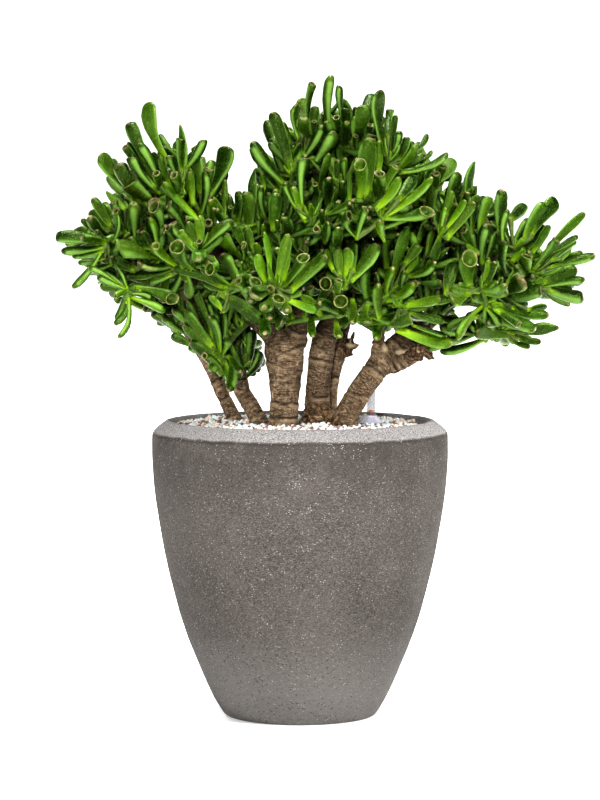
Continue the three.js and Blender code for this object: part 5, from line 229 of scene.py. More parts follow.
        (87, "f.", "d", -140.9, 128.5, 498.7, -166, 123.9, 481.6, 13.3), (84, "f.", "m", -166.2, 102.4, 522.5, -194.1, 127.8, 528.4, 12.3), (84, "f.", "b", -157.1, 112.2, 522.2, -121.5, 122.6, 544.7, 12), (84, "p.", "m", -160.1, 113.6, 518.8, -165.3, 137.6, 498.6, 10.6),
        (87, "f.", "p", -137.4, 129.9, 503.4, -114.7, 144.5, 537.2, 12.1), (84, "f.", "m", -155.7, 127.9, 525.8, -158.2, 113.9, 561.7, 13.8), (82, "f.", "d", -149, 151.9, 537.2, -135.3, 191.9, 505.1, 11.5),
    ]},
    {"root": (-104.6, 0, 636.8), "twigs": [[(-111.3, 2.3, 643.2), (-115.9, 3.9, 647.7), (-120.6, 5.5, 652.2)], [(-115.9, 3.9, 647.7), (-118.3, 30.9, 639.4), (-120.7, 57.9, 631.1)], [(-120.6, 5.5, 652.2), (-138, 22.1, 671.6), (-155.4, 38.7, 691)], [(-120.7, 57.9, 631.1), (-94.1, 67.7, 627.1), (-67.5, 77.5, 623.2)], [(-120.7, 57.9, 631.1), (-122.4, 84.3, 641.6), (-124.1, 110.6, 652.2)]], "leaves": [
        (113, "f", "d", -122, 59.3, 632.8, -133.8, 73.2, 651.1, 6.7), (113, "f", "b", -121.4, 58.6, 633.4, -127, 64.4, 654.8, 6.8), (113, "t", "d", -121.1, 55.8, 629.1, -143.8, 48.4, 652.2, 9.1), (113, "f", "b", -118.9, 58.2, 629.2, -113.4, 82.3, 654.6, 9.5),
        (113, "t", "d", -117.7, 54.4, 626.2, -113, 44.4, 672.9, 10.6), (113, "f", "d", -119.7, 56.5, 624.5, -154, 87.2, 641.7, 12.6), (113, "r", "b", -115.7, 55.7, 620.9, -99.2, 97.3, 637.9, 13.9), (113, "f", "m", -118.8, 52.7, 620.7, -161.9, 37.9, 633.7, 11.8),
        (113, "t", "b", -117, 53.6, 615.7, -156.4, 87, 604.9, 12.2), (113, "r", "b", -114.3, 50.3, 617.9, -95.8, 13.8, 654, 13.5), (113, "c", "m", -115.9, 49.3, 612.3, -160.7, 22.3, 607.7, 14.4), (113, "t", "d", -111.8, 52.2, 612.8, -74.1, 84.1, 619.9, 10.2),
        (62, "f", "d", -156.6, 39.6, 693, -167.8, 47.4, 713.1, 8.5), (62, "b", "d", -154, 35.7, 679.4, -208.8, 14.5, 687.5, 15.2), (62, "f", "d", -151.8, 38, 675.3, -180.6, 82.5, 682.9, 11.7), (62, "f", "p", -151.4, 34.5, 670.2, -197.5, 20.5, 653.6, 12.7),
        (55, "s", "m", -67.8, 79.1, 625, -70.3, 95.3, 644.7, 12.4), (55, "f", "d", -68.5, 77.8, 625.5, -76.6, 80.2, 647.3, 7.5), (55, "f", "m", -65.8, 76, 621.9, -53.2, 84.8, 658.9, 8.5), (55, "f", "m", -64.9, 75.8, 616.6, -51.5, 118.7, 628.5, 11.1),
        (55, "s", "d", -63.1, 70.8, 614.2, -20.4, 53.3, 662.8, 17.7), (55, "f", "d", -62.3, 71.4, 608.9, -32.9, 108.6, 613.4, 12.7), (55, "f", "m", -64.8, 68.6, 604.3, -102.5, 91.4, 589, 10), (55, "p", "m", -60.9, 66.6, 606.6, -16.4, 47.4, 640.9, 11.8),
        (64, "f", "b", -124.5, 112.2, 654.1, -128.7, 128.9, 677.1, 7.8), (64, "s", "m", -122.4, 109.1, 651.1, -112.7, 120.4, 694.6, 15), (64, "f", "m", -123.2, 105.6, 647.2, -146.8, 91.7, 685.7, 12.4), (64, "f", "b", -121.2, 108.7, 645.8, -108.7, 151, 657.6, 12.1),
        (64, "f", "m", -119.1, 104.5, 637.7, -105, 160.5, 628.8, 13.3), (64, "f", "m", -120.6, 100.2, 639.6, -139.4, 58.7, 672.2, 12.5), (64, "f", "d", -120.9, 100.9, 634.3, -167.3, 119.9, 628.6, 12.9), (76, "f", "m", -121.6, 6.4, 654.3, -130.9, 15.1, 676.5, 7.8),
        (76, "f", "d", -121.2, 5.1, 654.6, -127.4, 0.6, 679.7, 8.3), (76, "f", "d", -121.1, 5.3, 649.9, -153.6, 2.8, 682.1, 10.4), (76, "p", "p", -118.5, 5.9, 650.5, -106.9, 12.9, 686, 8.7), (76, "r", "m", -117.7, 3.6, 646.1, -114, -27.2, 683.2, 14),
        (76, "f", "d", -118.2, 7.4, 645.5, -122.8, 50, 673.9, 11.1), (76, "s", "p", -119, 4.9, 640.8, -182.5, -1.2, 658, 15), (62, "f.", "d", -143.1, 25.1, 677.8, -175.5, 20.4, 726.3, 13.6), (113, "f.", "m", -116.7, 27.1, 643.4, -94.9, 32.9, 692.3, 12.5),
        (62, "s.", "m", -155, 40.9, 691.9, -156.2, 84.5, 719.6, 17.5), (62, "p.", "d", -136.9, 17.9, 668.2, -174.5, 10.6, 683.7, 10.5), (62, "p.", "d", -142.9, 23.5, 677.1, -168.6, -6.9, 710.3, 12.8), (64, "f.", "m", -122.9, 99.7, 651, -114.4, 82.7, 691.8, 11.9),
        (62, "t.", "d", -134, 17.9, 670.2, -132.3, 11.8, 710.9, 11.3), (76, "f.", "d", -109.9, 1.8, 645.9, -93.5, -4.3, 681.2, 13.8), (113, "s.", "m", -120.6, 42.4, 638.6, -144.1, 44.3, 691.5, 16.7), (55, "f.", "d", -93.7, 70.2, 625.6, -85.6, 112.7, 602.5, 14.4),
        (64, "f.", "d", -123.5, 95.9, 649, -129.5, 103.4, 693.6, 13.3), (64, "f.", "m", -122, 96.1, 648.8, -105.6, 106.2, 691.7, 12.5), (62, "f.", "d", -133.5, 14.4, 664.4, -168.9, 4.2, 679.2, 13), (64, "t.", "m", -119.8, 58.8, 633.8, -105.1, 74.1, 679.8, 13.4),
        (62, "p.", "b", -122.4, 7.9, 652.2, -146.4, 38.2, 655.2, 13.1), (55, "f.", "b", -105.6, 66.4, 629.6, -131.7, 105.5, 649.8, 13.9), (62, "f.", "m", -126, 6.9, 657.1, -152.3, -17.1, 675.1, 11), (64, "f.", "m", -122, 88.6, 646.5, -112.7, 73, 684.6, 14.2),
        (55, "f.", "m", -120, 57.6, 634, -108.3, 53.4, 683.1, 13.8), (62, "f.", "m", -140.2, 22.2, 672.2, -169.8, 28.3, 688.9, 12.1), (64, "f.", "d", -124.8, 109, 649.1, -142.1, 152.4, 627.7, 12.1), (62, "b.", "m", -132.9, 17.1, 664.2, -171.6, 51.9, 679.2, 14.1),
        (113, "f.", "d", -115.5, 12.5, 646, -104.5, 47.1, 649.6, 13.4), (62, "f.", "m", -125.5, 7.8, 658.3, -148.3, -6, 696.3, 11.5), (55, "b.", "m", -72.9, 78.7, 623.9, -89.6, 122.4, 628, 13.9), (76, "f.", "d", -121.9, 3.4, 653.2, -141.3, -17.9, 672.6, 14.4),
        (55, "f.", "d", -106.8, 62.8, 628.9, -64.4, 75.3, 623.8, 12.3), (62, "t.", "m", -127.3, 14.4, 661.5, -125.9, 58, 696.4, 12.1), (62, "f.", "m", -141.8, 25.1, 678.3, -147.9, 21.8, 719.7, 11.8), (64, "b.", "d", -121.6, 103.1, 647.4, -95.8, 132, 637.9, 12),
        (64, "f.", "m", -123.5, 70.7, 636.9, -156.4, 98.1, 660.9, 11.4), (113, "f.", "d", -122.5, 54.2, 634.5, -159.6, 61.6, 674.6, 13.5), (113, "f.", "d", -116.3, 12.3, 644.5, -114.8, 57.7, 622.8, 12.1), (64, "f.", "m", -123.6, 58.7, 631.4, -160, 68.6, 638.2, 12.3),
        (64, "b.", "m", -120.8, 92.1, 643.8, -89.9, 128.2, 646, 11.6), (62, "f.", "m", -144.4, 25.1, 675.1, -191.9, 21.9, 673.6, 11.3), (113, "f.", "m", -116.5, 23.9, 642, -103.5, 64, 639.6, 14.4), (55, "p.", "m", -75.7, 72.6, 626.8, -55.6, 57.3, 655.7, 13.7),
        (113, "f.", "m", -122.8, 54.9, 633.8, -149, 67, 652.1, 11.2), (62, "s.", "d", -134.2, 20.2, 669.6, -135.2, 44.1, 704.6, 17.9), (113, "s.", "m", -118.5, 10.6, 643.9, -143.8, 22.3, 621.8, 17.3), (113, "p.", "m", -119.4, 9.6, 645.5, -169.2, 8.7, 640.8, 10.6),
        (64, "f.", "m", -121.6, 92.2, 645.3, -104.5, 127.4, 670.1, 10.8), (64, "s.", "p", -122.7, 71.5, 634.5, -136.4, 99.2, 626.2, 17.1), (113, "f.", "p", -121.2, 56.2, 630.8, -133.3, 92.9, 609.1, 13.1), (62, "f.", "b", -120, 7.1, 654.6, -111.1, 31, 693.9, 11.4),
    ]},
    {"root": (-133.3, -42.2, 538.7), "twigs": [[(-127.2, -39.4, 539.7), (-108.7, -30.7, 543.1), (-98.9, -25.5, 544.7)], [(-98.9, -25.5, 544.7), (-102.8, 7.3, 553.9), (-106.7, 40.1, 563.2)]], "leaves": [
        (115, "t", "m", -100.8, -26.9, 545.5, -118, -39.1, 554.9, 8.2), (115, "f", "m", -100.3, -25.9, 546.7, -113.4, -29.2, 567.9, 6.8), (115, "b", "d", -98.5, -24.1, 542.6, -129, -25.9, 551.6, 11.1), (115, "r", "m", -94.7, -24.3, 539, -121.3, -54.8, 532.9, 15.2),
        (115, "s", "m", -92.6, -20, 537.1, -147.5, 0.5, 545, 16.8), (115, "f", "m", -87.5, -17.7, 536.2, -90.6, 15.5, 581.3, 13.1), (115, "f", "m", -82.9, -19.4, 532.6, -58.4, -44.7, 552.2, 11.5), (115, "f", "d", -86.4, -16.4, 530.8, -124.1, 9.7, 520.6, 9.9),
        (125, "r", "p", -104.3, 37.6, 557.2, -147.6, 61.1, 559.9, 14.9), (125, "f", "b", -98.8, 36.5, 555.4, -80.4, 72.9, 580.9, 13.3), (125, "c", "b", -99.1, 34.1, 549.8, -132, 63.7, 526.2, 18.4), (125, "b", "m", -96.4, 28.7, 548.2, -120.6, -16.1, 552.4, 15.5),
        (125, "r.", "d", -99, -14.3, 550.6, -81.9, -16.9, 589.5, 15.6), (125, "s.", "p", -106, 21, 556.3, -140.4, 63.8, 542.2, 19), (125, "f.", "d", -102.3, -0, 549.8, -114.6, 46.2, 527.8, 10.8), (125, "f.", "m", -104.8, 3.5, 554.5, -144.7, 8.3, 584.4, 11.3),
        (125, "f.", "p", -106, 21, 557.7, -139, 60.7, 570.7, 12.8), (125, "f.", "d", -103, 26.5, 560.1, -72.4, 58.5, 583.8, 14.1), (125, "f.", "d", -105.9, 13.4, 557.3, -151.3, 20.3, 592.1, 11.8), (125, "f.", "m", -100.6, 5.6, 553.2, -68.6, 49.5, 564, 12.7),
        (115, "f.", "d", -108.4, -31.5, 543.7, -71.1, -27, 562, 11.2), (115, "p.", "b", -126.5, -37.7, 542, -114.5, -8.3, 582.8, 10.3), (125, "f.", "d", -107.1, 18.4, 557.3, -145.4, 14.5, 562.3, 13.2), (125, "f.", "m", -99.9, -11.4, 549.2, -95.7, 17.8, 566.5, 12.8),
        (125, "f.", "m", -104.7, 27.3, 557.8, -102.9, 75.4, 544.1, 12.8), (125, "f.", "d", -101.1, -3.5, 554, -93.3, -15.4, 593.6, 11.3), (125, "f.", "d", -102.6, 21.1, 556.3, -82.7, 51.4, 547.7, 12.2), (115, "s.", "d", -132.8, -50, 547.7, -167.2, -74.8, 535.1, 13.3),
        (115, "s.", "d", -111.8, -42.3, 541.5, -131.7, -68.4, 537.7, 12.1),
    ]},
    {"root": (-98.8, -12.8, 466.9), "twigs": [[(-90.7, -19, 470), (-83.5, -27, 475.4), (-96.6, -28.5, 487)], [(-83.5, -27, 475.4), (-122.3, -32.7, 477.9), (-144.3, -15, 486.7)], [(-83.5, -27, 475.4), (-69.5, -10.6, 487.7), (-55.5, 5.9, 499.9)], [(-83.5, -27, 475.4), (-90.3, -44.5, 464.2), (-97.1, -62, 453.1)], [(-55.5, 5.9, 499.9), (-35.7, 11, 521.2), (-16, 16.1, 542.5)], [(-144.3, -15, 486.7), (-152.8, 13.8, 494.6), (-161.2, 42.5, 510.5)]], "leaves": [
        (13, "F", "m", -95.9, -65.5, 441, -143.9, -59.4, 491.1, 15.1), (13, "F", "m", -105.6, -66.9, 463.2, -142.5, -63.4, 509.7, 13.8), (13, "T", "m", -105.8, -58.9, 477.5, -127.6, -64, 531.8, 10.1), (13, "F", "d", -108.2, -62.8, 475.3, -126.8, -54.8, 518, 8.8),
        (13, "F", "d", -100.9, -58.8, 470.2, -115.8, -50.8, 521.6, 11.3), (13, "F", "m", -98.2, -66.9, 458.3, -111.2, -82.8, 503.1, 12.6), (13, "T", "m", -96, -60.7, 434.5, -116.8, -101.1, 455.2, 10.1), (13, "F", "d", -96, -59.1, 429.5, -135.3, -58.9, 470.2, 15.1),
        (13, "F", "d", -98.4, -59.7, 464, -96.3, -41.7, 508.9, 11.3), (13, "F", "m", -83.6, -64.7, 450.8, -86.7, -92.3, 411.9, 13.8), (13, "F", "m", -88.5, -65, 453.2, -72.9, -108.2, 436.1, 11.3), (14, "F", "m", -149.3, -16.4, 479.3, -185, -20.9, 503.1, 15.1),
        (14, "F", "d", -134.4, -16.5, 463.1, -160.7, -10.3, 475.3, 12.6), (14, "F", "p", -149.2, -14.3, 532.7, -147.1, -40.1, 491.5, 12.6), (14, "F", "p", -141.8, -16.6, 478, -170.1, -51, 499.4, 10.1), (94, "b", "b", -57.9, 6.4, 500.1, -83.9, 11.4, 503.3, 8),
        (94, "f", "d", -53.5, 6.5, 500.6, -85.2, 28.2, 501.5, 8.4), (94, "t", "p", -49.1, 4.4, 503.1, -84.4, 4.3, 539.6, 11.1), (94, "f", "m", -43.8, 6, 501.5, -55.3, 52.9, 494, 12.8), (94, "s", "m", -40.2, 2.4, 505, -64.9, -8.9, 566, 17.8),
        (94, "f", "m", -34.8, 4.4, 504.2, -28, 57.6, 526.5, 13.7), (86, "f", "d", -163.3, 43.9, 510.6, -180.1, 54.8, 513.5, 7), (86, "t", "p", -163, 43.6, 511.8, -180.4, 54.1, 526.5, 7.9), (86, "f", "d", -158.7, 42.6, 510.1, -173.1, 74.6, 522, 8.5),
        (86, "f", "b", -155.1, 38.3, 510.8, -170.9, 38.8, 553.7, 10.3), (86, "f", "m", -150.6, 38.6, 508.2, -147.4, 89.5, 526.1, 10.4), (86, "f", "b", -147.1, 33.6, 508.9, -144.2, 22.8, 568.3, 12.4), (86, "t", "p", -145.6, 30.3, 505.3, -180, -1.1, 506.8, 13.1),
        (68, "t", "d", -17.1, 17.6, 544.2, -27.8, 32.4, 562.3, 6.6), (68, "f", "b", -16.3, 15.1, 540.2, -51, 26.7, 558.5, 9.9), (68, "f", "m", -14.1, 15.6, 541.3, -13.9, 33.2, 572.3, 9.8), (68, "f", "b", -13.6, 11.8, 537.8, -40.4, -5, 582.8, 11.6),
        (68, "f", "m", -12.9, 15, 536.2, -23.3, 59.9, 546.7, 12.7), (68, "t", "d", -13, 11.2, 532.3, -65.9, 18, 531.1, 13.5), (68, "r", "d", -4.5, 8, 526.3, 44.7, 21.2, 544.9, 16.3), (137, "f", "b", -98.9, -29.2, 486.4, -122.8, -36.2, 482.1, 6.7),
        (137, "f", "m", -94.4, -27.9, 486.3, -118.4, -54.7, 465.1, 10.2), (137, "t", "b", -87.8, -21.3, 490.4, -126, -7.2, 523.3, 12.7), (137, "t", "m", -83.8, -18.2, 488.2, -113.4, 15.7, 466.4, 10.6), (137, "p", "p", -79.6, -16.6, 492.3, -97, 4.9, 543.9, 13.2),
        (14, "f", "m", -137.8, -11.8, 488.5, -162.8, -15.8, 536.2, 12.5), (14, "t", "m", -135, -8.6, 486.3, -179.3, 17.6, 493.6, 13.5), (14, "p", "d", -129.3, -8.7, 488.3, -136, -20.6, 546.3, 12.3), (14, "f", "m", -126.2, -4.3, 486.1, -146.1, 36.3, 499.6, 10.9),
        (13, "t.", "d", -88.6, -43.2, 463.9, -82, -64.6, 440, 10.9), (13, "p.", "b", -88.7, -36.9, 466.7, -107.3, -40.4, 436.7, 11.2), (13, "f.", "m", -93, -43.2, 463.8, -124.3, -28.2, 461.3, 11.3), (13, "f.", "b", -86.5, -37.5, 466.5, -77.5, -48.6, 435.7, 11.2),
        (14, "f.", "m", -85.3, -27.2, 473, -108.6, -30.6, 444.4, 14.2), (13, "f.", "m", -86.1, -31.7, 469.4, -96.1, -30.4, 429.1, 12), (13, "f.", "d", -91.9, -40.5, 466.8, -142.5, -23.6, 481.2, 12.9), (68, "f.", "m", -28.8, 15.4, 531.4, -42.1, 42.8, 552, 13.4),
        (14, "f.", "d", -85.6, -27.8, 477.4, -116.3, -40.2, 508.7, 12.7), (137, "f.", "p", -92.4, -28.4, 486.3, -91.3, -35, 538, 13.5), (68, "f.", "d", -54.1, 6.1, 502.6, -34.1, 8.8, 546.8, 12.3), (14, "f.", "d", -115.6, -29.6, 477.5, -148.5, -6.6, 482.3, 12.2),
        (13, "f.", "m", -96.9, -53, 458.2, -138.2, -37.2, 462.9, 11.3), (68, "r.", "b", -44.6, 8.4, 509.5, -9.4, 14.1, 523.1, 13.6), (68, "p.", "d", -45.8, 6.1, 510.4, -28.2, -14.1, 533, 12.8), (68, "f.", "d", -27.1, 10.5, 531.5, -20.3, -21.4, 554.5, 13.6),
        (68, "b.", "d", -26.3, 14.9, 531.8, -10.3, 36.2, 557.5, 15.1), (68, "f.", "d", -36.5, 9.2, 523.5, -47.1, -13.3, 555.9, 12.4), (68, "f.", "d", -45.4, 8.7, 515.2, -68.3, 5.4, 544, 14.4), (68, "f.", "m", -27.7, 15.6, 531.4, -28.8, 60.4, 561.5, 11.1),
        (94, "f.", "b", -67.6, -5.3, 492.9, -96.1, 17.8, 538.1, 11.5), (94, "f.", "m", -73, -13.2, 486.6, -69.2, 9.1, 517, 13.7), (13, "f.", "m", -98.3, -58.7, 457, -134.2, -56, 489.6, 11.2), (94, "f.", "d", -64.3, -3.2, 496.1, -91.6, -13.5, 542.4, 14.4),
        (14, "f.", "d", -90.5, -27.8, 478.6, -109.3, -27.6, 535.1, 11.6), (13, "f.", "d", -93.3, -49.3, 458.4, -105.7, -49.7, 430.5, 13.3), (68, "f.", "d", -54.2, 7.8, 505.2, -105.9, 24.4, 525.4, 12.1), (94, "f.", "d", -64.9, -4, 491.6, -46.3, 34.2, 509.6, 12.2),
        (68, "f.", "m", -26, 12.7, 532.4, -1.3, 7.9, 573.4, 12.6), (14, "f.", "m", -128.3, -31.2, 481.1, -157, -69.2, 510.4, 12.6), (13, "f.", "m", -88.7, -38.6, 467.6, -108.4, -66.5, 447.2, 12.6), (94, "f.", "p", -71.6, -10.1, 489.6, -92.1, 3.2, 521.7, 12.6),
        (68, "f.", "d", -19.8, 14.9, 541.5, -22.4, 10.5, 595.4, 13.3), (14, "f.", "m", -123.3, -34, 480.4, -138.9, -53.6, 520.8, 11.9), (94, "p.", "b", -67.9, -8.7, 489.4, -43.6, 20, 517.8, 11.7), (68, "p.", "m", -49.8, 9, 510.2, -90.3, 26.3, 540.5, 10.9),
        (68, "f.", "d", -36.8, 9.7, 518.8, -7.8, 5.9, 538.6, 11.9), (68, "f.", "d", -40.2, 12.6, 518.6, -51.3, 47.6, 539.9, 13.4), (13, "f.", "m", -93.6, -62.7, 447.2, -81.5, -65.3, 414.9, 14.2), (137, "b.", "d", -96.3, -32.8, 487.8, -94.7, -54.8, 469.4, 12.8),
        (14, "p.", "m", -146, -12.5, 487.7, -159, 7.1, 505.8, 14), (137, "b.", "m", -90.3, -27.1, 472.9, -78.3, -24.3, 420.5, 13.2), (13, "f.", "p", -95.8, -62.9, 455.7, -90.9, -66.4, 474, 13.1), (13, "f.", "p", -96.5, -61.7, 448.3, -110.5, -67.2, 434.6, 13.2),
    ]},
    {"root": (-99.5, -13.1, 467.9), "twigs": [[(-105.8, -4.2, 466.7), (-111.5, 10.4, 468.2), (-111.8, 20.1, 468.1)], [(-111.8, 20.1, 468.1), (-89.8, 22.5, 462), (-67.9, 25, 456)], [(-67.9, 25, 456), (-72.7, 52.1, 465.9), (-77.5, 79.3, 475.9)], [(-77.5, 79.3, 475.9), (-64.3, 110.2, 494.6), (-51.1, 141.2, 513.3)], [(-77.5, 79.3, 475.9), (-79.8, 99.5, 456.5), (-82, 119.8, 437)], [(-64.3, 110.2, 494.6), (-54, 92.1, 510.4), (-43.7, 73.9, 526.3)]], "leaves": [
        (15, "S", "d", -71.7, 22.7, 419.6, -49.1, 29, 453.2, 18.9), (15, "T", "d", -75.5, 24.4, 427, -78.6, -6.6, 467.6, 11.3), (15, "F", "d", -69.3, 29.8, 440.6, -69.3, 37.8, 490.7, 12.6), (15, "F", "d", -80.5, 25.2, 448.4, -85.9, 45.7, 492.9, 12.6),
        (15, "F", "d", -65.4, 25.2, 435.8, -60.4, 30.8, 480.9, 13.8), (102, "f", "p", -113.7, 21.2, 467, -133.8, 33, 457, 8.4), (102, "f", "b", -110.2, 19.9, 470.3, -137.5, 35, 480.5, 10), (102, "f", "d", -102.2, 17.3, 474.1, -131.7, 47.9, 507, 9.8),
        (102, "f", "m", -96.9, 16.9, 473.7, -91.6, 73.2, 469.2, 11.1), (102, "r", "d", -99, 12.9, 474.7, -139.6, -21.6, 491.5, 13.3), (102, "f", "m", -94.3, 14.1, 477.8, -108, 34.4, 521.4, 12.9), (61, "t", "m", -52.2, 143.5, 513.5, -63.5, 167.9, 518.1, 8),
        (61, "f", "b", -51.1, 143.4, 514.4, -50.6, 165.4, 527.3, 6.4), (61, "f", "d", -51.3, 138.8, 513.8, -68, 162.6, 542.9, 9.5), (61, "b", "b", -48.6, 135.2, 512.3, -31.9, 171.6, 543.1, 15.1), (61, "t", "p", -50, 130, 511.6, -81.6, 143.5, 561.2, 12.4),
        (61, "f", "m", -46, 126, 510, -4.4, 137.6, 552.2, 10.9), (61, "f", "p", -48.4, 120.8, 509, -75, 106, 548.3, 13.7), (110, "f", "m", -44.5, 76, 527.3, -52.4, 97.8, 540.2, 8.2), (110, "b", "m", -44.3, 71.1, 526, -76.5, 86.6, 551.1, 10.9),
        (110, "p", "d", -42.1, 72.6, 525.2, -37.8, 109, 536.7, 9.2), (110, "t", "m", -41, 67.4, 525.3, -39.7, 82.3, 571.6, 13), (110, "f", "m", -42.6, 68.2, 521.8, -69.6, 97.1, 502.6, 9.9), (110, "t", "d", -38.3, 65, 521, -6, 113.4, 514.1, 11.6),
        (110, "t", "d", -42, 63, 522.4, -95.1, 62.8, 550.1, 10.4), (110, "f", "m", -40, 60.2, 518, -73.5, 77.8, 489.2, 11.2), (110, "b", "m", -39.2, 54.4, 518.3, -88.1, 23.8, 528.2, 12.6), (110, "p", "p", -34.7, 56.5, 517.5, 11.6, 71.7, 511.3, 11.4),
        (108, "t", "d", -82.1, 122.1, 436.1, -83, 143.4, 429.3, 6.4), (108, "f", "d", -83.1, 122, 437.1, -94.5, 144.3, 439.7, 7.3), (108, "r", "b", -82, 117.5, 436.4, -99.8, 140, 419.8, 15.2), (108, "f", "m", -80.4, 118.3, 438.2, -75.9, 160.1, 447.6, 8.7),
        (108, "f", "d", -80.8, 113.6, 439.7, -108.4, 143.5, 461.9, 10.6), (108, "f", "m", -77.3, 109.8, 441, -64.4, 142.3, 473.4, 10.9), (108, "t", "d", -78.7, 104.2, 441.5, -122.9, 104.3, 475.3, 11.6), (53, "p", "b", -79, 81.2, 475.3, -90.3, 95.9, 472.8, 7.4),
        (53, "f", "m", -77.5, 76.9, 477.2, -105.2, 97.2, 494, 10.7), (53, "r", "d", -75.6, 78, 475.6, -74.2, 110.4, 469, 12.7), (53, "f", "m", -75.3, 72.4, 474.6, -98.6, 82.4, 448.7, 12.1), (53, "p", "m", -71, 69.5, 475, -52.2, 99.4, 440.6, 10.1),
        (53, "f", "m", -74.1, 68.1, 478, -110.5, 69.5, 500.9, 11.3), (53, "t", "d", -70.4, 60.2, 478.4, -113.4, 54.6, 503.5, 10.9), (15, "s", "b", -66.5, 21, 450.6, -108.3, 37.7, 459.4, 16.1), (15, "t", "m", -62.3, 16.1, 443.1, -95.9, 34.5, 420.9, 10.6),
        (108, "f.", "b", -79.9, 89, 465.2, -100.1, 105.6, 432.3, 13.4), (102, "f.", "m", -105.5, -1.8, 464.9, -101.6, 32.7, 442.1, 12.2), (53, "t.", "d", -74.3, 58.7, 465.2, -82.9, 73.3, 426.9, 11.1), (53, "t.", "m", -68.3, 31.6, 455.3, -60.8, 45.1, 423.8, 10.5),
        (53, "f.", "m", -73, 43.6, 461.2, -99.7, 68.5, 453.1, 14.1), (53, "f.", "p", -72.2, 43.4, 460, -93.3, 70.4, 430.7, 13.7), (108, "f.", "d", -80.2, 119.2, 438.9, -63.8, 147.3, 430.1, 12), (61, "t.", "d", -59.5, 127.2, 502.3, -83.9, 171.1, 487.1, 13.1),
        (108, "s.", "d", -77.3, 83.8, 468.9, -65.8, 86.1, 426.2, 15.5), (108, "b.", "m", -79.1, 117.6, 438.5, -52, 125.9, 426.2, 12.5), (61, "f.", "d", -62.4, 109, 492.6, -22.7, 119.2, 484.8, 12.1), (15, "f.", "m", -91.8, 24.1, 463.7, -118.5, 44.4, 489, 14.2),
        (61, "f.", "d", -67.1, 110.5, 495.7, -110.8, 114.4, 515.5, 12.6), (102, "f.", "d", -110.1, 9, 465.7, -108.7, 46.5, 430.6, 13.6), (53, "f.", "m", -73.2, 64.7, 467.8, -47.8, 89, 432.9, 13.7), (61, "f.", "d", -50.8, 141.2, 510.2, -29, 179.5, 478.4, 14.3),
        (108, "f.", "d", -79.8, 99.8, 453.5, -79.7, 102.7, 420.5, 12.2), (108, "p.", "d", -80.5, 119.5, 439.8, -58.9, 170.1, 440.6, 10.3), (108, "f.", "m", -77.7, 101.6, 456, -51.6, 128.2, 453.1, 11.4), (61, "b.", "b", -58.5, 121.8, 498.8, -37.2, 145.2, 481.3, 12.5),
        (53, "f.", "m", -69.7, 32.5, 455.9, -83.3, 64.2, 423.6, 11.2), (15, "t.", "b", -71.5, 27.3, 457.4, -52.8, 75.6, 462.8, 10.5), (15, "f.", "m", -90.3, 23.3, 464.9, -95.4, 32.7, 502.5, 11.2), (108, "p.", "p", -79.3, 110.7, 447.7, -54.1, 155.9, 442.1, 11.5),
        (102, "f.", "b", -111.6, 10.2, 465.2, -112.9, 8.1, 430.7, 13.1), (108, "f.", "p", -84.1, 118.6, 439.7, -129.1, 152.1, 438.6, 11.4), (15, "f.", "d", -111.7, 23.1, 468.3, -110.4, 80.8, 475.1, 14.2), (61, "f.", "d", -62.8, 109.1, 495, -30.7, 121, 518.9, 13.6),
        (110, "f.", "d", -51.8, 82.5, 518.8, -93.6, 60.8, 540.9, 14.3), (102, "f.", "p", -114, 11.9, 468.8, -151.2, 34.3, 480.9, 13.4), (110, "f.", "d", -55, 98.4, 507.4, -27.6, 105.7, 534.1, 12.6), (108, "f.", "m", -81, 115.1, 445.5, -79, 149.1, 467.6, 12.1),
        (61, "f.", "m", -71.5, 96.5, 483.4, -74, 138.3, 467.1, 14.3), (108, "f.", "m", -80.3, 79.4, 477, -117.9, 81.1, 494.5, 14.3), (110, "f.", "d", -48.3, 77.9, 523.4, -67.5, 55.6, 555, 12.8), (110, "f.", "m", -61.8, 101.7, 503.9, -97.3, 98, 539.9, 13.5),
        (110, "f.", "p", -46.6, 83.1, 518.8, -17.8, 76.3, 534.4, 14.5), (110, "t.", "d", -42.1, 74.9, 526.6, -11.6, 68.6, 550.6, 10.3), (61, "f.", "m", -58.7, 121.4, 502.6, -35.3, 143.9, 538.1, 12.4), (61, "f.", "d", -69, 95.2, 485.8, -26, 121.7, 510.5, 11.9),
        (61, "f.", "m", -55, 135.5, 511.8, -67.9, 151.8, 551, 11), (102, "f.", "m", -108.2, -2.9, 468, -152.7, 21.2, 495.7, 13), (108, "f.", "m", -83.5, 113.3, 442.3, -107.9, 122.5, 426.7, 12.5), (15, "b.", "d", -78.2, 26.8, 459.1, -75.9, 62.5, 465.5, 12.2),
        (110, "f.", "m", -66.1, 112.5, 495.6, -88.4, 140.1, 510.6, 12.2), (53, "f.", "m", -70.9, 43.3, 464.6, -71.9, 67.4, 506.3, 13.9), (110, "f.", "m", -56.9, 95, 510.8, -81.2, 111.7, 533.7, 14.2), (53, "r.", "d", -71.1, 37.5, 462.5, -92.5, 61.9, 509.3, 12.8),
        (53, "s.", "m", -77.3, 74.2, 477, -86.4, 72, 519.6, 15.5), (61, "f.", "m", -65.3, 112.9, 493.6, -78.9, 152.4, 482.2, 12.8), (110, "f.", "m", -56, 97.7, 508.2, -41.4, 97.1, 543.2, 12), (15, "f.", "p", -79.3, 26.5, 457.8, -91.3, 61, 446.4, 11.4),
        (61, "b.", "b", -59.5, 126.4, 505.5, -83.3, 156.8, 547.7, 15.3), (61, "f.", "m", -75.6, 84.7, 481.8, -77.7, 94.9, 536, 13.2), (61, "f.", "m", -74.6, 91.2, 480.1, -93.2, 126.6, 458.1, 13.4), (61, "f.", "m", -55.3, 125.3, 503.9, -23.8, 132.1, 512.8, 12.8),
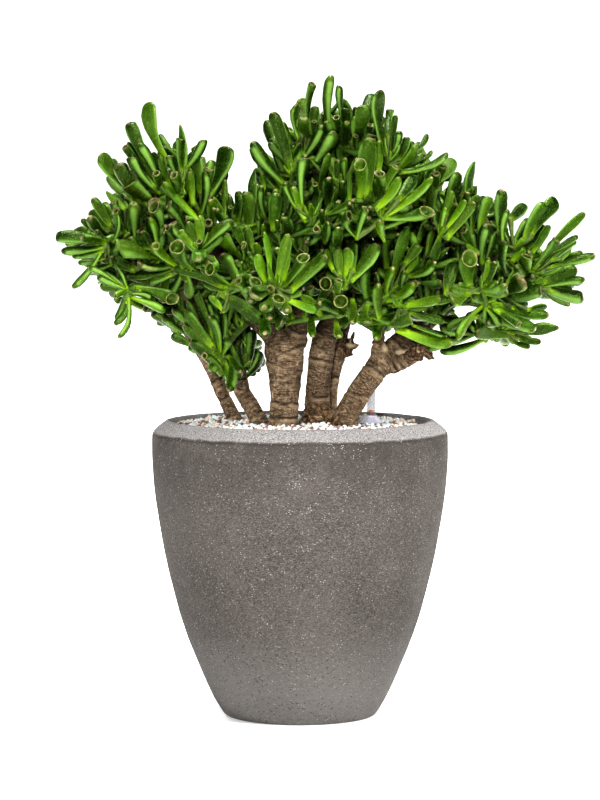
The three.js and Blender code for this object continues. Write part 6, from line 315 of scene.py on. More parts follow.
        (61, "f.", "b", -52.5, 136.8, 510, -30.5, 173.1, 524.8, 11.7), (61, "f.", "d", -67.5, 99.4, 489.8, -45.1, 109, 520.2, 13.8), (61, "f.", "m", -54.4, 140.6, 513.2, -91.2, 162.7, 532.6, 12.8), (61, "b.", "m", -50.7, 141.8, 511.4, -32.2, 177.8, 504.2, 13.6),
        (61, "f.", "b", -75.3, 91, 482.8, -98.9, 117.6, 499, 10.8), (61, "f.", "d", -56.5, 129.1, 509.2, -62.5, 121.5, 560.7, 13.8), (110, "f.", "m", -45.6, 80.5, 523.8, -22.4, 97.7, 571.6, 12), (110, "p.", "d", -51.7, 91.8, 512.3, -16, 87.6, 543.5, 13.4),
        (108, "f.", "b", -80.3, 119, 441.4, -60.7, 151.1, 467.2, 13.4), (61, "f.", "m", -51.8, 136.3, 508.8, -9.2, 172.6, 504.4, 10.9), (61, "f.", "m", -56.5, 124.5, 505.8, -31, 121.4, 546.8, 11.1), (110, "p.", "b", -47.8, 81.8, 519.3, -30.2, 58.7, 541.8, 11.2),
        (108, "f.", "p", -77.3, 81.4, 478, -75, 108.1, 507, 11), (102, "f.", "d", -112.3, 10.9, 471, -120.6, 16.5, 504.7, 13.6), (61, "b.", "d", -69, 93.7, 486.5, -36, 93.4, 515.1, 13.4), (110, "t.", "m", -57.2, 92.7, 510.8, -82.9, 83.4, 532.3, 12),
        (110, "f.", "d", -47.6, 83.2, 520.1, -21.9, 74.7, 559, 14.4), (53, "t.", "d", -70.7, 49, 462, -53, 74.5, 433.8, 10.3), (15, "f.", "d", -101.2, 22.6, 467.5, -113.9, 39.3, 504.4, 11.4), (102, "t.", "m", -112.6, 19.1, 469, -129.2, 69.2, 488.1, 10.4),
        (108, "f.", "d", -81, 84.1, 472.1, -125.4, 91.3, 479.5, 13.2), (108, "f.", "d", -80.4, 84.7, 470.2, -123, 103.9, 445.5, 14), (61, "f.", "m", -73.1, 94.9, 486.8, -101.9, 113, 524.8, 12.3), (53, "f.", "b", -75.7, 76.7, 472.5, -62.9, 106, 454.6, 11.5),
    ]},
    {"root": (27, -65, 612.7), "twigs": [[(19.5, -64.5, 613.1), (-13.5, -62.2, 614.7), (-46.6, -60, 616.4)], [(-13.5, -62.2, 614.7), (-7.2, -43.9, 603.1), (-0.8, -25.6, 591.4)], [(-46.6, -60, 616.4), (-65.1, -55, 615.1), (-83.6, -50, 613.8)], [(-83.6, -50, 613.8), (-95.7, -60, 609.6), (-107.7, -70, 605.5)], [(-13.5, -62.2, 614.7), (-19.5, -78.6, 612.1), (-25.5, -95, 609.5)]], "leaves": [
        (11, "F", "b", -118.6, -73.8, 614.1, -166.4, -67.2, 666.5, 11.3), (11, "T", "d", -107.7, -70, 605.5, -111.1, -118.4, 617, 11.3), (11, "R", "b", -73.5, -68.4, 576.1, -94.5, -107.1, 602.3, 17.6), (11, "F", "m", -107.7, -70, 605.5, -81.6, -29.9, 616, 11.3),
        (27, "P", "d", -56.4, -62.9, 634.7, -55.1, -62, 681.2, 11.3), (27, "F", "b", -45.4, -55.6, 653.1, -46.6, -57.2, 676.3, 7.6), (27, "F", "d", -41.7, -62.5, 621.3, -46.2, -89.9, 661.6, 11.3), (27, "B", "p", -65, -60.4, 600.4, -66, -70.2, 653.1, 15.1),
        (27, "F", "m", -50.3, -58.4, 594.3, -50.1, -78, 623.9, 8.8), (27, "F", "b", -44.1, -64, 591.9, -45, -90.9, 615.5, 7.6), (28, "F", "m", -31.6, -96.2, 607, -27.9, -101.3, 653.1, 16.4), (28, "F", "d", -20.7, -93.4, 592.4, -19.3, -131.2, 624.3, 15.1),
        (28, "F", "m", -17, -91.7, 613.1, -11, -59.5, 649.4, 10.1), (28, "F", "m", -25.5, -96.2, 598.5, -27.7, -124.1, 620.7, 7.6), (29, "F", "d", -83.6, -51.3, 619.9, -86, -50.7, 649.4, 7.6), (29, "F", "d", -76.2, -52.8, 617.5, -76.1, -56.4, 655.5, 11.3),
        (29, "F", "p", -93.4, -51.7, 618.7, -92.3, -43.7, 669, 7.6), (29, "T", "m", -82.4, -50.4, 616.3, -84.2, -80.2, 636.1, 7.6), (29, "F", "m", -88.5, -54.2, 608.9, -100.9, -95.1, 633.7, 11.3), (29, "F", "m", -70.2, -47.5, 617.5, -67.8, -39.5, 655.5, 8.8),
        (117, "r", "p", -1, -26.9, 593.5, -2.9, -36.4, 612, 9), (117, "f", "d", 0.6, -25.3, 589.5, 12.4, -36.3, 619.1, 11.7), (117, "b", "d", -1.9, -24.9, 589.2, -21.8, -30.2, 613.7, 12.4), (117, "f", "b", -0.2, -25.5, 584.5, -7.1, -57.5, 602.8, 10.9),
        (117, "f", "d", -1.7, -21.8, 580, -42.1, -15.9, 593.3, 10.9), (117, "f", "m", 1, -18.7, 576.1, -3.8, 24.1, 594.9, 10.8), (29, "t", "p", -84.4, -48.6, 611.9, -109.5, -48.5, 646.2, 10.2), (29, "f", "m", -81.1, -46.3, 608.1, -60.9, -27.5, 651.5, 10.5),
        (29, "p", "d", -82, -46.6, 597.9, -111, -93.2, 596.2, 13.1), (29, "p", "d", -78.4, -45.1, 594.4, -46.3, -88.2, 601.7, 10.2), (27, "f", "m", -45.9, -58.5, 615.2, -46.1, -63.2, 645.8, 10.2), (27, "f", "d", -45, -53.1, 607.6, -55.2, -33.6, 649.7, 10.2),
        (27, "t", "m", -43.3, -52.4, 596.8, -47.4, -86.3, 580.9, 12.3), (27, "r", "d", -43, -48.3, 599.6, -42.2, -16.1, 630.2, 17.4), (28, "f", "d", -25, -96.6, 611.3, -20.5, -110.5, 628.4, 7.8), (28, "p", "d", -24.4, -93, 608.2, -10.4, -97.6, 643.6, 8),
        (28, "s", "d", -23.4, -87.4, 600.4, 12.5, -72, 634.5, 20.4), (28, "f", "d", -23.2, -87.5, 595.8, 18, -122.7, 611.6, 10.7), (28, "f", "b", -22.9, -82.6, 592.9, 19.6, -61, 621, 13), (11, "b", "p", -107.5, -71.2, 607.6, -105, -85.3, 634.4, 8.4),
        (11, "f", "m", -107.2, -60.9, 591.6, -157, -71.1, 588.6, 11.6), (117, "f.", "b", 0.3, -27.5, 593.7, 27.5, -6.7, 595.7, 12.2), (11, "p.", "m", -95.4, -58.4, 610.5, -132.6, -71.8, 610.3, 11.7), (28, "b.", "p", -12.2, -63.6, 617.1, 6.2, -82.2, 652.8, 14.2),
        (29, "f.", "d", -73, -52.3, 616.5, -101.4, -36.1, 644.4, 12), (29, "b.", "m", -54.9, -60, 615.6, -94.7, -84.9, 613.2, 12.3), (117, "f.", "m", -8.2, -52, 610.7, 13.1, -45.9, 637.6, 13.5), (27, "f.", "d", -8.9, -62.1, 617.2, 16, -55.7, 664.6, 11.9),
        (29, "f.", "b", -46.9, -58.3, 618.8, -51.2, -29.9, 663.3, 14.2), (27, "f.", "b", -37, -62.1, 618.5, -30.8, -82.8, 657.2, 13.5), (117, "t.", "d", -12.7, -62.1, 617.6, 2, -59.8, 668.1, 11.5), (27, "f.", "d", -18.6, -60.9, 617.7, -4.9, -47.5, 659.6, 12.1),
        (29, "f.", "b", -84.3, -52.2, 612.5, -109.2, -77.1, 597, 11), (29, "f.", "d", -60.5, -55.5, 614.2, -87.1, -39.6, 600.7, 12.9), (27, "f.", "d", -26.6, -60.9, 618.1, -39.6, -54.9, 653.8, 11.8), (27, "f.", "b", -40.3, -61.1, 614.9, -80, -67.9, 604, 12),
        (29, "f.", "d", -52.8, -58, 618.9, -57.6, -52.2, 658.1, 12.5), (28, "f.", "d", -23.2, -90.2, 613.2, -16.2, -97.6, 667.2, 11.4), (27, "t.", "d", -28.2, -60.2, 614.9, -61.5, -45.3, 612.3, 11.6), (117, "b.", "p", -3.4, -31.3, 597.6, 1.9, 5.9, 609.6, 15.4),
        (11, "f.", "d", -97.3, -62.4, 608.8, -128.5, -106.2, 596.4, 11.1), (11, "p.", "m", -102.2, -65.6, 607.1, -138.2, -97.5, 593.1, 11.9), (27, "f.", "m", 4.7, -64.4, 613.8, -43.5, -76.3, 618.6, 13.5), (27, "f.", "d", 17.3, -65.3, 611.3, -8.9, -74.4, 593.7, 11.4),
        (29, "p.", "m", -85, -48.8, 613.8, -117.7, -28.9, 616.2, 10.4),
    ]},
    {"root": (-20.5, -61.7, 585.9), "twigs": [[(-23, -54.8, 581.2), (-26.4, -41.3, 570.5), (-34.2, -43.8, 550.6)], [(-34.2, -43.8, 550.6), (-47.6, -65.9, 558.7), (-60.9, -88, 566.8)], [(-60.9, -88, 566.8), (-73.5, -98, 551.8), (-86.1, -108, 536.9)], [(-86.1, -108, 536.9), (-57.4, -131.5, 538.9), (-28.8, -155, 540.8)]], "leaves": [
        (12, "F", "d", -89.8, -108.7, 537, -154, -108.4, 561.2, 11.3), (12, "F", "m", -72.9, -104.3, 536.8, -94.6, -106.5, 579.3, 16.4), (12, "T", "m", -60.7, -107.1, 522.3, -74.4, -147.6, 547.8, 11.3), (12, "F", "d", -94.7, -106.2, 532, -44.9, -108.2, 495.7, 18.9),
        (12, "F", "b", -92.3, -107.8, 509, -110.5, -104.1, 528.3, 8.8), (12, "F", "m", -87.5, -103.9, 525.9, -63.8, -70.7, 497.7, 12.6), (30, "F", "m", -46.3, -87.2, 560.7, -63, -110.2, 581.8, 8.8), (30, "F", "b", -43.9, -90, 561.9, -53.5, -95.9, 592.5, 8.8),
        (30, "F", "b", -63.5, -85.4, 543.5, -70.3, -108.6, 569.7, 7.6), (30, "F", "m", -65.7, -91.7, 583.9, -79, -96.8, 614.3, 11.3), (30, "T", "m", -70.6, -91.7, 566.9, -68.9, -120.6, 588.1, 7.6), (30, "F", "m", -56, -92.2, 583.9, -65.8, -86.5, 613, 10.1),
        (31, "F", "b", -35.9, -157.3, 548.1, -43, -160, 606.7, 7.6), (31, "F", "b", -40.8, -151.7, 545.5, -50.4, -150, 580.2, 12.6), (31, "P", "b", -28.8, -155, 540.8, -38.2, -163, 571, 5), (31, "F", "p", -28.7, -158.1, 545.7, -14.3, -159, 604.3, 13.8),
        (31, "F", "b", -20.4, -151.2, 545.5, -15.6, -152.9, 582.7, 11.3), (31, "R", "m", -19.2, -152.9, 540.8, 3.6, -181.2, 576.1, 13.8), (31, "F", "m", -12, -159, 535, 32.3, -155.8, 578, 16.4), (31, "R", "p", -36, -152.2, 539.5, -52.1, -200.4, 549.4, 15.1),
        (31, "C", "p", -36, -151.7, 534.7, -54.5, -199.5, 532.8, 17.6), (31, "F", "p", -31.2, -153.3, 530, -42.6, -199.6, 518.6, 15.1), (31, "R", "p", -19.2, -156.3, 527.7, -24.8, -207.9, 529.5, 15.1), (31, "F", "p", -19.2, -159.4, 525.4, -15.4, -207.6, 515.3, 11.3),
        (31, "F", "m", -14.4, -154.8, 527.6, 2.4, -151.2, 535.9, 10.1), (31, "F", "b", -14.4, -158.1, 525.4, 22.7, -161.4, 513.5, 12.6), (31, "P", "b", -28.8, -155, 540.8, -26.2, -177, 557, 3.8), (31, "P", "b", -28.8, -155, 540.8, -34.6, -174, 559.3, 3.8),
        (138, "b", "m", -35.2, -45.6, 552, -43.5, -62, 567, 8.5), (138, "p", "p", -34.9, -44.6, 552.8, -41.4, -53.4, 577.2, 7.9), (138, "r", "b", -34.8, -42.1, 548.8, -61.1, -54.8, 566.4, 15), (138, "f", "m", -31.2, -38.1, 547.2, -27.6, -31.4, 597.1, 12.4),
        (138, "s", "m", -32.3, -40.7, 544.6, -52.4, -89.2, 543.5, 19.6), (138, "t", "b", -28.3, -37.5, 542.7, 5.5, -73, 561.7, 10.9), (138, "f", "d", -28.2, -35.4, 538.1, -22.3, -77.2, 528.9, 12.2), (138, "f", "d", -28.3, -31.8, 541.1, -25.2, -3.2, 591.6, 10.6),
        (138, "f", "d", -24.7, -31.1, 536.3, 15.2, -42.4, 545.9, 10.8), (138, "t", "d", -29.2, -29.7, 535, -73.7, -16, 518.4, 11.8), (31, "f", "d", -29.7, -140.4, 534, -39.4, -128.6, 588.3, 11.6), (30, "t", "b", -61.6, -89.3, 568.8, -68, -102.2, 591.8, 7.7),
        (30, "s", "d", -58.9, -85, 560.5, -55.9, -133.6, 558.9, 18.3), (30, "t", "d", -60.4, -80.6, 557.1, -101.3, -95, 550.5, 10.2), (30, "r", "b", -58.4, -74.7, 550.3, -103.2, -81.3, 532.4, 14.9), (12, "f", "d", -79, -99, 534.7, -117.9, -81.1, 547.2, 13.6),
        (12, "f", "m", -68.9, -96.6, 532.4, -38.3, -130, 539.5, 13.6), (12, "p", "d", -72, -92.7, 531.9, -99.8, -55, 530.6, 9.6), (31, "f.", "m", -62.7, -130, 538.5, -58.7, -176, 540.6, 10.8), (31, "f.", "d", -53.2, -138.1, 538.2, -58.9, -181.2, 525.3, 14.4),
        (31, "f.", "m", -27.2, -153.3, 542.2, 2.4, -141.6, 562.2, 13.6), (12, "f.", "m", -82.3, -108.7, 540.1, -58.2, -148.5, 550.7, 12.8), (30, "f.", "m", -36.7, -51.6, 552.4, -28.2, -102.3, 557, 13.1), (12, "f.", "d", -86.2, -107.5, 540.9, -119.8, -126.2, 562.7, 11.5),
        (138, "f.", "d", -26, -47.8, 577.7, -58.9, -2.7, 582.8, 14.3), (30, "f.", "m", -39.3, -50.8, 552.9, -68.2, -80.7, 563.8, 13.2), (31, "t.", "m", -70.4, -121.7, 537.8, -34.7, -167.1, 539.4, 11.8), (31, "f.", "m", -83.4, -107.7, 538.1, -34.3, -101.7, 561.4, 12.5),
        (31, "f.", "b", -69.9, -121.2, 538.4, -29.8, -152.2, 550.6, 12.7), (31, "f.", "d", -74.3, -116.2, 538.9, -29.3, -126.3, 566, 13), (30, "f.", "d", -36.8, -45.3, 550.3, -68.8, -63.7, 549.6, 11.3), (30, "f.", "p", -36, -43.9, 553, -61.8, -45.9, 590.8, 12.4),
        (30, "s.", "d", -48.1, -64, 559.8, -74.6, -71.7, 589.7, 18.1), (12, "p.", "p", -70.6, -92.4, 558.7, -108.8, -78.3, 563.5, 12.3), (12, "f.", "m", -73.9, -100.9, 551.4, -78.1, -136.9, 548.6, 11.6), (138, "f.", "m", -26, -42.8, 567.9, -20.6, -60, 539.8, 12.7),
        (138, "f.", "d", -28.9, -41, 568.8, -56.6, -37, 552.5, 12.2), (12, "f.", "m", -60.9, -87.5, 563.8, -59.8, -80.9, 525.1, 13.2), (12, "f.", "d", -78.3, -99.2, 545.6, -98.9, -74.8, 514.3, 13.9), (31, "f.", "d", -36.7, -147.4, 538.3, -10, -155.8, 519, 12),
        (30, "f.", "d", -36.8, -50.8, 554.4, -31.6, -79.2, 583.7, 14.2), (138, "f.", "m", -26.7, -48.6, 578.3, -59.5, -27.9, 591, 12.2), (12, "f.", "m", -81.6, -102.8, 541, -97.2, -93.5, 507.3, 11.1), (138, "f.", "p", -30.3, -42.3, 562.4, -49.3, -45.6, 536.5, 12.5),
        (138, "t.", "m", -33.3, -41.3, 560.2, -70.7, -21.3, 575.6, 13), (138, "f.", "m", -59, -79.2, 559.5, -77.9, -106.4, 571.4, 13.5), (30, "p.", "p", -62, -89.2, 564, -87.6, -120.1, 531, 13),
    ]},
    {"root": (-111, -17.2, 607.9), "twigs": [[(-104.7, -13.3, 604.1), (-77.9, -7.8, 596.6), (-61.5, 9.2, 613.4)], [(-61.5, 9.2, 613.4), (-41.7, 28.1, 603.5), (-21.9, 46.9, 593.6)]], "leaves": [
        (141, "f", "m", -22.3, 48.7, 595.3, -25.6, 64.8, 612.8, 8), (141, "f", "d", -22.4, 47.3, 596, -26.3, 51.1, 621, 7.7), (141, "f", "d", -23, 45.6, 591.5, -47.5, 51.9, 615.4, 11.4), (141, "t", "d", -20.2, 46, 592, -7.9, 57.2, 621.4, 9.4),
        (141, "p", "p", -20.8, 45.7, 586.8, -26.8, 82.9, 599.4, 10), (141, "f", "b", -17.8, 42.5, 583.7, 14.6, 59, 605.6, 11.7), (141, "p", "b", -22.1, 42, 582.9, -61.9, 50.9, 593.1, 12.1), (141, "f", "m", -19.4, 42.1, 578.1, -27.7, 91.7, 570.5, 12),
        (141, "s", "m", -19.5, 37.8, 580.4, -30.9, -5.7, 623.5, 18.6), (141, "f", "d", -20.7, 37.4, 574.7, -66.4, 27.6, 573.1, 12.9), (100, "f", "d", -62.8, 9.4, 615.6, -73.6, 10.8, 634.7, 8), (100, "b", "p", -61.6, 9.4, 615.9, -61.9, 11, 638, 7.1),
        (100, "t", "m", -61.1, 7.5, 611.3, -70.7, -12.3, 639.9, 10.4), (100, "f", "m", -61, 10, 611.6, -71.1, 26.6, 645.8, 9.5), (100, "f", "m", -57.8, 9, 607.4, -33.7, 15.3, 643.9, 13.4), (100, "f", "p", -61.5, 8.5, 606.5, -96.5, 7.3, 625.2, 10.7),
        (100, "f", "d", -58.3, 10.6, 602.3, -63.7, 56.7, 621.7, 11.1), (100, "f", "m", -58.6, 6.3, 602.8, -67.8, -27.6, 628, 9.9), (100, "p", "m", -59.4, 8, 597.1, -104.2, 8.3, 597.1, 11.5), (100, "f", "b", -55.7, 5.1, 593.3, -55.7, -45.2, 598.9, 11.7),
        (141, "t.", "d", -50.4, 17.5, 609, 1.1, 26.2, 605, 10.4), (100, "f.", "m", -72.5, -1.8, 606, -92.8, -16.1, 644.4, 11.3), (100, "t.", "d", -69.2, 5.1, 608.2, -90.4, 39, 628.6, 11), (141, "f.", "b", -54, 19.2, 611.2, -63.1, 49.4, 639.3, 11),
        (141, "f.", "d", -35.2, 32.9, 600, 5.7, 49, 578.5, 12.3), (141, "f.", "m", -42.3, 25.2, 605.8, 9.1, 31.9, 617.6, 13.3), (141, "f.", "m", -25.6, 43.3, 598.3, -28.8, 39, 639, 10.8), (100, "f.", "m", -68.3, 0.7, 609.2, -76.4, -28.7, 643.1, 14),
        (100, "f.", "p", -91, -12.9, 601.1, -63, -36.4, 605.9, 12.1), (141, "f.", "d", -30.1, 42.6, 598.1, -40.1, 86.9, 612.3, 13.5), (141, "p.", "m", -52.5, 17.3, 612.2, -42, 21.9, 652.4, 11.8), (100, "t.", "b", -75.5, -6.1, 597.1, -40.8, 18.9, 606.6, 12.4),
        (141, "f.", "m", -39.2, 34.5, 600.9, -60.6, 70.1, 596.6, 11.4), (141, "s.", "m", -36.9, 30.9, 604.2, -28.9, 19.2, 637.2, 18.7), (141, "f.", "b", -53.5, 16.4, 612.3, -55.7, 9, 651.3, 12.5), (100, "b.", "m", -63.1, 8.5, 612.1, -48.5, 33.3, 632, 13.1),
        (141, "f.", "m", -27.3, 41.8, 597, 9.1, 75.6, 592.8, 13.1), (100, "b.", "d", -75.6, -3.6, 602.8, -91.1, 7.3, 646.9, 11.9), (141, "b.", "d", -58.3, 15.4, 613.1, -75, 58, 647.5, 12.7), (141, "f.", "m", -38, 34.8, 600.6, -44.3, 86.8, 588, 11.4),
    ]},
    {"root": (-36.1, 132, 579.5), "twigs": [[(-44.5, 133.2, 584.8), (-62.4, 135.6, 596.1), (-80.3, 138.1, 607.5)], [(-62.4, 135.6, 596.1), (-58.9, 159.2, 583.6), (-55.4, 182.8, 571)], [(-62.4, 135.6, 596.1), (-41.8, 145.1, 617.2), (-21.3, 154.6, 638.3)], [(-21.3, 154.6, 638.3), (-15.4, 132.7, 665.7), (-9.5, 110.8, 693)], [(-15.4, 132.7, 665.7), (6.9, 150.5, 675.8), (29.1, 168.3, 686)]], "leaves": [
        (90, "t", "m", -55.9, 185.1, 571.9, -60.8, 207.3, 582.9, 8.2), (90, "f", "b", -56.7, 180.6, 569.8, -84, 199.2, 585.7, 8.9), (90, "t", "m", -53.6, 181.2, 569.9, -33.4, 214.1, 589.4, 9), (90, "p", "d", -54, 176.5, 569, -51.4, 189.6, 614, 12.7),
        (90, "f", "m", -54.9, 178.1, 566.1, -66.7, 218.6, 558.4, 11.8), (90, "f", "d", -51.4, 173.5, 564.5, -5.5, 200.1, 568.2, 13.8), (90, "f", "m", -55.8, 173, 565.4, -108.1, 190.8, 589.4, 13.3), (90, "f", "d", -54.1, 170.1, 560.6, -80.5, 202.2, 526.6, 12.8),
        (90, "f", "m", -52.1, 168, 564.5, -28.4, 151.6, 627.5, 10), (98, "f", "d", 29.4, 170.1, 687.6, 32.8, 187.7, 705.5, 7.7), (98, "s", "d", 27.9, 167.6, 683.8, 7.1, 200.1, 708.6, 15.4), (98, "t", "b", 29.8, 166.3, 684.9, 40.6, 173.8, 724.5, 11.2),
        (98, "p", "m", 28.1, 162.9, 681.4, 10.1, 156.4, 723.4, 12.4), (98, "p", "b", 30.8, 165.1, 679.5, 63.4, 200.1, 687.6, 9.6), (98, "f", "p", 31, 160.6, 677.4, 68.4, 156.5, 709.6, 11.9), (98, "f", "b", 27.3, 162.6, 676, -5.8, 196.4, 681.9, 12.3),
        (98, "s", "m", 27.4, 157.7, 674.2, -11.6, 143, 721.1, 18), (98, "f", "d", 26.9, 156.8, 668.4, -18.4, 177.3, 660, 10.8), (98, "f", "d", 30.8, 154.1, 669.6, 62.9, 122, 685.9, 13.1), (105, "f", "d", -22, 156.5, 639.8, -29.5, 175.4, 656.7, 6.7),
        (105, "f", "m", -21.1, 156.1, 640.3, -19.3, 167.9, 658.5, 6.2), (105, "b", "b", -21.7, 152.5, 637.5, -31.6, 160.5, 667.3, 11.7), (105, "f", "m", -20.2, 153.9, 636.3, -10.6, 181.6, 652.4, 10.5), (105, "f", "m", -22.3, 150.9, 632.1, -51.4, 182.9, 634.2, 12.6),
        (105, "f", "m", -19.3, 148.6, 628.8, 0, 195.9, 628.2, 10.5), (105, "f", "m", -21.4, 145.3, 631, -40, 129.9, 667.8, 10.8), (105, "s", "p", -21.2, 139.3, 624, -54.7, 109.9, 654.8, 14.9), (105, "f", "m", -17.8, 142.2, 621.8, 13.4, 168.9, 611.4, 12.5),
        (89, "f", "d", -80.6, 140.2, 608.8, -83.5, 159.6, 623.1, 7.7), (89, "f", "m", -81.1, 139.5, 609.4, -87.7, 151, 628, 6.4), (89, "f", "d", -80.8, 137, 605.6, -101.6, 163.8, 622.4, 9.9), (89, "f", "d", -78.4, 136.1, 606.7, -65.7, 146.6, 633.6, 10.3),
        (89, "f", "b", -78.6, 134.8, 601.6, -78.4, 179.1, 602, 12.3), (89, "p", "d", -80, 130.4, 598.6, -123.6, 149.7, 597, 10.4), (89, "f", "m", -76.3, 128.7, 595, -65.5, 169.4, 582.9, 11.5), (89, "f", "m", -77.6, 124.7, 597.6, -93.1, 89.9, 636.2, 10.1),
        (89, "r", "p", -73.7, 123.8, 593.8, -27.6, 129.6, 614.4, 13.8), (75, "t", "m", -9.4, 112.4, 695, -8.7, 127.1, 714.5, 8.5), (75, "f", "m", -10.3, 110.6, 690.7, -24, 132.6, 710.6, 9.2), (75, "f", "b", -7.2, 104.9, 683.7, 21.9, 99.4, 722.3, 11.4),
        (75, "p", "d", -7.2, 105.4, 677.5, 18.1, 145, 672.1, 13), (98, "f.", "d", 29.9, 170.9, 686.6, 46.7, 217.5, 701.5, 14.4), (75, "f.", "b", -15.8, 126.1, 676.4, -62.7, 141.3, 708.4, 13.1), (98, "f.", "d", 15.3, 159.5, 682.1, 8.9, 196.6, 728.7, 11.7),
        (90, "s.", "b", -54.5, 182.2, 570.5, -32.2, 218, 539.4, 17.8), (75, "p.", "m", -12.9, 117.3, 686.7, -41.4, 107.1, 738.2, 10.3), (90, "f.", "d", -56.6, 177.2, 577.2, -56.8, 215.6, 616.4, 11.4), (105, "b.", "b", -21.5, 157.3, 638, -14.7, 209.6, 646.4, 11.9),
        (98, "f.", "p", 25.5, 167.4, 683.8, 40, 209.7, 685.1, 12.8), (75, "f.", "m", -10.2, 116.9, 686.8, 6.1, 103.7, 726.5, 11), (98, "f.", "d", 24.3, 165.4, 686.8, 20.3, 178.6, 737, 11), (90, "f.", "m", -58.8, 176.8, 574.3, -100.7, 211.2, 561.2, 12.4),
        (105, "f.", "m", -53, 142, 604.2, -31, 184.4, 604.6, 10.8), (89, "f.", "m", -70.9, 137.7, 605, -49, 147, 642.8, 13.7), (90, "f.", "d", -59.3, 158.7, 587.2, -59.2, 197.2, 632.8, 11), (98, "f.", "d", 9.2, 149.4, 677.1, 51.3, 133.2, 703.9, 13.7),
        (90, "c.", "m", -61.1, 160.4, 582, -88.2, 173.8, 565.5, 14), (75, "f.", "d", -11.1, 125.3, 676.9, 30.1, 125.7, 716.7, 12.5), (105, "s.", "b", -55.4, 137.9, 600.6, -11.4, 144.2, 608.4, 18.8), (90, "f.", "m", -59.9, 148.4, 592.2, -47.1, 180.2, 618.5, 11.7),
        (98, "f.", "b", 5, 145.7, 674.5, 43.2, 130.5, 687.5, 12.4), (98, "f.", "d", -15.8, 135.6, 665.8, -23.3, 189.2, 670.5, 12.4), (90, "s.", "m", -60.2, 146.8, 587.7, -50.8, 157.2, 547.7, 16.2), (90, "t.", "d", -60.3, 142.5, 595.6, -46.7, 159.4, 622.3, 10.8),
        (105, "f.", "m", -57.7, 137.3, 603.2, -45.2, 134.2, 659.9, 12.5), (89, "b.", "m", -52.2, 132.7, 587.7, -97.8, 113.1, 586.5, 13.2), (90, "f.", "m", -58, 157.7, 582.4, -42, 171.8, 553.1, 13.2), (75, "f.", "p", -13.3, 122.8, 676.6, -12.8, 85.3, 703.8, 11.5),
        (90, "p.", "m", -54.3, 176.9, 575.1, -26.4, 201, 576.7, 13.5), (98, "p.", "d", 6.7, 149.3, 678.6, 4.2, 134.6, 715, 11.2), (90, "f.", "m", -62.1, 147.2, 593, -76.8, 160, 625.3, 13.4), (75, "f.", "p", -17.2, 130.8, 667.1, -41.5, 105.5, 688.4, 11.6),
        (98, "f.", "b", 26.9, 163.9, 685.5, 65, 152.3, 713.7, 11.9), (75, "f.", "m", -17.6, 141.6, 659.2, -24, 173.7, 704.5, 12.3), (75, "b.", "m", -12.5, 115.8, 686, -30.7, 82.5, 719.7, 13.8), (75, "f.", "d", -16.7, 133.2, 662, -22.7, 89.5, 674.2, 13.8),
        (75, "r.", "d", -12.9, 132.7, 667.4, 25, 132.9, 697.5, 13.7), (89, "f.", "m", -77.1, 139.4, 608.2, -71.9, 160.5, 643.7, 12.7), (98, "f.", "m", 28.1, 170.8, 684.7, 18.5, 203.6, 672.8, 13.7), (90, "f.", "m", -60.2, 143.1, 592, -40.7, 173.6, 576.3, 13.3),
        (90, "f.", "b", -61.2, 158.9, 585.6, -91.5, 193.7, 598.4, 12.5), (98, "f.", "d", 24.8, 167.4, 685, 30.8, 220.4, 709.5, 13.8), (98, "f.", "d", 30, 167, 688.4, 43.2, 152.9, 721.8, 12.2), (98, "f.", "b", 1.5, 149.7, 673.2, -6.7, 181.7, 670.6, 13),
        (75, "s.", "m", -13.1, 131.3, 671.8, 3.8, 162.2, 695.1, 20), (75, "t.", "d", -9.3, 117.3, 686.3, 18, 109.5, 717.1, 11.1), (90, "f.", "m", -58.4, 171.6, 575.9, -72, 194.6, 552.8, 11.2), (105, "f.", "d", -44.7, 146.6, 617.5, -84.7, 179.3, 637, 11.2),
        (98, "f.", "d", -17.5, 134.2, 667.2, -49.9, 158.2, 692.6, 10.7), (89, "f.", "m", -74.4, 138.5, 600.8, -105.1, 160.7, 576.6, 12.9), (75, "p.", "p", -14.3, 122.8, 676.4, -30.1, 80.3, 705.4, 13.6), (105, "f.", "p", -33.2, 151.7, 625.1, -22.6, 198.2, 622.2, 13.5),
        (98, "f.", "d", -14.1, 135.3, 664.8, 9.3, 183.3, 651.6, 12.1), (98, "f.", "m", -7.1, 141.6, 672, -16.8, 177.6, 717.7, 13.9), (75, "f.", "d", -16.3, 133.4, 668.4, -29.3, 142.8, 708.4, 10.8), (89, "r.", "d", -59.6, 138.3, 594.3, -60.4, 171.6, 596.7, 14.2),
        (90, "f.", "p", -59.7, 159.9, 580.8, -70.1, 168.9, 549.1, 13.7), (105, "f.", "d", -41.5, 148, 616.4, -36.9, 187.9, 608.5, 14.4), (90, "f.", "b", -54, 181.3, 570.2, -29.6, 196, 542.9, 11.6), (98, "f.", "m", 6, 152.9, 677.4, -5.5, 184.5, 700.6, 11.7),
        (98, "f.", "m", 29.5, 167.6, 688.8, 40.1, 158.6, 743.8, 11.8), (105, "f.", "d", -23.6, 155.6, 639.8, -54.5, 178.9, 680.1, 12.9), (98, "f.", "m", -13.3, 138.1, 668, -41.5, 161, 675.1, 13.3), (75, "f.", "m", -17.4, 142.1, 654.7, -4.4, 120.9, 694.4, 12.6),
        (98, "f.", "b", 31.9, 168.3, 686.2, 64.1, 169.9, 692.8, 10.7), (98, "f.", "d", 14.4, 160.1, 680.7, -3.1, 195.3, 696, 12),
    ]},
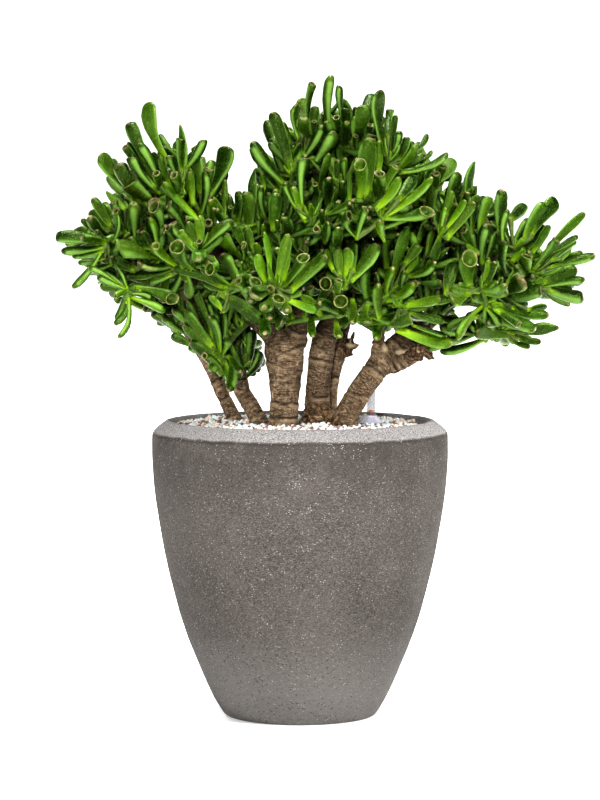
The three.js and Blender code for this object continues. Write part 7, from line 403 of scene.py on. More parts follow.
    {"root": (-17.3, -28, 656.7), "twigs": [[(-13, -20.1, 658.8), (-11.8, -8.2, 654), (-10.7, 3.6, 649.2)], [(-11.8, -8.2, 654), (-1.9, -28.3, 657.2), (-9.8, -60, 676.3)], [(-9.8, -60, 676.3), (-2.4, -47.5, 689.9), (4.9, -35, 703.5)], [(-2.4, -47.5, 689.9), (-4.9, -46.2, 693), (-7.4, -45, 696)], [(-10.7, 3.6, 649.2), (-15.9, 31.3, 657.4), (-21, 59.1, 665.5)]], "leaves": [
        (16, "F", "d", -9.8, -60, 676.3, -34.3, -56.6, 752.1, 16.4), (16, "F", "d", -17.2, -59.2, 661.6, -57.6, -60.2, 716.6, 17.6), (16, "F", "d", -22.1, -56.2, 653.1, -50.5, -40.8, 689.9, 10.1), (17, "F", "p", -7.4, -45, 696, -21, -29, 740.5, 10.1),
        (17, "P", "b", -7.4, -45, 696, -3.7, -46.2, 720.5, 5), (17, "P", "m", -7.4, -45, 696, -1.2, -64, 714.1, 6.3), (18, "S", "p", 1.2, -30.8, 725.7, 2.5, 8.5, 771.1, 17.6), (18, "S", "p", 0, -39.3, 714.5, -3.7, -40.3, 762.3, 17.6),
        (18, "T", "d", 8.6, -34.8, 735.4, 16, -28.5, 787.2, 10.1), (18, "F", "d", 14.8, -37.5, 728, 18.5, -33.2, 760, 12.6), (18, "B", "p", 13.6, -33.2, 723.2, 4.9, -82.6, 744.2, 16.4), (18, "T", "m", 17.3, -32.8, 725.6, 17.1, -64.9, 740.9, 7.6),
        (18, "F", "d", 1.2, -33.7, 692.4, 25.8, -41.7, 736.5, 15.1), (18, "F", "p", 13.6, -30.3, 685.1, 41.9, -38.3, 729.2, 20.1), (18, "F", "p", 23.4, -36.7, 660.4, 35.5, -59.3, 702, 10.1), (132, "f", "d", -11.8, 3.6, 651.5, -19.9, 4, 669.4, 7.5),
        (132, "f", "m", -10, 3.6, 651.6, -4.7, 3.6, 674.2, 6.4), (132, "r", "p", -10.3, 2.2, 647.2, -11.1, -14.4, 678.3, 12.8), (132, "r", "d", -10.7, 4.8, 647.1, -16.8, 21.3, 675.9, 12.3), (132, "f", "m", -11.8, 3.5, 642.5, -39.4, 4.5, 668.3, 13),
        (132, "f", "m", -9.4, 5.6, 637.6, -8.8, 41.9, 653.7, 12.1), (132, "f", "p", -8.9, 1.2, 637.9, 2.1, -36.7, 660.7, 11), (132, "f", "b", -11.5, 2.8, 633.1, -50.2, -3.5, 647.2, 13.1), (132, "f", "m", -6.9, 3.8, 633.5, 32.1, 14.3, 657, 11.8),
        (132, "r", "m", -8.3, 0.6, 628.1, -1.9, -43, 630, 13.6), (132, "s", "m", -9, 5.6, 628.2, -14.3, 47.8, 631.3, 14.9), (88, "f", "p", -21.8, 59.9, 667.8, -27.5, 66.2, 687.8, 7.4), (88, "b", "m", -20.6, 59.4, 663.5, -19.6, 82.7, 694.2, 9.8),
        (88, "f", "d", -18.8, 56.3, 659.6, 7.2, 53.7, 697.6, 12.6), (88, "t", "m", -22, 57.8, 658.7, -53, 81.1, 680.3, 13.2), (88, "f", "p", -18.8, 57.5, 653.8, -0.7, 98.8, 660, 11.3), (88, "f", "d", -21.1, 53.5, 654.8, -46.2, 18, 682.3, 13.6),
        (88, "s", "d", -17.1, 53.4, 650.5, 36.8, 41.5, 677.2, 17.7), (88, "f", "p", -18.3, 55, 645.2, -4.7, 100, 642.5, 13), (16, "b", "b", -6, -56.8, 661, -47.2, -32.4, 672.1, 14.3), (17, "t", "d", -6.5, -38.8, 675.9, 3.5, 10.8, 691.3, 11.9),
        (18, "f", "m", 3.8, -33.3, 701.6, -3.7, -22.5, 730.9, 10.2), (18, "t", "d", 5.2, -32.1, 697, 24.1, -11.6, 725, 10.6), (18, "f", "b", 1.6, -31.4, 692.2, -35.7, -5.4, 714, 10.9), (18, "f.", "d", -7.5, -51.6, 686.4, -37.2, -40.2, 715.4, 13.2),
        (16, "s.", "d", -3.6, -40.6, 665.1, 7.5, -70.3, 691.6, 18.1), (88, "f.", "m", -10.7, 11.5, 652.6, 7.4, 51.8, 686.8, 12), (16, "p.", "d", -10.5, -51.8, 673.4, -53.5, -21.7, 695.3, 11.6), (132, "f.", "m", -11.5, 3.1, 652.4, -25.3, 8.6, 711.2, 11.5),
        (16, "f.", "d", -5.8, -42.3, 669.1, -8.3, -27.6, 711.5, 11.6), (18, "f.", "m", -8.6, -62.3, 677.8, 6.7, -91.8, 699, 11.5), (88, "f.", "d", -15.9, 22.8, 654.3, -42.1, 50.8, 658.1, 12), (18, "f.", "m", 1.1, -37.3, 699.2, -16.3, 10, 722.9, 11.3),
        (16, "f.", "m", -3.5, -36.9, 665.7, 13.6, -8.5, 715.2, 12.3), (18, "f.", "d", -3.5, -50.2, 685.2, 18, -24.7, 695.9, 12.1), (88, "f.", "d", -19.5, 48.5, 665.3, -27.4, 50.8, 719.2, 13.6), (132, "t.", "b", -8.3, 3.2, 651.2, 36.5, 10.8, 685.4, 13.1),
        (18, "f.", "b", -9.2, -58.1, 678.6, -1.5, -35.9, 708.3, 12.2), (16, "p.", "d", -5.5, -41.4, 668.5, -2.8, -11.1, 705, 11), (132, "f.", "b", -12.9, -8.5, 657.1, -28.7, -1.1, 703.9, 11.5), (16, "p.", "p", -9, -18.1, 657.3, -41.9, -7.1, 681.8, 12.4),
        (88, "t.", "d", -18.8, 42.1, 663.5, -33.8, 31.9, 719.5, 11.1), (88, "f.", "m", -17.8, 31.5, 659.7, -47.9, 34.3, 698.8, 13.4), (88, "f.", "b", -15.9, 44.6, 661.7, 17.7, 76.3, 681.7, 11.2), (132, "f.", "m", -11.9, -7.5, 656.9, -13.9, 4.7, 707.7, 12.7),
        (132, "f.", "m", -12.8, 4.9, 648.9, -45.1, 38.6, 642.1, 13.1), (88, "f.", "d", -31.6, 53.3, 704.1, -41.2, 48.1, 744.9, 11.9), (16, "p.", "d", -9.5, -60.7, 670.6, -2.2, -80.6, 663.8, 14.3), (132, "p.", "d", -34.5, -5.9, 675.9, -62.6, -17.1, 707.6, 12.5),
    ]},
    {"root": (1.3, 117.5, 568.6), "twigs": [[(3.2, 124, 566.4), (12.7, 148.2, 563.4), (9.3, 165.8, 560.3)], [(9.3, 165.8, 560.3), (18.5, 169.2, 587.8), (27.7, 172.6, 615.2)]], "leaves": [
        (69, "p", "m", 27.4, 174.6, 616.7, 24.2, 197.6, 636.3, 6.7), (69, "f", "d", 28.4, 174.2, 617, 36.5, 191.8, 639.1, 7), (69, "p", "d", 26.9, 169.7, 614.8, 14.1, 173, 654.4, 9), (69, "t", "b", 28.6, 171.8, 612.8, 42.1, 206.1, 620.2, 9.7),
        (69, "f", "b", 29.2, 166.6, 611.6, 57.6, 171.6, 650.4, 11), (69, "b", "m", 26.7, 168.6, 609.9, 5.1, 214.3, 617, 14.1), (69, "s", "b", 28.9, 165.3, 606.2, 58.1, 218.5, 593.1, 17), (69, "f", "b", 26.5, 162.4, 608.8, -1, 143, 655, 10.2),
        (69, "r", "d", 25.7, 161.3, 603.3, -24.6, 191.3, 590, 16.3), (69, "t", "b", 29.6, 159.8, 605.7, 71.3, 154.2, 650.9, 11.5), (69, "f", "d", 26.3, 155.4, 602.6, -3.1, 124.5, 636.4, 11.4), (69, "b", "m", 29.3, 158.5, 600, 60.8, 190.5, 580.3, 12.2),
        (107, "t", "d", 9, 168.2, 561.2, 5.6, 193.2, 572.2, 7.6), (107, "t", "m", 10.8, 164.3, 558.3, 31.2, 196.6, 562, 10.8), (107, "f", "d", 10.8, 159.3, 558.2, 36.1, 176.7, 606.2, 11.9), (107, "c", "d", 8.4, 160.5, 555.2, -17.1, 199.6, 538.3, 15.9),
        (107, "p", "p", 11.5, 156.7, 553.7, 56.2, 201.7, 547.9, 9.6), (107, "f", "b", 7.9, 155.8, 555.4, -30.2, 173, 585, 13.1), (107, "f", "m", 8.5, 152.9, 550.7, -25.1, 188.6, 528.5, 10.3), (107, "t", "d", 10.4, 150.4, 554.2, 21.1, 130.3, 611, 11.2),
        (107, "f", "p", 12.2, 148.7, 548.8, 57.9, 171.7, 530.9, 11.2), (69, "f.", "m", 18.8, 171.7, 589.4, 23.9, 215.3, 621.8, 14), (69, "f.", "m", 15.1, 170.9, 576.8, 17.2, 218.6, 572.1, 14.3), (69, "f.", "m", 14.1, 170.5, 578.5, -1.8, 219.4, 604, 12.6),
        (107, "b.", "d", 8.3, 168.2, 559.3, -10, 215, 542.9, 15.4), (69, "b.", "d", 25.3, 174.2, 612.3, 11, 214.2, 650, 12.4), (107, "p.", "d", 5.1, 132, 564.1, 2.4, 160.8, 549, 13), (107, "f.", "m", 13.7, 147, 565.8, 33.2, 156.8, 592.9, 13.4),
        (69, "b.", "d", 17, 170, 576.7, 47.3, 201.1, 571.3, 15.3), (107, "f.", "d", 10.1, 148.4, 564.8, -24.6, 151.9, 586.2, 13.2), (107, "f.", "m", 10.7, 159.9, 564.4, 13.6, 161.1, 606.5, 12.7), (69, "f.", "d", 23.9, 171.4, 612.3, -0.1, 164.2, 637, 12.4),
        (107, "s.", "m", 10.5, 167.7, 558.7, 31.8, 205.6, 532.1, 17.6), (69, "s.", "d", 27, 170.7, 605.5, 75.9, 159.8, 621.8, 15.3), (69, "p.", "m", 26.4, 170.6, 613, 30.3, 152, 651.1, 10.4), (107, "f.", "b", 8.4, 136.5, 567.5, 24.4, 164.4, 617.3, 13.5),
        (69, "f.", "d", 23.8, 169.6, 601.4, 49.2, 152.3, 644.2, 12.8), (107, "b.", "b", 2.4, 126.3, 568.1, -6.9, 153.1, 591.1, 13.2), (107, "f.", "d", 9.2, 160.5, 564, -9.8, 171.9, 606.5, 12), (69, "s.", "m", 11.9, 165.5, 561.8, 58.9, 160.2, 591.9, 20.1),
        (107, "f.", "d", 15.5, 149.2, 563.9, 54.7, 163.9, 574.5, 12.7), (69, "t.", "m", 26.5, 171.7, 613.3, 33.5, 165.3, 672.1, 11.2), (107, "f.", "m", 8.1, 161.2, 560.3, -26, 182, 547.5, 11.1), (107, "f.", "d", 3.6, 123.7, 569.4, 9.9, 119.3, 621.2, 12.3),
        (69, "f.", "m", 20, 171.6, 586.9, 36.8, 197.8, 580.1, 11.4), (107, "f.", "d", 9.1, 167.4, 558, 4.4, 201.5, 516.6, 14.2), (107, "f.", "d", 1.7, 124.6, 568.9, -27.1, 136.9, 619.8, 11.6), (107, "f.", "m", 7.2, 131.5, 564.5, 43.1, 170.7, 544.9, 12.6),
        (69, "f.", "d", 11.5, 169.8, 572, -17.1, 217.5, 581.6, 11.3), (107, "f.", "m", 11.3, 155.7, 559.9, 6.3, 180.8, 526.9, 14.4), (107, "f.", "b", 8.6, 137, 563, 29.4, 175.3, 528.1, 14.3), (107, "f.", "m", 5.6, 125.8, 566, 50.7, 160, 561.6, 13.6),
    ]},
    {"root": (62.1, 71.3, 530.8), "twigs": [[(67.3, 82.6, 523.6), (65.2, 83.5, 516), (62.3, 83.6, 512)], [(62.3, 83.6, 512), (32.1, 93.8, 525.6), (2, 104, 539.3)], [(32.1, 93.8, 525.6), (32.6, 73.7, 537.9), (33, 53.7, 550.2)], [(33, 53.7, 550.2), (44.1, 36.8, 568.4), (55.3, 20, 586.5)], [(55.3, 20, 586.5), (38.4, 38.5, 606.7), (21.6, 56.9, 626.8)]], "leaves": [
        (128, "f", "b", 33.3, 55.7, 551.6, 35.6, 73.2, 565, 7.7), (128, "t", "b", 32.5, 54.9, 552.3, 28.4, 65.8, 572.2, 6.8), (128, "f", "d", 31.8, 52.6, 548.4, 14.4, 83.9, 565, 10.4), (128, "p", "d", 33.8, 51.7, 549.5, 44.2, 65.4, 576.2, 9),
        (128, "p", "d", 32, 47.5, 546.9, 15.3, 48.8, 591.1, 12.1), (128, "f", "d", 34.2, 44.8, 543.8, 60.8, 53.7, 586.5, 12.6), (128, "f", "m", 31, 46, 541.9, -8.4, 81.7, 545.8, 13), (128, "f", "m", 31.8, 40.2, 541.1, 11.3, 18.6, 591.9, 11.2),
        (128, "f", "m", 30.5, 38.9, 535.2, -11.9, 55.6, 520.7, 11.5), (128, "f", "m", 34.8, 37.2, 537, 70.4, 21.9, 556.9, 11.1), (118, "f", "m", 21.6, 58.4, 628.8, 22.2, 69.6, 645.6, 6.5), (118, "f", "b", 20.4, 56.4, 624.8, 4.5, 69.8, 649.7, 10.6),
        (118, "t", "m", 23.1, 56, 624.9, 43, 65.7, 653.9, 10.4), (118, "t", "p", 21.5, 52.5, 621.3, 18.4, 32.1, 660.7, 13.4), (118, "f", "m", 23.7, 51.5, 616.8, 55.2, 42, 645.5, 12.8), (118, "f", "b", 19.6, 52.5, 616.4, -22.7, 61.8, 640.6, 12.9),
        (118, "b", "m", 21.9, 52.9, 610.7, 21.3, 97.6, 604.1, 15.9), (118, "f", "b", 21.1, 48.5, 612.7, 7.8, 17.6, 639.1, 11.6), (65, "p", "m", 1.7, 106.3, 540.4, -0.5, 126.8, 552.3, 6.4), (65, "b", "m", 1.2, 102.2, 538.6, -14.7, 127.4, 557.1, 11.6),
        (65, "r", "b", 3.4, 102.5, 538.1, 16.8, 128.9, 549.2, 14.4), (65, "f", "b", 2.1, 98.9, 534.7, -8.2, 136.5, 524.9, 13.6), (65, "t", "d", 5.1, 94.3, 533.8, 49.2, 124.5, 541.4, 10), (65, "f", "m", 1, 93.5, 534.7, -38.1, 104.3, 559.9, 9.9),
        (116, "t", "d", 55.6, 20.6, 588.9, 58.1, 25.1, 609, 6.3), (116, "f", "m", 54.4, 20.9, 584, 48.8, 47, 608.7, 10.6), (116, "t", "m", 55.5, 18.1, 584.7, 65.2, 5.5, 618.7, 10.3), (116, "s", "m", 53.1, 17.5, 580.5, 27.5, 6.1, 626.6, 15.6),
        (116, "f", "b", 56.2, 19.4, 579.3, 87.9, 43, 598.3, 12.1), (116, "f", "d", 54.7, 15.5, 576.1, 70.5, -16.7, 613.6, 12.2), (116, "f", "m", 53, 19.2, 575.2, 38, 56.2, 593.1, 12.1), (116, "s", "b", 51.3, 15, 571, -2.2, -11.6, 594.6, 18.5),
        (63, "f", "d", 62.8, 86, 512, 69.2, 113.6, 514.4, 8.3), (63, "s", "m", 61, 81.9, 510.4, 47.2, 129.7, 502.5, 13.8), (63, "f", "m", 62.4, 72.4, 510.2, 99, 89.2, 541.4, 12.1), (63, "f", "d", 61.4, 62.7, 507.8, 111, 44.1, 542.3, 10.9),
        (65, "t.", "b", 54.5, 86.8, 513.5, 8.7, 113.8, 501.6, 12.6), (65, "f.", "d", 27.6, 98.1, 526.5, 36.6, 130.8, 509.7, 13.2), (65, "f.", "d", 62.2, 85.8, 510, 61.4, 113.6, 488.3, 13.3), (128, "f.", "m", 32.6, 75.1, 540.6, 33.2, 93.8, 579.7, 11.5),
        (65, "f.", "b", 22.6, 100, 529.3, 38.6, 147.5, 513.6, 11.7), (65, "b.", "d", 54.4, 85.4, 512.8, 22, 86.2, 496.6, 11.9), (63, "f.", "d", 64.4, 82.6, 513.2, 54.9, 72, 483.4, 11.2), (65, "f.", "m", 16.5, 98.6, 535.7, 17, 91.1, 583, 12),
        (65, "p.", "d", 4.3, 103, 539.9, -18.6, 108, 576.2, 11.8), (128, "s.", "m", 34.5, 71.6, 538.7, 69.6, 33.9, 555.6, 20.3), (118, "p.", "m", 48.2, 29.4, 595.4, 36.8, 64.8, 617.2, 11.4), (63, "f.", "d", 68.5, 84.3, 517.3, 115, 100.8, 511.2, 13),
        (116, "b.", "d", 43.1, 42.4, 563.5, 76.1, 41.4, 581.1, 14.9), (116, "r.", "b", 42.5, 37.5, 570.7, 24.5, 45, 599.3, 16.4), (116, "f.", "m", 35.6, 54, 551.7, 77.9, 59.2, 577.8, 10.8), (65, "f.", "b", 3, 102.8, 537.7, -50.7, 104.5, 544.2, 12.8),
        (116, "f.", "p", 52.8, 21.4, 587.1, 33.1, 12.2, 635.7, 11.7), (65, "f.", "d", 48.4, 90.6, 520.7, 74.6, 114.8, 546.7, 12.9), (116, "f.", "p", 43.4, 36.3, 571.2, 30, 27.7, 622.7, 13.8), (65, "t.", "m", 33.3, 92.6, 523, -5.1, 94.3, 514.9, 11.6),
        (128, "p.", "m", 33.5, 95.9, 527.4, 56.6, 131.4, 559.8, 12.7), (65, "b.", "m", 33.6, 94, 523.4, -4.8, 118.1, 519.9, 12.7), (118, "f.", "m", 30.2, 47.6, 614.9, 0.9, 81, 628.9, 13.9), (128, "f.", "m", 30.1, 58.3, 548.3, -6.8, 56.7, 564.6, 11.2),
        (118, "s.", "p", 26.7, 52.2, 624.6, 41.7, 50.4, 675.1, 17.7), (116, "f.", "m", 30.8, 52.6, 552, -4.5, 36.5, 582.7, 11.6), (116, "f.", "p", 50.2, 23, 581.1, 26, -26.1, 596.7, 13.9), (116, "f.", "m", 32.5, 55.8, 552.3, 25.5, 87.6, 586.1, 11.6),
        (118, "f.", "d", 26.3, 50.1, 617.7, -10.3, 67.1, 617.8, 12.8), (65, "f.", "m", 43.1, 91.5, 523.7, 71.2, 105.4, 563.3, 11), (118, "f.", "d", 30.7, 44.2, 616.6, 6.2, 23.8, 660.4, 12.9), (116, "b.", "d", 39.1, 48, 560.4, 54.7, 70.3, 590.8, 11.9),
        (116, "s.", "b", 39, 41.2, 564.5, 11.9, 15.8, 611, 15.8), (65, "t.", "d", 44.7, 88.7, 521.4, 24.4, 86.7, 550.3, 12.5), (118, "t.", "b", 43.8, 28.7, 599.3, 8.7, -0, 627.9, 13.6), (65, "f.", "d", 43.7, 88.1, 519.1, 10.2, 78.3, 521.9, 12.2),
        (65, "f.", "d", 12.7, 103.2, 536.4, 29.9, 131.4, 554.9, 13.6), (118, "f.", "m", 37.8, 39.7, 604.9, 13.1, 75.6, 601.1, 10.9), (118, "s.", "m", 40.2, 39.4, 608.9, 64.3, 52.5, 643, 16.3), (65, "b.", "d", 59.5, 82.5, 512.5, 25.8, 69.9, 521.8, 14),
        (63, "f.", "b", 65.7, 85.1, 523.4, 44.9, 116.9, 524, 10.7), (65, "f.", "d", 36.9, 95.3, 524.4, 46.8, 131.1, 535, 13.6), (128, "f.", "m", 34.8, 63.4, 546.5, 66.7, 62.3, 586.3, 11.3), (116, "f.", "m", 34.7, 51.7, 551.7, 60.9, 21.4, 578, 14),
        (128, "f.", "p", 32.9, 71.3, 539.6, 38.3, 34.2, 568.6, 10.8), (128, "f.", "m", 31.8, 96.7, 526.3, 26.6, 145.8, 540.4, 14.3), (118, "b.", "d", 26.1, 50.5, 624.1, 31.6, 20.7, 668.5, 13.1), (65, "c.", "d", 29.9, 93.9, 527.7, -10.7, 95.9, 568.5, 14.1),
        (116, "f.", "m", 44.4, 34.4, 570.1, 47.8, 2.6, 595.5, 13.6), (118, "t.", "m", 35.2, 44.8, 609.5, 33.2, 97.3, 594.8, 12.9), (63, "t.", "m", 67.7, 83.3, 515.6, 97.7, 83.9, 484.1, 12.3), (118, "f.", "d", 45.9, 33.3, 597.4, 47.1, 84.9, 594.6, 13.6),
        (65, "f.", "d", 6.3, 105.4, 536.4, 10.8, 148.3, 521.9, 13.2), (65, "f.", "m", 11.9, 103.6, 534, 24, 150.5, 518.3, 12.8),
    ]},
    {"root": (41.7, -18.1, 652.6), "twigs": [[(44.8, -25.6, 654.5), (60.6, -48.5, 661.3), (46.5, -70, 661.6)]], "leaves": [
        (20, "F", "m", 58.8, -65.4, 633.5, 52.2, -100.3, 667.7, 11.3), (20, "P", "b", 40.4, -70.3, 633.6, 43.7, -97, 656.8, 7.6), (20, "F", "d", 34.3, -68.7, 637.2, 35.1, -104.2, 671.3, 13.8), (20, "P", "b", 26.9, -68.6, 649.4, 14.7, -73.1, 671.4, 6.3),
        (20, "T", "m", 22, -74.4, 645.8, 18.2, -104.8, 664, 7.6), (20, "F", "d", 46.5, -70.9, 661.6, 46.5, -67.2, 693.4, 10.1), (20, "F", "b", 55.1, -66.8, 664.1, 54.8, -81.9, 695.7, 8.8), (20, "F", "m", 58.7, -67.7, 644.5, 63.5, -73.1, 678.7, 10.1),
        (20, "f", "d", 46.5, -61.9, 653.1, 36.6, -38.8, 689.7, 13.7), (20, "f", "m", 46.1, -57.2, 645.4, 16.6, -27.9, 678.7, 10.1), (20, "f.", "m", 59.9, -47.4, 664, 48.6, -29, 712.6, 11.5), (20, "p.", "d", 46.1, -31, 658, 11.4, -41.4, 696, 11.1),
        (20, "t.", "d", 50.1, -32.6, 656.4, 74.3, -59.5, 665.2, 11.3), (20, "f.", "m", 51.6, -65.9, 663.1, 69.3, -109.2, 694.7, 12.9), (20, "f.", "d", 60.9, -45.4, 660.7, 100.7, -53.2, 670.2, 13.5), (20, "f.", "d", 49.3, -29.7, 658.6, 66.1, -18.9, 701.4, 14.5),
        (20, "f.", "b", 57.1, -41.7, 658, 95.9, -67.9, 648.4, 10.7), (20, "f.", "p", 46.7, -71, 666.3, 39.4, -45.1, 697.4, 14),
    ]},
    {"root": (-10.6, -75.5, 550.2), "twigs": [[(-4.6, -89.8, 555), (-0.5, -92.4, 564.6), (3.6, -95, 574.2)], [(3.6, -95, 574.2), (8.5, -102.5, 599.2), (13.3, -110, 624.2)], [(8.5, -102.5, 599.2), (20.6, -108.8, 603.2), (32.7, -115, 607.3)], [(32.7, -115, 607.3), (59.9, -112.5, 623.6), (87.1, -110, 639.9)], [(87.1, -110, 639.9), (92.7, -130, 631.6), (98.2, -150, 623.3)]], "leaves": [
        (23, "F", "m", 82.2, -114.6, 644.7, 84.6, -110.4, 719.5, 21.4), (23, "F", "b", 94.5, -105.4, 666.4, 95.7, -100.4, 716, 10.1), (23, "R", "b", 68.9, -114.5, 636.3, 72.3, -122.5, 686.8, 16.4), (23, "P", "m", 60.5, -111.6, 642.3, 61.6, -114.2, 683.3, 6.3),
        (23, "T", "m", 100.3, -113.9, 653.2, 95.6, -156.9, 677, 15.1), (23, "T", "b", 98.1, -108.7, 647.1, 116.3, -104.6, 684.6, 11.3), (23, "F", "m", 93.1, -111.9, 643.5, 91.3, -136.3, 668.8, 8.8), (23, "F", "p", 84.8, -106.4, 638.6, 62.3, -150.7, 643.6, 10.1),
        (24, "F", "b", 98.2, -150, 623.3, 158.2, -145.8, 672.3, 11.3), (24, "R", "m", 98.2, -150, 623.3, 151.8, -158, 631.7, 16.4), (24, "F", "b", 90.9, -153.7, 632.9, 118.5, -150, 672.3, 12.6), (24, "F", "m", 100.7, -146.2, 634.1, 128.3, -109.7, 653.1, 10.1),
        (24, "F", "d", 117.3, -153, 644.8, 138.8, -119.4, 673.6, 13.8), (24, "F", "b", 100.7, -149.3, 595.8, 94.8, -192.2, 620.2, 10.1), (24, "T", "m", 68.3, -148.6, 598.2, 78.4, -179.4, 634.3, 11.3), (24, "R", "d", 67.1, -148.9, 600.6, 59.2, -193, 626.1, 12.6),
        (25, "F", "m", 31.4, -119, 626.6, 59.8, -155.9, 641.3, 10.1), (25, "F", "m", 46, -113.4, 586.7, 45.5, -155.8, 612.6, 12.6), (25, "P", "m", 30.3, -113.7, 594, 33.5, -157.4, 617.4, 15.1), (25, "T", "m", 2.4, -111.8, 604.8, 19.1, -158.3, 610.3, 10.1),
        (25, "F", "m", 30.3, -112, 610.9, 26.4, -139.7, 632.8, 8.8), (26, "F", "b", 8.5, -111.7, 618.1, -7.3, -108.6, 660.4, 15.1), (26, "R", "d", 3.6, -106.3, 627.8, 3.6, -100.8, 693, 15.1), (26, "F", "m", -4.8, -113.4, 635.1, -18.1, -120, 665.2, 8.8),
        (26, "P", "b", 13.3, -110, 624.2, 13.2, -132.1, 640, 6.3), (26, "P", "b", 13.3, -110, 624.2, 23, -107.9, 641.1, 6.3), (26, "F", "d", 13.3, -110, 624.2, 26.9, -76, 656.8, 12.6), (33, "F", "m", 2.4, -98.2, 581.6, -1.2, -94, 617.9, 15.1),
        (33, "T", "m", -21.9, -93.6, 582.7, -24.2, -119.2, 607.4, 8.8), (33, "T", "m", 3.6, -95, 574.2, 3.6, -129.2, 585.8, 8.8), (33, "F", "b", 6.1, -92.8, 552.3, 14.5, -124.8, 566.4, 8.8), (33, "F", "d", 3.6, -95, 574.2, 17.2, -49.4, 588, 10.1),
        (26, "t", "d", 15.4, -102.1, 609.9, 37.9, -64.1, 643, 11.1), (23, "b", "b", 87.9, -110.3, 642.2, 95, -113.2, 665.2, 9.1), (23, "p", "p", 86, -107.7, 638.4, 69.9, -101.9, 675.6, 9.8), (23, "f", "b", 88.7, -105.6, 634.1, 118.3, -97.4, 664, 11.4),
        (23, "t", "p", 85.5, -103, 630.6, 63.9, -84.1, 662.9, 10.5), (23, "f", "p", 84.4, -103.2, 625.2, 42.1, -123.2, 634.2, 13.1), (23, "f", "d", 88, -100.7, 626.5, 113.3, -74.4, 658.6, 11), (23, "f", "b", 84.6, -98.7, 622.1, 47.2, -70.7, 642.9, 10.4),
        (33, "f", "p", 2.5, -96, 576.2, -9.1, -106.6, 598.4, 6.5), (33, "t", "b", 3.4, -89.1, 564.3, -14.5, -132.8, 559, 10.2), (33, "t", "m", 6.7, -85.3, 562, 48.5, -109.6, 577.1, 13.1), (33, "t", "b", 3.8, -83.1, 556.9, -13.5, -113.7, 536.6, 10.8),
        (24, "t", "m", 95.8, -139.6, 610.9, 136.2, -119.9, 631.1, 13.5), (25, "f", "d", 32.8, -117.3, 608.2, 34.1, -137.6, 617.6, 8), (25, "b", "m", 34.5, -106, 600, 86.3, -126, 614.8, 12.9), (23, "f.", "d", 75.8, -114, 632.8, 84, -159.3, 635.8, 12.2),
        (26, "p.", "b", 11.2, -107.5, 623.5, -13, -81.1, 650.8, 12), (25, "f.", "d", 23.2, -108.1, 604.6, 56, -99.8, 624.8, 12), (23, "t.", "d", 44.3, -112.8, 615.8, 63.6, -96.3, 650.9, 10.5), (25, "f.", "d", 23, -110.4, 603.8, 55.2, -133, 614.7, 10.8),
        (25, "f.", "d", 15.6, -104.8, 603.1, 49.1, -98.3, 644.5, 12.6), (23, "t.", "d", 67.6, -112.8, 627.9, 105.9, -124.7, 648.8, 10.8), (23, "f.", "d", 83.2, -111.1, 634.9, 114.5, -116.9, 626.8, 12.1), (26, "f.", "m", 0.8, -95.4, 575.2, -38.3, -101.3, 591.6, 12.7),
        (23, "f.", "d", 59.7, -115.3, 622.6, 82.3, -157.8, 624.5, 14.5), (33, "f.", "d", 1.4, -94.4, 565.8, 26.7, -120.8, 584.8, 11.6), (33, "f.", "p", 0.2, -96.2, 570.8, -28.2, -136.5, 587.5, 13.9), (24, "f.", "m", 91.2, -116.9, 637, 119.6, -133.7, 633.4, 11),
        (33, "f.", "m", -0.1, -92.6, 571.8, -38.1, -67.8, 610.9, 13.7), (23, "f.", "m", 62.7, -113.5, 623.2, 104.7, -128.7, 621, 13.6), (33, "f.", "d", 2, -91.1, 565.7, 41.5, -70.6, 585.3, 14.3), (26, "f.", "d", 11.5, -103.9, 612.6, 23.5, -73.8, 648.4, 12.1),
        (33, "f.", "d", -4.6, -89.4, 558, -5, -85.8, 595.3, 11.3), (33, "f.", "p", -4.8, -91.9, 561.8, -43.7, -102.5, 586.9, 12.6), (33, "f.", "d", 0, -93.6, 572.3, -34.1, -88.5, 620, 14.2), (26, "f.", "d", 6.4, -97.1, 588.2, 11.9, -83.2, 619.8, 11.8),
        (24, "f.", "d", 95.5, -131.1, 631.8, 134.3, -147, 637.1, 12.9), (23, "f.", "d", 40.6, -113.5, 610.5, 77.7, -100.4, 615.2, 14.3), (23, "s.", "b", 77.2, -109.5, 634.5, 103.1, -87.4, 661.3, 15.6), (25, "f.", "d", 20.5, -108.1, 605, 47, -112.7, 642.7, 14.4),
        (25, "b.", "m", 30.6, -115.2, 601.6, 7.3, -116.9, 600.3, 11.5), (25, "f.", "d", 30, -117.6, 608.6, 7.4, -140.3, 594.7, 12.9),
    ]},
    {"root": (54.5, -115, 542), "twigs": [[(54.7, -125.1, 543), (54.9, -137.6, 544.2), (55.2, -150, 545.5)]], "leaves": [
        (34, "F", "p", 60.1, -145, 547.7, 92.6, -138.9, 592, 17.6), (34, "F", "b", 55.2, -146.6, 550.2, 56.4, -142.7, 587.3, 15.1), (34, "F", "p", 48, -151, 552.7, 44.4, -149.1, 585, 11.3), (34, "F", "b", 40.7, -153.2, 558.7, 32.5, -133.6, 585.9, 8.8),
        (34, "B", "m", 62.4, -147.4, 558.6, 63.1, -105.2, 591.4, 16.4), (34, "T", "p", 45.6, -147.4, 528.6, 46.2, -192.6, 550.3, 10.1), (34, "F", "b", 55.2, -150, 545.5, 50, -176, 539.1, 6.3), (34, "t", "m", 54.8, -141.3, 537.6, 43.6, -116.8, 587, 10.5),
        (34, "f.", "m", 54, -149.2, 549.9, 32.3, -134.3, 558.6, 12), (34, "f.", "m", 49.5, -142.1, 560.3, 38.8, -127.1, 594.9, 12.1),
    ]},
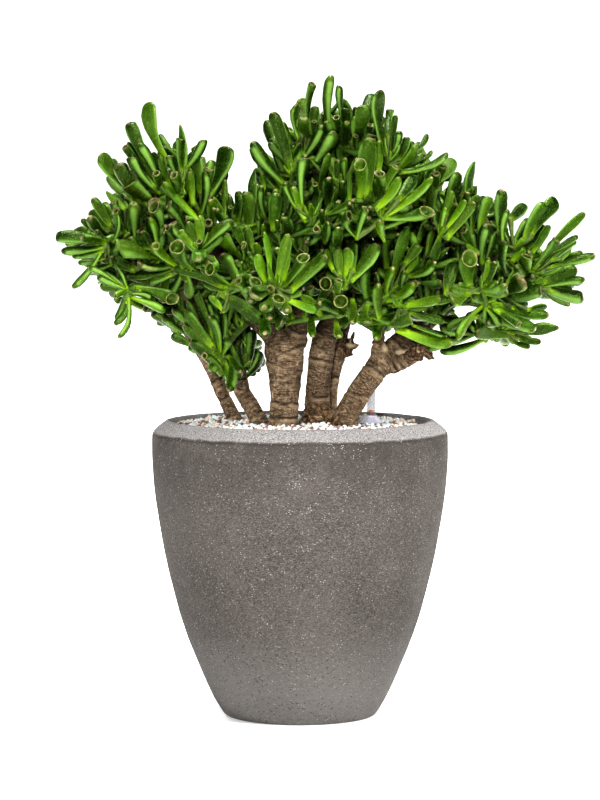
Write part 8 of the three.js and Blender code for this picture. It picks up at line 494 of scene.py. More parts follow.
    {"root": (39.7, -10, 687.7), "twigs": [[(40.6, -10, 698.7), (41.4, -10, 708.7), (42.2, -10, 718.6)], [(41.4, -10, 708.7), (55.7, -30, 705.4), (70, -50, 702.1)], [(70, -50, 702.1), (88.4, -42, 686.3), (106.8, -34, 678.6)]], "leaves": [
        (19, "F", "p", 36, -11, 726, 39.6, -15.2, 798.7, 15.1), (19, "B", "d", 53.3, -14.5, 743.2, 49.5, -18.5, 785, 11.3), (19, "F", "m", 28.6, -5.8, 728.6, 28.6, -1.1, 752.2, 7.6), (19, "T", "m", 47.1, -13.9, 728.4, 44.1, -60.1, 745.9, 10.1),
        (19, "R", "d", 55.8, -9, 728.5, 57.6, -52.1, 755.9, 13.8), (19, "F", "b", 53.3, -10.2, 713.7, 51.9, -27.4, 734.4, 6.3), (19, "B", "m", 55.9, -9.1, 705, 57.7, -50.1, 740, 11.3), (19, "F", "d", 65.8, -8.4, 736, 68.2, -11.1, 759.4, 6.3),
        (22, "S", "p", 63.9, -46.9, 714.4, 77.9, -79.8, 760, 20.1), (22, "F", "d", 76.1, -48.4, 740.1, 87.9, -14.8, 775.3, 16.4), (22, "F", "d", 83.5, -48.9, 708.2, 85.9, -53.2, 735.1, 11.3), (22, "T", "d", 68.8, -49.3, 703.3, 68.2, -79.1, 722.4, 7.6),
        (142, "f", "m", 107.9, -34.9, 680.6, 119.6, -44, 703.6, 7.5), (142, "f", "m", 106.8, -34.2, 681.1, 106.5, -36, 705.9, 8.3), (142, "c", "m", 107.5, -32.4, 676.4, 124.1, -20.5, 704.2, 11.9), (142, "b", "b", 105.5, -34.9, 676.3, 96, -56.6, 703.8, 10.5),
        (142, "f", "m", 104.2, -31.7, 672.3, 83.4, -18.6, 703.4, 11.4), (142, "f", "m", 103.9, -33.9, 667.2, 81.9, -72.1, 686.5, 11.6), (142, "p", "m", 106.3, -30, 667.1, 132.7, 8.3, 686.1, 9.8), (142, "t", "m", 102.4, -32.5, 657.8, 76.5, -68.3, 657.9, 11.2),
        (22, "f", "b", 71, -49.8, 704.4, 80.5, -47.5, 728.8, 6.3), (22, "r", "m", 70.8, -50.3, 699.8, 88.1, -66.7, 724.2, 12.8), (22, "s", "m", 70.3, -46.8, 695.8, 96.6, -22.3, 734, 20.7), (19, "f", "d", 42.7, -11.1, 720.8, 47.7, -22.5, 744.2, 7.2),
        (19, "t", "p", 43.9, -8.9, 715.9, 75.9, -6.1, 740, 8.4), (19, "r", "m", 40.5, -9.9, 716.5, 21.4, -21.8, 747.7, 14.6), (19, "f", "b", 41.2, -6.7, 712.4, 36.4, 21.8, 751.5, 13.2), (19, "f", "b", 43.3, -7.3, 707.5, 95.5, -5.7, 737.3, 10.5),
        (19, "p", "d", 40.6, -4.4, 703.7, 36.5, 45.9, 743.5, 12.5), (19, "f", "p", 42.8, -5, 697.9, 96.8, 8.2, 697.1, 10), (19, "p.", "m", 42.9, -8.4, 717, 57, 14.8, 753.1, 10.3), (19, "f.", "m", 42.9, -7.6, 716.2, 62, 37.5, 747.6, 12.7),
        (22, "b.", "p", 47.8, -14.8, 708.6, 81.2, -14.8, 719.4, 14.8), (22, "f.", "m", 60.5, -37.5, 704.3, 83, -82.3, 703, 14.3), (22, "f.", "b", 69.4, -49.1, 705.2, 67.8, -46.4, 747.2, 13.5), (19, "f.", "p", 44.1, -10.7, 716.6, 84.3, -23.6, 754.5, 11.2),
        (19, "t.", "b", 42.1, -8.2, 700.7, 58.4, 11.1, 724.7, 13.6), (22, "f.", "m", 40.7, -11.9, 710.9, 32, -36, 741.4, 14.1), (19, "f.", "d", 40.1, -8.9, 707.4, 29.8, 2.7, 738.8, 14.5), (19, "p.", "m", 39.3, -8.5, 706.6, 9.2, 18.1, 741.8, 10.8),
        (22, "f.", "d", 57.3, -28.6, 707.6, 85.8, -17.7, 739.5, 11.3), (19, "f.", "d", 42.2, -12, 716.3, 42, -24.3, 694.9, 13.5),
    ]},
    {"root": (84.5, 50, 666.8), "twigs": [[(86.6, 48.4, 676.8), (90.1, 45.8, 693.3), (93.6, 43.1, 709.7)], [(90.1, 45.8, 693.3), (65.4, 46.8, 691.6), (40.6, 47.8, 690)], [(90.1, 45.8, 693.3), (107.4, 71.8, 694.9), (124.6, 97.9, 696.5)], [(40.6, 47.8, 690), (22.1, 52.7, 711.3), (3.6, 57.6, 732.6)], [(107.4, 71.8, 694.9), (90.7, 88.3, 714.1), (74.1, 104.7, 733.4)], [(124.6, 97.9, 696.5), (104.5, 124.9, 696.4), (84.4, 151.9, 696.4)]], "leaves": [
        (99, "f", "d", 73.4, 105.9, 735.5, 66.3, 116.3, 756.8, 6.6), (99, "t", "p", 74.3, 105.2, 730.9, 80.8, 136.6, 755.5, 9.2), (99, "f", "b", 75.3, 102.2, 727.4, 103.2, 110.9, 761.2, 12.2), (99, "p", "m", 71.8, 102.3, 727.1, 40.8, 112, 754, 11.8),
        (99, "s", "m", 74.7, 102.3, 721.9, 103.6, 148.3, 729.1, 20.3), (99, "f", "d", 70.9, 98.5, 718.6, 19.6, 93.7, 743.4, 10.7), (99, "t", "d", 72.4, 94.9, 714.7, 60.9, 43.6, 738.4, 10.6), (99, "f", "d", 73.1, 99.5, 712.9, 75.7, 142.2, 701.2, 13.4),
        (136, "f", "m", 40.5, 48.2, 692.5, 39.5, 51.3, 714.5, 7.8), (136, "f", "b", 39.5, 48, 687.9, 25.4, 63.1, 716.8, 10.7), (136, "f", "d", 39, 45.1, 683.6, 15.5, 32.3, 714.3, 11.3), (136, "t", "b", 42, 47.4, 683.2, 71.6, 74.2, 710.8, 12.7),
        (136, "f", "d", 41.3, 43.3, 679.2, 60.5, 6.9, 713, 12.5), (136, "f", "m", 39.4, 47.2, 678.2, 20.9, 85.7, 689.4, 10.4), (136, "r", "m", 42.7, 45, 673.7, 85.8, 60.9, 680, 16.9), (136, "t", "m", 38.1, 43.2, 674.3, -0.8, 26.9, 691, 11.2),
        (136, "f", "m", 38.9, 45.1, 668.8, 17.1, 76.2, 662.1, 13.4), (136, "t", "m", 42, 41.5, 670.2, 75.5, 8.2, 688, 12.9), (59, "t", "m", 4, 58, 735.1, 8.1, 61.8, 758.1, 8.3), (59, "f", "m", 2.9, 58, 735, -3.5, 61.7, 760.4, 6.9),
        (59, "f", "m", 5.9, 56.6, 725.7, 39.7, 70.9, 749.5, 13), (59, "f", "d", 4.7, 52.8, 721.6, 16.7, 14.3, 747.4, 11), (59, "r", "b", 3.2, 57.2, 720.8, -17.6, 111.7, 734.2, 14.3), (59, "c", "m", 3.7, 55.5, 711.7, -11.7, 109.7, 705.4, 19.4),
        (83, "s", "p", 84.8, 153.9, 697.9, 89.5, 174.3, 715.8, 9.5), (83, "f", "d", 84.3, 152.4, 698.8, 83.5, 156.5, 719.6, 7.7), (83, "f", "p", 83.1, 151.2, 694.5, 71, 169.5, 715.8, 9.6), (83, "f", "m", 85.5, 149.9, 694.9, 102.5, 153, 720.4, 10.1),
        (83, "f", "p", 84.8, 149.6, 689.8, 100.2, 185.5, 700.1, 10.9), (83, "f", "m", 85.5, 144.6, 687.2, 122.8, 133.9, 716.4, 11.1), (83, "p", "m", 81.7, 146.8, 685.6, 50, 176.1, 684.7, 9.5), (83, "f", "m", 84.5, 144.9, 681.6, 109.7, 184.3, 673.6, 11),
        (83, "s", "m", 80.9, 142.1, 678.1, 43.6, 169.4, 670.6, 17.4), (83, "s", "p", 85.3, 140.2, 679.3, 136, 130.6, 695.6, 15.4), (52, "t", "p", 94.5, 43.9, 711.9, 103.9, 51.9, 736.2, 7), (52, "f", "p", 93.2, 43.3, 712.2, 89.7, 44.4, 737.1, 6.5),
        (52, "t", "m", 92.6, 43.3, 707.8, 84.1, 57, 741.2, 10.2), (52, "f", "m", 94.1, 41.6, 707.8, 107.1, 31, 740.3, 9.4), (52, "b", "p", 91.6, 40.6, 703.4, 71.7, 24.3, 737.4, 13.4), (52, "f", "b", 94.9, 42.8, 702.3, 128.7, 61, 716.6, 13),
        (52, "f", "d", 93.8, 39.2, 698.5, 120.2, 8.8, 720.9, 10), (52, "p", "d", 89.8, 39.1, 694, 43.2, 18.3, 714.5, 9.5), (52, "t", "b", 89.9, 41.2, 689.2, 56.1, 77.8, 694.9, 11.4), (52, "f", "b", 92.5, 37.2, 690, 109.1, -1.7, 709.9, 11.7),
        (58, "f", "b", 125.8, 99.1, 698.4, 134.2, 107.6, 714.7, 6.3), (58, "f", "d", 124.4, 98.7, 698.9, 122.6, 105.3, 719.8, 6.8), (58, "b", "d", 123.8, 98.3, 694.1, 121.1, 126.4, 716.1, 10.5), (58, "f", "b", 122.2, 94.3, 691, 100.2, 89, 731.8, 13),
        (58, "r", "b", 125.3, 96, 689.9, 151.7, 116.6, 707.3, 14), (58, "p", "p", 124.5, 92.5, 681, 165.3, 114.5, 680.9, 10.1), (58, "t", "d", 120.1, 90.7, 682.3, 80.7, 78.7, 706.2, 10.2), (58, "b", "b", 121.3, 92, 676.4, 114.7, 129.6, 665.6, 13.4),
        (58, "b", "d", 122.8, 87.5, 678.1, 140.7, 52.2, 695, 11.6), (99, "f.", "m", 89.2, 87.6, 716.6, 69.9, 78.2, 751.3, 14.2), (83, "f.", "d", 87.9, 150.7, 698.4, 108.1, 177, 732.6, 12.4), (83, "f.", "d", 88.6, 144.5, 698.9, 63.5, 150.6, 741.9, 11.3),
        (99, "f.", "m", 90.6, 88.1, 716.9, 86.6, 87.7, 759.7, 11.7), (99, "f.", "m", 75.1, 106.4, 735.4, 84.7, 127.7, 764.8, 11.8), (99, "f.", "m", 75.2, 100.7, 731.1, 39, 90.6, 760.4, 12), (99, "f.", "m", 77.3, 104.2, 730, 73.3, 156.2, 744, 11.8),
        (83, "f.", "b", 105, 126.3, 699.1, 113.5, 149.9, 746.4, 11), (99, "f.", "d", 79.2, 98.1, 728.1, 54.1, 98.6, 770.3, 12.7), (59, "f.", "d", 13.1, 56.7, 722.1, -9.5, 92.5, 759.9, 11.7), (59, "p.", "d", 8.8, 56.3, 731.2, 50.5, 47.8, 771.7, 11.4),
        (83, "f.", "d", 99.1, 136.5, 697.8, 128.7, 169, 723.7, 13.6), (99, "f.", "d", 104.4, 74.9, 701.7, 109.4, 72.7, 747.8, 13.5), (83, "f.", "d", 95.4, 141.5, 697.7, 127.6, 182.3, 725, 11.4), (83, "f.", "d", 87, 149, 699.4, 92.4, 149, 739.6, 10.8),
        (99, "f.", "p", 88, 90.1, 720.5, 98.2, 63.3, 772.2, 11.6), (59, "t.", "d", 6.3, 55.8, 732, 2.8, 43.5, 769.8, 10.4), (59, "f.", "d", 24, 51.2, 710.5, 1.4, 36.8, 764.9, 11.3), (99, "f.", "m", 73.1, 102.4, 734.8, 51.2, 60.1, 769.5, 14.4),
        (83, "f.", "m", 110.1, 118.5, 699.1, 107.2, 143.6, 750.6, 13.6), (99, "f.", "d", 72.7, 106.9, 734.2, 44.4, 147.6, 754.5, 13.7), (59, "t.", "m", 7.5, 56.1, 725.2, -35.7, 61.8, 735.7, 11.2), (83, "f.", "m", 106.6, 127, 697.2, 145.8, 166.3, 714.1, 13),
        (99, "t.", "d", 85.1, 95.3, 724.6, 98.8, 102.2, 768.7, 11.2), (99, "b.", "p", 78.6, 101.3, 732.2, 91.5, 101.3, 770.4, 11.6), (136, "r.", "m", 73.3, 47.6, 694.6, 92.7, 67, 740.8, 12.6), (52, "b.", "m", 88.5, 47, 678.7, 118.6, 24.4, 710.7, 14.6),
        (99, "f.", "m", 72.5, 107, 732.9, 47, 143.1, 731.4, 13.1), (99, "f.", "m", 95.4, 81, 708.4, 67.6, 73.3, 738.2, 14.3), (83, "f.", "m", 112.5, 113, 699.1, 94.6, 121.7, 735.7, 12.5), (59, "f.", "b", 22.2, 50.5, 713.4, 24.1, 14.6, 751.4, 11.4),
        (58, "f.", "d", 107, 74.7, 695.6, 103, 107.6, 706.9, 14.3), (52, "f.", "m", 92.4, 47.5, 694.1, 125.6, 72.4, 708.7, 12.4), (59, "f.", "m", 37.4, 50.4, 696.9, 48.7, 77.7, 742.7, 14.2), (136, "c.", "m", 64.6, 46, 694.4, 52.2, 33.5, 740.6, 15.7),
        (136, "s.", "p", 51.5, 46.2, 692.9, 30, 34.1, 718.8, 16.6), (59, "f.", "d", 41.5, 50, 691.9, 56.9, 90.5, 730.2, 11.6), (58, "f.", "d", 103.2, 65.5, 697.5, 100.4, 61.7, 751.5, 11.9), (58, "f.", "p", 95.1, 53.2, 693.2, 119.1, 87.5, 690.3, 13.7),
        (59, "f.", "b", 32.3, 52.6, 700, 24.5, 85.9, 716.1, 11.3), (83, "f.", "m", 102.2, 125.6, 698.2, 65.6, 135.6, 729.6, 12.4), (83, "f.", "d", 88, 143.9, 698.5, 56.9, 140.5, 731.7, 11.2), (59, "f.", "m", 17.6, 56.2, 717.3, 10.1, 85.2, 737.2, 11.2),
        (59, "b.", "d", 23.1, 54.8, 713.2, 39.6, 91.3, 748, 14.9), (136, "f.", "m", 90.5, 48.4, 694.7, 94.3, 76.8, 713.9, 11.4), (99, "f.", "d", 89.2, 93.3, 719.6, 117.1, 120.1, 749.1, 14), (52, "f.", "m", 90.4, 48.8, 683.5, 123.8, 66.6, 698.4, 12.9),
        (99, "f.", "m", 74.7, 102, 728.9, 32.1, 112.7, 724.3, 14.1), (58, "b.", "d", 102.1, 68.1, 695.9, 77.8, 111.7, 725.9, 14.2), (58, "f.", "d", 103.1, 68.2, 692.8, 99.4, 106, 670.5, 11.8), (83, "b.", "b", 89, 146.9, 696.7, 72, 187.5, 703.8, 12.9),
        (83, "f.", "d", 98.1, 130.6, 696, 52.7, 145.4, 691.5, 13.6), (99, "f.", "m", 87.5, 93.9, 719.8, 88.2, 127.8, 750.1, 14.3), (59, "f.", "m", 12.1, 54.3, 726.8, 31.9, 36.2, 755.3, 11.7), (59, "f.", "m", 33.8, 48.2, 694.5, -6.5, 38.8, 698.8, 13.6),
        (59, "f.", "p", 15.6, 52.4, 716.4, -21, 34.3, 727.2, 10.9), (58, "f.", "m", 120.3, 94, 698.2, 114.3, 131.1, 737.4, 11.4), (136, "f.", "m", 44.7, 48.7, 690.2, -6.7, 70, 689.4, 13.4), (136, "f.", "d", 58.3, 45.1, 693.3, 45.9, 22.6, 720.5, 11.1),
        (83, "f.", "p", 104.2, 121.1, 697.9, 77.2, 111.4, 717, 11.4), (83, "f.", "d", 122.3, 98.2, 698.3, 93.4, 102, 724, 11.1), (136, "p.", "d", 88.8, 43.6, 694.9, 73.9, 18.6, 717, 10.3), (59, "f.", "m", 9.5, 53.4, 726.2, -8.7, 10.1, 757.1, 14.2),
        (136, "f.", "d", 88.6, 44.9, 695.8, 70.7, 34.6, 728.9, 13.5), (52, "f.", "m", 90.5, 44.5, 701.9, 76.7, 39.9, 750.9, 12.9), (58, "f.", "d", 110, 72.6, 696, 152.5, 85.1, 716.5, 12.1), (83, "p.", "b", 88.8, 150.7, 697.3, 122.5, 177.6, 714.6, 10.9),
        (136, "b.", "b", 52.6, 44.7, 692.1, 42.6, 14, 710.3, 12), (136, "f.", "m", 40.4, 50.6, 689.9, 23.8, 96.7, 691.1, 11), (59, "s.", "d", 19.2, 53.3, 711.8, -31, 63.5, 722.4, 20.4), (58, "f.", "m", 95.9, 58.6, 693.7, 85.3, 93.3, 693.7, 10.9),
        (58, "f.", "m", 119, 94.2, 695.3, 101.7, 120.3, 689.8, 13.8), (136, "b.", "m", 49.1, 48.1, 692.9, 70.4, 55.4, 726.3, 14.5),
    ]},
    {"root": (102.6, -46.6, 495.2), "twigs": [[(98.9, -51.1, 491.8), (95.6, -55.5, 488.4), (92.2, -60, 485)], [(92.2, -60, 485), (73.9, -90, 496.6), (55.7, -120, 508.3)], [(55.7, -120, 508.3), (21.7, -110, 502.4), (-12.2, -100, 496.5)], [(73.9, -90, 496.6), (92.3, -95, 514.2), (110.6, -100, 531.8)], [(110.6, -100, 531.8), (115.9, -107.5, 523.6), (121.1, -115, 515.4)]], "leaves": [
        (32, "F", "p", 14.6, -99.6, 507.5, 15.7, -139.5, 480.1, 10.1), (32, "F", "m", -46.2, -97.5, 512.3, -42.2, -137.2, 484.9, 15.1), (32, "S", "d", -34.1, -96, 513.4, -22.8, -151.8, 497.5, 18.9), (32, "F", "p", -38.9, -103.7, 523.4, -36, -148.2, 503.4, 12.6),
        (35, "R", "p", 55.7, -117.8, 505.8, 49, -166.7, 523.3, 16.4), (35, "F", "p", 62.9, -120.6, 525.2, 62.3, -160.4, 497.9, 11.3), (35, "S", "p", 82.2, -121.2, 520.4, 79.9, -176.2, 499.8, 17.6), (35, "R", "d", 21.8, -120.8, 521.6, 29.9, -166.8, 544.8, 16.4),
        (35, "F", "b", 43.5, -124.7, 497.6, 46.6, -171.3, 482.8, 10.1), (36, "F", "m", 111.9, -96.6, 547.5, 131.3, -96, 611.9, 13.8), (36, "F", "b", 104.5, -101.1, 531.9, 111.9, -139, 563.2, 11.3), (36, "F", "d", 124, -99.5, 536.7, 126.7, -127.2, 559.3, 8.8),
        (36, "F", "b", 104.6, -97.8, 522, 136.4, -126.6, 544.8, 13.8), (36, "F", "p", 97.3, -101.2, 499, 95.5, -122.3, 543.4, 13.8), (36, "F", "b", 119.2, -96.7, 547.5, 142.5, -90.8, 577.8, 11.3), (36, "F", "m", 131.2, -101.1, 551.3, 162.6, -132.6, 570.2, 12.6),
        (36, "B", "m", 126.3, -103.6, 565.9, 144.5, -100, 590.1, 12.6), (36, "T", "d", 95, -95.1, 537.7, 93.2, -115, 556.5, 5), (36, "F", "m", 111.8, -103.5, 516.1, 141, -100.5, 528.2, 11.3), (38, "F", "b", 121.1, -115, 515.4, 170.4, -123, 525.3, 11.3),
        (38, "F", "m", 121.1, -115, 515.4, 184.2, -114, 525, 11.3), (38, "P", "b", 121.1, -115, 515.4, 111.9, -139, 525.9, 6.3), (38, "R", "p", 110.3, -115.5, 492.3, 132.9, -159.9, 503.9, 15.1), (38, "F", "b", 116.4, -112.5, 488.6, 184.2, -116.8, 471.8, 16.4),
        (38, "F", "d", 131, -110.9, 509.1, 174.5, -114.8, 497.2, 10.1), (38, "F", "d", 135.8, -112.3, 493.4, 178, -118.4, 480.3, 7.6), (38, "P", "b", 121.1, -115, 515.4, 124.7, -115.4, 526.3, 5), (39, "F", "m", 93.4, -64.7, 477.8, 85.9, -67.3, 502.5, 10.1),
        (39, "F", "d", 95.9, -61.9, 477.7, 103.3, -58.8, 499.7, 11.3), (39, "F", "b", 87.3, -60.4, 497.3, 92.4, -103.9, 476, 11.3), (36, "t", "m", 111.3, -98.2, 530, 139.7, -113.6, 543.7, 9), (36, "f", "m", 104.6, -92.2, 525.2, 69.6, -112.2, 551.5, 10),
        (36, "f", "b", 106.1, -85.1, 518.3, 158.5, -83.9, 515, 11.7), (36, "f", "d", 101.5, -85.5, 520, 57.9, -91.2, 551.1, 11.5), (32, "f", "m", -12.4, -88.2, 496, -64.5, -100.5, 500.3, 12.3), (32, "t", "d", -10.8, -79.1, 496.2, -64.8, -73.8, 519.8, 12.5),
        (39, "p", "m", 93, -62, 486.2, 100, -79.3, 498.4, 6.8), (35, "t", "d", 54.9, -117.7, 509.1, 43.1, -150.9, 537.7, 11.1), (35, "b.", "m", 71.8, -91.6, 498, 31.6, -120.2, 526, 12), (36, "b.", "m", 86.3, -95.2, 511.3, 79.1, -126.9, 560.6, 15.4),
        (32, "f.", "d", 53.2, -118.3, 508.4, 9.8, -88.5, 514.2, 10.8), (36, "t.", "m", 79.9, -90.9, 503.1, 113.4, -85.7, 552.4, 11.4), (36, "t.", "m", 94.6, -96.2, 520.6, 65.3, -96.4, 557.3, 10.6), (36, "p.", "d", 85.2, -91, 504.9, 130.8, -69.8, 509.7, 10.5),
        (36, "f.", "m", 103.6, -96.4, 522.9, 143.1, -84, 533.5, 12.1), (32, "f.", "d", 47.2, -117.3, 507.9, 6.7, -102.4, 519, 13.2), (36, "f.", "m", 85, -93.7, 504.1, 131.8, -119.3, 495, 11.6), (35, "f.", "d", 82.3, -79.8, 494.8, 108, -84.5, 529.4, 11.7),
        (32, "t.", "d", 5.2, -106.6, 501.9, 11.7, -129.3, 539.2, 12.2), (35, "p.", "d", 82.9, -80.8, 493.4, 129.7, -105, 512.1, 10.6), (35, "f.", "m", 88.2, -70.2, 491, 125.3, -79.4, 536.5, 11.9), (36, "f.", "d", 76.7, -90.3, 497.8, 108.1, -93.5, 513.6, 11.8),
        (32, "p.", "b", 25.5, -113.5, 504.9, -0.7, -140.5, 530.7, 13), (35, "f.", "m", 72, -90.9, 498.7, 47, -102.9, 529.1, 13), (39, "p.", "b", 94.8, -56, 491.3, 85.9, -61.9, 529.1, 11.1), (32, "f.", "d", -8.4, -101.6, 499.9, -33.9, -101.8, 538.4, 12.8),
        (35, "f.", "m", 53.9, -122.6, 507.4, 43.8, -137.4, 510, 14.4), (36, "f.", "d", 107.8, -101.1, 531.5, 79.8, -111.8, 520.5, 12.1), (35, "f.", "d", 48.1, -131.3, 508.6, 23.2, -168.7, 521.8, 14),
    ]},
    {"root": (43.1, -23.2, 627), "twigs": [[(52.6, -20, 627), (75.3, -15.7, 625.4), (72.6, -3.7, 647.2)], [(75.3, -15.7, 625.4), (78.5, -28.7, 615.6), (81.7, -41.7, 605.7)]], "leaves": [
        (126, "f", "m", 72.7, -4.1, 649.7, 73.8, -9.5, 679.3, 6.2), (126, "f", "d", 73.3, -3.1, 649.6, 80.5, 3.2, 678.1, 7.2), (126, "s", "m", 73.3, -4.1, 645.2, 94.8, -15.2, 689.6, 16.6), (126, "b", "m", 71.1, -2.9, 645.2, 54.4, 7.2, 677.6, 13.6),
        (126, "t", "m", 72.7, -1.7, 640.4, 92, 37.1, 675.7, 12.2), (126, "b", "d", 71.4, -5.2, 640.6, 63.2, -39.5, 677.5, 13.5), (126, "f", "b", 69.4, -2.8, 636.1, 29, 7.9, 667.1, 10.1), (126, "f", "m", 69.9, -5.5, 630.8, 46.1, -57.7, 642.1, 10.7),
        (126, "c", "p", 72.5, -1.4, 631.3, 112.8, 47.1, 656.2, 14), (126, "f", "b", 72.7, -4.3, 626.1, 126.7, -32.3, 626.1, 9.8), (126, "r", "p", 68.8, -1.4, 626.2, 30.3, 36.9, 627.8, 13.9), (114, "f", "d", 82.1, -42.8, 607.9, 85.9, -53.6, 631.5, 7.8),
        (114, "f", "b", 82.6, -40.9, 603.7, 108.7, -52, 635.5, 11.3), (114, "f", "m", 80.1, -41.4, 603.9, 65.9, -59.1, 637.4, 9), (114, "t", "d", 80.3, -37.9, 600.3, 80.5, -23.5, 641.4, 12.1), (114, "f", "p", 80.8, -41.2, 598.5, 91.5, -92.3, 612.4, 13.5),
        (114, "r", "m", 79.3, -38.3, 589.8, 86.6, -96.3, 585.9, 15.2), (114, "c", "m", 80.6, -33.4, 586.7, 124.9, -16.1, 597.9, 17.7), (114, "f.", "m", 82.8, -40.3, 608, 120.8, -82.6, 602.5, 13.1), (126, "f.", "m", 67, -16.4, 626, 101.5, 0.4, 627.6, 11.8),
        (114, "f.", "d", 79.3, -35.6, 614, 73.6, -66.7, 644.8, 12.6), (114, "f.", "d", 80.5, -34.7, 609.4, 89.4, -48.6, 584.4, 12), (114, "f.", "p", 78.2, -39.7, 608.2, 47.3, -58.6, 608.1, 14.4), (126, "f.", "d", 72.9, -17.6, 624.7, 119.6, -34.1, 610, 11.9),
        (114, "f.", "m", 79.1, -40.2, 607.1, 58.2, -66.2, 593.9, 11.9), (114, "f.", "m", 80.5, -29.7, 617.6, 101.9, -40.2, 643.2, 11.3), (114, "f.", "m", 74.1, -22.1, 621.4, 44.8, -42.6, 619.3, 12.9), (126, "f.", "b", 77, -12.5, 632.5, 106.5, -7.9, 659.5, 12),
        (114, "f.", "m", 79.7, -38.5, 611.2, 65, -43.2, 650.9, 13.3), (114, "f.", "b", 80.5, -37.6, 611.4, 75.3, -29.4, 662.9, 12.9), (126, "s.", "d", 66.6, -16.2, 625, 108.9, 12.1, 607.2, 20.1), (114, "f.", "m", 80, -26.8, 617.7, 119.3, -54.5, 611.1, 14.4),
        (114, "f.", "d", 80.8, -28.3, 617.5, 106.2, -23.9, 642.8, 13.7), (126, "f.", "b", 75.5, -6.8, 643.2, 112.3, -3.2, 682, 12.1), (114, "f.", "b", 78.4, -39.4, 609.7, 41.6, -59.7, 632.4, 12.6), (126, "f.", "m", 74.1, -2.6, 648.5, 90.5, 16.5, 678.3, 13.9),
    ]},
    {"root": (41.1, -10.3, 517.3), "twigs": [[(49.5, 1.2, 522.1), (56.8, 13.7, 529.9), (60.5, 9.9, 531.1)], [(60.5, 9.9, 531.1), (86.9, 21.3, 526.8), (113.3, 32.8, 522.4)]], "leaves": [
        (104, "p", "d", 62.2, 11.1, 532.4, 79.2, 23.6, 546.1, 6.2), (104, "f", "d", 60.3, 7.7, 529.5, 91, 2.5, 554.6, 9.5), (104, "f", "d", 56.3, 5.7, 527.4, 57, -2.6, 579.2, 10.1), (104, "t", "m", 57.9, 8, 525, 84.5, 38.1, 528.8, 11.7),
        (104, "f", "p", 56.5, 3.6, 522.2, 105.9, -9.8, 531.8, 12), (104, "f", "m", 53.3, 6.5, 522.5, 38.1, 49.2, 536.5, 13.7), (104, "f", "m", 51.5, -1.4, 515.4, 82.1, -36.3, 516.7, 10.6), (101, "f", "m", 115.1, 34.6, 522.4, 131.2, 50.5, 524.7, 8.4),
        (101, "t", "d", 114.5, 34.3, 524, 124.2, 46.4, 540, 7.3), (101, "p", "p", 112.8, 30.7, 521.8, 140.9, 40.7, 537, 9.7), (101, "p", "b", 108.2, 27.8, 521.7, 111.1, 38.6, 563.9, 11.2), (101, "b", "m", 110, 28.1, 518.1, 146.9, 45.9, 498.6, 14.2),
        (101, "f", "d", 104.5, 26.6, 517.8, 90.6, 68.6, 522.1, 12.8), (101, "f", "d", 104, 22, 514.2, 128.6, 32.8, 483.3, 13.3), (101, "r", "d", 102.2, 21.1, 518.6, 92.2, 14, 571.2, 14.8), (101, "s", "b", 101.7, 16.8, 515.1, 134.7, -18.7, 530.9, 16.4),
        (101, "b.", "d", 103.2, 29.7, 521.3, 103.3, 52.6, 474, 13.4), (101, "f.", "b", 108.6, 33.7, 523.8, 107.7, 68.7, 534.7, 11.7), (101, "b.", "d", 105.5, 27.5, 525.8, 142.2, 13.2, 556, 14.5), (104, "f.", "d", 52.3, 2.4, 522.2, 105, 25.9, 526.7, 12.9),
        (104, "s.", "b", 52.4, 6.2, 527.9, 55.8, 14.6, 587.5, 18.3), (101, "f.", "m", 87.5, 22.7, 529.4, 97.6, 44.9, 574.5, 11.2), (101, "f.", "d", 92.8, 26.1, 524.1, 101.4, 71.9, 493.6, 11), (101, "f.", "b", 94, 24.1, 528.3, 124.1, 31.4, 577.1, 10.7),
        (101, "f.", "d", 99.5, 24.9, 522.8, 120.7, 10.6, 499.4, 12), (101, "f.", "d", 77, 19.9, 528.6, 80.4, 76, 535, 11.3), (101, "p.", "d", 82.2, 22, 526.1, 81.9, 54.6, 511.3, 10.5), (101, "f.", "d", 105.2, 26.6, 525.3, 144.1, -8.4, 553.2, 12),
        (101, "f.", "p", 82.5, 19.4, 530.5, 85.9, 20.3, 567.1, 14), (101, "f.", "d", 99.9, 27.8, 523.8, 137.3, 58, 506.6, 13.5), (101, "f.", "m", 67.2, 12.4, 527.5, 83.5, 14, 497.8, 12.6), (104, "f.", "p", 53.8, 4.7, 527.3, 75.2, -9.7, 562.2, 10.9),
        (101, "t.", "d", 100.7, 25.9, 525.4, 156.8, 23.6, 537, 12.2), (104, "t.", "d", 55.3, 12.5, 532.2, 27.7, -9.1, 577.2, 11.1),
    ]},
    {"root": (110.9, -40, 674), "twigs": [[(110.1, -49.5, 676.7), (108.6, -69.8, 682.5), (107, -90, 688.3)]], "leaves": [
        (21, "S", "d", 102.2, -85.9, 700.5, 98.5, -81.6, 778.1, 21.4), (21, "F", "d", 110.7, -86.2, 702.9, 116.7, -85.9, 747.7, 8.8), (21, "T", "d", 107, -85.8, 721.1, 110.5, -49.3, 754.7, 10.1), (21, "F", "d", 114.1, -94.5, 702.8, 119.9, -101.1, 728.1, 11.3),
        (21, "P", "b", 105.6, -94.8, 697.9, 102.8, -108.1, 720.7, 6.3), (21, "B", "d", 120.3, -92.5, 693.1, 129.8, -96, 720.9, 10.1), (21, "F", "m", 123.9, -93.1, 689.5, 136, -92.2, 716.1, 8.8), (21, "F", "b", 119, -94.6, 682.2, 139.5, -129.5, 708.4, 10.1),
        (21, "F", "d", 138.6, -89.1, 704.1, 155.3, -65.2, 725.1, 7.6), (21, "S", "m", 119.1, -93.3, 677.4, 179.8, -90.8, 701.6, 20.1), (21, "F", "m", 109.3, -94.8, 693.1, 118.8, -97.4, 714.8, 7.6), (21, "F", "d", 102.2, -85.6, 690.8, 91.3, -85.1, 710.2, 8.8),
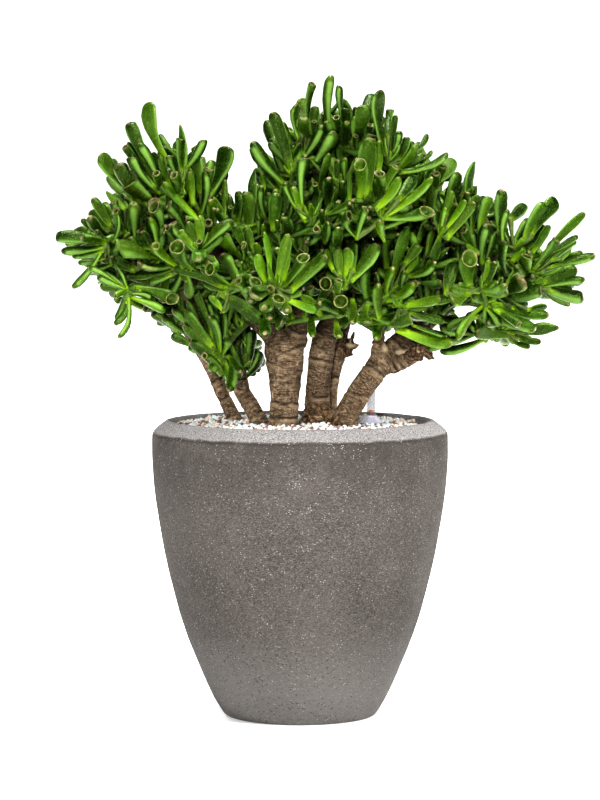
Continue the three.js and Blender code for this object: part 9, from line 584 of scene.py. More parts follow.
        (21, "b", "d", 108.2, -89.8, 690.4, 120.3, -87.6, 712.9, 7.9), (21, "f.", "m", 108.9, -60.4, 682.9, 102.9, -48.7, 737.5, 12.5), (21, "f.", "b", 107.4, -67.8, 684.1, 89.7, -80.1, 718.9, 11.1), (21, "f.", "m", 111.9, -62.4, 679.9, 141.7, -77.4, 682.2, 12.1),
        (21, "f.", "d", 112.8, -49.2, 678, 141.8, -45.6, 695.9, 13.3), (21, "f.", "p", 107, -69, 682.8, 79.3, -103.3, 703.5, 11.6), (21, "f.", "d", 112, -61.4, 681.2, 151.1, -66.6, 701.7, 13.2), (21, "f.", "m", 110.2, -58.2, 677.6, 118.8, -101.7, 670.1, 12.1),
        (21, "f.", "d", 108.8, -50.9, 679, 94.9, -66.1, 707, 14.4), (21, "b.", "b", 111.6, -55.5, 680.6, 135.4, -57.9, 711.1, 13.9),
    ]},
    {"root": (105.7, -60, 509.6), "twigs": [[(108, -56.2, 514.1), (124.4, -28.7, 545.8), (140.7, -1.3, 577.6)], [(140.7, -1.3, 577.6), (113, 28.6, 597), (85.3, 58.6, 616.3)], [(124.4, -28.7, 545.8), (133.4, -44.4, 553.5), (142.5, -60, 561.2)], [(124.4, -28.7, 545.8), (105.2, -32.8, 544.5), (86, -37, 543.2)], [(113, 28.6, 597), (137.1, 43.6, 592), (161.3, 58.6, 587)], [(137.1, 43.6, 592), (123.7, 50.9, 580.4), (110.2, 58.2, 568.8)], [(86, -37, 543.2), (59.3, -35.7, 540.1), (32.6, -34.5, 545)]], "leaves": [
        (37, "F", "m", 140.1, -56.7, 567.2, 173.5, -50.9, 597.8, 16.4), (37, "F", "b", 154.5, -63.8, 577.2, 161.6, -69.5, 606.7, 10.1), (37, "P", "b", 152.5, -55.1, 564.7, 181.6, -86.7, 587.4, 10.1), (37, "F", "m", 139.8, -63.8, 582.1, 156, -55.8, 621.2, 8.8),
        (37, "F", "d", 127.5, -63.2, 588.2, 147.3, -26.1, 614.8, 11.3), (135, "f", "m", 33, -36.3, 546.7, 36.8, -51.5, 564.3, 6.4), (135, "r", "p", 32.2, -34.1, 542.5, 28, -71.4, 553.2, 14.1), (135, "f", "p", 30.7, -29, 540.6, 0.9, -33.1, 573.6, 10.8),
        (135, "s", "d", 31.7, -28.2, 534.9, 17.3, -83.7, 516.2, 16.1), (135, "f", "d", 29.9, -22.9, 533.6, -9.2, -19.6, 553.8, 12.8), (133, "f", "d", 86.3, 59.5, 618.4, 94.7, 67.1, 638.4, 6.5), (133, "c", "p", 82.3, 56.1, 610.2, 54.5, 71.2, 634.7, 17.3),
        (133, "r", "m", 86.2, 55.5, 610, 124.7, 61.8, 634.7, 16), (133, "p", "m", 82.3, 51.8, 606.6, 60, 23.7, 639.2, 11.5), (133, "f", "d", 84.2, 55.7, 605.2, 99.6, 105.7, 610.4, 12.1), (133, "f", "m", 85.3, 51.4, 601.9, 127.5, 47.9, 618.6, 12.4),
        (133, "s", "b", 80.6, 52.2, 602.2, 32.3, 65.8, 628.2, 16.1), (133, "f", "d", 81.3, 48, 598.9, 65.1, 16.9, 628.6, 10.7), (143, "s", "b", 110.4, 60, 570.5, 112.8, 83.8, 595.7, 12.5), (143, "b", "d", 111.5, 59.4, 570.6, 123.8, 71.8, 589.9, 7.8),
        (143, "p", "b", 109.2, 56, 568.2, 113.4, 61.1, 612.9, 8.4), (143, "f", "m", 109.7, 57.9, 566.6, 122.3, 96.1, 584.8, 9.7), (143, "r", "m", 109.8, 53, 563.8, 155.1, 49.1, 591.9, 14), (143, "f", "b", 107.4, 52.9, 558.9, 129.9, 102.8, 549, 12.4),
        (143, "f", "b", 106, 49.9, 561.8, 96.7, 34, 612.8, 11.7), (143, "f", "b", 107.2, 47, 557.2, 157.3, 20.9, 582.9, 12.4), (143, "t", "d", 103, 44.6, 555.4, 82.6, 19.8, 610.4, 12.1), (143, "t", "m", 105.1, 46.8, 551.5, 129.2, 71, 521.7, 13.5),
        (140, "f", "d", 162.1, 60.1, 588.8, 170, 73.5, 607, 7.3), (140, "f", "m", 159.2, 57.7, 585.9, 153.7, 72.9, 616.9, 10.1), (140, "s", "b", 161.7, 57.5, 584.6, 194.2, 72.8, 600.5, 13.5), (140, "f", "d", 158.6, 56.8, 581, 171.1, 99.4, 594.4, 11.2),
        (140, "f", "p", 154.7, 52.7, 579, 121.7, 58, 620, 12.3), (140, "f", "m", 154, 52.8, 573.1, 138.4, 110, 560.4, 10), (140, "f", "m", 155.4, 48.6, 575.3, 173.5, 9.5, 612.5, 11.4), (140, "t", "m", 155.3, 48.9, 569.8, 205.2, 59.7, 559.5, 13.5),
        (119, "f", "d", 141.4, -2.3, 579.8, 149.5, -13, 605.7, 7.3), (119, "f", "m", 140.9, -1.8, 575, 177.3, -11.4, 595.4, 11), (119, "f", "d", 137.3, -3, 571.9, 149.7, -38.7, 607.9, 10.7), (119, "s", "p", 133.5, 0, 568.4, 103.8, 28.5, 614.8, 15.7),
        (119, "b", "d", 132.2, -3.2, 564, 118.1, -56.4, 597.8, 12.6), (119, "s", "m", 128.7, -0.5, 560.5, 74.5, 13.6, 600.5, 20.2), (131, "f", "m", 86.9, -39.1, 544.2, 95.5, -59.3, 555.9, 7.6), (131, "r", "m", 86.5, -37.8, 545.5, 91.9, -46.8, 570.4, 8.6),
        (131, "f", "d", 86.6, -34.8, 541.5, 121.3, -45.1, 561.8, 10.2), (131, "f", "p", 84.1, -36, 542.2, 80.1, -58.6, 566.3, 10.1), (131, "f", "d", 82.9, -31.3, 540.1, 82, -27.9, 587.2, 11.7), (131, "t", "m", 84.2, -33.6, 537.6, 107.5, -72.9, 538.4, 10.6),
        (131, "t", "d", 83.7, -28.3, 535.7, 136.2, -19.3, 557.5, 10), (131, "f", "m", 80.1, -24.4, 534, 85.5, 7.8, 578.5, 11.3), (37, "f", "p", 143.3, -60.2, 563.5, 150.8, -62.5, 586.8, 8.2), (37, "f", "m", 139.9, -60.2, 559.5, 130.5, -83.3, 587.2, 9.7),
        (37, "b", "d", 135.7, -57.3, 552.3, 117.8, -84.6, 577.5, 14.2), (37, "f", "m", 135.5, -56.6, 546.9, 144.8, -94.8, 544.2, 10.3), (37, "f", "b", 130.9, -54, 544.5, 94.3, -76.3, 560.5, 13.6), (140, "f.", "m", 139.9, 43.5, 593.1, 184.6, 41.3, 614.4, 11.5),
        (133, "f.", "b", 118.7, 22.3, 596, 120.7, 18.7, 649, 11.4), (143, "f.", "d", 120.5, 55.8, 577.8, 138.7, 102.1, 598.5, 11), (133, "p.", "d", 92.3, 49.5, 611.6, 53.4, 65.3, 645, 13), (143, "f.", "p", 120.6, 55.6, 575.4, 141.3, 99.8, 552.9, 13),
        (140, "c.", "d", 159.7, 55, 589.1, 189.8, 41.5, 607.2, 18.3), (37, "f.", "d", 139.1, -48.7, 555.9, 181, -42.8, 559.6, 14.1), (140, "f.", "d", 143.8, 44.7, 592.3, 164.9, 18.1, 613.5, 11.5), (133, "f.", "d", 120.8, 22.9, 595.1, 156.9, 28.3, 633.7, 14.4),
        (37, "t.", "b", 131.1, -44.7, 554.9, 114.6, -62.2, 579.4, 11.8), (37, "f.", "d", 136.3, -52.1, 555.4, 138, -98.4, 552.1, 12.2), (133, "b.", "d", 92.5, 54.9, 613.2, 115.1, 88.5, 627.2, 14.8), (119, "t.", "d", 129.4, -15.3, 559.2, 105.6, 25.2, 573.3, 11.3),
        (131, "f.", "m", 95.2, -37.7, 543, 120, -71.1, 535.1, 10.9), (143, "b.", "d", 116.6, 53.2, 577.6, 66, 52.8, 595.9, 15.3), (119, "f.", "m", 120.7, -39.5, 537, 153.4, -68.3, 572.5, 11.8), (140, "f.", "p", 114.3, 31.3, 596.8, 135, 74.9, 596.3, 13),
        (133, "f.", "m", 107.6, 37.1, 604.3, 141.1, 46.1, 645, 11.4), (37, "f.", "m", 144.4, -59.9, 561.1, 191.8, -81.2, 572.9, 12.9), (143, "f.", "d", 125.6, 52.8, 579.6, 145.2, 93.5, 556.6, 10.8), (133, "f.", "m", 105.2, 37, 605, 97.2, 43.2, 658.5, 13.4),
        (131, "f.", "m", 96.7, -35.1, 543.1, 65.3, -47.1, 533.6, 13), (140, "b.", "m", 122.9, 34.5, 597.9, 121.2, 27.8, 649.8, 13.3), (37, "f.", "b", 141.3, -60.1, 563.2, 135.5, -81.3, 605.1, 13.1), (119, "f.", "m", 114.2, -47.2, 524.2, 136.2, -26.9, 547.5, 11.5),
        (119, "f.", "d", 122.8, -27.5, 548.1, 99.2, -9.3, 585, 13.1), (140, "p.", "d", 149.8, 49.9, 588.4, 186.9, 51.3, 570.6, 13), (119, "r.", "m", 128.2, -20.3, 557, 122.5, -5.9, 592.8, 14.2), (133, "f.", "d", 93, 52.5, 614.5, 129.1, 51.7, 653.9, 13.5),
        (37, "f.", "m", 128.4, -35.5, 546.3, 150, -70.3, 517, 12.3), (119, "f.", "m", 118.2, -35.1, 536.1, 108.5, 5.7, 551.3, 11.2), (131, "f.", "m", 93.3, -34.2, 546.5, 90.7, -17, 589.2, 14.1), (133, "t.", "d", 107.3, 31.1, 601.1, 75, 7.3, 629.6, 10.9),
        (131, "f.", "m", 105.2, -33.4, 547.1, 80.1, -47, 588.8, 11.1), (143, "f.", "d", 130, 50.7, 585.7, 147.1, 83.5, 602.1, 12), (119, "f.", "m", 134.7, -16.5, 563.6, 152.4, -43, 575.7, 13.1), (131, "f.", "d", 105.7, -35.3, 544.8, 92.8, -69.7, 549.3, 12.9),
        (133, "s.", "p", 108.8, 35.5, 599, 101, 80.5, 594.3, 18.3), (140, "f.", "d", 147.8, 52.8, 590.2, 155.3, 90.4, 597.4, 14), (131, "f.", "b", 106.9, -33.4, 547.5, 108.8, -48.2, 597.5, 13.3), (119, "f.", "m", 137.4, -8.1, 574, 137.3, -28.9, 621.9, 13.6),
        (37, "f.", "m", 141.7, -53.5, 559.2, 172.7, -49.3, 573.3, 12.6), (119, "p.", "m", 125.6, -29, 542.8, 151.3, -12.2, 536, 13.3), (133, "f.", "m", 95.3, 51.4, 609, 106.4, 94.9, 599.3, 11.7), (37, "f.", "m", 133.6, -42.6, 555.7, 143.8, -37.8, 589.9, 14.2),
        (131, "f.", "d", 87, -39.5, 543.8, 78.6, -78.3, 553.6, 14.2), (140, "f.", "b", 119.7, 31.7, 598.4, 144.4, 30.5, 637, 13.1), (119, "f.", "m", 131.3, -15.1, 559.7, 139, 31.6, 582.4, 11.6), (133, "f.", "p", 100.3, 40.7, 607.2, 79.1, 42.7, 642.2, 12.3),
        (140, "f.", "m", 142.2, 48.7, 593.2, 144, 86.5, 639.7, 13.3), (37, "f.", "d", 131.8, -46, 552.8, 120.5, -85.1, 554.9, 12.5), (133, "f.", "p", 121, 24.4, 593.2, 146.6, 45.1, 597.7, 13), (140, "t.", "d", 158, 55.5, 590.6, 170.5, 47.6, 636.6, 11.9),
        (133, "p.", "p", 122, 17.8, 593.4, 118.8, 9.8, 628, 10.9), (131, "t.", "m", 105.1, -31.8, 547.3, 103.9, -16.1, 591.1, 11.5), (143, "b.", "m", 117.4, 53.8, 574.7, 84.3, 63.5, 545.1, 13.3), (119, "t.", "d", 133.3, -15.7, 565.3, 136.4, -32.2, 595.7, 11.8),
        (131, "f.", "p", 67.6, -44.6, 518.6, 49.5, -52.2, 488.2, 13.8), (37, "f.", "m", 147.6, -68.7, 543.5, 172.5, -111.4, 545.1, 13.9),
    ]},
    {"root": (120.3, -7.1, 648.3), "twigs": [[(125, -0.5, 653), (136.4, 35.8, 659.5), (126.4, 47.8, 654.2)], [(136.4, 35.8, 659.5), (138.2, 20.5, 674.9), (140, 5.2, 690.2)], [(140, 5.2, 690.2), (135, -0.6, 660.1), (130, -6.5, 638)]], "leaves": [
        (127, "c", "m", 126.9, 48.4, 656.6, 132.1, 55.1, 682.7, 11.2), (127, "f", "d", 124.9, 46.4, 652.7, 114.6, 41.7, 691.1, 8.5), (127, "f", "d", 126.8, 48.3, 651.7, 146.1, 73, 674.8, 9.3), (127, "f", "d", 125.8, 44.1, 648, 147.3, 15.3, 683.1, 10.2),
        (127, "t", "b", 124.1, 47.2, 648.1, 113.1, 74.8, 679.7, 10.8), (127, "f", "d", 125.7, 46.1, 642.5, 165.7, 83.5, 648.6, 13.4), (127, "s", "m", 124.7, 41.5, 639, 162.7, 1.6, 658.3, 20.2), (127, "p", "m", 120.6, 40.5, 635.2, 89.3, 8.5, 655.8, 12.1),
        (127, "f", "b", 124.5, 43.1, 633.9, 172.4, 63.3, 627.8, 13.2), (111, "f", "d", 137.5, 6.9, 679.3, 135.5, 49, 713.2, 13.2), (111, "p", "p", 137.7, 2.7, 679.1, 139.7, -44.9, 709.2, 10.7), (111, "f", "b", 134.7, 4.1, 674.9, 81.6, -12.8, 708.8, 10.6),
        (111, "t", "m", 139.3, 4.8, 673.6, 193.4, 4.8, 676.7, 13.4), (139, "f", "d", 131.2, -6.7, 640.2, 141.5, -8.4, 660.2, 6.7), (139, "f", "p", 129.5, -5.5, 636.2, 137.8, 6.5, 672.5, 11), (139, "f", "m", 129.2, -7.8, 635.9, 132.8, -26.3, 661.5, 9.2),
        (139, "t", "m", 130.2, -6.2, 631, 165.1, -8.2, 650.2, 12), (139, "f", "b", 127.7, -8.1, 626.7, 144.2, -52.6, 646.2, 10.4), (139, "t", "d", 128.4, -5.9, 621.6, 173.6, -9.1, 624, 12.1), (127, "f.", "b", 130.5, 46.2, 657.8, 149.6, 69, 689.9, 13.8),
        (127, "b.", "m", 136.2, 29.2, 659.2, 162.4, 45.7, 674.2, 13.6), (127, "f.", "m", 126.6, 45, 657.2, 95.9, 51.1, 678.8, 12.1), (127, "f.", "m", 130.1, 39.4, 658.8, 100.3, 30.6, 674.7, 12.5), (127, "f.", "m", 134.9, 23, 657.8, 180.4, 37.2, 672.8, 14.2),
        (111, "f.", "d", 134.7, 27.2, 669.2, 99.8, 25.9, 687.2, 13.3), (127, "p.", "d", 133.7, 24.3, 655.8, 159.8, 59.2, 638.4, 12.3), (111, "f.", "d", 141.7, 10.4, 683.3, 174.1, -11, 685.9, 13.1), (127, "f.", "m", 131.1, 11.2, 656.5, 177.2, 17.3, 684.6, 12.6),
        (111, "f.", "d", 138.3, 7.2, 690.2, 120.1, -1.3, 727.5, 12.3), (127, "f.", "m", 133.5, 40.2, 660.5, 144.8, 40.9, 711.9, 11), (111, "f.", "d", 138.5, 9.6, 684.9, 127, -34.4, 715.1, 13.7), (111, "p.", "b", 139.4, 25.4, 673.5, 161.3, 57.6, 695.1, 11),
        (127, "f.", "b", 126, 12.4, 655.6, 95.5, 31.7, 664.9, 13), (127, "s.", "d", 137.3, 35.9, 659.5, 161.6, 74.2, 668.7, 15.4), (111, "f.", "m", 136.1, 25.4, 669.9, 117.1, -3.9, 702.2, 10.9), (127, "f.", "m", 129.2, 47.3, 656.6, 130.7, 90.6, 674.4, 12.8),
        (111, "s.", "d", 142.5, 5.9, 691.6, 164.1, 11.8, 706, 12.3),
    ]},
    {"root": (156.9, -1.8, 491.7), "twigs": [[(156.7, -15, 493.7), (158.8, -30.3, 498.3), (173, -36.5, 511.6)], [(173, -36.5, 511.6), (170.8, -10.2, 502), (168.6, 16.1, 500.4)]], "leaves": [
        (129, "s", "p", 175.3, -37.4, 512.3, 204.8, -49.5, 523.5, 11.7), (129, "s", "m", 170.9, -35.5, 512.4, 191.7, -57.6, 543.4, 16), (129, "f", "b", 163, -31.1, 510.6, 162.7, -65.9, 553.7, 13.1), (129, "f", "m", 164.7, -29.6, 507, 201.4, -32.6, 472.4, 10.6),
        (129, "f", "d", 155.2, -25.7, 508.9, 131, -45.6, 561.8, 10.6), (57, "t", "m", 171, 16.8, 500.4, 192.7, 23.6, 503.2, 7.3), (57, "f", "d", 166.5, 15.8, 499.1, 190.2, 28.4, 487, 11.4), (57, "f", "b", 157.4, 12.4, 502.3, 172.3, 14.9, 548.6, 13.1),
        (57, "f", "d", 152.3, 13.4, 500.5, 147.1, 64.3, 520.2, 13.7), (57, "f", "m", 148.7, 8.7, 501.9, 150.4, -10.1, 546.8, 10.3), (129, "f.", "d", 158.1, -31.9, 500.7, 145.1, -62.1, 548.7, 10.7), (129, "f.", "p", 155.8, -22.8, 496.8, 124.5, -60.8, 524, 11.5),
        (129, "f.", "p", 174.1, -35.7, 511.2, 227.3, -34.1, 537.2, 12.1), (129, "f.", "d", 172.9, -38.3, 510.6, 192.2, -70, 520.6, 12.4), (129, "t.", "d", 156.8, -29, 497.3, 129.6, -76.9, 503.8, 12.2), (129, "f.", "d", 161.1, -25.5, 496.6, 202.9, -10.9, 492.1, 11.3),
        (129, "f.", "m", 172.8, -36.5, 514.8, 156.9, -39.7, 550.6, 13.3), (129, "f.", "m", 171.6, -55.3, 520.8, 169.1, -88, 533.3, 11.8), (129, "f.", "m", 170, -53.3, 524.1, 165.4, -79, 556.1, 12.1), (129, "p.", "m", 174.9, -45.2, 507, 182.9, -82.2, 516.3, 13.8),
    ]},
    {"root": (168.1, 145, 592.2), "twigs": [[(177, 148.2, 589.1), (191.1, 153.3, 584.1), (205.1, 158.4, 579.2)], [(191.1, 153.3, 584.1), (164.5, 164.6, 580), (138, 175.8, 575.9)], [(164.5, 164.6, 580), (165.4, 167.8, 606.4), (166.2, 171, 632.8)], [(166.2, 171, 632.8), (129.2, 174.9, 634.4), (92.3, 178.8, 636.1)], [(166.2, 171, 632.8), (174, 146.8, 649.9), (181.8, 122.5, 667.1)], [(205.1, 158.4, 579.2), (232.8, 148.5, 584.1), (260.5, 138.7, 589)]], "leaves": [
        (92, "t", "d", 138.4, 178, 577.2, 141.8, 198, 591.1, 8.5), (92, "f", "m", 136.7, 173.6, 575.8, 130.6, 186.7, 601.7, 11.3), (92, "f", "d", 138.7, 174.4, 574.1, 155.5, 196.8, 581.6, 8.8), (92, "f", "b", 138.4, 169, 572.9, 172.6, 169.9, 602.1, 13),
        (92, "p", "m", 135.4, 171.2, 571, 120, 205.7, 567.2, 13.2), (92, "f", "m", 137.8, 166.8, 568.7, 171, 187.9, 564.8, 10.8), (92, "f", "d", 134.4, 165.6, 571.2, 108.8, 168, 615.9, 12), (92, "f", "b", 133.2, 163.4, 565.4, 100.2, 189.3, 543.5, 13.1),
        (92, "b", "d", 132.1, 158.9, 565.9, 99.9, 163.4, 592.1, 13.5), (92, "f", "d", 136, 159.4, 563.1, 170.2, 174, 542.6, 12.8), (70, "f", "b", 181.9, 123.5, 669.4, 182.3, 132.6, 692.9, 6.9), (70, "r", "m", 180.6, 122.4, 665, 177.1, 153.8, 688.2, 15.1),
        (70, "f", "p", 179.7, 115.5, 652.3, 214.6, 147.1, 640, 11.9), (70, "f", "d", 176.4, 112.8, 654.8, 145.3, 88.6, 692.2, 11.6), (70, "r", "m", 175.3, 113.6, 649.1, 142.3, 147.9, 643.5, 15.7), (103, "f", "d", 205.7, 160.6, 580.1, 211.4, 184.5, 591.4, 6.5),
        (103, "t", "m", 206.1, 159.5, 581.2, 215.5, 170.8, 603, 7.4), (103, "f", "m", 203.4, 156.8, 578.7, 196.6, 182.2, 609.7, 8.4), (103, "f", "m", 205.6, 156.9, 577.3, 235.1, 186.3, 586.4, 10.7), (103, "t", "p", 203.8, 152, 576.7, 229.6, 152.9, 621.9, 12.2),
        (103, "b", "p", 202.7, 154.2, 573.6, 207.1, 199.4, 557.6, 15.2), (103, "c", "d", 203.5, 149.6, 571.7, 250.7, 167.8, 564.2, 17.8), (103, "f", "m", 199.6, 149.3, 574, 170.9, 159.2, 610.8, 11.6), (103, "f", "m", 199, 147.2, 568.2, 181, 183, 539.1, 11.8),
        (103, "f", "p", 200.4, 144.6, 572.1, 210.2, 126.7, 621.9, 12.1), (103, "f", "d", 200.8, 142.3, 566.2, 241.3, 143.4, 548.9, 13.5), (106, "p", "m", 92.9, 180.8, 637.5, 98.5, 200.3, 652.3, 6), (106, "f", "b", 92.2, 180.3, 638.1, 91.7, 194.7, 659.6, 6.3),
        (106, "s", "d", 91, 177.7, 634.5, 74.7, 210.2, 660.4, 13.3), (106, "s", "d", 93.8, 176.6, 634.6, 132.5, 193.2, 666, 12.7), (106, "f", "d", 91.4, 172.8, 632.7, 89, 171.5, 681.7, 12.6), (106, "f", "m", 92.7, 175, 630.1, 115.9, 216.7, 629.6, 13.7),
        (106, "f", "m", 93, 169.5, 628.9, 135.6, 161.6, 668.1, 12.1), (106, "f", "m", 89.6, 171.8, 627.3, 59.2, 208.8, 631, 10.5), (106, "f", "m", 91.9, 168.8, 623, 116.2, 208.9, 600.5, 10.4), (106, "f", "m", 89.9, 165.8, 626.4, 72.5, 142.6, 673.3, 12.4),
        (106, "r", "b", 88.2, 165.1, 620.8, 44, 187, 615.3, 13.5), (91, "b", "m", 261.1, 140.7, 590.4, 267.9, 162.8, 608.1, 7.8), (91, "r", "b", 258.4, 136.9, 588.7, 252.1, 156.6, 630.3, 13.6), (91, "c", "p", 256.9, 131.7, 580.4, 297.8, 171, 558.6, 14.5),
        (91, "b", "d", 253.5, 125.2, 574.6, 291.7, 143.7, 541.9, 15.7), (60, "s", "m", 166.2, 173, 634.4, 166.7, 191.8, 652.1, 12.7), (60, "f", "p", 165.1, 169.1, 632.2, 162.4, 181.5, 665.7, 8.4), (60, "f", "b", 166.5, 170.2, 630.8, 182.4, 198.1, 645.9, 10.4),
        (60, "f", "b", 163.2, 167.4, 627.3, 144.9, 198.7, 634.9, 12.1), (60, "s", "d", 164.4, 164.6, 623.1, 180.6, 211.3, 606.8, 19.6), (60, "f", "m", 163.3, 161.8, 626.4, 158.5, 152, 666.1, 10.5), (60, "b", "d", 161.3, 161.2, 620, 134.8, 191.5, 606.3, 12.2),
        (106, "b.", "p", 149, 175.6, 634.8, 160.6, 218.5, 656.7, 12.1), (91, "s.", "m", 240.3, 148.9, 585.1, 271, 187.3, 588.4, 16.9), (92, "f.", "d", 166.8, 166.6, 580.3, 209.1, 204.6, 589.6, 11.6), (70, "f.", "d", 180, 123.3, 669.2, 151.8, 127.8, 716.4, 14.3),
        (106, "t.", "m", 166.7, 174, 632.8, 173.4, 213.6, 636.7, 12.4), (70, "f.", "d", 171.3, 163.4, 640.6, 210.3, 196.9, 664.9, 14.5), (106, "f.", "m", 129.8, 177.7, 635.3, 138.9, 220.2, 650.7, 13.4), (106, "f.", "d", 99.3, 179.9, 638.1, 96.3, 213.8, 683.8, 13.8),
        (70, "f.", "d", 168, 167.5, 638.9, 172.6, 183.5, 679.6, 12.8), (91, "f.", "d", 223.5, 154.7, 583.1, 255.2, 197.7, 603.3, 11), (60, "f.", "d", 167.6, 172.5, 624.2, 200.2, 220.3, 626.8, 11.7), (70, "f.", "d", 175.6, 144.4, 655.2, 176.4, 184.5, 689.9, 11.9),
        (91, "f.", "m", 257.8, 141.9, 588.6, 304.6, 165.2, 600.7, 10.7), (91, "f.", "d", 244.6, 146.5, 588.3, 254.7, 178.6, 629.6, 11.2), (103, "t.", "b", 198.8, 153.4, 582.2, 240.9, 120.8, 583.5, 11.1), (103, "r.", "m", 203.2, 159.6, 579.4, 224.6, 196, 567.2, 15.5),
        (70, "p.", "d", 167, 166.7, 639, 153.7, 173.2, 695.2, 10.7), (103, "b.", "d", 201.7, 160.1, 580, 200.7, 214.2, 576.6, 15.3), (70, "f.", "m", 170.1, 157.4, 645.7, 158.1, 167.8, 698.4, 11.8), (106, "f.", "b", 109.6, 179.1, 635.9, 85.8, 210.8, 647.2, 13.3),
        (106, "f.", "d", 130.3, 177.7, 633.8, 146.1, 219.8, 626.8, 11.1), (106, "f.", "d", 116.4, 179, 635.6, 106.9, 210, 645.5, 12.9), (91, "f.", "b", 238.6, 147.7, 587.8, 241.7, 168.7, 639.6, 11.4), (70, "b.", "d", 180.1, 124.3, 668.9, 152.7, 145.8, 710.8, 11.6),
        (106, "t.", "m", 130.2, 177, 636.4, 126.6, 219.9, 677.9, 10.7), (60, "f.", "m", 166, 167.1, 579.2, 183.5, 197, 572.7, 14.4), (70, "b.", "m", 165.8, 166.3, 638.4, 137.2, 167, 676.2, 15), (92, "f.", "d", 147.8, 173.2, 575, 143.8, 195.7, 543.9, 10.9),
        (60, "f.", "d", 163, 163.6, 582.4, 134.3, 146.8, 628.9, 12.6), (103, "f.", "b", 196.1, 158.1, 582.9, 190.9, 206.1, 597.2, 11.3), (106, "f.", "d", 130.1, 176.2, 637, 142.4, 194, 673.5, 11.5), (92, "f.", "b", 153.6, 170.6, 581, 153, 192.4, 626.8, 14.2),
        (106, "f.", "p", 157.7, 172.3, 631.5, 119.5, 181.7, 610, 13.2), (60, "f.", "m", 164.1, 166.8, 582, 156.3, 201.8, 616.1, 13), (106, "f.", "m", 149, 174.9, 635.7, 158.2, 202.3, 667.8, 13.5), (91, "f.", "d", 246, 142.4, 586.7, 270.6, 116, 596.9, 11.4),
        (92, "f.", "p", 154.3, 171.9, 577.1, 164.2, 213.4, 561.8, 11.3), (91, "f.", "m", 218, 156.4, 579.8, 244.5, 186.2, 561.1, 10.8), (91, "f.", "m", 246.6, 145.9, 585.7, 284.6, 165.1, 583.8, 14.4), (106, "f.", "d", 126.3, 175, 634.9, 71.4, 176.1, 645.5, 14.4),
        (103, "f.", "d", 193.5, 152.5, 585.8, 226.4, 141.9, 611, 14), (91, "f.", "d", 217.6, 154.1, 583.8, 237.8, 149.2, 625.3, 12.6), (91, "f.", "m", 240, 145.1, 587.2, 268.1, 119.7, 626.5, 12.7), (92, "f.", "d", 191.2, 153.5, 587.1, 192.6, 155.5, 622.3, 10.8),
        (106, "f.", "m", 122.7, 175, 637.6, 114.2, 166, 688.6, 12.7), (60, "f.", "d", 166.3, 165.9, 582.1, 198.2, 189.8, 624.2, 13.5), (106, "f.", "m", 151.7, 173.8, 632.6, 118.4, 193.4, 625.4, 11.5), (60, "f.", "m", 167.8, 165.7, 592.7, 205.1, 162.1, 605.7, 13.8),
        (92, "t.", "d", 163.1, 164.6, 582.6, 143.7, 165.4, 619.5, 11), (60, "s.", "d", 164.5, 167.5, 580.4, 163.2, 212.3, 588.9, 18.1), (70, "f.", "d", 174, 144.5, 651.8, 175.2, 100.5, 691, 11.3), (70, "f.", "m", 173.3, 140.9, 655, 147.3, 128, 678.4, 11.6),
        (106, "f.", "d", 135.9, 174.2, 637.1, 129.5, 174.5, 680.4, 12.5), (103, "f.", "d", 204.6, 157.5, 581.5, 238.1, 162, 598.4, 13.7), (70, "f.", "m", 171.4, 159.7, 640.2, 203.5, 132.2, 653.6, 10.8), (92, "f.", "d", 190.1, 155.5, 582.3, 173.1, 195.4, 552.7, 13.2),
        (60, "f.", "d", 167.2, 166.8, 600, 201.6, 167, 637.2, 12.5), (92, "f.", "d", 173.2, 160.4, 584.2, 156.1, 161.7, 616, 12.5), (106, "f.", "d", 121.3, 175.5, 637, 98.2, 175.7, 667.3, 14), (91, "s.", "p", 224.3, 152.6, 580.5, 252, 154.7, 564.6, 16.5),
        (60, "p.", "m", 164, 168.2, 609, 145.2, 173.9, 647.6, 12.1), (60, "c.", "d", 166.3, 168.1, 615.2, 176.8, 162.4, 657.3, 16.1), (106, "f.", "d", 146, 171.5, 634.9, 104, 146.3, 662.9, 13.2), (103, "f.", "b", 197.5, 158, 582.6, 212, 197.7, 590.3, 11),
        (60, "f.", "d", 168.9, 171.8, 630.2, 212.9, 188.7, 633.4, 12.3), (106, "t.", "d", 137, 174.3, 637.1, 148, 176.3, 692.5, 11.8), (60, "f.", "m", 168.4, 172.4, 631, 204.5, 198.9, 645.4, 12.1), (103, "f.", "m", 198.1, 155.2, 584.8, 223.9, 155.2, 628.4, 13.8),
        (70, "f.", "b", 172.7, 146.1, 652.6, 159.3, 139.4, 684, 14.1), (92, "f.", "d", 185.9, 158.4, 584.4, 189.9, 194.7, 602.2, 13.2), (91, "f.", "d", 228.9, 153.1, 583.1, 248.7, 188.4, 585, 14.4), (92, "f.", "d", 141.3, 172.8, 579.1, 119.1, 155.4, 621.8, 14.3),
        (103, "t.", "b", 192.2, 152.1, 586.7, 205.6, 137.6, 621.2, 11.5), (60, "t.", "m", 164.5, 168.4, 626.4, 138.9, 140.5, 666.7, 10.7), (106, "f.", "d", 135.1, 174.3, 636.8, 112.8, 177, 686.3, 10.9),
    ]},
    {"root": (133.8, 4.4, 618.9), "twigs": [[(138.7, -0.2, 619.4), (172.8, -22.7, 626.2), (192.6, -35, 624.7)], [(172.8, -22.7, 626.2), (166.3, -36.4, 639.6), (159.8, -50, 653.1)], [(172.8, -22.7, 626.2), (184.8, -1.9, 616.2), (196.9, 18.9, 606.3)], [(192.6, -35, 624.7), (204.9, -47.5, 605.8), (217.3, -60, 586.9)], [(217.3, -60, 586.9), (193.6, -80, 594.6), (170, -100, 602.2)], [(196.9, 18.9, 606.3), (204.6, 48.4, 612.6), (212.2, 77.8, 619)], [(217.3, -60, 586.9), (223.6, -36.8, 565.7), (229.9, -13.6, 552.5)]], "leaves": [
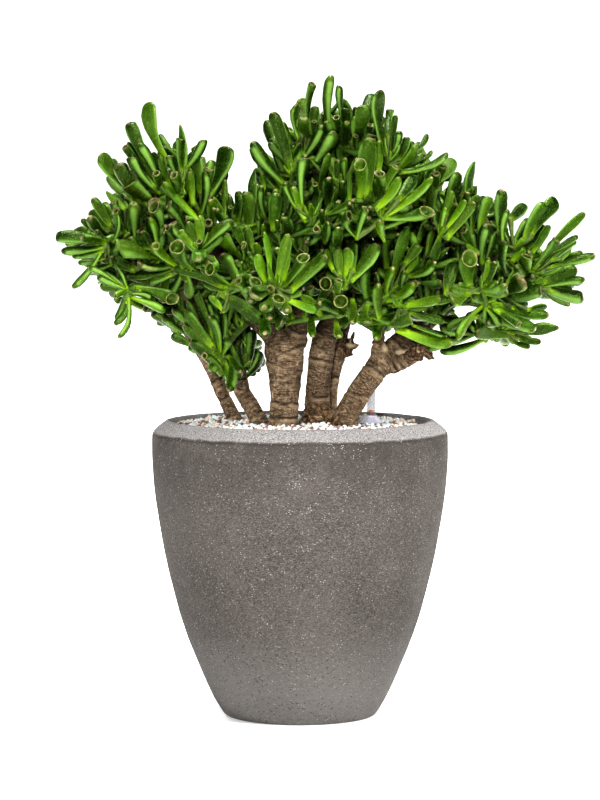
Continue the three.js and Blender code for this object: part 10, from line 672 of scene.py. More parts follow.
        (40, "T", "m", 164.5, -54.4, 659.2, 173.6, -94.5, 685.8, 11.3), (40, "S", "p", 169.8, -45, 666.6, 189.3, 3.7, 696.5, 18.9), (40, "F", "d", 152.6, -46.1, 664.1, 163.8, -40.3, 686.2, 8.8), (40, "T", "m", 164.6, -52.5, 654.3, 165.1, -96.4, 677.4, 11.3),
        (40, "F", "p", 161.1, -51.1, 623.6, 164.7, -78.4, 664.1, 13.8), (40, "F", "d", 142.5, -52.7, 656.7, 148.4, -58, 680, 8.8), (41, "F", "p", 177.1, -104.7, 597.5, 210.9, -104.6, 642.3, 13.8), (41, "F", "b", 177.1, -103.8, 609.6, 199.8, -108.3, 644.7, 8.8),
        (41, "F", "p", 177.4, -96.4, 624, 184.6, -96.6, 655.6, 10.1), (41, "F", "b", 172.3, -103.2, 604.7, 176.3, -119.9, 635.1, 7.6), (41, "F", "d", 170, -100, 602.2, 161.7, -97.6, 569.4, 11.3), (42, "F", "d", 185.1, -37.3, 634.6, 197.3, -37, 677.7, 15.1),
        (42, "P", "d", 204.8, -37.2, 646.9, 215.7, -36.9, 692.4, 13.8), (42, "P", "d", 209.9, -33.7, 637, 218.5, -33.2, 661.7, 12.6), (42, "F", "d", 202.4, -36, 634.6, 229.4, 4.4, 649.3, 10.1), (42, "F", "m", 197.7, -32.1, 627.2, 205.3, -72.5, 654.3, 11.3),
        (43, "B", "b", 221.1, -56.3, 597.9, 232.9, -60.8, 648.2, 13.8), (43, "F", "d", 223.3, -63.6, 565, 228.7, -71.6, 615.3, 16.4), (43, "B", "d", 251.5, -63.9, 557.6, 248.7, -103.9, 595, 12.6), (43, "F", "d", 245.7, -55.2, 604, 249.7, -47.2, 656.7, 17.6),
        (43, "F", "d", 228.6, -55.6, 568.4, 239.3, -59.4, 605.3, 10.1), (124, "f", "p", 198.4, 18.8, 608.3, 213.7, 17.3, 631.4, 8), (124, "f", "p", 197.7, 19.6, 608.5, 207.2, 27.1, 637.5, 6.6), (124, "f", "m", 196.4, 19.8, 604, 217.2, 41.2, 625.1, 11),
        (124, "b", "b", 194.9, 17.6, 605, 194.6, 6.1, 648.4, 11.1), (124, "f", "b", 192.3, 19.4, 600.7, 178.3, 53.9, 638, 11.6), (124, "t", "p", 195.1, 16.7, 599.9, 232.9, -0.8, 618.4, 12.8), (124, "t", "m", 190.7, 15.1, 596.8, 182.4, -35, 635.9, 11.7),
        (124, "f", "d", 193, 18.5, 595.3, 238.3, 50, 596.7, 12.8), (124, "r", "m", 190.8, 14.7, 591.6, 233.4, -28.6, 595.3, 13.9), (124, "f", "b", 188.7, 17.4, 586.9, 226.9, 52.5, 568.5, 10.7), (56, "f", "m", 213.8, 78.6, 620.8, 230.9, 87.6, 641.9, 8.5),
        (56, "s", "p", 212.4, 79, 621.2, 214, 90.5, 644.5, 9.6), (56, "f", "m", 211.1, 78.1, 616.7, 219.2, 110, 634.3, 8.8), (56, "f", "m", 211.3, 75.5, 618, 221.2, 70.5, 651.2, 9.2), (56, "s", "d", 211.4, 74, 612.6, 269.7, 74.8, 622, 16.5),
        (56, "f", "m", 208.4, 74.4, 608.8, 232.6, 126.2, 606.9, 11.7), (56, "f", "d", 203.6, 71, 606.8, 156.3, 88.9, 639.4, 11.2), (56, "s", "m", 204.2, 70.5, 601.1, 208.9, 123.8, 579.1, 17.3), (120, "t", "b", 231.9, -14.2, 553.8, 254.6, -20.4, 570.8, 7.1),
        (120, "t", "d", 225.4, -13.8, 547.2, 263.6, -39.8, 545.8, 13), (120, "s", "m", 219.2, -13.4, 546.5, 195.7, -54.9, 590.6, 20), (120, "f", "b", 218.1, -13, 541, 244.5, -50.7, 521, 12.6), (40, "t", "d", 160.8, -51.3, 655, 170.3, -63.5, 674.8, 7.8),
        (40, "f", "p", 160.1, -50.3, 655.5, 162.2, -52.3, 677.5, 7.5), (40, "f", "p", 157.5, -46.3, 647.6, 149.6, -32.1, 685.7, 10), (40, "f", "m", 155.8, -47.7, 642.5, 132.9, -79.6, 661.6, 11.6), (40, "f", "b", 155.5, -42.6, 639.1, 138.5, -5, 675.7, 13.8),
        (40, "s", "p", 153.1, -44, 633.8, 111.4, -61.7, 639.6, 17.9), (42, "r", "d", 193.2, -35.6, 627.1, 199.3, -41.8, 651.7, 10.2), (42, "t", "m", 191, -33.9, 623.4, 192.4, -27.5, 656.5, 10.4), (42, "f", "m", 191.4, -32.8, 617.7, 232.5, -13.2, 631, 10.2),
        (43, "t", "m", 212.1, -58.9, 581.9, 198.4, -88.1, 608.4, 11.4), (43, "f", "m", 210, -54.6, 579.2, 196.8, -37.1, 616.9, 10.8), (43, "f", "p", 206.9, -54.6, 568.8, 215.3, -85, 546.8, 11.4), (56, "f.", "m", 209.7, 78.6, 619.5, 181.4, 100.6, 631.4, 11.3),
        (124, "f.", "m", 183, -8.7, 621.6, 204.7, -12.6, 651.2, 10.9), (41, "f.", "d", 193, -80.1, 597.5, 180.9, -81.4, 654.8, 11.9), (40, "f.", "b", 171.8, -22.6, 629, 155.4, -20.9, 682.1, 11.5), (41, "f.", "d", 206.8, -67.6, 592.4, 181.2, -68.9, 638.5, 11.3),
        (124, "f.", "d", 186.6, 4.6, 616.2, 169.5, 34.4, 657.7, 13.9), (56, "f.", "b", 210.5, 59.9, 614.6, 242.6, 61.7, 611.9, 11.9), (56, "f.", "m", 209.5, 73, 619.7, 194.7, 102.3, 655.6, 12.1), (56, "b.", "d", 210.8, 71.9, 620.4, 216.5, 87.7, 676.5, 13.7),
        (124, "f.", "d", 176.9, -17.9, 626.6, 194.4, -17.4, 664.4, 10.7), (124, "p.", "m", 198.4, 16.9, 605.3, 224.3, 12.9, 589.7, 13.3), (56, "f.", "d", 214.6, 77.4, 620.1, 258.8, 87.6, 645.4, 12.7), (42, "b.", "d", 154.4, -8.2, 624.5, 169.3, 23.1, 665.2, 14.9),
        (41, "s.", "p", 207.1, -66.2, 592.2, 193.4, -51.7, 621.4, 18.1), (56, "f.", "d", 201.3, 25.4, 607.7, 236.4, 35, 612.7, 13.6), (124, "b.", "m", 179.3, -10.3, 621.7, 191.6, 25.2, 626.3, 15.3), (124, "f.", "m", 193.9, 15.4, 609.3, 207.4, 68, 612.2, 13.4),
        (124, "f.", "p", 181.7, -8.4, 622.2, 189.6, -8.6, 663.1, 12.1), (56, "f.", "b", 205.5, 53.2, 616.7, 197.1, 41.3, 661.5, 12), (56, "c.", "m", 194.6, 20, 607.8, 157.7, 37.2, 634.2, 17.6), (43, "p.", "d", 197.5, -38.9, 618.3, 220.3, -49.7, 598.1, 12.3),
        (41, "f.", "b", 204.8, -73.9, 590.2, 215.5, -106.5, 579.7, 12.6), (56, "f.", "m", 202.3, 32, 609.1, 229.1, 51.6, 616.6, 13.7), (42, "f.", "d", 179.7, -25.2, 628.1, 207.1, -15.7, 665.3, 14.3), (124, "f.", "b", 190.3, 1.7, 613.2, 236.4, -18, 603.6, 14.1),
        (56, "t.", "d", 206.8, 47.6, 614, 242.7, 51.2, 640, 10.3), (56, "f.", "b", 200.5, 30.6, 611.6, 210.3, 34.9, 658.5, 11.1), (124, "t.", "d", 181.2, -13.7, 621.1, 218.4, -20.6, 617.5, 10.9), (40, "f.", "m", 166.1, -31, 635.2, 122.6, -33.4, 654.7, 14.1),
        (42, "f.", "d", 170.1, -22.3, 625.4, 189.3, -49.7, 629.2, 13.6), (124, "f.", "m", 172.2, -19.8, 626.6, 165.7, 16.5, 634.9, 10.7), (43, "f.", "m", 193.6, -34.5, 627.5, 210.4, -25.9, 676.8, 11.5), (124, "f.", "d", 184, -1.1, 615.4, 185.6, 29.6, 598.1, 13.5),
        (56, "b.", "m", 200.4, 26.6, 606.6, 231.5, 57.4, 595.5, 13.7), (43, "f.", "p", 209.6, -55.5, 598.8, 190.9, -95.5, 634.3, 11), (42, "f.", "d", 171, -20.7, 624.2, 215.6, -35.8, 609.3, 11.9), (41, "r.", "m", 172.6, -98, 604.4, 187.8, -87.4, 642.6, 16.1),
        (56, "f.", "m", 211, 70.2, 620.4, 216.4, 60.1, 656.2, 11.4), (56, "f.", "d", 205.4, 61.6, 616.1, 178.3, 86, 632.3, 12.8), (56, "f.", "d", 202.7, 46.9, 614.9, 184.9, 42.4, 645.2, 10.9), (41, "f.", "d", 206.3, -69.5, 590.7, 180.8, -93.4, 604.5, 10.8),
        (124, "t.", "m", 185.6, -2.4, 614.8, 211.4, 15.2, 585, 13.5), (42, "f.", "m", 140, 1.6, 621.3, 161.9, 32.9, 657.2, 11.6), (124, "f.", "m", 181, -11.7, 621.8, 228.3, 13.8, 627.8, 12.6), (40, "f.", "b", 158.7, -46.9, 653.4, 124.9, -17.8, 688.6, 11),
        (56, "f.", "m", 210.2, 67.8, 614.9, 225.2, 97.7, 599.4, 13.3), (42, "b.", "d", 169.2, -22.2, 623.8, 181.8, -55.6, 606.3, 12.2), (56, "c.", "d", 208, 55.6, 612.1, 236.4, 78.3, 589, 17.5), (56, "f.", "b", 211, 67.6, 616.9, 236.5, 95, 626.5, 12.6),
        (40, "f.", "m", 161.1, -42.8, 649.7, 146.5, -24.4, 675.6, 11.3), (56, "t.", "b", 207, 61.7, 617.3, 199.8, 87.2, 647.6, 10.7), (43, "c.", "m", 211.1, -52.8, 600, 216.8, -46.9, 640.3, 13.9), (56, "f.", "b", 208.4, 72.5, 619.2, 174.2, 95.6, 649, 12.7),
        (40, "f.", "d", 161.7, -39.9, 644.8, 129.9, -33.4, 661.9, 12.8), (42, "f.", "d", 185.9, -29.5, 625.8, 232.8, -37.5, 634, 11.8), (124, "b.", "d", 191.9, 7.5, 614.2, 212, 4.3, 652.5, 12.9), (56, "p.", "m", 209.8, 61.6, 614.3, 244.5, 89.7, 605.1, 11.2),
        (56, "p.", "d", 210.1, 59.9, 616.7, 246.9, 62.3, 641.7, 13.6), (40, "p.", "p", 157, -50.8, 647.7, 175.4, -45.6, 622.4, 11.6), (43, "f.", "d", 215.1, -64.7, 586.6, 209.5, -77.2, 606.4, 11.8), (42, "f.", "d", 185.1, -46.5, 625.7, 164.9, -77.1, 610.5, 13),
        (42, "f.", "d", 184.6, -47.3, 633.8, 164.4, -78.4, 617.1, 13.5), (42, "f.", "m", 196.3, -38.9, 622.5, 218.9, -63.2, 650.3, 12.1), (42, "f.", "d", 184.5, -41.5, 619.3, 151.9, -67.5, 613.7, 13.5), (41, "s.", "d", 170, -100, 605.3, 167.9, -96.7, 631, 13.2),
        (42, "f.", "d", 194.7, -36.4, 626.6, 214.9, -50.4, 661.6, 12.7),
    ]},
    {"root": (64.8, 79.3, 549.5), "twigs": [[(67.5, 87.5, 547.5), (82.8, 126.9, 535.9), (87.3, 145.1, 539.6)], [(82.8, 126.9, 535.9), (104.8, 116.3, 526.4), (126.9, 105.7, 517)], [(126.9, 105.7, 517), (150.7, 125.7, 513.1), (174.5, 145.8, 509.3)], [(174.5, 145.8, 509.3), (214.4, 148.2, 510.5), (254.4, 150.6, 511.7)], [(254.4, 150.6, 511.7), (259.9, 121.4, 501.6), (265.5, 92.2, 491.5)], [(259.9, 121.4, 501.6), (288.2, 121.9, 524.2), (316.4, 122.5, 546.7)]], "leaves": [
        (79, "f", "m", 318.3, 123.9, 547.6, 334.3, 136.2, 557.4, 7), (79, "f", "m", 315, 121.8, 544.4, 328.1, 150.4, 541, 9.4), (79, "t", "m", 315.7, 119.9, 546.7, 340, 124.8, 575.2, 11.6), (79, "b", "d", 311.2, 118, 545.1, 305.2, 136.8, 580.1, 13),
        (79, "f", "d", 314, 116.8, 542.5, 353.6, 116.8, 537.1, 12.2), (79, "r", "p", 310.6, 113.3, 542.9, 341.1, 101.6, 581.6, 17.1), (79, "f", "d", 308.7, 116.2, 540.2, 301.6, 152.5, 527.9, 11.3), (79, "p", "m", 305.3, 111.9, 541.1, 281, 128, 582.2, 11.4),
        (74, "f", "m", 255.1, 153, 512.2, 260.8, 172, 518.5, 8.1), (74, "p", "d", 252.7, 148.9, 512.3, 256.7, 176.3, 542.4, 9.5), (74, "t", "b", 254.1, 149, 510, 279.6, 178.2, 505, 11.3), (74, "t", "m", 252.4, 144.1, 510.8, 282.7, 151.8, 538.5, 10.1),
        (74, "f", "d", 250.4, 141, 506.6, 282.7, 158.2, 483.3, 12.8), (74, "r", "p", 247.8, 141.2, 510.1, 232.8, 162, 550.7, 14.5), (74, "f", "d", 248.7, 135.8, 508, 288.9, 122.1, 537.1, 10.7), (74, "f", "m", 243.1, 132.9, 507.5, 212.9, 129.6, 547.9, 12.7),
        (74, "f", "m", 245.8, 133.2, 503.3, 265.2, 135.7, 468.2, 12.9), (77, "f", "d", 175.4, 148.1, 509.6, 182.5, 166.1, 513.5, 7), (77, "p", "d", 175.3, 147.7, 510.7, 181.4, 163.2, 523.9, 7.1), (77, "f", "b", 172.3, 144.3, 508.5, 161.6, 176.5, 515.8, 9.1),
        (77, "t", "m", 175.2, 143.4, 508.6, 203.3, 162.7, 516.6, 11.1), (77, "t", "b", 172.7, 134.8, 506.5, 222.1, 143.9, 523.4, 10.2), (77, "f", "b", 168.8, 136.2, 506.5, 142, 167.7, 519.7, 11.2), (77, "f", "b", 168, 130.3, 506.9, 148.8, 123.1, 559, 13.3),
        (77, "t", "m", 165.3, 127.9, 503.5, 125.5, 146.6, 508, 11.4), (95, "s", "b", 88.1, 147.1, 540.8, 96.8, 168, 554.4, 11.2), (95, "f", "d", 86.7, 147.3, 540.6, 81.1, 167, 551.4, 8.1), (95, "t", "d", 87.4, 143.7, 537.5, 96.8, 175.8, 534.7, 11.2),
        (95, "r", "m", 87, 142.8, 539.9, 91, 164, 572.6, 13.3), (95, "f", "m", 84.6, 139.2, 537, 54.2, 170.8, 558.3, 11.9), (95, "f", "m", 88.1, 138.7, 537.2, 119.5, 157.2, 559.4, 12.4), (95, "t", "b", 85.4, 134.4, 536.7, 79.9, 147.3, 594.4, 11.3),
        (95, "t", "m", 85.4, 135.7, 532.6, 79.3, 177.2, 498.6, 11.2), (95, "f", "m", 87.5, 130.6, 532.6, 141.1, 142.4, 540.6, 13.6), (95, "t", "p", 82.7, 130.9, 532.3, 26, 150.2, 534.9, 9.9), (95, "f", "d", 83.8, 125.9, 533, 67.7, 116.9, 587.3, 10),
        (71, "f", "m", 128.3, 107.7, 517.4, 140.5, 126.4, 523.7, 8.5), (71, "r", "m", 126.7, 103.1, 517.5, 141.4, 119.8, 544.4, 15.5), (71, "f", "d", 123, 99.7, 515.7, 95.8, 132.8, 545.8, 11.6), (71, "f", "m", 126.7, 99.1, 514.5, 162.9, 114.1, 518.2, 12.2),
        (71, "t", "m", 122.6, 95.8, 511.1, 113.5, 121.7, 478.7, 12.3), (71, "f", "d", 119.7, 91.5, 512.7, 77.1, 112, 537, 13.1), (71, "t", "d", 121.2, 85.5, 512.5, 133, 61.8, 556.8, 12.6), (54, "f", "p", 267.4, 93.8, 491.4, 286.7, 109.5, 491.6, 7.2),
        (54, "f", "m", 266.9, 94.1, 492.4, 280.6, 112.4, 502.3, 7.7), (54, "t", "p", 263.6, 91.5, 490.5, 275.2, 120.2, 488, 8.7), (54, "t", "d", 260.1, 87.9, 492, 264.2, 119.2, 524.9, 12.5), (54, "f", "m", 261.5, 87.3, 488.8, 292.3, 107.9, 464.8, 12.5),
        (54, "r", "b", 256.5, 85.4, 488.7, 247.6, 131.4, 470.8, 15.3), (54, "f", "d", 253.4, 81.3, 491.1, 238, 106.2, 541.1, 12.3), (54, "t", "d", 250.3, 79, 487.2, 231.3, 114.1, 470.2, 13.1), (54, "t", "m", 252.5, 75.4, 489.8, 277.3, 41, 524, 11.2),
        (74, "s.", "m", 232.6, 152.2, 511.6, 236.2, 203.7, 524.1, 17.8), (79, "f.", "m", 290.6, 123.6, 524.1, 337.8, 155, 526.5, 11.2), (54, "f.", "d", 261, 124.4, 499.9, 277.5, 145.3, 475.5, 14.1), (54, "f.", "m", 260.7, 130.2, 502.8, 293.8, 160.7, 486.9, 12),
        (54, "p.", "m", 256.7, 141.6, 505.7, 260, 181.4, 468.7, 10.4), (77, "f.", "m", 132.2, 110.2, 513.4, 144.3, 122.1, 468.3, 12.5), (79, "f.", "m", 311.3, 124.7, 544.7, 305.7, 168.7, 581, 13.7), (74, "f.", "m", 188.2, 147, 507.3, 209.8, 152.9, 480.6, 11.1),
        (77, "f.", "b", 136.9, 114.4, 512.8, 150.9, 130.4, 474.2, 13.2), (54, "p.", "m", 256.8, 152.4, 511.9, 298.9, 182.9, 518.4, 12.2), (79, "b.", "d", 303.6, 124.8, 535.9, 324.1, 165, 546.1, 14.4), (77, "c.", "p", 159, 135.1, 509.4, 142.7, 167.3, 469.2, 13.9),
        (54, "f.", "m", 264.1, 106.1, 493.4, 278, 126.1, 461.7, 12.1), (79, "r.", "m", 267.5, 122.3, 504.8, 313.3, 135, 498, 12.6), (79, "c.", "d", 309.5, 123.8, 538.7, 354.1, 149.3, 533.1, 15.6), (79, "t.", "b", 312.5, 125.1, 543.6, 328.5, 175.5, 559.5, 10.8),
        (79, "f.", "m", 304.3, 120.2, 536.3, 340.4, 85.8, 554.9, 11.3), (79, "f.", "m", 318.6, 121.2, 548.1, 361.3, 98.1, 577.2, 13.8), (74, "f.", "m", 192.6, 149.7, 508.7, 194.7, 196.2, 493, 12.2), (79, "f.", "p", 289.6, 119.6, 525.2, 315.6, 81.9, 546.1, 10.9),
        (74, "f.", "m", 181.7, 147.8, 507.3, 198.9, 171.2, 478.7, 14.3), (79, "f.", "b", 259.5, 121.1, 504.6, 251.3, 115.1, 560.3, 11), (54, "f.", "m", 255.4, 145.1, 506.8, 254.8, 145.6, 466.9, 11.5), (74, "b.", "d", 187.9, 145, 511.8, 213, 118.6, 553, 14.4),
        (71, "f.", "b", 116.2, 114.1, 521.6, 134, 152.3, 517, 11.1), (74, "f.", "b", 245.6, 152.8, 511.3, 264.3, 194, 513, 12.1), (54, "f.", "m", 267.1, 95, 490.2, 301.2, 122.6, 460.9, 12.3), (74, "f.", "d", 251.9, 152.7, 510.5, 279.5, 195.6, 492.8, 13),
        (74, "f.", "m", 251.6, 152.2, 509.5, 272.7, 183.8, 475.8, 13), (54, "b.", "b", 257.3, 140.4, 505.1, 271.3, 156.5, 459.9, 11.7), (77, "p.", "b", 162.7, 139.4, 509.7, 138.8, 170.9, 494.4, 10.6), (79, "f.", "d", 319.2, 122.9, 546, 363.8, 130, 539.8, 13.6),
        (74, "f.", "b", 238.6, 151, 508.5, 243, 172.7, 466.8, 13.4), (79, "p.", "m", 313.6, 124.5, 543.6, 344.8, 157.6, 557.2, 11), (54, "t.", "b", 265, 91, 490.3, 261.1, 48.3, 464.2, 12.3), (79, "r.", "m", 317.1, 124.6, 548.6, 332.4, 163.5, 586.7, 15.3),
        (54, "f.", "d", 266.9, 92.3, 489.8, 289.8, 75.2, 463.3, 10.9), (54, "c.", "m", 262.5, 117.6, 501.6, 282, 139.8, 529.8, 14.8), (95, "t.", "m", 76.1, 111.1, 539, 81, 146.5, 504.8, 10.8), (54, "f.", "d", 258.5, 141.5, 507, 280.9, 164.5, 500.7, 12.6),
        (95, "f.", "m", 75.6, 116.3, 540.1, 39.2, 144, 551.9, 12.4), (95, "f.", "p", 81.3, 120.7, 540.5, 101.2, 133.1, 582.4, 12.2), (74, "f.", "m", 234.8, 147.8, 510.1, 273.2, 124.4, 497.7, 14.3), (77, "f.", "d", 165.2, 138.2, 513.7, 175.4, 150.4, 552.1, 12.9),
        (77, "p.", "d", 148.1, 121, 513.5, 196.6, 119.7, 507.3, 13.3), (71, "f.", "d", 85, 128.5, 534.6, 114.8, 148.9, 520.9, 14), (71, "f.", "b", 111.2, 116.6, 524.3, 129.6, 155.2, 528.3, 14.4), (71, "t.", "d", 109, 116.2, 522.5, 99.1, 141.3, 506.8, 11),
        (77, "f.", "d", 126.1, 108.4, 515.9, 111.3, 159, 500, 10.9), (77, "f.", "d", 131.7, 111.2, 513.8, 135.2, 141.6, 473, 13.1), (54, "f.", "m", 264.3, 102.5, 497.5, 286.6, 62.8, 531.5, 13.3), (74, "f.", "d", 200, 148.7, 512.2, 216.3, 164.2, 538.4, 11.5),
        (79, "f.", "m", 269.6, 124.6, 509, 273, 157.3, 510.6, 12.5), (77, "r.", "m", 174.3, 145.1, 512.4, 189, 148.1, 569.7, 14.1), (74, "c.", "m", 244.5, 153, 512, 246.4, 199.3, 523.8, 15), (95, "f.", "b", 87, 138.6, 540.9, 112.1, 142.7, 591.1, 11.8),
        (79, "f.", "d", 281.4, 121, 517.5, 316.8, 111.1, 532.1, 11.5), (54, "f.", "d", 259.3, 131.7, 507.1, 291.2, 91, 532, 11.1), (79, "b.", "d", 305.8, 123.5, 541.7, 292.4, 137.8, 574.4, 11.7), (71, "f.", "m", 89.7, 123.3, 531.7, 114.6, 107.7, 508.5, 12.7),
        (95, "t.", "m", 78.4, 110.4, 542.1, 121.5, 132.7, 561.5, 10.8), (54, "t.", "m", 266.2, 90.7, 491.4, 282.1, 44.2, 483.9, 11.1), (77, "s.", "d", 129.6, 104.6, 517.7, 179.8, 85.4, 533.4, 15.6), (77, "f.", "d", 136.6, 115.2, 517.8, 144, 139.7, 550.9, 14.2),
        (95, "f.", "d", 73.7, 106.3, 541.3, 72.7, 156.8, 516.7, 11.3), (74, "f.", "d", 188.2, 147.3, 512, 212.6, 159, 547.3, 12.8), (71, "r.", "b", 107, 116.3, 528.5, 146.6, 116.6, 570.7, 14.9), (71, "t.", "d", 93.4, 122.3, 528.6, 100.6, 125.2, 494.6, 13.6),
        (71, "f.", "d", 92.8, 124.9, 530.4, 91.4, 167.8, 515.9, 11.4), (79, "f.", "b", 292.5, 125, 528.4, 286, 179.8, 540.7, 11.2), (77, "t.", "m", 149.7, 127.7, 514.2, 150.5, 178.6, 532.8, 10.8), (71, "f.", "b", 89.3, 125.2, 536.2, 115.4, 136.6, 582.1, 13.6),
        (79, "f.", "d", 293.8, 124.6, 529.2, 307, 163.2, 550.4, 11.3), (79, "f.", "d", 285.8, 121.5, 522.1, 313.6, 117.5, 544.7, 14.3), (95, "f.", "d", 80.9, 125.7, 539.1, 61.4, 132, 585.3, 13), (77, "f.", "b", 142, 116.8, 517.3, 159.8, 111.7, 551.7, 11.6),
        (77, "f.", "m", 150, 126.2, 516, 156.5, 149.7, 567.5, 12.8), (95, "p.", "d", 72, 105.8, 541.5, 44.5, 137.8, 525.1, 11.3), (95, "t.", "m", 80.5, 128.5, 537.1, 49.5, 149.1, 556.9, 12.3), (74, "t.", "m", 251.2, 150.7, 514.5, 263.4, 155.3, 560.5, 11.9),
        (79, "f.", "d", 284, 120.3, 522.9, 291.7, 101.1, 557.9, 13.7), (95, "f.", "m", 72.4, 93.5, 545.1, 123.9, 104, 532.8, 10.9), (95, "f.", "d", 71.5, 94.9, 546.9, 99.6, 123, 564.5, 13.9), (54, "f.", "d", 255, 153.1, 513.3, 264.6, 188.7, 538.5, 11.1),
        (95, "f.", "d", 84.2, 141, 538.4, 57.9, 192.2, 543.7, 11.3), (79, "f.", "m", 318.7, 122.8, 544.8, 349.9, 127.3, 524, 12.1), (74, "f.", "m", 232.7, 151.2, 513.4, 237.7, 178.1, 549.8, 11.2), (71, "f.", "b", 120.3, 111.2, 522, 124.2, 137.4, 549.3, 13.4),
        (79, "f.", "m", 283.3, 121.3, 523.3, 281.9, 111.5, 579.3, 13.1), (54, "f.", "d", 265.1, 99.4, 496.8, 275.6, 102.4, 531.2, 11.7), (77, "p.", "p", 170.1, 140.7, 512.9, 188.9, 134.9, 558.7, 11), (79, "f.", "m", 289.5, 120.9, 526.5, 309.1, 107.4, 562.7, 13.7),
        (77, "f.", "b", 157.3, 128.5, 514.3, 195.7, 109.3, 553.7, 11.5), (95, "p.", "m", 70.8, 100.4, 542.4, 54.5, 140.4, 509.6, 10.7), (77, "f.", "d", 131.7, 111.2, 518.7, 134.5, 138.2, 560.8, 13.4), (95, "f.", "d", 84.3, 135.2, 535.5, 85.6, 181.8, 510.5, 11.1),
        (71, "f.", "d", 88.3, 125.5, 531, 96.5, 142, 489.4, 12.5), (95, "t.", "d", 89.3, 145.9, 538.7, 116.5, 167.9, 533.4, 11.8), (74, "f.", "b", 181.8, 146.7, 512.1, 206, 157.1, 562.3, 13.6), (79, "f.", "m", 299.5, 124.4, 531.5, 332.2, 162.5, 531.7, 12.5),
        (71, "f.", "m", 125.9, 109.5, 517.5, 136, 142.2, 517, 11.3),
    ]},
    {"root": (210, -42, 486.6), "twigs": [[(214.3, -46.8, 483.7), (218, -50.9, 481.1), (221.7, -55, 478.6)], [(221.7, -55, 478.6), (237.7, -55, 481.1), (253.7, -55, 483.5)], [(237.7, -55, 481.1), (231.9, -77.5, 499.7), (226.2, -100, 518.4)], [(226.2, -100, 518.4), (237.2, -90, 524.8), (248.1, -80, 531.1)], [(226.2, -100, 518.4), (223, -112.5, 528.6), (219.8, -125, 538.7)]], "leaves": [
        (44, "R", "p", 206.8, -120.3, 536.1, 205.2, -124.4, 573.7, 21.4), (44, "F", "p", 222.2, -124.9, 536.3, 244.8, -166.7, 544.8, 13.8), (44, "S", "p", 205.3, -125, 533.9, 180.9, -180.1, 528.5, 17.6), (44, "F", "b", 221.2, -120.9, 541, 226.8, -127.3, 572.5, 8.8),
        (44, "F", "d", 177.5, -126.8, 530.3, 188.4, -99, 568.2, 16.4), (44, "F", "d", 223.5, -124, 539.9, 235.1, -130.1, 570.2, 10.1), (44, "P", "b", 219.8, -125, 538.7, 217.2, -147.9, 553.8, 5), (47, "C", "d", 251.8, -79.2, 531.1, 270.6, -122.6, 549.5, 22.7),
        (47, "B", "d", 242.3, -77, 520, 294.6, -80, 534.8, 20.1), (47, "F", "b", 248.1, -80, 531.1, 269.1, -75.8, 561.6, 10.1), (49, "F", "m", 228.7, -98.1, 520.8, 303.4, -93.4, 504.8, 13.8), (49, "F", "m", 235.9, -101.6, 513.6, 286.4, -109.6, 488.4, 15.1),
        (49, "T", "p", 243.4, -98.3, 507.4, 263.7, -139.5, 494.6, 10.1), (49, "F", "d", 277.1, -102.9, 511.2, 302.3, -76.3, 513.9, 8.8), (49, "T", "d", 257.9, -99.5, 513.6, 277.1, -52.5, 516.7, 11.3), (49, "F", "b", 223.9, -97.3, 517.1, 192, -105.3, 474.9, 12.6),
        (50, "P", "d", 275.5, -59.3, 482.5, 318.8, -56.2, 487.3, 16.4), (50, "F", "d", 265.7, -59.8, 475.1, 296.9, -53.4, 469.9, 8.8), (50, "F", "d", 261.1, -55.3, 470, 283.2, -56.6, 463.9, 7.6), (50, "S", "m", 271.1, -52.8, 476, 216.7, -77.6, 484.6, 20.1),
        (51, "F", "m", 229.1, -54.8, 474.9, 172.6, -51.5, 458.7, 12.6), (51, "F", "m", 184.5, -59.2, 470.2, 199.3, -58.3, 489.8, 10.1), (51, "F", "d", 221.7, -55, 478.6, 211.6, -11.6, 497.7, 10.1), (50, "t", "m", 256.1, -55.5, 483.2, 281.1, -60.1, 481.3, 8),
        (50, "f", "m", 252, -54.2, 485, 282.2, -69, 499.8, 11.6), (50, "r", "d", 240.3, -46.1, 485.9, 276, -9.7, 495.8, 16), (51, "f", "b", 220.4, -56.9, 479.7, 208.9, -74.5, 492.4, 7.8), (51, "f", "b", 221.2, -56.4, 480.6, 217.1, -69.2, 501, 7.9),
        (51, "f", "d", 228.3, -43.2, 469.5, 258, -35.1, 516.4, 10.3), (49, "f", "b", 220, -97.7, 520, 239.1, -127.5, 546, 9.9), (49, "f", "d", 211.5, -92.9, 520.9, 211.8, -112, 567.7, 11.8), (49, "s", "b", 209.1, -87.7, 519.4, 235.8, -43.3, 538.8, 18.6),
        (47, "f", "b", 243.9, -75.3, 528.6, 273.2, -65.1, 554.3, 11.2), (44, "f.", "m", 224.1, -119, 532.3, 249.2, -140, 535.9, 13.1), (47, "f.", "d", 236.7, -89.8, 527.8, 230.1, -87.3, 574.9, 11.8), (44, "f.", "p", 222.8, -106, 523.5, 192.9, -124.1, 544.4, 11.8),
        (44, "p.", "d", 227.8, -100.6, 520.9, 245.5, -107.7, 551.1, 10.9), (51, "f.", "d", 215.5, -52.5, 480.7, 167.8, -83.9, 475.8, 13.6), (49, "f.", "m", 234.9, -61.4, 486.5, 217, -83.1, 508.7, 11.6), (50, "f.", "m", 251, -52.7, 481.6, 269.3, -24.2, 468.7, 13),
        (49, "p.", "d", 231, -90.9, 509.5, 274.1, -88, 485.7, 10.4), (51, "f.", "d", 223.6, -55.4, 480.9, 250.5, -61.9, 514.6, 11.2), (49, "f.", "p", 227.4, -96.1, 517.8, 228.4, -103.1, 560.1, 11.9), (49, "f.", "d", 233.5, -69.5, 495.1, 222.4, -84.5, 545.2, 12.9),
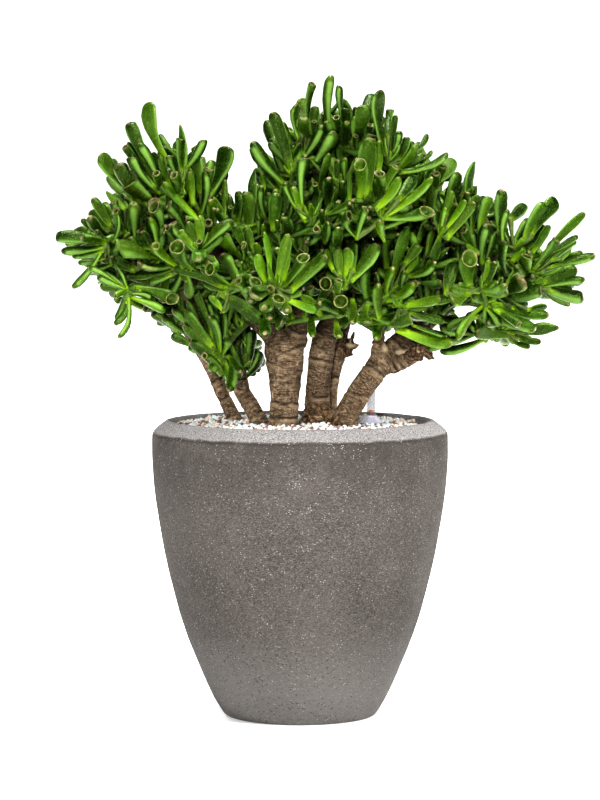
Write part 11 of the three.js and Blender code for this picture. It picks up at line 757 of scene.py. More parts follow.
        (50, "f.", "d", 239, -52.5, 480.1, 261.1, -10.5, 467.6, 12), (51, "f.", "b", 218.6, -51.8, 483.9, 225.1, -61.6, 518.5, 13.6), (50, "t.", "m", 252.3, -54, 482.7, 284.4, -42.9, 483.1, 10.4), (50, "t.", "d", 250.4, -54.7, 485.7, 261.8, -50.4, 523.6, 13.7),
        (49, "f.", "d", 234.3, -72.9, 498.8, 247.5, -70.7, 530.9, 12.3), (47, "b.", "d", 228.6, -98.9, 517.1, 272.8, -78.5, 495.4, 14), (47, "t.", "d", 247.2, -80.2, 529.6, 269.5, -52, 533.8, 11.4), (47, "f.", "m", 232, -94.5, 519.1, 258.6, -66.5, 495.8, 13.5),
        (47, "f.", "p", 245.3, -80.4, 531.6, 245, -40.4, 572.7, 11), (49, "f.", "p", 218.5, -98.1, 503.3, 178.9, -88.6, 484.8, 13.1), (49, "f.", "m", 226.3, -99.2, 515.4, 227.2, -88.5, 497.5, 11.4), (50, "f.", "m", 252.9, -54.4, 479.5, 241.3, -43.7, 471, 12.6),
        (51, "f.", "m", 201.8, -67.5, 481.8, 172.4, -86.2, 492.6, 14.3), (49, "b.", "m", 225.4, -101.5, 523, 212.5, -125.7, 530.1, 12.4), (51, "b.", "m", 190.5, -61.4, 476.9, 157.1, -68.4, 463.7, 11.2), (49, "b.", "m", 226.6, -100, 515, 243.6, -97.8, 492, 11.7),
        (44, "f.", "m", 216.6, -125.2, 534.1, 180.1, -127.1, 538.4, 12.4), (50, "f.", "m", 252.9, -56.5, 494.4, 229.3, -103.1, 495.5, 12.8),
    ]},
    {"root": (251.8, -2, 572.2), "twigs": [[(252.1, 5.7, 570.8), (250.7, 29.6, 567.8), (248.8, 42.5, 566.8)], [(248.8, 42.5, 566.8), (247.4, 36.8, 537.9), (246, 31.1, 509)], [(247.4, 36.8, 537.9), (273.9, 37.5, 546), (300.4, 38.1, 554.1)], [(247.4, 36.8, 537.9), (226.8, 47.6, 539.5), (206.2, 58.4, 541)], [(248.8, 42.5, 566.8), (264.9, 59.6, 584.5), (281.1, 76.6, 602.1)]], "leaves": [
        (93, "t", "d", 301.9, 39.6, 555.4, 318.5, 55, 570.7, 7.9), (93, "t", "b", 302.4, 37.9, 555.5, 322.8, 35.3, 571.1, 6.7), (93, "f", "m", 297.4, 37.1, 554.3, 303.7, 41.8, 599.4, 8.6), (93, "s", "m", 299.4, 37.8, 552.2, 336.7, 53.5, 561, 13.4),
        (93, "f", "b", 295.6, 34.2, 550.4, 328.8, 8.4, 569.1, 11.6), (93, "s", "d", 294.8, 37.7, 550.3, 316.8, 85.1, 571.1, 20.1), (93, "t", "m", 292.6, 34.2, 545.8, 338.4, 31.8, 516.3, 13), (93, "t", "m", 290.1, 34.7, 549.6, 280.5, 43, 605.7, 13.1),
        (93, "f", "p", 287.2, 35.6, 544.8, 287, 96.8, 548.3, 12.7), (93, "t", "p", 288.7, 31.1, 545.4, 324.9, -16.3, 563, 11.1), (93, "c", "p", 282.8, 31.6, 544.8, 256.2, 26.4, 600, 18.7), (73, "f", "d", 248.3, 32, 508.9, 269.4, 40, 509.6, 6.3),
        (73, "p", "p", 247.9, 32, 510.5, 266.4, 40.6, 527.1, 6.1), (73, "t", "d", 243.6, 31.7, 508.3, 264.8, 62.1, 514.1, 9.4), (73, "f", "b", 244.4, 28.5, 508.5, 275, 12.4, 517.2, 11.3), (73, "f", "b", 239.3, 29.1, 509.2, 252.9, 43, 543.4, 13.6),
        (73, "s", "d", 240, 28.8, 505.3, 273.1, 41.9, 470.8, 18.8), (73, "f", "d", 236.3, 24.8, 506.2, 265, -6.6, 509.1, 12), (73, "t", "m", 234.8, 29.1, 506.6, 238.8, 78.1, 517.7, 11.4), (73, "f", "b", 231.5, 25.8, 502.9, 244.5, 37.4, 468.4, 11.5),
        (73, "p", "d", 231.1, 25.3, 507.6, 237.2, 28, 565.3, 12.6), (73, "f", "p", 226.4, 26, 503.5, 215, 70.3, 494.5, 13.4), (73, "f", "b", 228.1, 21.6, 505.1, 248.7, -16.9, 526.5, 13.1), (130, "t", "d", 250.3, 44, 568.1, 263.8, 58, 581.3, 8.5),
        (130, "t", "m", 250.4, 43, 568.7, 267, 47.7, 589.7, 7.8), (130, "f", "p", 246.4, 42, 566.3, 253, 58.9, 604.1, 11.1), (130, "f", "d", 244.2, 41.8, 561.4, 264.5, 85.7, 564.2, 10.3), (130, "b", "d", 242.5, 37.1, 557.8, 286.1, 19.9, 543, 12.7),
        (130, "t", "m", 237.3, 38.8, 554.8, 233.9, 88, 535.9, 11.2), (130, "f", "b", 237.5, 34.7, 557.7, 237.7, -11.2, 606.3, 11.6), (130, "b", "d", 232.8, 36.4, 554.2, 191.3, 66.7, 580.3, 15), (123, "f", "m", 207.8, 60.2, 541.8, 226.9, 81.2, 553.8, 7.9),
        (123, "s", "m", 203.8, 57.8, 540.6, 209.3, 95.2, 575.6, 14), (123, "f", "m", 197, 53, 535.9, 174.8, 90.8, 561.8, 12), (123, "c", "d", 195.4, 48.1, 535, 194.6, 34.6, 594.2, 16.2), (123, "f", "m", 190.7, 47.5, 531.2, 142, 78.8, 552.6, 10.2),
        (123, "t", "b", 194.9, 45.2, 529.8, 246.2, 21.6, 516.8, 10.4), (80, "f", "d", 282.6, 77.7, 603.7, 297.7, 87.5, 621.5, 6.3), (80, "f", "m", 280, 76.9, 599.7, 297.9, 107.2, 610, 11.4), (80, "f", "m", 275.8, 69.7, 594.6, 304.3, 43.8, 627.9, 11.5),
        (80, "s", "m", 270, 69.3, 585.5, 275.1, 121.9, 551.9, 14.9), (130, "s.", "b", 255.1, 5.9, 571, 299.7, 10.1, 576.9, 19), (80, "f.", "m", 280.2, 73.6, 601, 303.4, 75, 627, 12.4), (130, "s.", "m", 253.8, 11.5, 572.2, 287.5, 10, 610.7, 20),
        (93, "f.", "d", 298.5, 39.8, 551.2, 330.1, 72.4, 520.1, 12.1), (80, "f.", "m", 281, 74.1, 599.4, 314.8, 80.8, 609.2, 11.7), (93, "f.", "m", 299.5, 38.8, 551.8, 339.4, 50.9, 536.9, 14.5), (93, "f.", "d", 299.3, 36.5, 552.3, 344.7, 8.7, 541.8, 13.2),
        (80, "b.", "d", 261.6, 53.4, 578.2, 298.2, 58.8, 588.5, 11.9), (93, "t.", "d", 287.6, 35.8, 548.8, 315.2, 11.8, 543.1, 12), (80, "f.", "p", 268, 65.9, 587.1, 264.1, 111.3, 574.2, 12.8), (123, "f.", "b", 239.1, 43.6, 540.2, 270.2, 61.1, 563.2, 13.6),
        (93, "t.", "d", 279.2, 38, 550.7, 272.9, 43.4, 596.5, 11.7), (130, "p.", "d", 251.6, 25.1, 571, 260.8, 50.5, 613.6, 13.5), (130, "f.", "b", 252.5, 20.4, 569.1, 269, 63.8, 569.7, 11.1), (73, "f.", "d", 249.7, 39.7, 566.3, 261.2, 4.5, 562.5, 11.1),
        (130, "f.", "b", 250, 12.2, 572.4, 218.7, 22.5, 618.1, 12.9), (73, "b.", "d", 247.9, 33.9, 537.2, 256.3, -12.7, 529.1, 15), (123, "s.", "d", 239.1, 39.9, 538.7, 204.8, 44.1, 546.5, 17), (123, "f.", "m", 232.8, 46.9, 541.2, 252.8, 74.1, 576.3, 11.5),
        (73, "f.", "p", 248.8, 39.4, 537.3, 274.6, 84.7, 529.3, 12.7), (80, "f.", "d", 251.4, 45.8, 573.4, 241.6, 43.9, 618.1, 13), (80, "f.", "m", 252.7, 48.4, 572.2, 263.7, 88.9, 604.4, 13.3), (73, "f.", "d", 248.5, 34, 515, 280.5, 59.9, 527, 11.9),
        (80, "f.", "d", 269.4, 65.8, 588.4, 283.6, 99.9, 594.8, 14.2), (123, "f.", "d", 230.4, 47.9, 538.6, 212.6, 95, 533.5, 11.3), (73, "t.", "d", 250.4, 41.9, 564.4, 276.1, 32.9, 529.1, 11.4), (130, "f.", "m", 249.2, 38.4, 567.9, 240.7, 80.4, 578.2, 11.9),
        (93, "t.", "d", 293.9, 37.6, 550.4, 336.8, 32.8, 540.6, 13.1), (93, "f.", "d", 296.2, 40.8, 554.1, 286.8, 85.2, 574.4, 12.3), (93, "f.", "d", 248.7, 34.1, 538.2, 271.2, -12.7, 546.3, 13.6), (93, "b.", "d", 293.6, 39.5, 551.2, 335.6, 65.9, 553.5, 14.6),
        (123, "r.", "p", 237.7, 45.2, 538.3, 248.7, 79, 536.4, 14.7), (123, "f.", "b", 215.3, 55.8, 539.1, 201.7, 98.3, 523.3, 12.6), (93, "p.", "d", 298.9, 36.9, 554.8, 330.8, 19, 585.9, 12.9), (73, "t.", "m", 249.6, 37.2, 541.1, 275.5, 28.1, 515.2, 13.1),
        (93, "f.", "m", 250, 38.1, 537.1, 277.6, 51.4, 530.7, 13.1), (80, "t.", "d", 258.9, 55.8, 576.9, 261.4, 92.3, 570.3, 12.3), (93, "f.", "d", 297.1, 39.3, 555.7, 299.9, 52.8, 588.8, 11.1), (123, "p.", "m", 219.4, 52.3, 539.1, 189.1, 79.5, 530.6, 12.9),
        (123, "f.", "m", 208.7, 57.1, 542.4, 173.2, 75.5, 572.7, 12), (80, "f.", "d", 270.2, 61.7, 589.9, 298, 42.8, 618, 12.4), (130, "f.", "m", 253.6, 12.8, 572.1, 281.5, 30.5, 606.5, 10.9), (123, "f.", "p", 209.4, 58.5, 541, 183.7, 103.7, 550.3, 14.2),
        (73, "f.", "p", 249.3, 35.4, 543.7, 268.7, 6.4, 551.2, 13.4), (80, "f.", "b", 267.1, 61.6, 584.7, 291.3, 84, 590.2, 12.3), (73, "f.", "d", 246.8, 40.1, 546.7, 233.1, 53, 520.1, 13.2), (93, "f.", "b", 293.9, 37.2, 552, 340.1, 26.4, 566.2, 13.4),
        (123, "f.", "d", 208.1, 56, 541.7, 176.7, 56.9, 556.8, 13.9), (130, "f.", "p", 252.4, 5.9, 573.7, 257.5, 8.9, 625.4, 12.5), (93, "f.", "m", 274.4, 39.9, 547.7, 283.9, 79.6, 578.6, 11.8), (93, "f.", "d", 260.3, 39.6, 542.2, 279.3, 72.7, 555.8, 13.7),
        (130, "f.", "d", 252.7, 30.4, 565.7, 286.8, 44, 534.4, 12.6), (123, "t.", "d", 248.4, 39.6, 538.4, 264.4, 82.3, 549.5, 11), (93, "f.", "d", 286.2, 40.6, 549.9, 301, 87.8, 558.8, 13.6), (80, "p.", "m", 270.7, 61.5, 588.5, 298.1, 44.9, 596.5, 11.2),
    ]},
    {"root": (251.8, -2, 572.2), "twigs": [[(258.7, -7.7, 571.7), (278.7, -31.2, 562.7), (287.3, -45, 554.6)], [(278.7, -31.2, 562.7), (270.7, -45.6, 574.2), (262.7, -60, 585.7)], [(287.3, -45, 554.6), (287.8, -47.5, 547.3), (288.2, -50, 540)]], "leaves": [
        (45, "F", "m", 249, -62.6, 591.9, 256.1, -63.1, 632.3, 11.3), (45, "F", "d", 257.9, -56.2, 620, 279.3, -13.9, 638.2, 15.1), (45, "F", "d", 262.8, -57.4, 589.3, 281.5, -52.8, 621.2, 13.8), (45, "B", "m", 275.1, -57.4, 594.3, 300.9, -54.5, 639.6, 15.1),
        (45, "S", "d", 282.5, -56.5, 599.1, 316.8, -39.9, 644.4, 20.1), (45, "F", "b", 259.2, -58.2, 567.3, 274.1, -54.9, 586.8, 11.3), (45, "F", "m", 284.7, -62, 579.6, 305, -66.6, 614, 10.1), (46, "R", "p", 280.1, -42.4, 552.1, 276.6, -88.6, 576.5, 13.8),
        (46, "T", "m", 285.8, -48.3, 557.2, 315.7, -56.3, 595.5, 11.3), (46, "F", "m", 302.3, -40.8, 579.2, 351.4, -39.5, 628.4, 11.3), (46, "F", "d", 308, -46.7, 579.3, 342.9, -40.6, 600.1, 8.8), (46, "F", "d", 307.9, -48.4, 569.5, 340.5, -40.4, 594, 8.8),
        (46, "F", "m", 305.8, -44.9, 560.8, 363.1, -50.6, 576.9, 12.6), (46, "T", "m", 296.3, -40.3, 549.6, 323.2, -57.7, 562.4, 8.8), (48, "B", "d", 305.7, -48, 533.8, 349, -46, 525.1, 18.9), (48, "F", "m", 296, -45.5, 536.2, 350.7, -53.5, 546.3, 11.3),
        (48, "F", "d", 296.8, -50.7, 542.5, 340.9, -51.9, 559.7, 16.4), (45, "f", "m", 257.3, -56.9, 575.7, 295.6, -33.1, 576.2, 11.5), (45, "r", "d", 251.9, -56, 574.3, 239.8, -27, 610.9, 17.6), (45, "b", "d", 251.9, -55.7, 568.1, 280.5, -34.4, 556.2, 12.4),
        (46, "b", "d", 286, -43.1, 553.7, 318.6, -30.1, 584.8, 11.8), (46, "p", "d", 279.6, -39.9, 548.2, 314.8, -9.6, 575.7, 11.6), (46, "f.", "m", 268.3, -15.2, 569.9, 293.9, -0, 591.5, 11), (46, "f.", "m", 275.5, -24, 567, 306.5, -2.7, 605.2, 10.9),
        (46, "f.", "b", 276.5, -24.9, 565.9, 322.5, -18.8, 583.4, 14.4), (45, "f.", "d", 274.4, -42.7, 570.2, 280.8, -83, 581.6, 12.2), (46, "f.", "d", 259.2, -9.2, 569.1, 268.1, -32.1, 530.5, 14.3), (45, "f.", "d", 265.5, -57.4, 586.5, 288.3, -45.1, 612.3, 11.8),
        (46, "f.", "p", 279.4, -33.1, 560.5, 288.9, -60.1, 533.3, 14.4), (48, "f.", "d", 287.5, -50.5, 547.5, 284.7, -83.3, 552.3, 11.8), (45, "t.", "m", 272.2, -42, 575.1, 280.8, -12.9, 607.6, 12.3), (46, "f.", "d", 258.7, -10.3, 570, 259.3, -50.3, 547.1, 14.3),
        (46, "f.", "m", 261.4, -7.8, 570.5, 301.1, -8.4, 556.2, 14.3), (48, "f.", "m", 290, -44.5, 553.4, 336.8, -35.3, 534.8, 10.8), (45, "f.", "d", 272.5, -44.3, 576.3, 302.3, -23.8, 613.5, 13.8), (46, "r.", "d", 271.7, -20.9, 569, 294.8, -21.6, 602, 14.7),
        (45, "p.", "d", 269.9, -44.6, 575.5, 249.7, -50.5, 608, 10.9), (46, "f.", "m", 260.9, -6.4, 570.1, 286.2, 8.4, 556, 14), (48, "f.", "m", 286.9, -52.7, 553.9, 264.4, -96.7, 563.2, 12.8),
    ]},
]

# pot: outer profile (radius, height) from the foot up, then the rim and the inner wall down to the floor
POT_OUTER = [(90.6, 0.0), (93.4, 0.5), (95.5, 2.0), (97.6, 4.2), (106.3, 18.0), (113.9, 33.0), (120.8, 48.5), (127.1, 63.6), (133.4, 78.7),
             (139.5, 93.8), (144.8, 109.0), (149.8, 124.0), (154.1, 139.0), (158.0, 154.0), (161.8, 169.0), (165.4, 184.0), (168.7, 199.5),
             (171.7, 214.6), (174.4, 230.0), (176.9, 245.0), (179.2, 260.0), (181.2, 275.0), (182.8, 290.0), (184.0, 305.0), (184.9, 320.0),
             (185.0, 335.0), (184.9, 348.0), (184.4, 353.0), (183.3, 355.6)]
POT_BEVEL = [(182.3, 357.2), (180.0, 359.4), (177.4, 361.7), (175.2, 363.5), (172.7, 365.5), (170.4, 367.2), (168.4, 368.7), (166.2, 369.6),
             (163.6, 369.9), (161.4, 369.4), (159.8, 368.3)]
POT_INNER = [(158.0, 366.4), (155.2, 363.0), (152.2, 358.0), (150.4, 350.0), (149.6, 335.0), (150.5, 310.0), (149.0, 270.0), (144.0, 220.0),
             (136.0, 170.0), (126.0, 125.0), (112.0, 80.0), (97.0, 45.0), (84.0, 24.0), (60.0, 20.2), (0.0, 20.0)]
GRANULE_TOP = 366.0
# trunks where they meet the granules: x, y, radius
FEET = [(-19.9, -25.0, 19.0), (20.1, 10.0, 18.0), (37.5, 36.0, 10.0), (55.9, -27.0, 16.5), (-48.8, 0.0, 10.5), (-81.2, 52.0, 10.0)]
GAUGE = (89.0, 4.0)

# ------------------------------------------------------------------ small tools


def unit(v):
    v = np.asarray(v, float)
    return v / max(1e-9, float(np.linalg.norm(v)))


def lattice(ix, iy, iz, seed):
    n = (ix * 73856093) ^ (iy * 19349663) ^ (iz * 83492791) ^ (seed * 2654435761)
    n &= 0xFFFFFFFF
    n = ((n ^ (n >> 15)) * 2246822519) & 0xFFFFFFFF
    n = ((n ^ (n >> 13)) * 3266489917) & 0xFFFFFFFF
    n ^= n >> 16
    return (n & 0xFFFFF) / 524287.5 - 1.0


def noise(p, seed=0):
    """Smooth noise, about -1 to 1, of points p (n, 3) on a lattice of pitch 1."""
    p = np.asarray(p, float)
    i = np.floor(p).astype(np.int64)
    f = p - i
    f = f * f * (3 - 2 * f)
    out = 0.0
    for dx in (0, 1):
        for dy in (0, 1):
            for dz in (0, 1):
                w = (f[:, 0] if dx else 1 - f[:, 0]) * (f[:, 1] if dy else 1 - f[:, 1]) * (f[:, 2] if dz else 1 - f[:, 2])
                out = out + w * lattice(i[:, 0] + dx, i[:, 1] + dy, i[:, 2] + dz, seed)
    return out


def fbm(p, seed=0, octaves=3):
    out, a, s = 0.0, 1.0, 1.0
    for k in range(octaves):
        out = out + a * noise(np.asarray(p) * s, seed + 17 * k)
        a, s = a * 0.5, s * 2.03
    return out


def smooth(a, b, x):
    t = np.clip((np.asarray(x, float) - a) / (b - a), 0, 1)
    return t * t * (3 - 2 * t)


class Bag:
    """Collects vertices, faces and per-vertex values of one piece, in mm."""

    def __init__(self, *names):
        self.v, self.f, self.m, self.n = [], [], [], 0
        self.names, self.a = names, {k: [] for k in names}

    def add(self, v, faces, mat=0, **vals):
        v = np.asarray(v, float)
        for k in self.names:
            x = np.asarray(vals.get(k, 0.0), float)
            if k.endswith("col"):
                x = np.broadcast_to(x, (len(v), 4))
            else:
                x = np.broadcast_to(x, (len(v),))
            self.a[k].append(x)
        for q in faces:
            self.f.append([int(i) + self.n for i in q])
            self.m.append(mat)
        self.v.append(v)
        self.n += len(v)

    def piece(self, name, mats, body="planter", slot=None, node=None, sm=True):
        me = bpy.data.meshes.new(name)
        v = np.concatenate(self.v) * MM
        me.from_pydata(v.tolist(), [], self.f)
        for k in self.names:
            x = np.concatenate(self.a[k])
            if k.endswith("col"):
                me.attributes.new(k, "FLOAT_COLOR", "POINT").data.foreach_set("color", x.astype(np.float32).ravel())
            else:
                me.attributes.new(k, "FLOAT", "POINT").data.foreach_set("value", x.astype(np.float32))
        for m in mats:
            me.materials.append(m)
        me.polygons.foreach_set("material_index", np.array(self.m, np.int32))
        me.polygons.foreach_set("use_smooth", np.full(len(self.m), bool(sm)))
        me.validate()
        me.update()
        return place(bpy.data.objects.new(name, me), body, node)


def place(o, body, node):
    if o.name not in scene.collection.objects:
        scene.collection.objects.link(o)
    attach(o, body)
    if node:
        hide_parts(*([node] if isinstance(node, str) else node))
    return o


def spline(P, R, step):
    """Catmull-Rom through points P with radii R, resampled every step mm: points, radii, tangents, running length."""
    P, R = np.asarray(P, float), np.asarray(R, float)
    if len(P) == 2:
        P = np.array([P[0], (P[0] + P[1]) / 2, P[1]])
        R = np.array([R[0], (R[0] + R[1]) / 2, R[1]])
    E = np.vstack([2 * P[0] - P[1], P, 2 * P[-1] - P[-2]])
    q, r = [], []
    for i in range(len(P) - 1):
        a, b, c, d = E[i], E[i + 1], E[i + 2], E[i + 3]
        n = max(2, int(np.ceil(np.linalg.norm(c - b) / step)))
        t = np.arange(n)[:, None] / n
        q.append(0.5 * (2 * b + (c - a) * t + (2 * a - 5 * b + 4 * c - d) * t**2 + (3 * b - a - 3 * c + d) * t**3))
        s = t[:, 0] * t[:, 0] * (3 - 2 * t[:, 0])
        r.append(R[i] * (1 - s) + R[i + 1] * s)
    q.append(P[-1:])
    r.append(R[-1:])
    q, r = np.vstack(q), np.concatenate(r)
    T = np.gradient(q, axis=0)
    T /= np.maximum(1e-9, np.linalg.norm(T, axis=1, keepdims=True))
    s = np.concatenate([[0], np.cumsum(np.linalg.norm(np.diff(q, axis=0), axis=1))])
    return q, r, T, s


def frames(T, start=None):
    """A normal for each tangent, carried along without twist."""
    n = start if start is not None else (np.array([0, 0, 1.0]) if abs(T[0][2]) < 0.9 else np.array([1.0, 0, 0]))
    out = []
    for t in T:
        n = n - np.dot(n, t) * t
        n = unit(n)
        out.append(n)
    return np.array(out)


def ringfaces(k, ns, cap0=None, cap1=None):
    """Quads between k rings of ns vertices, with end fans to single vertices cap0 and cap1."""
    f = []
    for i in range(k - 1):
        a, b = i * ns, (i + 1) * ns
        for j in range(ns):
            j2 = (j + 1) % ns
            f.append((a + j, a + j2, b + j2, b + j))
    if cap0 is not None:
        for j in range(ns):
            f.append((cap0, (j + 1) % ns, j))
    if cap1 is not None:
        a = (k - 1) * ns
        for j in range(ns):
            f.append((cap1, a + j, a + (j + 1) % ns))
    return f


def tube(P, R, step, ns, rough=0.0, seed=0, tip=1.0):
    """A closed tube with rounded ends: vertices, faces and running length of each vertex."""
    q, r, T, s = spline(P, R, step)
    N = frames(T)
    Bn = np.cross(T, N)
    th = np.arange(ns) / ns * 2 * np.pi
    rings, ss = [], []
    # rounded ends
    for x, y in ((-0.55, 0.45), (-0.25, 0.85)):
        rings.append((q[0] + T[0] * x * r[0], r[0] * y, N[0], Bn[0])); ss.append(0.0)
    for i in range(len(q)):
        rings.append((q[i], r[i], N[i], Bn[i])); ss.append(s[i])
    for x, y in ((0.35 * tip, 0.85), (0.62 * tip, 0.45)):
        rings.append((q[-1] + T[-1] * x * r[-1], r[-1] * y, N[-1], Bn[-1])); ss.append(s[-1])
    V = np.concatenate([c + rr * (np.outer(np.cos(th), n) + np.outer(np.sin(th), b)) for c, rr, n, b in rings])
    S = np.repeat(ss, ns)
    if rough:
        ctr = np.repeat([c for c, *_ in rings], ns, axis=0)
        d = V - ctr
        V = ctr + d * (1 + rough * fbm(V / 7.0, seed)[:, None])
    V = np.vstack([V, q[0] - T[0] * 0.66 * r[0], q[-1] + T[-1] * 0.74 * tip * r[-1]])
    S = np.concatenate([S, [0.0, s[-1]]])
    k = len(rings)
    return V, ringfaces(k, ns, k * ns, k * ns + 1), S


# ------------------------------------------------------------------ materials


class Nodes:
    def __init__(self, name):
        self.m = bpy.data.materials.new(name)
        self.m.use_nodes = True
        self.t = self.m.node_tree
        self.t.nodes.clear()
        self.out = self.t.nodes.new("ShaderNodeOutputMaterial")
        self.bsdf = self.t.nodes.new("ShaderNodeBsdfPrincipled")
        self.t.links.new(self.bsdf.outputs[0], self.out.inputs[0])

    def n(self, kind, **kw):
        x = self.t.nodes.new("ShaderNode" + kind)
        for k, v in kw.items():
            setattr(x, k, v)
        return x

    def l(self, a, b):
        self.t.links.new(a, b)

    def set(self, **kw):
        for k, v in kw.items():
            self.bsdf.inputs[k.replace("_", " ")].default_value = v

    def coord(self, sx=1.0, sy=1.0, sz=1.0, attr=None, turn=None):
        if attr:
            c = self.n("Attribute", attribute_name=attr).outputs["Vector"]
        else:
            c = self.n("TexCoord").outputs["Object"]
        m = self.n("Mapping")
        m.inputs["Scale"].default_value = (sx, sy, sz)
        if turn:
            m.inputs["Rotation"].default_value = turn
        self.l(c, m.inputs["Vector"])
        return m.outputs[0]

    def noise(self, scale, detail=3.0, rough=0.55, vec=None, dist=0.0):
        x = self.n("TexNoise")
        x.inputs["Scale"].default_value = scale
        x.inputs["Detail"].default_value = detail
        x.inputs["Roughness"].default_value = rough
        x.inputs["Distortion"].default_value = dist
        self.l(vec or self.coord(), x.inputs["Vector"])
        return x.outputs["Fac"]

    def voronoi(self, scale, feature="F1", vec=None, rnd=1.0):
        x = self.n("TexVoronoi", feature=feature)
        x.inputs["Scale"].default_value = scale
        x.inputs["Randomness"].default_value = rnd
        self.l(vec or self.coord(), x.inputs["Vector"])
        return x

    def ramp(self, fac, *stops):
        x = self.n("ValToRGB")
        e = x.color_ramp.elements
        while len(e) < len(stops):
            e.new(0.5)
        for el, (p, c) in zip(e, stops):
            el.position = p
            el.color = (*c, 1) if isinstance(c, tuple) else (c, c, c, 1)
        self.l(fac, x.inputs[0])
        return x.outputs[0]

    def span(self, v, a, b, c=0.0, d=1.0):
        x = self.n("MapRange")
        x.clamp = True
        for i, y in zip(range(1, 5), (a, b, c, d)):
            x.inputs[i].default_value = y
        self.l(v, x.inputs[0])
        return x.outputs[0]

    def math(self, op, a, b=None):
        x = self.n("Math", operation=op)
        for i, y in enumerate((a, b)):
            if y is None:
                continue
            if isinstance(y, (int, float)):
                x.inputs[i].default_value = y
            else:
                self.l(y, x.inputs[i])
        return x.outputs[0]

    def mix(self, fac, a, b, mode="MIX"):
        x = self.n("Mix", data_type="RGBA", blend_type=mode)
        for s, y in ((0, fac), (6, a), (7, b)):
            if isinstance(y, (int, float)):
                x.inputs[s].default_value = y
            elif isinstance(y, tuple):
                x.inputs[s].default_value = (*y, 1)
            else:
                self.l(y, x.inputs[s])
        return x.outputs[2]

    def attr(self, name, out="Fac"):
        return self.n("Attribute", attribute_name=name).outputs[out]

    def bump(self, h, strength, dist, after=None):
        x = self.n("Bump")
        x.inputs["Strength"].default_value = strength
        x.inputs["Distance"].default_value = dist
        self.l(h, x.inputs["Height"])
        if after is not None:
            self.l(after, x.inputs["Normal"])
        return x.outputs[0]

    def finish(self, col=None, rough=None, normal=None):
        if col is not None:
            self.l(col, self.bsdf.inputs["Base Color"])
        if rough is not None:
            self.l(rough, self.bsdf.inputs["Roughness"])
        if normal is not None:
            self.l(normal, self.bsdf.inputs["Normal"])
        return self.m


def leaf_material():
    m = Nodes("leaf")
    base = m.attr("leaf_col", "Color")
    mott = m.noise(190, 4, 0.66)
    fine = m.noise(380, 4, 0.72)
    c = m.mix(m.span(mott, 0.42, 0.60, 0.0, 0.52), base, m.mix(1.0, base, (0.34, 0.45, 0.25), "MULTIPLY"))
    c = m.mix(m.span(fine, 0.47, 0.36, 0.0, 0.50), c, m.mix(1.0, base, (0.30, 0.38, 0.25), "MULTIPLY"))
    c = m.mix(m.span(fine, 0.54, 0.66, 0.0, 0.45), c, m.mix(1.0, base, (1.8, 1.6, 1.5), "MULTIPLY"))
    pale = m.noise(75, 3, 0.6)
    c = m.mix(m.span(pale, 0.54, 0.76, 0.0, 0.28), c, (0.085, 0.170, 0.010))
    c = m.mix(m.math("MULTIPLY", m.attr("young"), 0.86), c, (0.200, 0.320, 0.005))
    # painted highlight: pale lines along the two sides of each leaf and round a trumpet's mouth
    c = m.mix(m.math("MULTIPLY", m.attr("edge"), 0.80), c, (0.190, 0.330, 0.075))
    dash = m.voronoi(400, vec=m.coord(1, 1, 0.62))
    pick = m.span(dash.outputs["Color"], 0.50, 0.56)
    c = m.mix(m.math("MULTIPLY", pick, m.span(dash.outputs["Distance"], 0.10, 0.30, 0.42, 0.0)), c, (0.210, 0.330, 0.080))
    rim = m.math("MULTIPLY", m.attr("rim"), m.span(m.noise(520, 2), 0.3, 0.6, 0.55, 0.95))
    c = m.mix(rim, c, m.ramp(m.noise(210, 2), (0.38, (0.150, 0.076, 0.056)), (0.50, (0.285, 0.180, 0.122)), (0.66, (0.430, 0.340, 0.240))))
    # painted shade: the hollow at a leaf's end and inside a trumpet's mouth is darkened
    c = m.mix(m.attr("pit"), c, (0.026, 0.036, 0.004))
    rough = m.span(fine, 0.35, 0.65, 0.22, 0.36)
    b = m.bump(mott, 0.55, 0.0014)
    b = m.bump(fine, 0.50, 0.0008, b)
    m.set(Subsurface_Weight=0.04, Subsurface_Radius=(0.4, 0.8, 0.05), Subsurface_Scale=0.003, Specular_IOR_Level=0.38,
          Specular_Tint=(0.68, 1.0, 0.28, 1.0), Sheen_Weight=0.08, Sheen_Roughness=0.20, Sheen_Tint=(0.55, 0.95, 0.20, 1.0))
    return m.finish(c, rough, b)


def twig_material():
    m = Nodes("twig")
    n = m.noise(260, 4, 0.6)
    green = m.ramp(n, (0.3, (0.026, 0.064, 0.002)), (0.7, (0.080, 0.160, 0.006)))
    brown = m.ramp(n, (0.3, (0.030, 0.024, 0.010)), (0.7, (0.105, 0.088, 0.038)))
    c = m.mix(m.attr("woody"), green, brown)
    return m.finish(c, m.span(n, 0.3, 0.7, 0.6, 0.85), m.bump(m.noise(900, 4, 0.7), 0.6, 0.0006))


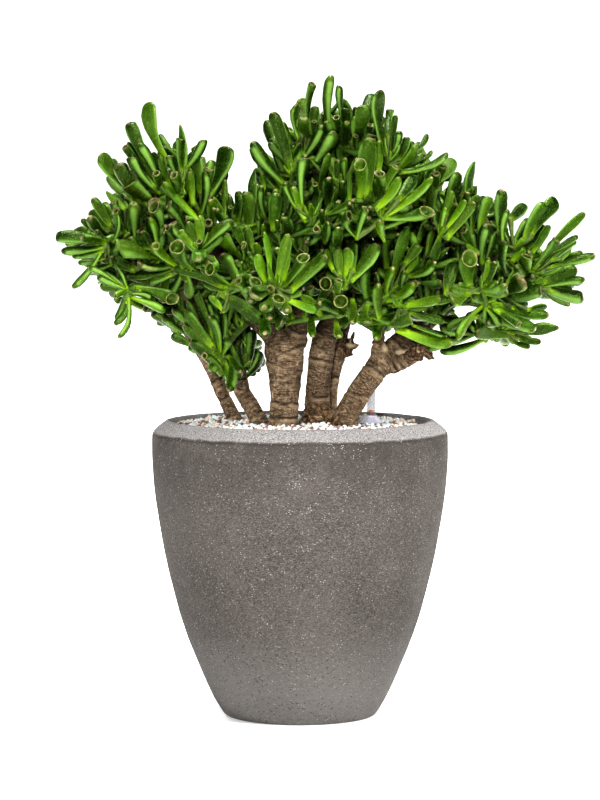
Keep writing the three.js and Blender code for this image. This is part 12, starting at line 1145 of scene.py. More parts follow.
def bark_material():
    m = Nodes("bark")
    fibre = m.noise(1.0, 5, 0.68, m.coord(310, 310, 210, "bark_co", (0.6, 0.9, 0.4)), 0.6)
    fold = m.noise(1.0, 4, 0.60, m.coord(46, 46, 175, "bark_co", (0.22, -0.18, 0.5)), 3.0)
    crack = m.noise(1.0, 3, 0.55, m.coord(70, 70, 330, "bark_co"), 0.9)
    flake = m.noise(1.0, 5, 0.76, m.coord(120, 120, 150, "bark_co", (0.5, 0.8, 0.2)), 1.2)
    blot = m.noise(30, 4, 0.6)
    fine = m.noise(900, 3, 0.7)
    c = m.ramp(fibre, (0.32, (0.056, 0.038, 0.024)), (0.46, (0.150, 0.108, 0.074)), (0.56, (0.212, 0.158, 0.112)), (0.70, (0.400, 0.312, 0.230)))
    c = m.mix(m.span(fold, 0.49, 0.38, 0.0, 0.88), c, (0.044, 0.028, 0.017))
    c = m.mix(m.span(fold, 0.54, 0.66, 0.0, 0.60), c, (0.440, 0.345, 0.255))
    # thin dark cracks that run round the trunk, in patches
    line = m.span(m.math("ABSOLUTE", m.math("SUBTRACT", crack, 0.5)), 0.006, 0.026, 1.0, 0.0)
    where = m.span(m.noise(52, 3, 0.6), 0.46, 0.56)
    line = m.math("MULTIPLY", line, where)
    c = m.mix(m.math("MULTIPLY", line, 0.75), c, (0.038, 0.023, 0.013))
    c = m.mix(m.span(blot, 0.44, 0.62, 0.0, 0.50), c, m.mix(1.0, c, (0.50, 0.44, 0.38), "MULTIPLY"))
    c = m.mix(m.span(fine, 0.56, 0.68, 0.0, 0.32), c, (0.050, 0.032, 0.020))
    c = m.mix(m.span(fine, 0.44, 0.34, 0.0, 0.25), c, (0.50, 0.40, 0.30))
    # painted highlight: the raised ridge beside each ring scar is painted pale
    c = m.mix(m.math("MULTIPLY", m.attr("ridge"), 0.45), c, (0.470, 0.370, 0.265))
    c = m.mix(m.attr("scar"), c, (0.022, 0.013, 0.008))
    rough_c = m.ramp(flake, (0.40, (0.020, 0.012, 0.007)), (0.50, (0.090, 0.056, 0.034)), (0.57, (0.200, 0.135, 0.082)), (0.66, (0.480, 0.360, 0.240)))
    c = m.mix(m.math("MULTIPLY", m.attr("crust"), 0.92), c, rough_c)
    # pale streaks at the forks listed in CUTS
    c = m.mix(m.math("MULTIPLY", m.attr("cut"), 0.8), c, (0.60, 0.49, 0.35))
    c = m.mix(1.0, c, (0.97, 0.95, 0.88), "MULTIPLY")
    # painted shade: limbs inside the crown are darkened and tinted green
    c = m.mix(m.math("MULTIPLY", m.attr("crown"), 0.75), c, m.mix(1.0, c, (0.20, 0.21, 0.12), "MULTIPLY"))
    h = m.mix(0.45, m.mix(0.55, fibre, fold), m.mix(m.attr("crust"), fine, flake))
    b = m.bump(h, 0.85, 0.0020)
    b = m.bump(m.math("SUBTRACT", 1.0, line), 0.9, 0.0009, b)
    m.set(Specular_IOR_Level=0.22)
    return m.finish(c, m.span(fibre, 0.3, 0.7, 0.70, 0.92), b)


def stone_material():
    m = Nodes("cast_stone")
    big = m.noise(11, 4, 0.6)
    mid = m.noise(60, 5, 0.7)
    flat = m.coord(1, 1, 2.3)   # the grain lies in short level dashes
    grit = m.noise(540, 5, 0.82, flat)
    coarse = m.noise(230, 4, 0.78, flat)
    bit = m.noise(350, 3, 0.85, flat)
    c = m.ramp(grit, (0.36, (0.014, 0.012, 0.010)), (0.45, (0.0445, 0.0405, 0.0375)), (0.54, (0.0695, 0.0635, 0.0590)), (0.63, (0.196, 0.180, 0.167)))
    c = m.mix(m.span(bit, 0.38, 0.46, 0.60, 0.0), c, (0.031, 0.027, 0.024))
    c = m.mix(m.span(bit, 0.55, 0.62, 0.0, 0.45), c, (0.250, 0.226, 0.205))
    c = m.mix(m.span(coarse, 0.34, 0.50, 0.60, 0.0), c, (0.050, 0.043, 0.037))
    c = m.mix(m.span(coarse, 0.53, 0.68, 0.0, 0.45), c, (0.225, 0.204, 0.186))
    c = m.mix(m.span(mid, 0.35, 0.70, 0.0, 0.34), c, (0.082, 0.072, 0.064))
    c = m.mix(m.span(big, 0.36, 0.66, 0.0, 0.26), c, (0.140, 0.127, 0.116))
    c = m.mix(m.math("MULTIPLY", m.attr("stain"), m.span(m.noise(24, 4, 0.65), 0.38, 0.60, 0.10, 0.66)), c, (0.050, 0.043, 0.038))
    # painted light: lighter towards the bottom, as light bounced up from the floor
    c = m.mix(m.attr("foot"), c, m.mix(0.54, c, (0.200, 0.189, 0.180)))
    # painted shade: the wall is made a little darker towards the top, as shade under the rim and the crown
    z = m.n("SeparateXYZ")
    m.l(m.coord(), z.inputs[0])
    c = m.mix(m.span(z.outputs[2], 0.20, 0.345), c, m.mix(1.0, c, (0.85, 0.85, 0.855), "MULTIPLY"))   # a little darker towards the lip
    # painted shade: a soft dark band just under the bevel, broken up by noise
    c = m.mix(m.math("MULTIPLY", m.attr("lip"), m.span(m.noise(30, 4, 0.7), 0.40, 0.58, 0.15, 0.85)), c, (0.030, 0.026, 0.023))
    # paler ramp on the bevel and the top of the inner wall: partly the rim's polished finish, partly painted light
    c = m.mix(m.attr("bevel"), c, m.ramp(grit, (0.38, (0.034, 0.030, 0.028)), (0.45, (0.148, 0.139, 0.136)), (0.56, (0.236, 0.225, 0.221)), (0.66, (0.460, 0.445, 0.438))))
    # small pale grains and dark pits
    w = m.voronoi(300, vec=m.coord(1, 1, 1.5))
    wsel = m.span(m.noise(60, 3), 0.42, 0.58)
    white = m.math("MULTIPLY", m.span(w.outputs["Distance"], 0.14, 0.28, 1.0, 0.0), m.math("MULTIPLY", m.span(w.outputs["Color"], 0.54, 0.58), wsel))
    c = m.mix(m.math("MULTIPLY", white, 0.55), c, (0.52, 0.50, 0.47))
    p = m.voronoi(250, vec=m.coord(1, 1, 2.0))
    pit = m.math("MULTIPLY", m.span(p.outputs["Distance"], 0.14, 0.30, 1.0, 0.0), m.span(p.outputs["Color"], 0.58, 0.62))
    c = m.mix(m.math("MULTIPLY", pit, 0.78), c, (0.018, 0.015, 0.013))
    h = m.math("SUBTRACT", m.math("ADD", m.math("MULTIPLY", grit, 0.6), m.math("MULTIPLY", coarse, 0.5)), m.math("MULTIPLY", pit, 0.9))
    b = m.bump(h, 0.80, 0.0013)
    m.set(Specular_IOR_Level=0.2)
    return m.finish(c, m.span(grit, 0.3, 0.7, 0.80, 0.96), b)


def granule_material(name, lo, mid, hi, rough=(0.75, 0.95)):
    m = Nodes(name)
    n = m.noise(700, 4, 0.7)
    c = m.mix(m.attr("shade"), m.ramp(n, (0.30, lo), (0.55, mid)), m.ramp(n, (0.35, mid), (0.70, hi)))
    pore = m.voronoi(1400)
    c = m.mix(m.span(pore.outputs["Distance"], 0.12, 0.26, 0.45, 0.0), c, tuple(x * 0.35 for x in lo))
    m.set(Specular_IOR_Level=0.25)
    return m.finish(c, m.span(n, 0.3, 0.7, *rough), m.bump(n, 0.5, 0.0006))


def clear_material(name, tint, rough, alpha, rise=0.0, dark_below=None):
    """Clear plastic: denser where the wall is seen at a grazing angle, and in the vertical band at the bottom."""
    m = Nodes(name)
    n = m.noise(90, 2)
    m.set(IOR=1.45, Specular_IOR_Level=0.7)
    face = m.n("LayerWeight")
    face.inputs["Blend"].default_value = 0.35
    m.l(m.span(face.outputs["Facing"], 0.35, 0.95, alpha, min(1.0, alpha + rise)), m.bsdf.inputs["Alpha"])
    c = m.mix(m.span(n, 0.3, 0.7), tint, tuple(min(1.0, x * 1.06) for x in tint))
    if dark_below:
        sep = m.n("SeparateXYZ")
        m.l(m.coord(), sep.inputs[0])
        c = m.mix(m.span(sep.outputs[2], dark_below - 0.0006, dark_below + 0.0006, 1.0, 0.0), c, (0.21, 0.20, 0.27))
    return m.finish(c, m.span(n, 0.3, 0.7, rough, rough + 0.06), m.bump(n, 0.05, 0.0002))


def plastic_material(name, lo, hi, r=(0.35, 0.5)):
    m = Nodes(name)
    n = m.noise(400, 3)
    return m.finish(m.ramp(n, (0.35, lo), (0.65, hi)), m.span(n, 0.3, 0.7, *r), m.bump(m.noise(1800, 2), 0.15, 0.0001))


LEAF, TWIG, BARK, STONE = leaf_material(), twig_material(), bark_material(), stone_material()

# ------------------------------------------------------------------ camera, floor and light

cam = bpy.data.objects.new("camera", bpy.data.cameras.new("camera"))
scene.collection.objects.link(cam)
cam.data.lens = 140.3
cam.data.sensor_width = 36.0
cam.data.clip_start, cam.data.clip_end = 0.05, 60.0
cam.location = (0.0, -3.890, 0.658)
cam.rotation_euler = (math.radians(90 - 3.873), 0.0, 0.0)
scene.camera = cam

floor_mesh = bpy.data.meshes.new("floor")
bm = bmesh.new()
bmesh.ops.create_circle(bm, cap_ends=True, segments=96, radius=14.0)
bm.to_mesh(floor_mesh)
bm.free()
floor = bpy.data.objects.new("floor", floor_mesh)
floor.location.z = -0.0002
scene.collection.objects.link(floor)
fm = Nodes("floor")
fm.set(Roughness=0.9, Specular_IOR_Level=0.1)
fm.bsdf.inputs["Emission Color"].default_value = (1, 1, 1, 1)
far = fm.n("VectorMath", operation="LENGTH")
fm.l(fm.coord(), far.inputs[0])
fm.l(fm.span(far.outputs["Value"], 0.7, 2.6, 0.20, 0.92), fm.bsdf.inputs["Emission Strength"])   # painted light: the floor glows, faintly near the pot and brighter further out, to read as a sweep of white paper
floor_mesh.materials.append(fm.finish(fm.ramp(fm.noise(0.6, 2), (0.3, (0.90, 0.90, 0.90)), (0.7, (0.93, 0.93, 0.93)))))

world = bpy.data.worlds.new("studio")
scene.world = world
world.use_nodes = True
wt = world.node_tree
wt.nodes["Background"].inputs[0].default_value = (1.0, 1.0, 1.0, 1)
seen, level = wt.nodes.new("ShaderNodeLightPath"), wt.nodes.new("ShaderNodeMapRange")
level.inputs["To Min"].default_value, level.inputs["To Max"].default_value = 0.215, 1.0   # soft light of the studio, and its white backdrop
wt.links.new(seen.outputs["Is Camera Ray"], level.inputs["Value"])
wt.links.new(level.outputs[0], wt.nodes["Background"].inputs[1])
scene.view_settings.view_transform = "Standard"
scene.view_settings.look = "High Contrast"


def area(name, loc, at, size, power, colour=(1, 1, 1)):
    d = bpy.data.lights.new(name, "AREA")
    d.shape, d.size, d.energy, d.color = "DISK", size, power, colour
    o = bpy.data.objects.new(name, d)
    o.location = loc
    o.rotation_mode = "QUATERNION"
    o.rotation_quaternion = (Vector(at) - Vector(loc)).to_track_quat("-Z", "Y")
    scene.collection.objects.link(o)
    return o


area("key", (1.15, -1.90, 2.74), (0, 0, 0.50), 0.6, 112.0)
area("fill", (-1.9, -2.2, 1.3), (0, 0, 0.4), 1.2, 13.0)
area("front", (-0.4, -3.2, 1.10), (0, 0, 0.38), 0.8, 36.0)
area("back_left", (-1.25, 2.4, 1.30), (0, 0, 0.40), 0.6, 52.0).visible_glossy = False
area("back_right", (1.9, 1.7, 1.20), (0, 0, 0.40), 0.6, 66.0).visible_glossy = False
area("top", (-0.3, 0.3, 2.9), (0, 0, 0.6), 0.7, 70.0)

for name, loc, power in (("snoot", (-0.30, -3.1, 1.00), 255.0), ("snoot_back", (0.75, 3.0, 1.12), 400.0), ("snoot_left", (-2.95, -0.7, 1.28), 260.0), ("snoot_right", (2.9, -0.6, 1.32), 300.0)):   # under the crown
    d = bpy.data.lights.new(name, "SPOT")
    d.energy, d.spot_size, d.spot_blend, d.shadow_soft_size = power, math.radians(9.0), 1.0, 0.16
    o = bpy.data.objects.new(name, d)
    o.location = loc
    o.rotation_mode = "QUATERNION"
    o.rotation_quaternion = (Vector((0.0, 0.0, 0.41)) - Vector(loc)).to_track_quat("-Z", "Y")
    o.visible_glossy = name == "snoot"
    scene.collection.objects.link(o)

# ------------------------------------------------------------------ pot


def pot():
    def refine(pts, step):
        q, _, _, _ = spline([(r, 0, z) for r, z in pts], [1] * len(pts), step)
        return [(a[0], a[2]) for a in q]

    outer = refine(POT_OUTER, 4.6)
    bevel = refine([POT_OUTER[-1]] + POT_BEVEL, 1.6)[1:]
    inner = refine([POT_BEVEL[-1]] + POT_INNER[:6], 4.0)[1:] + [(r, z) for r, z in POT_INNER[6:-1]]
    prof = np.array(outer + bevel + inner)
    ns = 208
    th = np.arange(ns) / ns * 2 * np.pi
    k = len(prof)
    V = np.zeros((k * ns, 3))
    V[:, 0] = np.repeat(prof[:, 0], ns) * np.tile(np.cos(th), k)
    V[:, 1] = np.repeat(prof[:, 0], ns) * np.tile(np.sin(th), k)
    V[:, 2] = np.repeat(prof[:, 1], ns)
    # normals of the profile, to push the surface a little in and out as cast stone is
    d = np.gradient(prof, axis=0)
    nr, nz = d[:, 1], -d[:, 0]
    ln = np.hypot(nr, nz)
    nr, nz = np.repeat(nr / ln, ns), np.repeat(nz / ln, ns)
    N = np.stack([nr * np.tile(np.cos(th), k), nr * np.tile(np.sin(th), k), nz], 1)
    z = V[:, 2]
    flat = smooth(0.5, 8, z)
    amp = 0.22 * fbm(V / 46, 3) + 0.16 * fbm(V / 11, 5, 2) + 0.12 * noise(V / 4.2, 9)
    on_rim = np.repeat(np.arange(k) >= len(outer) - 2, ns) & (np.repeat(np.arange(k), ns) < len(outer) + len(bevel))
    amp = amp + np.where(on_rim, -0.35 * smooth(0.45, 0.8, noise(V / 9, 31)), 0)
    inside = np.repeat(np.arange(k) >= len(outer) + len(bevel), ns)
    amp = np.where(amp > 0, amp * 0.4, amp) * flat
    V = V + N * amp[:, None]
    idx = np.repeat(np.arange(k), ns)
    ang = np.tile(th, k)
    wob = 0.9 * noise(np.stack([np.cos(ang) * 9, np.sin(ang) * 9, 0 * ang], 1), 41) + 0.6 * noise(np.stack([np.cos(ang) * 33, np.sin(ang) * 33, 0 * ang], 1), 43)
    # the bevel is paler, partly its own polished finish and partly painted light on its upward face; the top of the
    # inner wall takes the same paler ramp
    bevel_polish_and_light = smooth(354.3, 357.2, z + wob * 0.9) * (~inside) * (1 - 0.0 * z)
    bevel_polish_and_light = np.where(inside, 0.80 * smooth(350, 362, z), bevel_polish_and_light)
    stain = smooth(262, 350, z) * (~inside) * (1 - bevel_polish_and_light)
    # painted light: the lower wall is lightened as floor bounce
    foot = smooth(150, 20, z) * (~inside)
    lip = np.exp(-(((z + 0.9 * wob - 353.2) / 1.5) ** 2)) * (~inside)   # painted shade held under the bevel's overhang
    bag = Bag("bevel", "stain", "foot", "lip")
    V = np.vstack([V, [0, 0, 0.0], [0, 0, 20.0]])
    ap = lambda x, v: np.concatenate([x, [v, v]])
    bag.add(V, ringfaces(k, ns, k * ns, k * ns + 1), 0, bevel=ap(bevel_polish_and_light, 0), stain=ap(stain, 0), foot=ap(foot, 0), lip=ap(lip, 0))
    return bag.piece("pot_cast_stone", [STONE], slot="pot_stone", node="pot")


pot()

# ------------------------------------------------------------------ granules


def stone_shapes(rng, sub, n):
    out = []
    for _ in range(n):
        b = bmesh.new()
        bmesh.ops.create_icosphere(b, subdivisions=sub, radius=1.0)
        v = np.array([x.co[:] for x in b.verts])
        f = [[x.index for x in q.verts] for q in b.faces]
        b.free()
        v = v * (1 + 0.16 * noise(v * 1.3 + rng.uniform(-50, 50, 3), 3)[:, None])
        for _ in range(7):  # worn flat faces
            d = unit(rng.normal(size=3))
            h = v @ d
            lim = rng.uniform(0.66, 0.92)
            v = v - np.outer(np.maximum(0, h - lim), d)
        out.append((v, f))
    return out


def turn(rng):
    q = unit(rng.normal(size=4))
    a, b, c, d = q
    return np.array([[1 - 2 * (c * c + d * d), 2 * (b * c - a * d), 2 * (b * d + a * c)],
                     [2 * (b * c + a * d), 1 - 2 * (b * b + d * d), 2 * (c * d - a * b)],
                     [2 * (b * d - a * c), 2 * (c * d + a * b), 1 - 2 * (b * b + c * c)]])


def granules():
    rng = np.random.default_rng(41)
    fine, plain = stone_shapes(rng, 2, 26), stone_shapes(rng, 1, 20)
    kinds = {"cream": (0.44, (4.8, 7.4)), "blue": (0.24, (5.0, 9.8)), "brown": (0.23, (4.0, 7.4)), "grey": (0.09, (3.4, 5.8))}
    names = list(kinds)
    prob = np.array([kinds[k][0] for k in names])
    prob = prob / prob.sum()
    RW = 157.0
    cell, grid = 9.0, {}

    def free(x, y, r, tight):
        i, j = int(x // cell), int(y // cell)
        for a in (i - 1, i, i + 1):
            for b in (j - 1, j, j + 1):
                for X, Y, R in grid.get((a, b), ()):
                    if (X - x) ** 2 + (Y - y) ** 2 < (tight * (R + r)) ** 2:
                        return False
        return True

    bags = {k: Bag("shade") for k in names}
    placed = 0
    blocks = [(x, y, r) for x, y, r in FEET] + [(GAUGE[0], GAUGE[1], 16.8)]
    for layer, (tries, tight, zc) in enumerate(((15000, 0.82, GRANULE_TOP - 1.2), (7000, 0.90, GRANULE_TOP - 4.4))):
        grid.clear()
        for t in range(tries):
            k = names[rng.choice(len(names), p=prob)]
            lo, hi = kinds[k][1]
            size = rng.uniform(lo, hi) * (0.82 if t > tries * 0.35 else 1.0) * (0.82 if t > tries * 0.7 else 1.0)
            r = size / 2
            rad, a = math.sqrt(rng.uniform(0, 1)) * (RW - r * 0.7), rng.uniform(0, 2 * math.pi)
            x, y = rad * math.cos(a), rad * math.sin(a)
            if rad + r * 0.5 > 153.5 - 6.0 * float(smooth(0, 140, x)) * float(smooth(60, -10, y)) + 1.5 * math.sin(9 * a) + 1.0 * math.sin(23 * a):
                continue
            if any((x - X) ** 2 + (y - Y) ** 2 < (R + r * 0.55) ** 2 for X, Y, R in blocks):
                continue
            if not free(x, y, r, tight):
                continue
            grid.setdefault((int(x // cell), int(y // cell)), []).append((x, y, r))
            if layer and rng.uniform() < 0.50:
                continue
            v, f = (fine if size > 5.3 and not layer else plain)[rng.integers(20)]
            flat = rng.uniform(0.72, 1.0) if k != "blue" else rng.uniform(0.55, 0.9)
            s = np.array([r * rng.uniform(0.95, 1.18), r * rng.uniform(0.82, 1.0), r * flat])
            M = turn(rng)
            P = (v * s) @ M.T
            z = zc + rng.normal(0, 0.7) - 0.25 * r + 0.5 * float(noise(np.array([[x / 26, y / 26, 0.5]]), 77)[0]) + 0.7 * y / 150
            z -= 1.9 * float(smooth(-50, -135, y)) + 0.3 * float(smooth(60, 145, x)) + 1.6 * float(smooth(28, 17, math.hypot(x - GAUGE[0], y - GAUGE[1])))
            P = P + np.array([x, y, z])
            bags[k].add(P, f, 0, shade=rng.uniform(0, 1))
            placed += 1
    mats = {
        "cream": granule_material("granule_cream", (0.32, 0.268, 0.220), (0.53, 0.462, 0.397), (0.67, 0.61, 0.550)),
        "blue": granule_material("granule_blue", (0.30, 0.42, 0.475), (0.475, 0.605, 0.665), (0.64, 0.74, 0.785), (0.5, 0.75)),
        "brown": granule_material("granule_brown", (0.050, 0.031, 0.030), (0.150, 0.098, 0.092), (0.30, 0.215, 0.20)),
        "grey": granule_material("granule_grey", (0.090, 0.080, 0.082), (0.32, 0.295, 0.295), (0.56, 0.530, 0.520)),
    }
    for k in names:
        bags[k].piece("granules_" + k, [mats[k]], slot="granules", node="granules" if k == "cream" else None, sm=False)
    # the bed under the loose top layer
    bed = Bag("shade")
    prof = [(r, GRANULE_TOP - 5.2) for r in np.linspace(3, 150.5, 34)] + [(150.0, GRANULE_TOP - 7), (148.4, 350), (148.4, 335), (148.5, 310), (147, 270), (142, 220), (134, 170), (124, 125),
            (110, 80), (95, 46), (82, 26), (58, 21)]
    ns = 84
    th = np.arange(ns) / ns * 2 * np.pi
    prof = np.array(prof)[::-1]
    V = np.concatenate([np.stack([r * np.cos(th), r * np.sin(th), 0 * th + z], 1) for r, z in prof])
    up = V[:, 2] > GRANULE_TOP - 6
    V[:, 2] += np.where(up, 1.3 * noise(V / 3.1, 5), 0)
    V = np.vstack([V, [0, 0, 21], [0, 0, GRANULE_TOP - 5]])
    k = len(prof)
    bed.add(V, ringfaces(k, ns, k * ns, k * ns + 1), 0, shade=np.clip(0.3 + 0.5 * noise(V / 3.5, 8), 0, 1))
    bed.piece("granule_bed", [mats["brown"]], slot="granules")
    return placed


n_granules = granules()

# ------------------------------------------------------------------ trunks
# ring scars: distance up the trunk in mm, tilt and depth; the centre angle is drawn at random and the arc of the dark
# line comes from noise
RINGS = {
    "trunk_centre_left": [(14, 0.05, 1.6), (34, -0.10, 1.4), (58, 0.12, 0.5), (72, 0.34, 0.6), (81, -0.36, 0.7), (86, -0.16, 0.5), (93, 0.42, 0.8), (101, -0.45, 0.7), (108, 0.50, 0.8)],
    "trunk_centre": [(40, 0.05, 1.2), (84, 0.10, 1.6), (118, -0.12, 1.5), (150, 0.1, 0.9), (190, -0.1, 0.8), (228, 0.1, 0.8), (270, 0.0, 0.7)],
    "trunk_rear": [(30, 0.1, 0.6), (62, -0.1, 0.8), (96, 0.1, 0.8), (130, 0.0, 0.7), (168, 0.1, 0.7), (205, 0.0, 0.6), (244, 0.1, 0.6)],
    "trunk_right": [(43, 0.30, 1.6), (77, 0.10, 1.5), (102, -0.12, 0.6)],
    "trunk_left": [(14, 0.2, 1.0), (33, 0.25, 1.2), (52, 0.1, 1.1), (80, 0.1, 0.8), (112, 0.0, 0.8), (150, 0.1, 0.7), (190, 0.0, 0.6), (226, 0.1, 0.6)],
    "trunk_left_rear": [(12, 0.1, 0.9), (34, 0.2, 1.2), (60, -0.1, 0.9), (96, 0.1, 0.8), (130, 0.1, 0.7), (168, 0, 0.7)],
}


def voxel_union(parts, size):
    """Joins closed tubes into one smooth skin: returns vertices (mm) and quads."""
    me = bpy.data.meshes.new("tmp")
    V, F, n = [], [], 0
    for v, f in parts:
        V.append(v)
        F += [[i + n for i in q] for q in f]
        n += len(v)
    me.from_pydata(np.vstack(V).tolist(), [], F)
    o = bpy.data.objects.new("tmp", me)
    scene.collection.objects.link(o)
    mod = o.modifiers.new("r", "REMESH")
    mod.mode, mod.voxel_size, mod.adaptivity = "VOXEL", size, 0.0
    dg = bpy.context.evaluated_depsgraph_get()
    ev = o.evaluated_get(dg).to_mesh()
    v = np.zeros(len(ev.vertices) * 3, np.float32)
    ev.vertices.foreach_get("co", v)
    v = v.reshape(-1, 3).astype(float)
    ls = np.zeros(len(ev.polygons), np.int32)
    lt = np.zeros(len(ev.polygons), np.int32)
    ev.polygons.foreach_get("loop_start", ls)
    ev.polygons.foreach_get("loop_total", lt)
    li = np.zeros(len(ev.loops), np.int32)
    ev.loops.foreach_get("vertex_index", li)
    faces = [li[a:a + b].tolist() for a, b in zip(ls, lt)]
    o.evaluated_get(dg).to_mesh_clear()
    bpy.data.objects.remove(o)
    bpy.data.meshes.remove(me)
    return v, faces


def relax(v, faces, times, amount=0.5):
    e = set()
    for q in faces:
        for a, b in zip(q, q[1:] + q[:1]):
            e.add((a, b) if a < b else (b, a))
    e = np.array(sorted(e))
    deg = np.bincount(e.ravel(), minlength=len(v))[:, None].astype(float)
    for _ in range(times):
        s = np.zeros_like(v)
        np.add.at(s, e[:, 0], v[e[:, 1]])
        np.add.at(s, e[:, 1], v[e[:, 0]])
        v = v + amount * (s / np.maximum(deg, 1) - v)
    return v


def normals(v, faces):
    n = np.zeros_like(v)
    for q in (np.array([f for f in faces if len(f) == 4]), np.array([f for f in faces if len(f) == 3])):
        if len(q):
            c = np.cross(v[q[:, 2]] - v[q[:, 0]], v[q[:, -1]] - v[q[:, 1]]) if q.shape[1] == 4 else np.cross(v[q[:, 1]] - v[q[:, 0]], v[q[:, 2]] - v[q[:, 0]])
            for k in range(q.shape[1]):
                np.add.at(n, q[:, k], c)
    return n / np.maximum(1e-9, np.linalg.norm(n, axis=1, keepdims=True))


def trunk(name, limbs, seed):
    rng = np.random.default_rng(seed)
    parts, lines = [], []
    for li, br in enumerate(limbs):
        P = [q[:3] for q in br]
        R = [q[3] for q in br]
        if li == 0:  # the buried foot
            d = unit(np.array(P[0]) - np.array(P[1]))
            P = [tuple(np.array(P[0]) + d * 22 + np.array([0, 0, -6]))] + P
            R = [R[0] * 1.04] + R
        v, f, s = tube(P, R, 3.5, 22 if max(R) > 9 else 14)
        parts.append((v, f))
        q, r, T, s = spline(P, R, 2.0)
        lines.append((q, r, T, s - (28 if li == 0 else 0), li))
    for c, r in KNOBS.get(name, ()):
        b = bmesh.new()
        bmesh.ops.create_icosphere(b, subdivisions=3, radius=1.0)
        v = np.array([x.co[:] for x in b.verts])
        f = [[x.index for x in q.verts] for q in b.faces]
        b.free()
        r = np.array(r if isinstance(r, tuple) else (r, r, r), float)
        v = v * (1 + 0.22 * fbm(v * 1.6 + np.array(c) * 0.37, 8)[:, None])
        parts.append((v * r + np.array(c, float), f))
    for P, R in SPURS.get(name, ()):
        v, f, _ = tube(P, R, 2.0, 10, 0.25, seed)
        parts.append((v, f))
    v, faces = voxel_union(parts, 2.15 if len(limbs) < 5 else 2.3)
    v = relax(v, faces, 3, 0.5)
    # nearest point of the limbs' axes for each vertex
    best = np.full(len(v), 1e9)
    S, A, Rr, LI = np.zeros(len(v)), np.zeros(len(v)), np.ones(len(v)), np.zeros(len(v))
    base = 0.0
    for q, r, T, s, li in lines:
        N = frames(T)
        Bn = np.cross(T, N)
        for k0 in range(0, len(v), 4000):
            w = v[k0:k0 + 4000]
            d2 = ((w[:, None, :] - q[None]) ** 2).sum(2)
            j = d2.argmin(1)
            dist = np.sqrt(d2[np.arange(len(w)), j]) - r[j]
            rel = w - q[j]
            along = (rel * T[j]).sum(1)
            a = np.arctan2((rel * Bn[j]).sum(1), (rel * N[j]).sum(1))
            m = dist < best[k0:k0 + 4000]
            ii = np.arange(k0, k0 + len(w))[m]
            best[ii], S[ii], A[ii], Rr[ii], LI[ii] = dist[m], s[j][m] + along[m] + 400 * li, a[m], r[j][m], li
    N = normals(v, faces)
    disp = 0.8 * fbm(v / 27, seed, 2) + 0.28 * fbm(v / 8, seed + 3, 2)
    # lengthwise fibres and fine cross wrinkles
    co = np.stack([np.cos(A) * Rr, np.sin(A) * Rr, S], 1)
    fib = noise(co * np.array([0.45, 0.45, 0.05]), seed + 5)
    wr = noise(co * np.array([0.09, 0.09, 0.42]) + 0.6 * noise(co / 9, seed)[:, None], seed + 6)
    disp = disp + 0.26 * fib + 0.34 * np.minimum(wr, 0.1)
    scar, pale = np.zeros(len(v)), np.zeros(len(v))
    rings = list(RINGS.get(name, []))
    rows = [(s0, t, dep, 0) for s0, t, dep in rings]
    for q, r, T, s, li in lines[1:]:
        x = 400 * li + rng.uniform(12, 30)
        while x < 400 * li + s[-1] - 8:
            rows.append((x, rng.uniform(-0.35, 0.35), rng.uniform(0.25, 1.15) * min(1, r.max() / 10), li))
            x += rng.choice([8.0, 15.0, 24.0, 33.0, 47.0]) * rng.uniform(0.8, 1.2)
    rows += [(400 * 3 + x, 0.2, 1.5, 3) for x in (17, 25, 34, 42, 51, 60, 70)] if name == "trunk_right" else []
    for s0, tilt, dep, li in rows:
        a0 = rng.uniform(0, 6.28)
        wob = 1.4 * noise(np.stack([np.cos(A) * 1.9, np.sin(A) * 1.9, np.full(len(v), s0)], 1), seed + 9)
        ph = S - s0 - tilt * Rr * np.cos(A - a0) - wob
        on = (LI == li) & (np.abs(ph) < 12)
        arc = 0.55 + 0.95 * noise(np.stack([np.cos(A) * 1.3, np.sin(A) * 1.3, np.full(len(v), s0 * 0.37)], 1), seed + 13)
        g = np.exp(-((ph / 1.45) ** 2)) * on * np.clip(arc, 0.06 if dep < 1.35 else 0.65, 1)
        ridge = np.exp(-(((ph + 3.6) / 2.4) ** 2)) * on
        disp = disp - 0.95 * dep * g + 0.42 * dep * ridge
        # painted highlight on the raised ridges, kept for the bark colour
        pale = np.maximum(pale, ridge * min(1.0, dep) * np.clip(arc, 0.2, 1))
        scar = np.maximum(scar, np.clip(1.15 * g * min(1.0, dep + 0.1), 0, 1))
    crust = np.zeros(len(v))
    for c, r in CRUSTS.get(name, ()):
        d = np.linalg.norm((v - np.array(c)) / np.array(r), axis=1)
        crust = np.maximum(crust, smooth(1.0, 0.55, d))
    disp = disp + crust * (2.3 * fbm(v / 5.0, seed + 21, 3))
    if name != "trunk_rear":
        top = smooth(362, 369, v[:, 2])
        crust = np.maximum(crust, 0.55 * (1 - top))
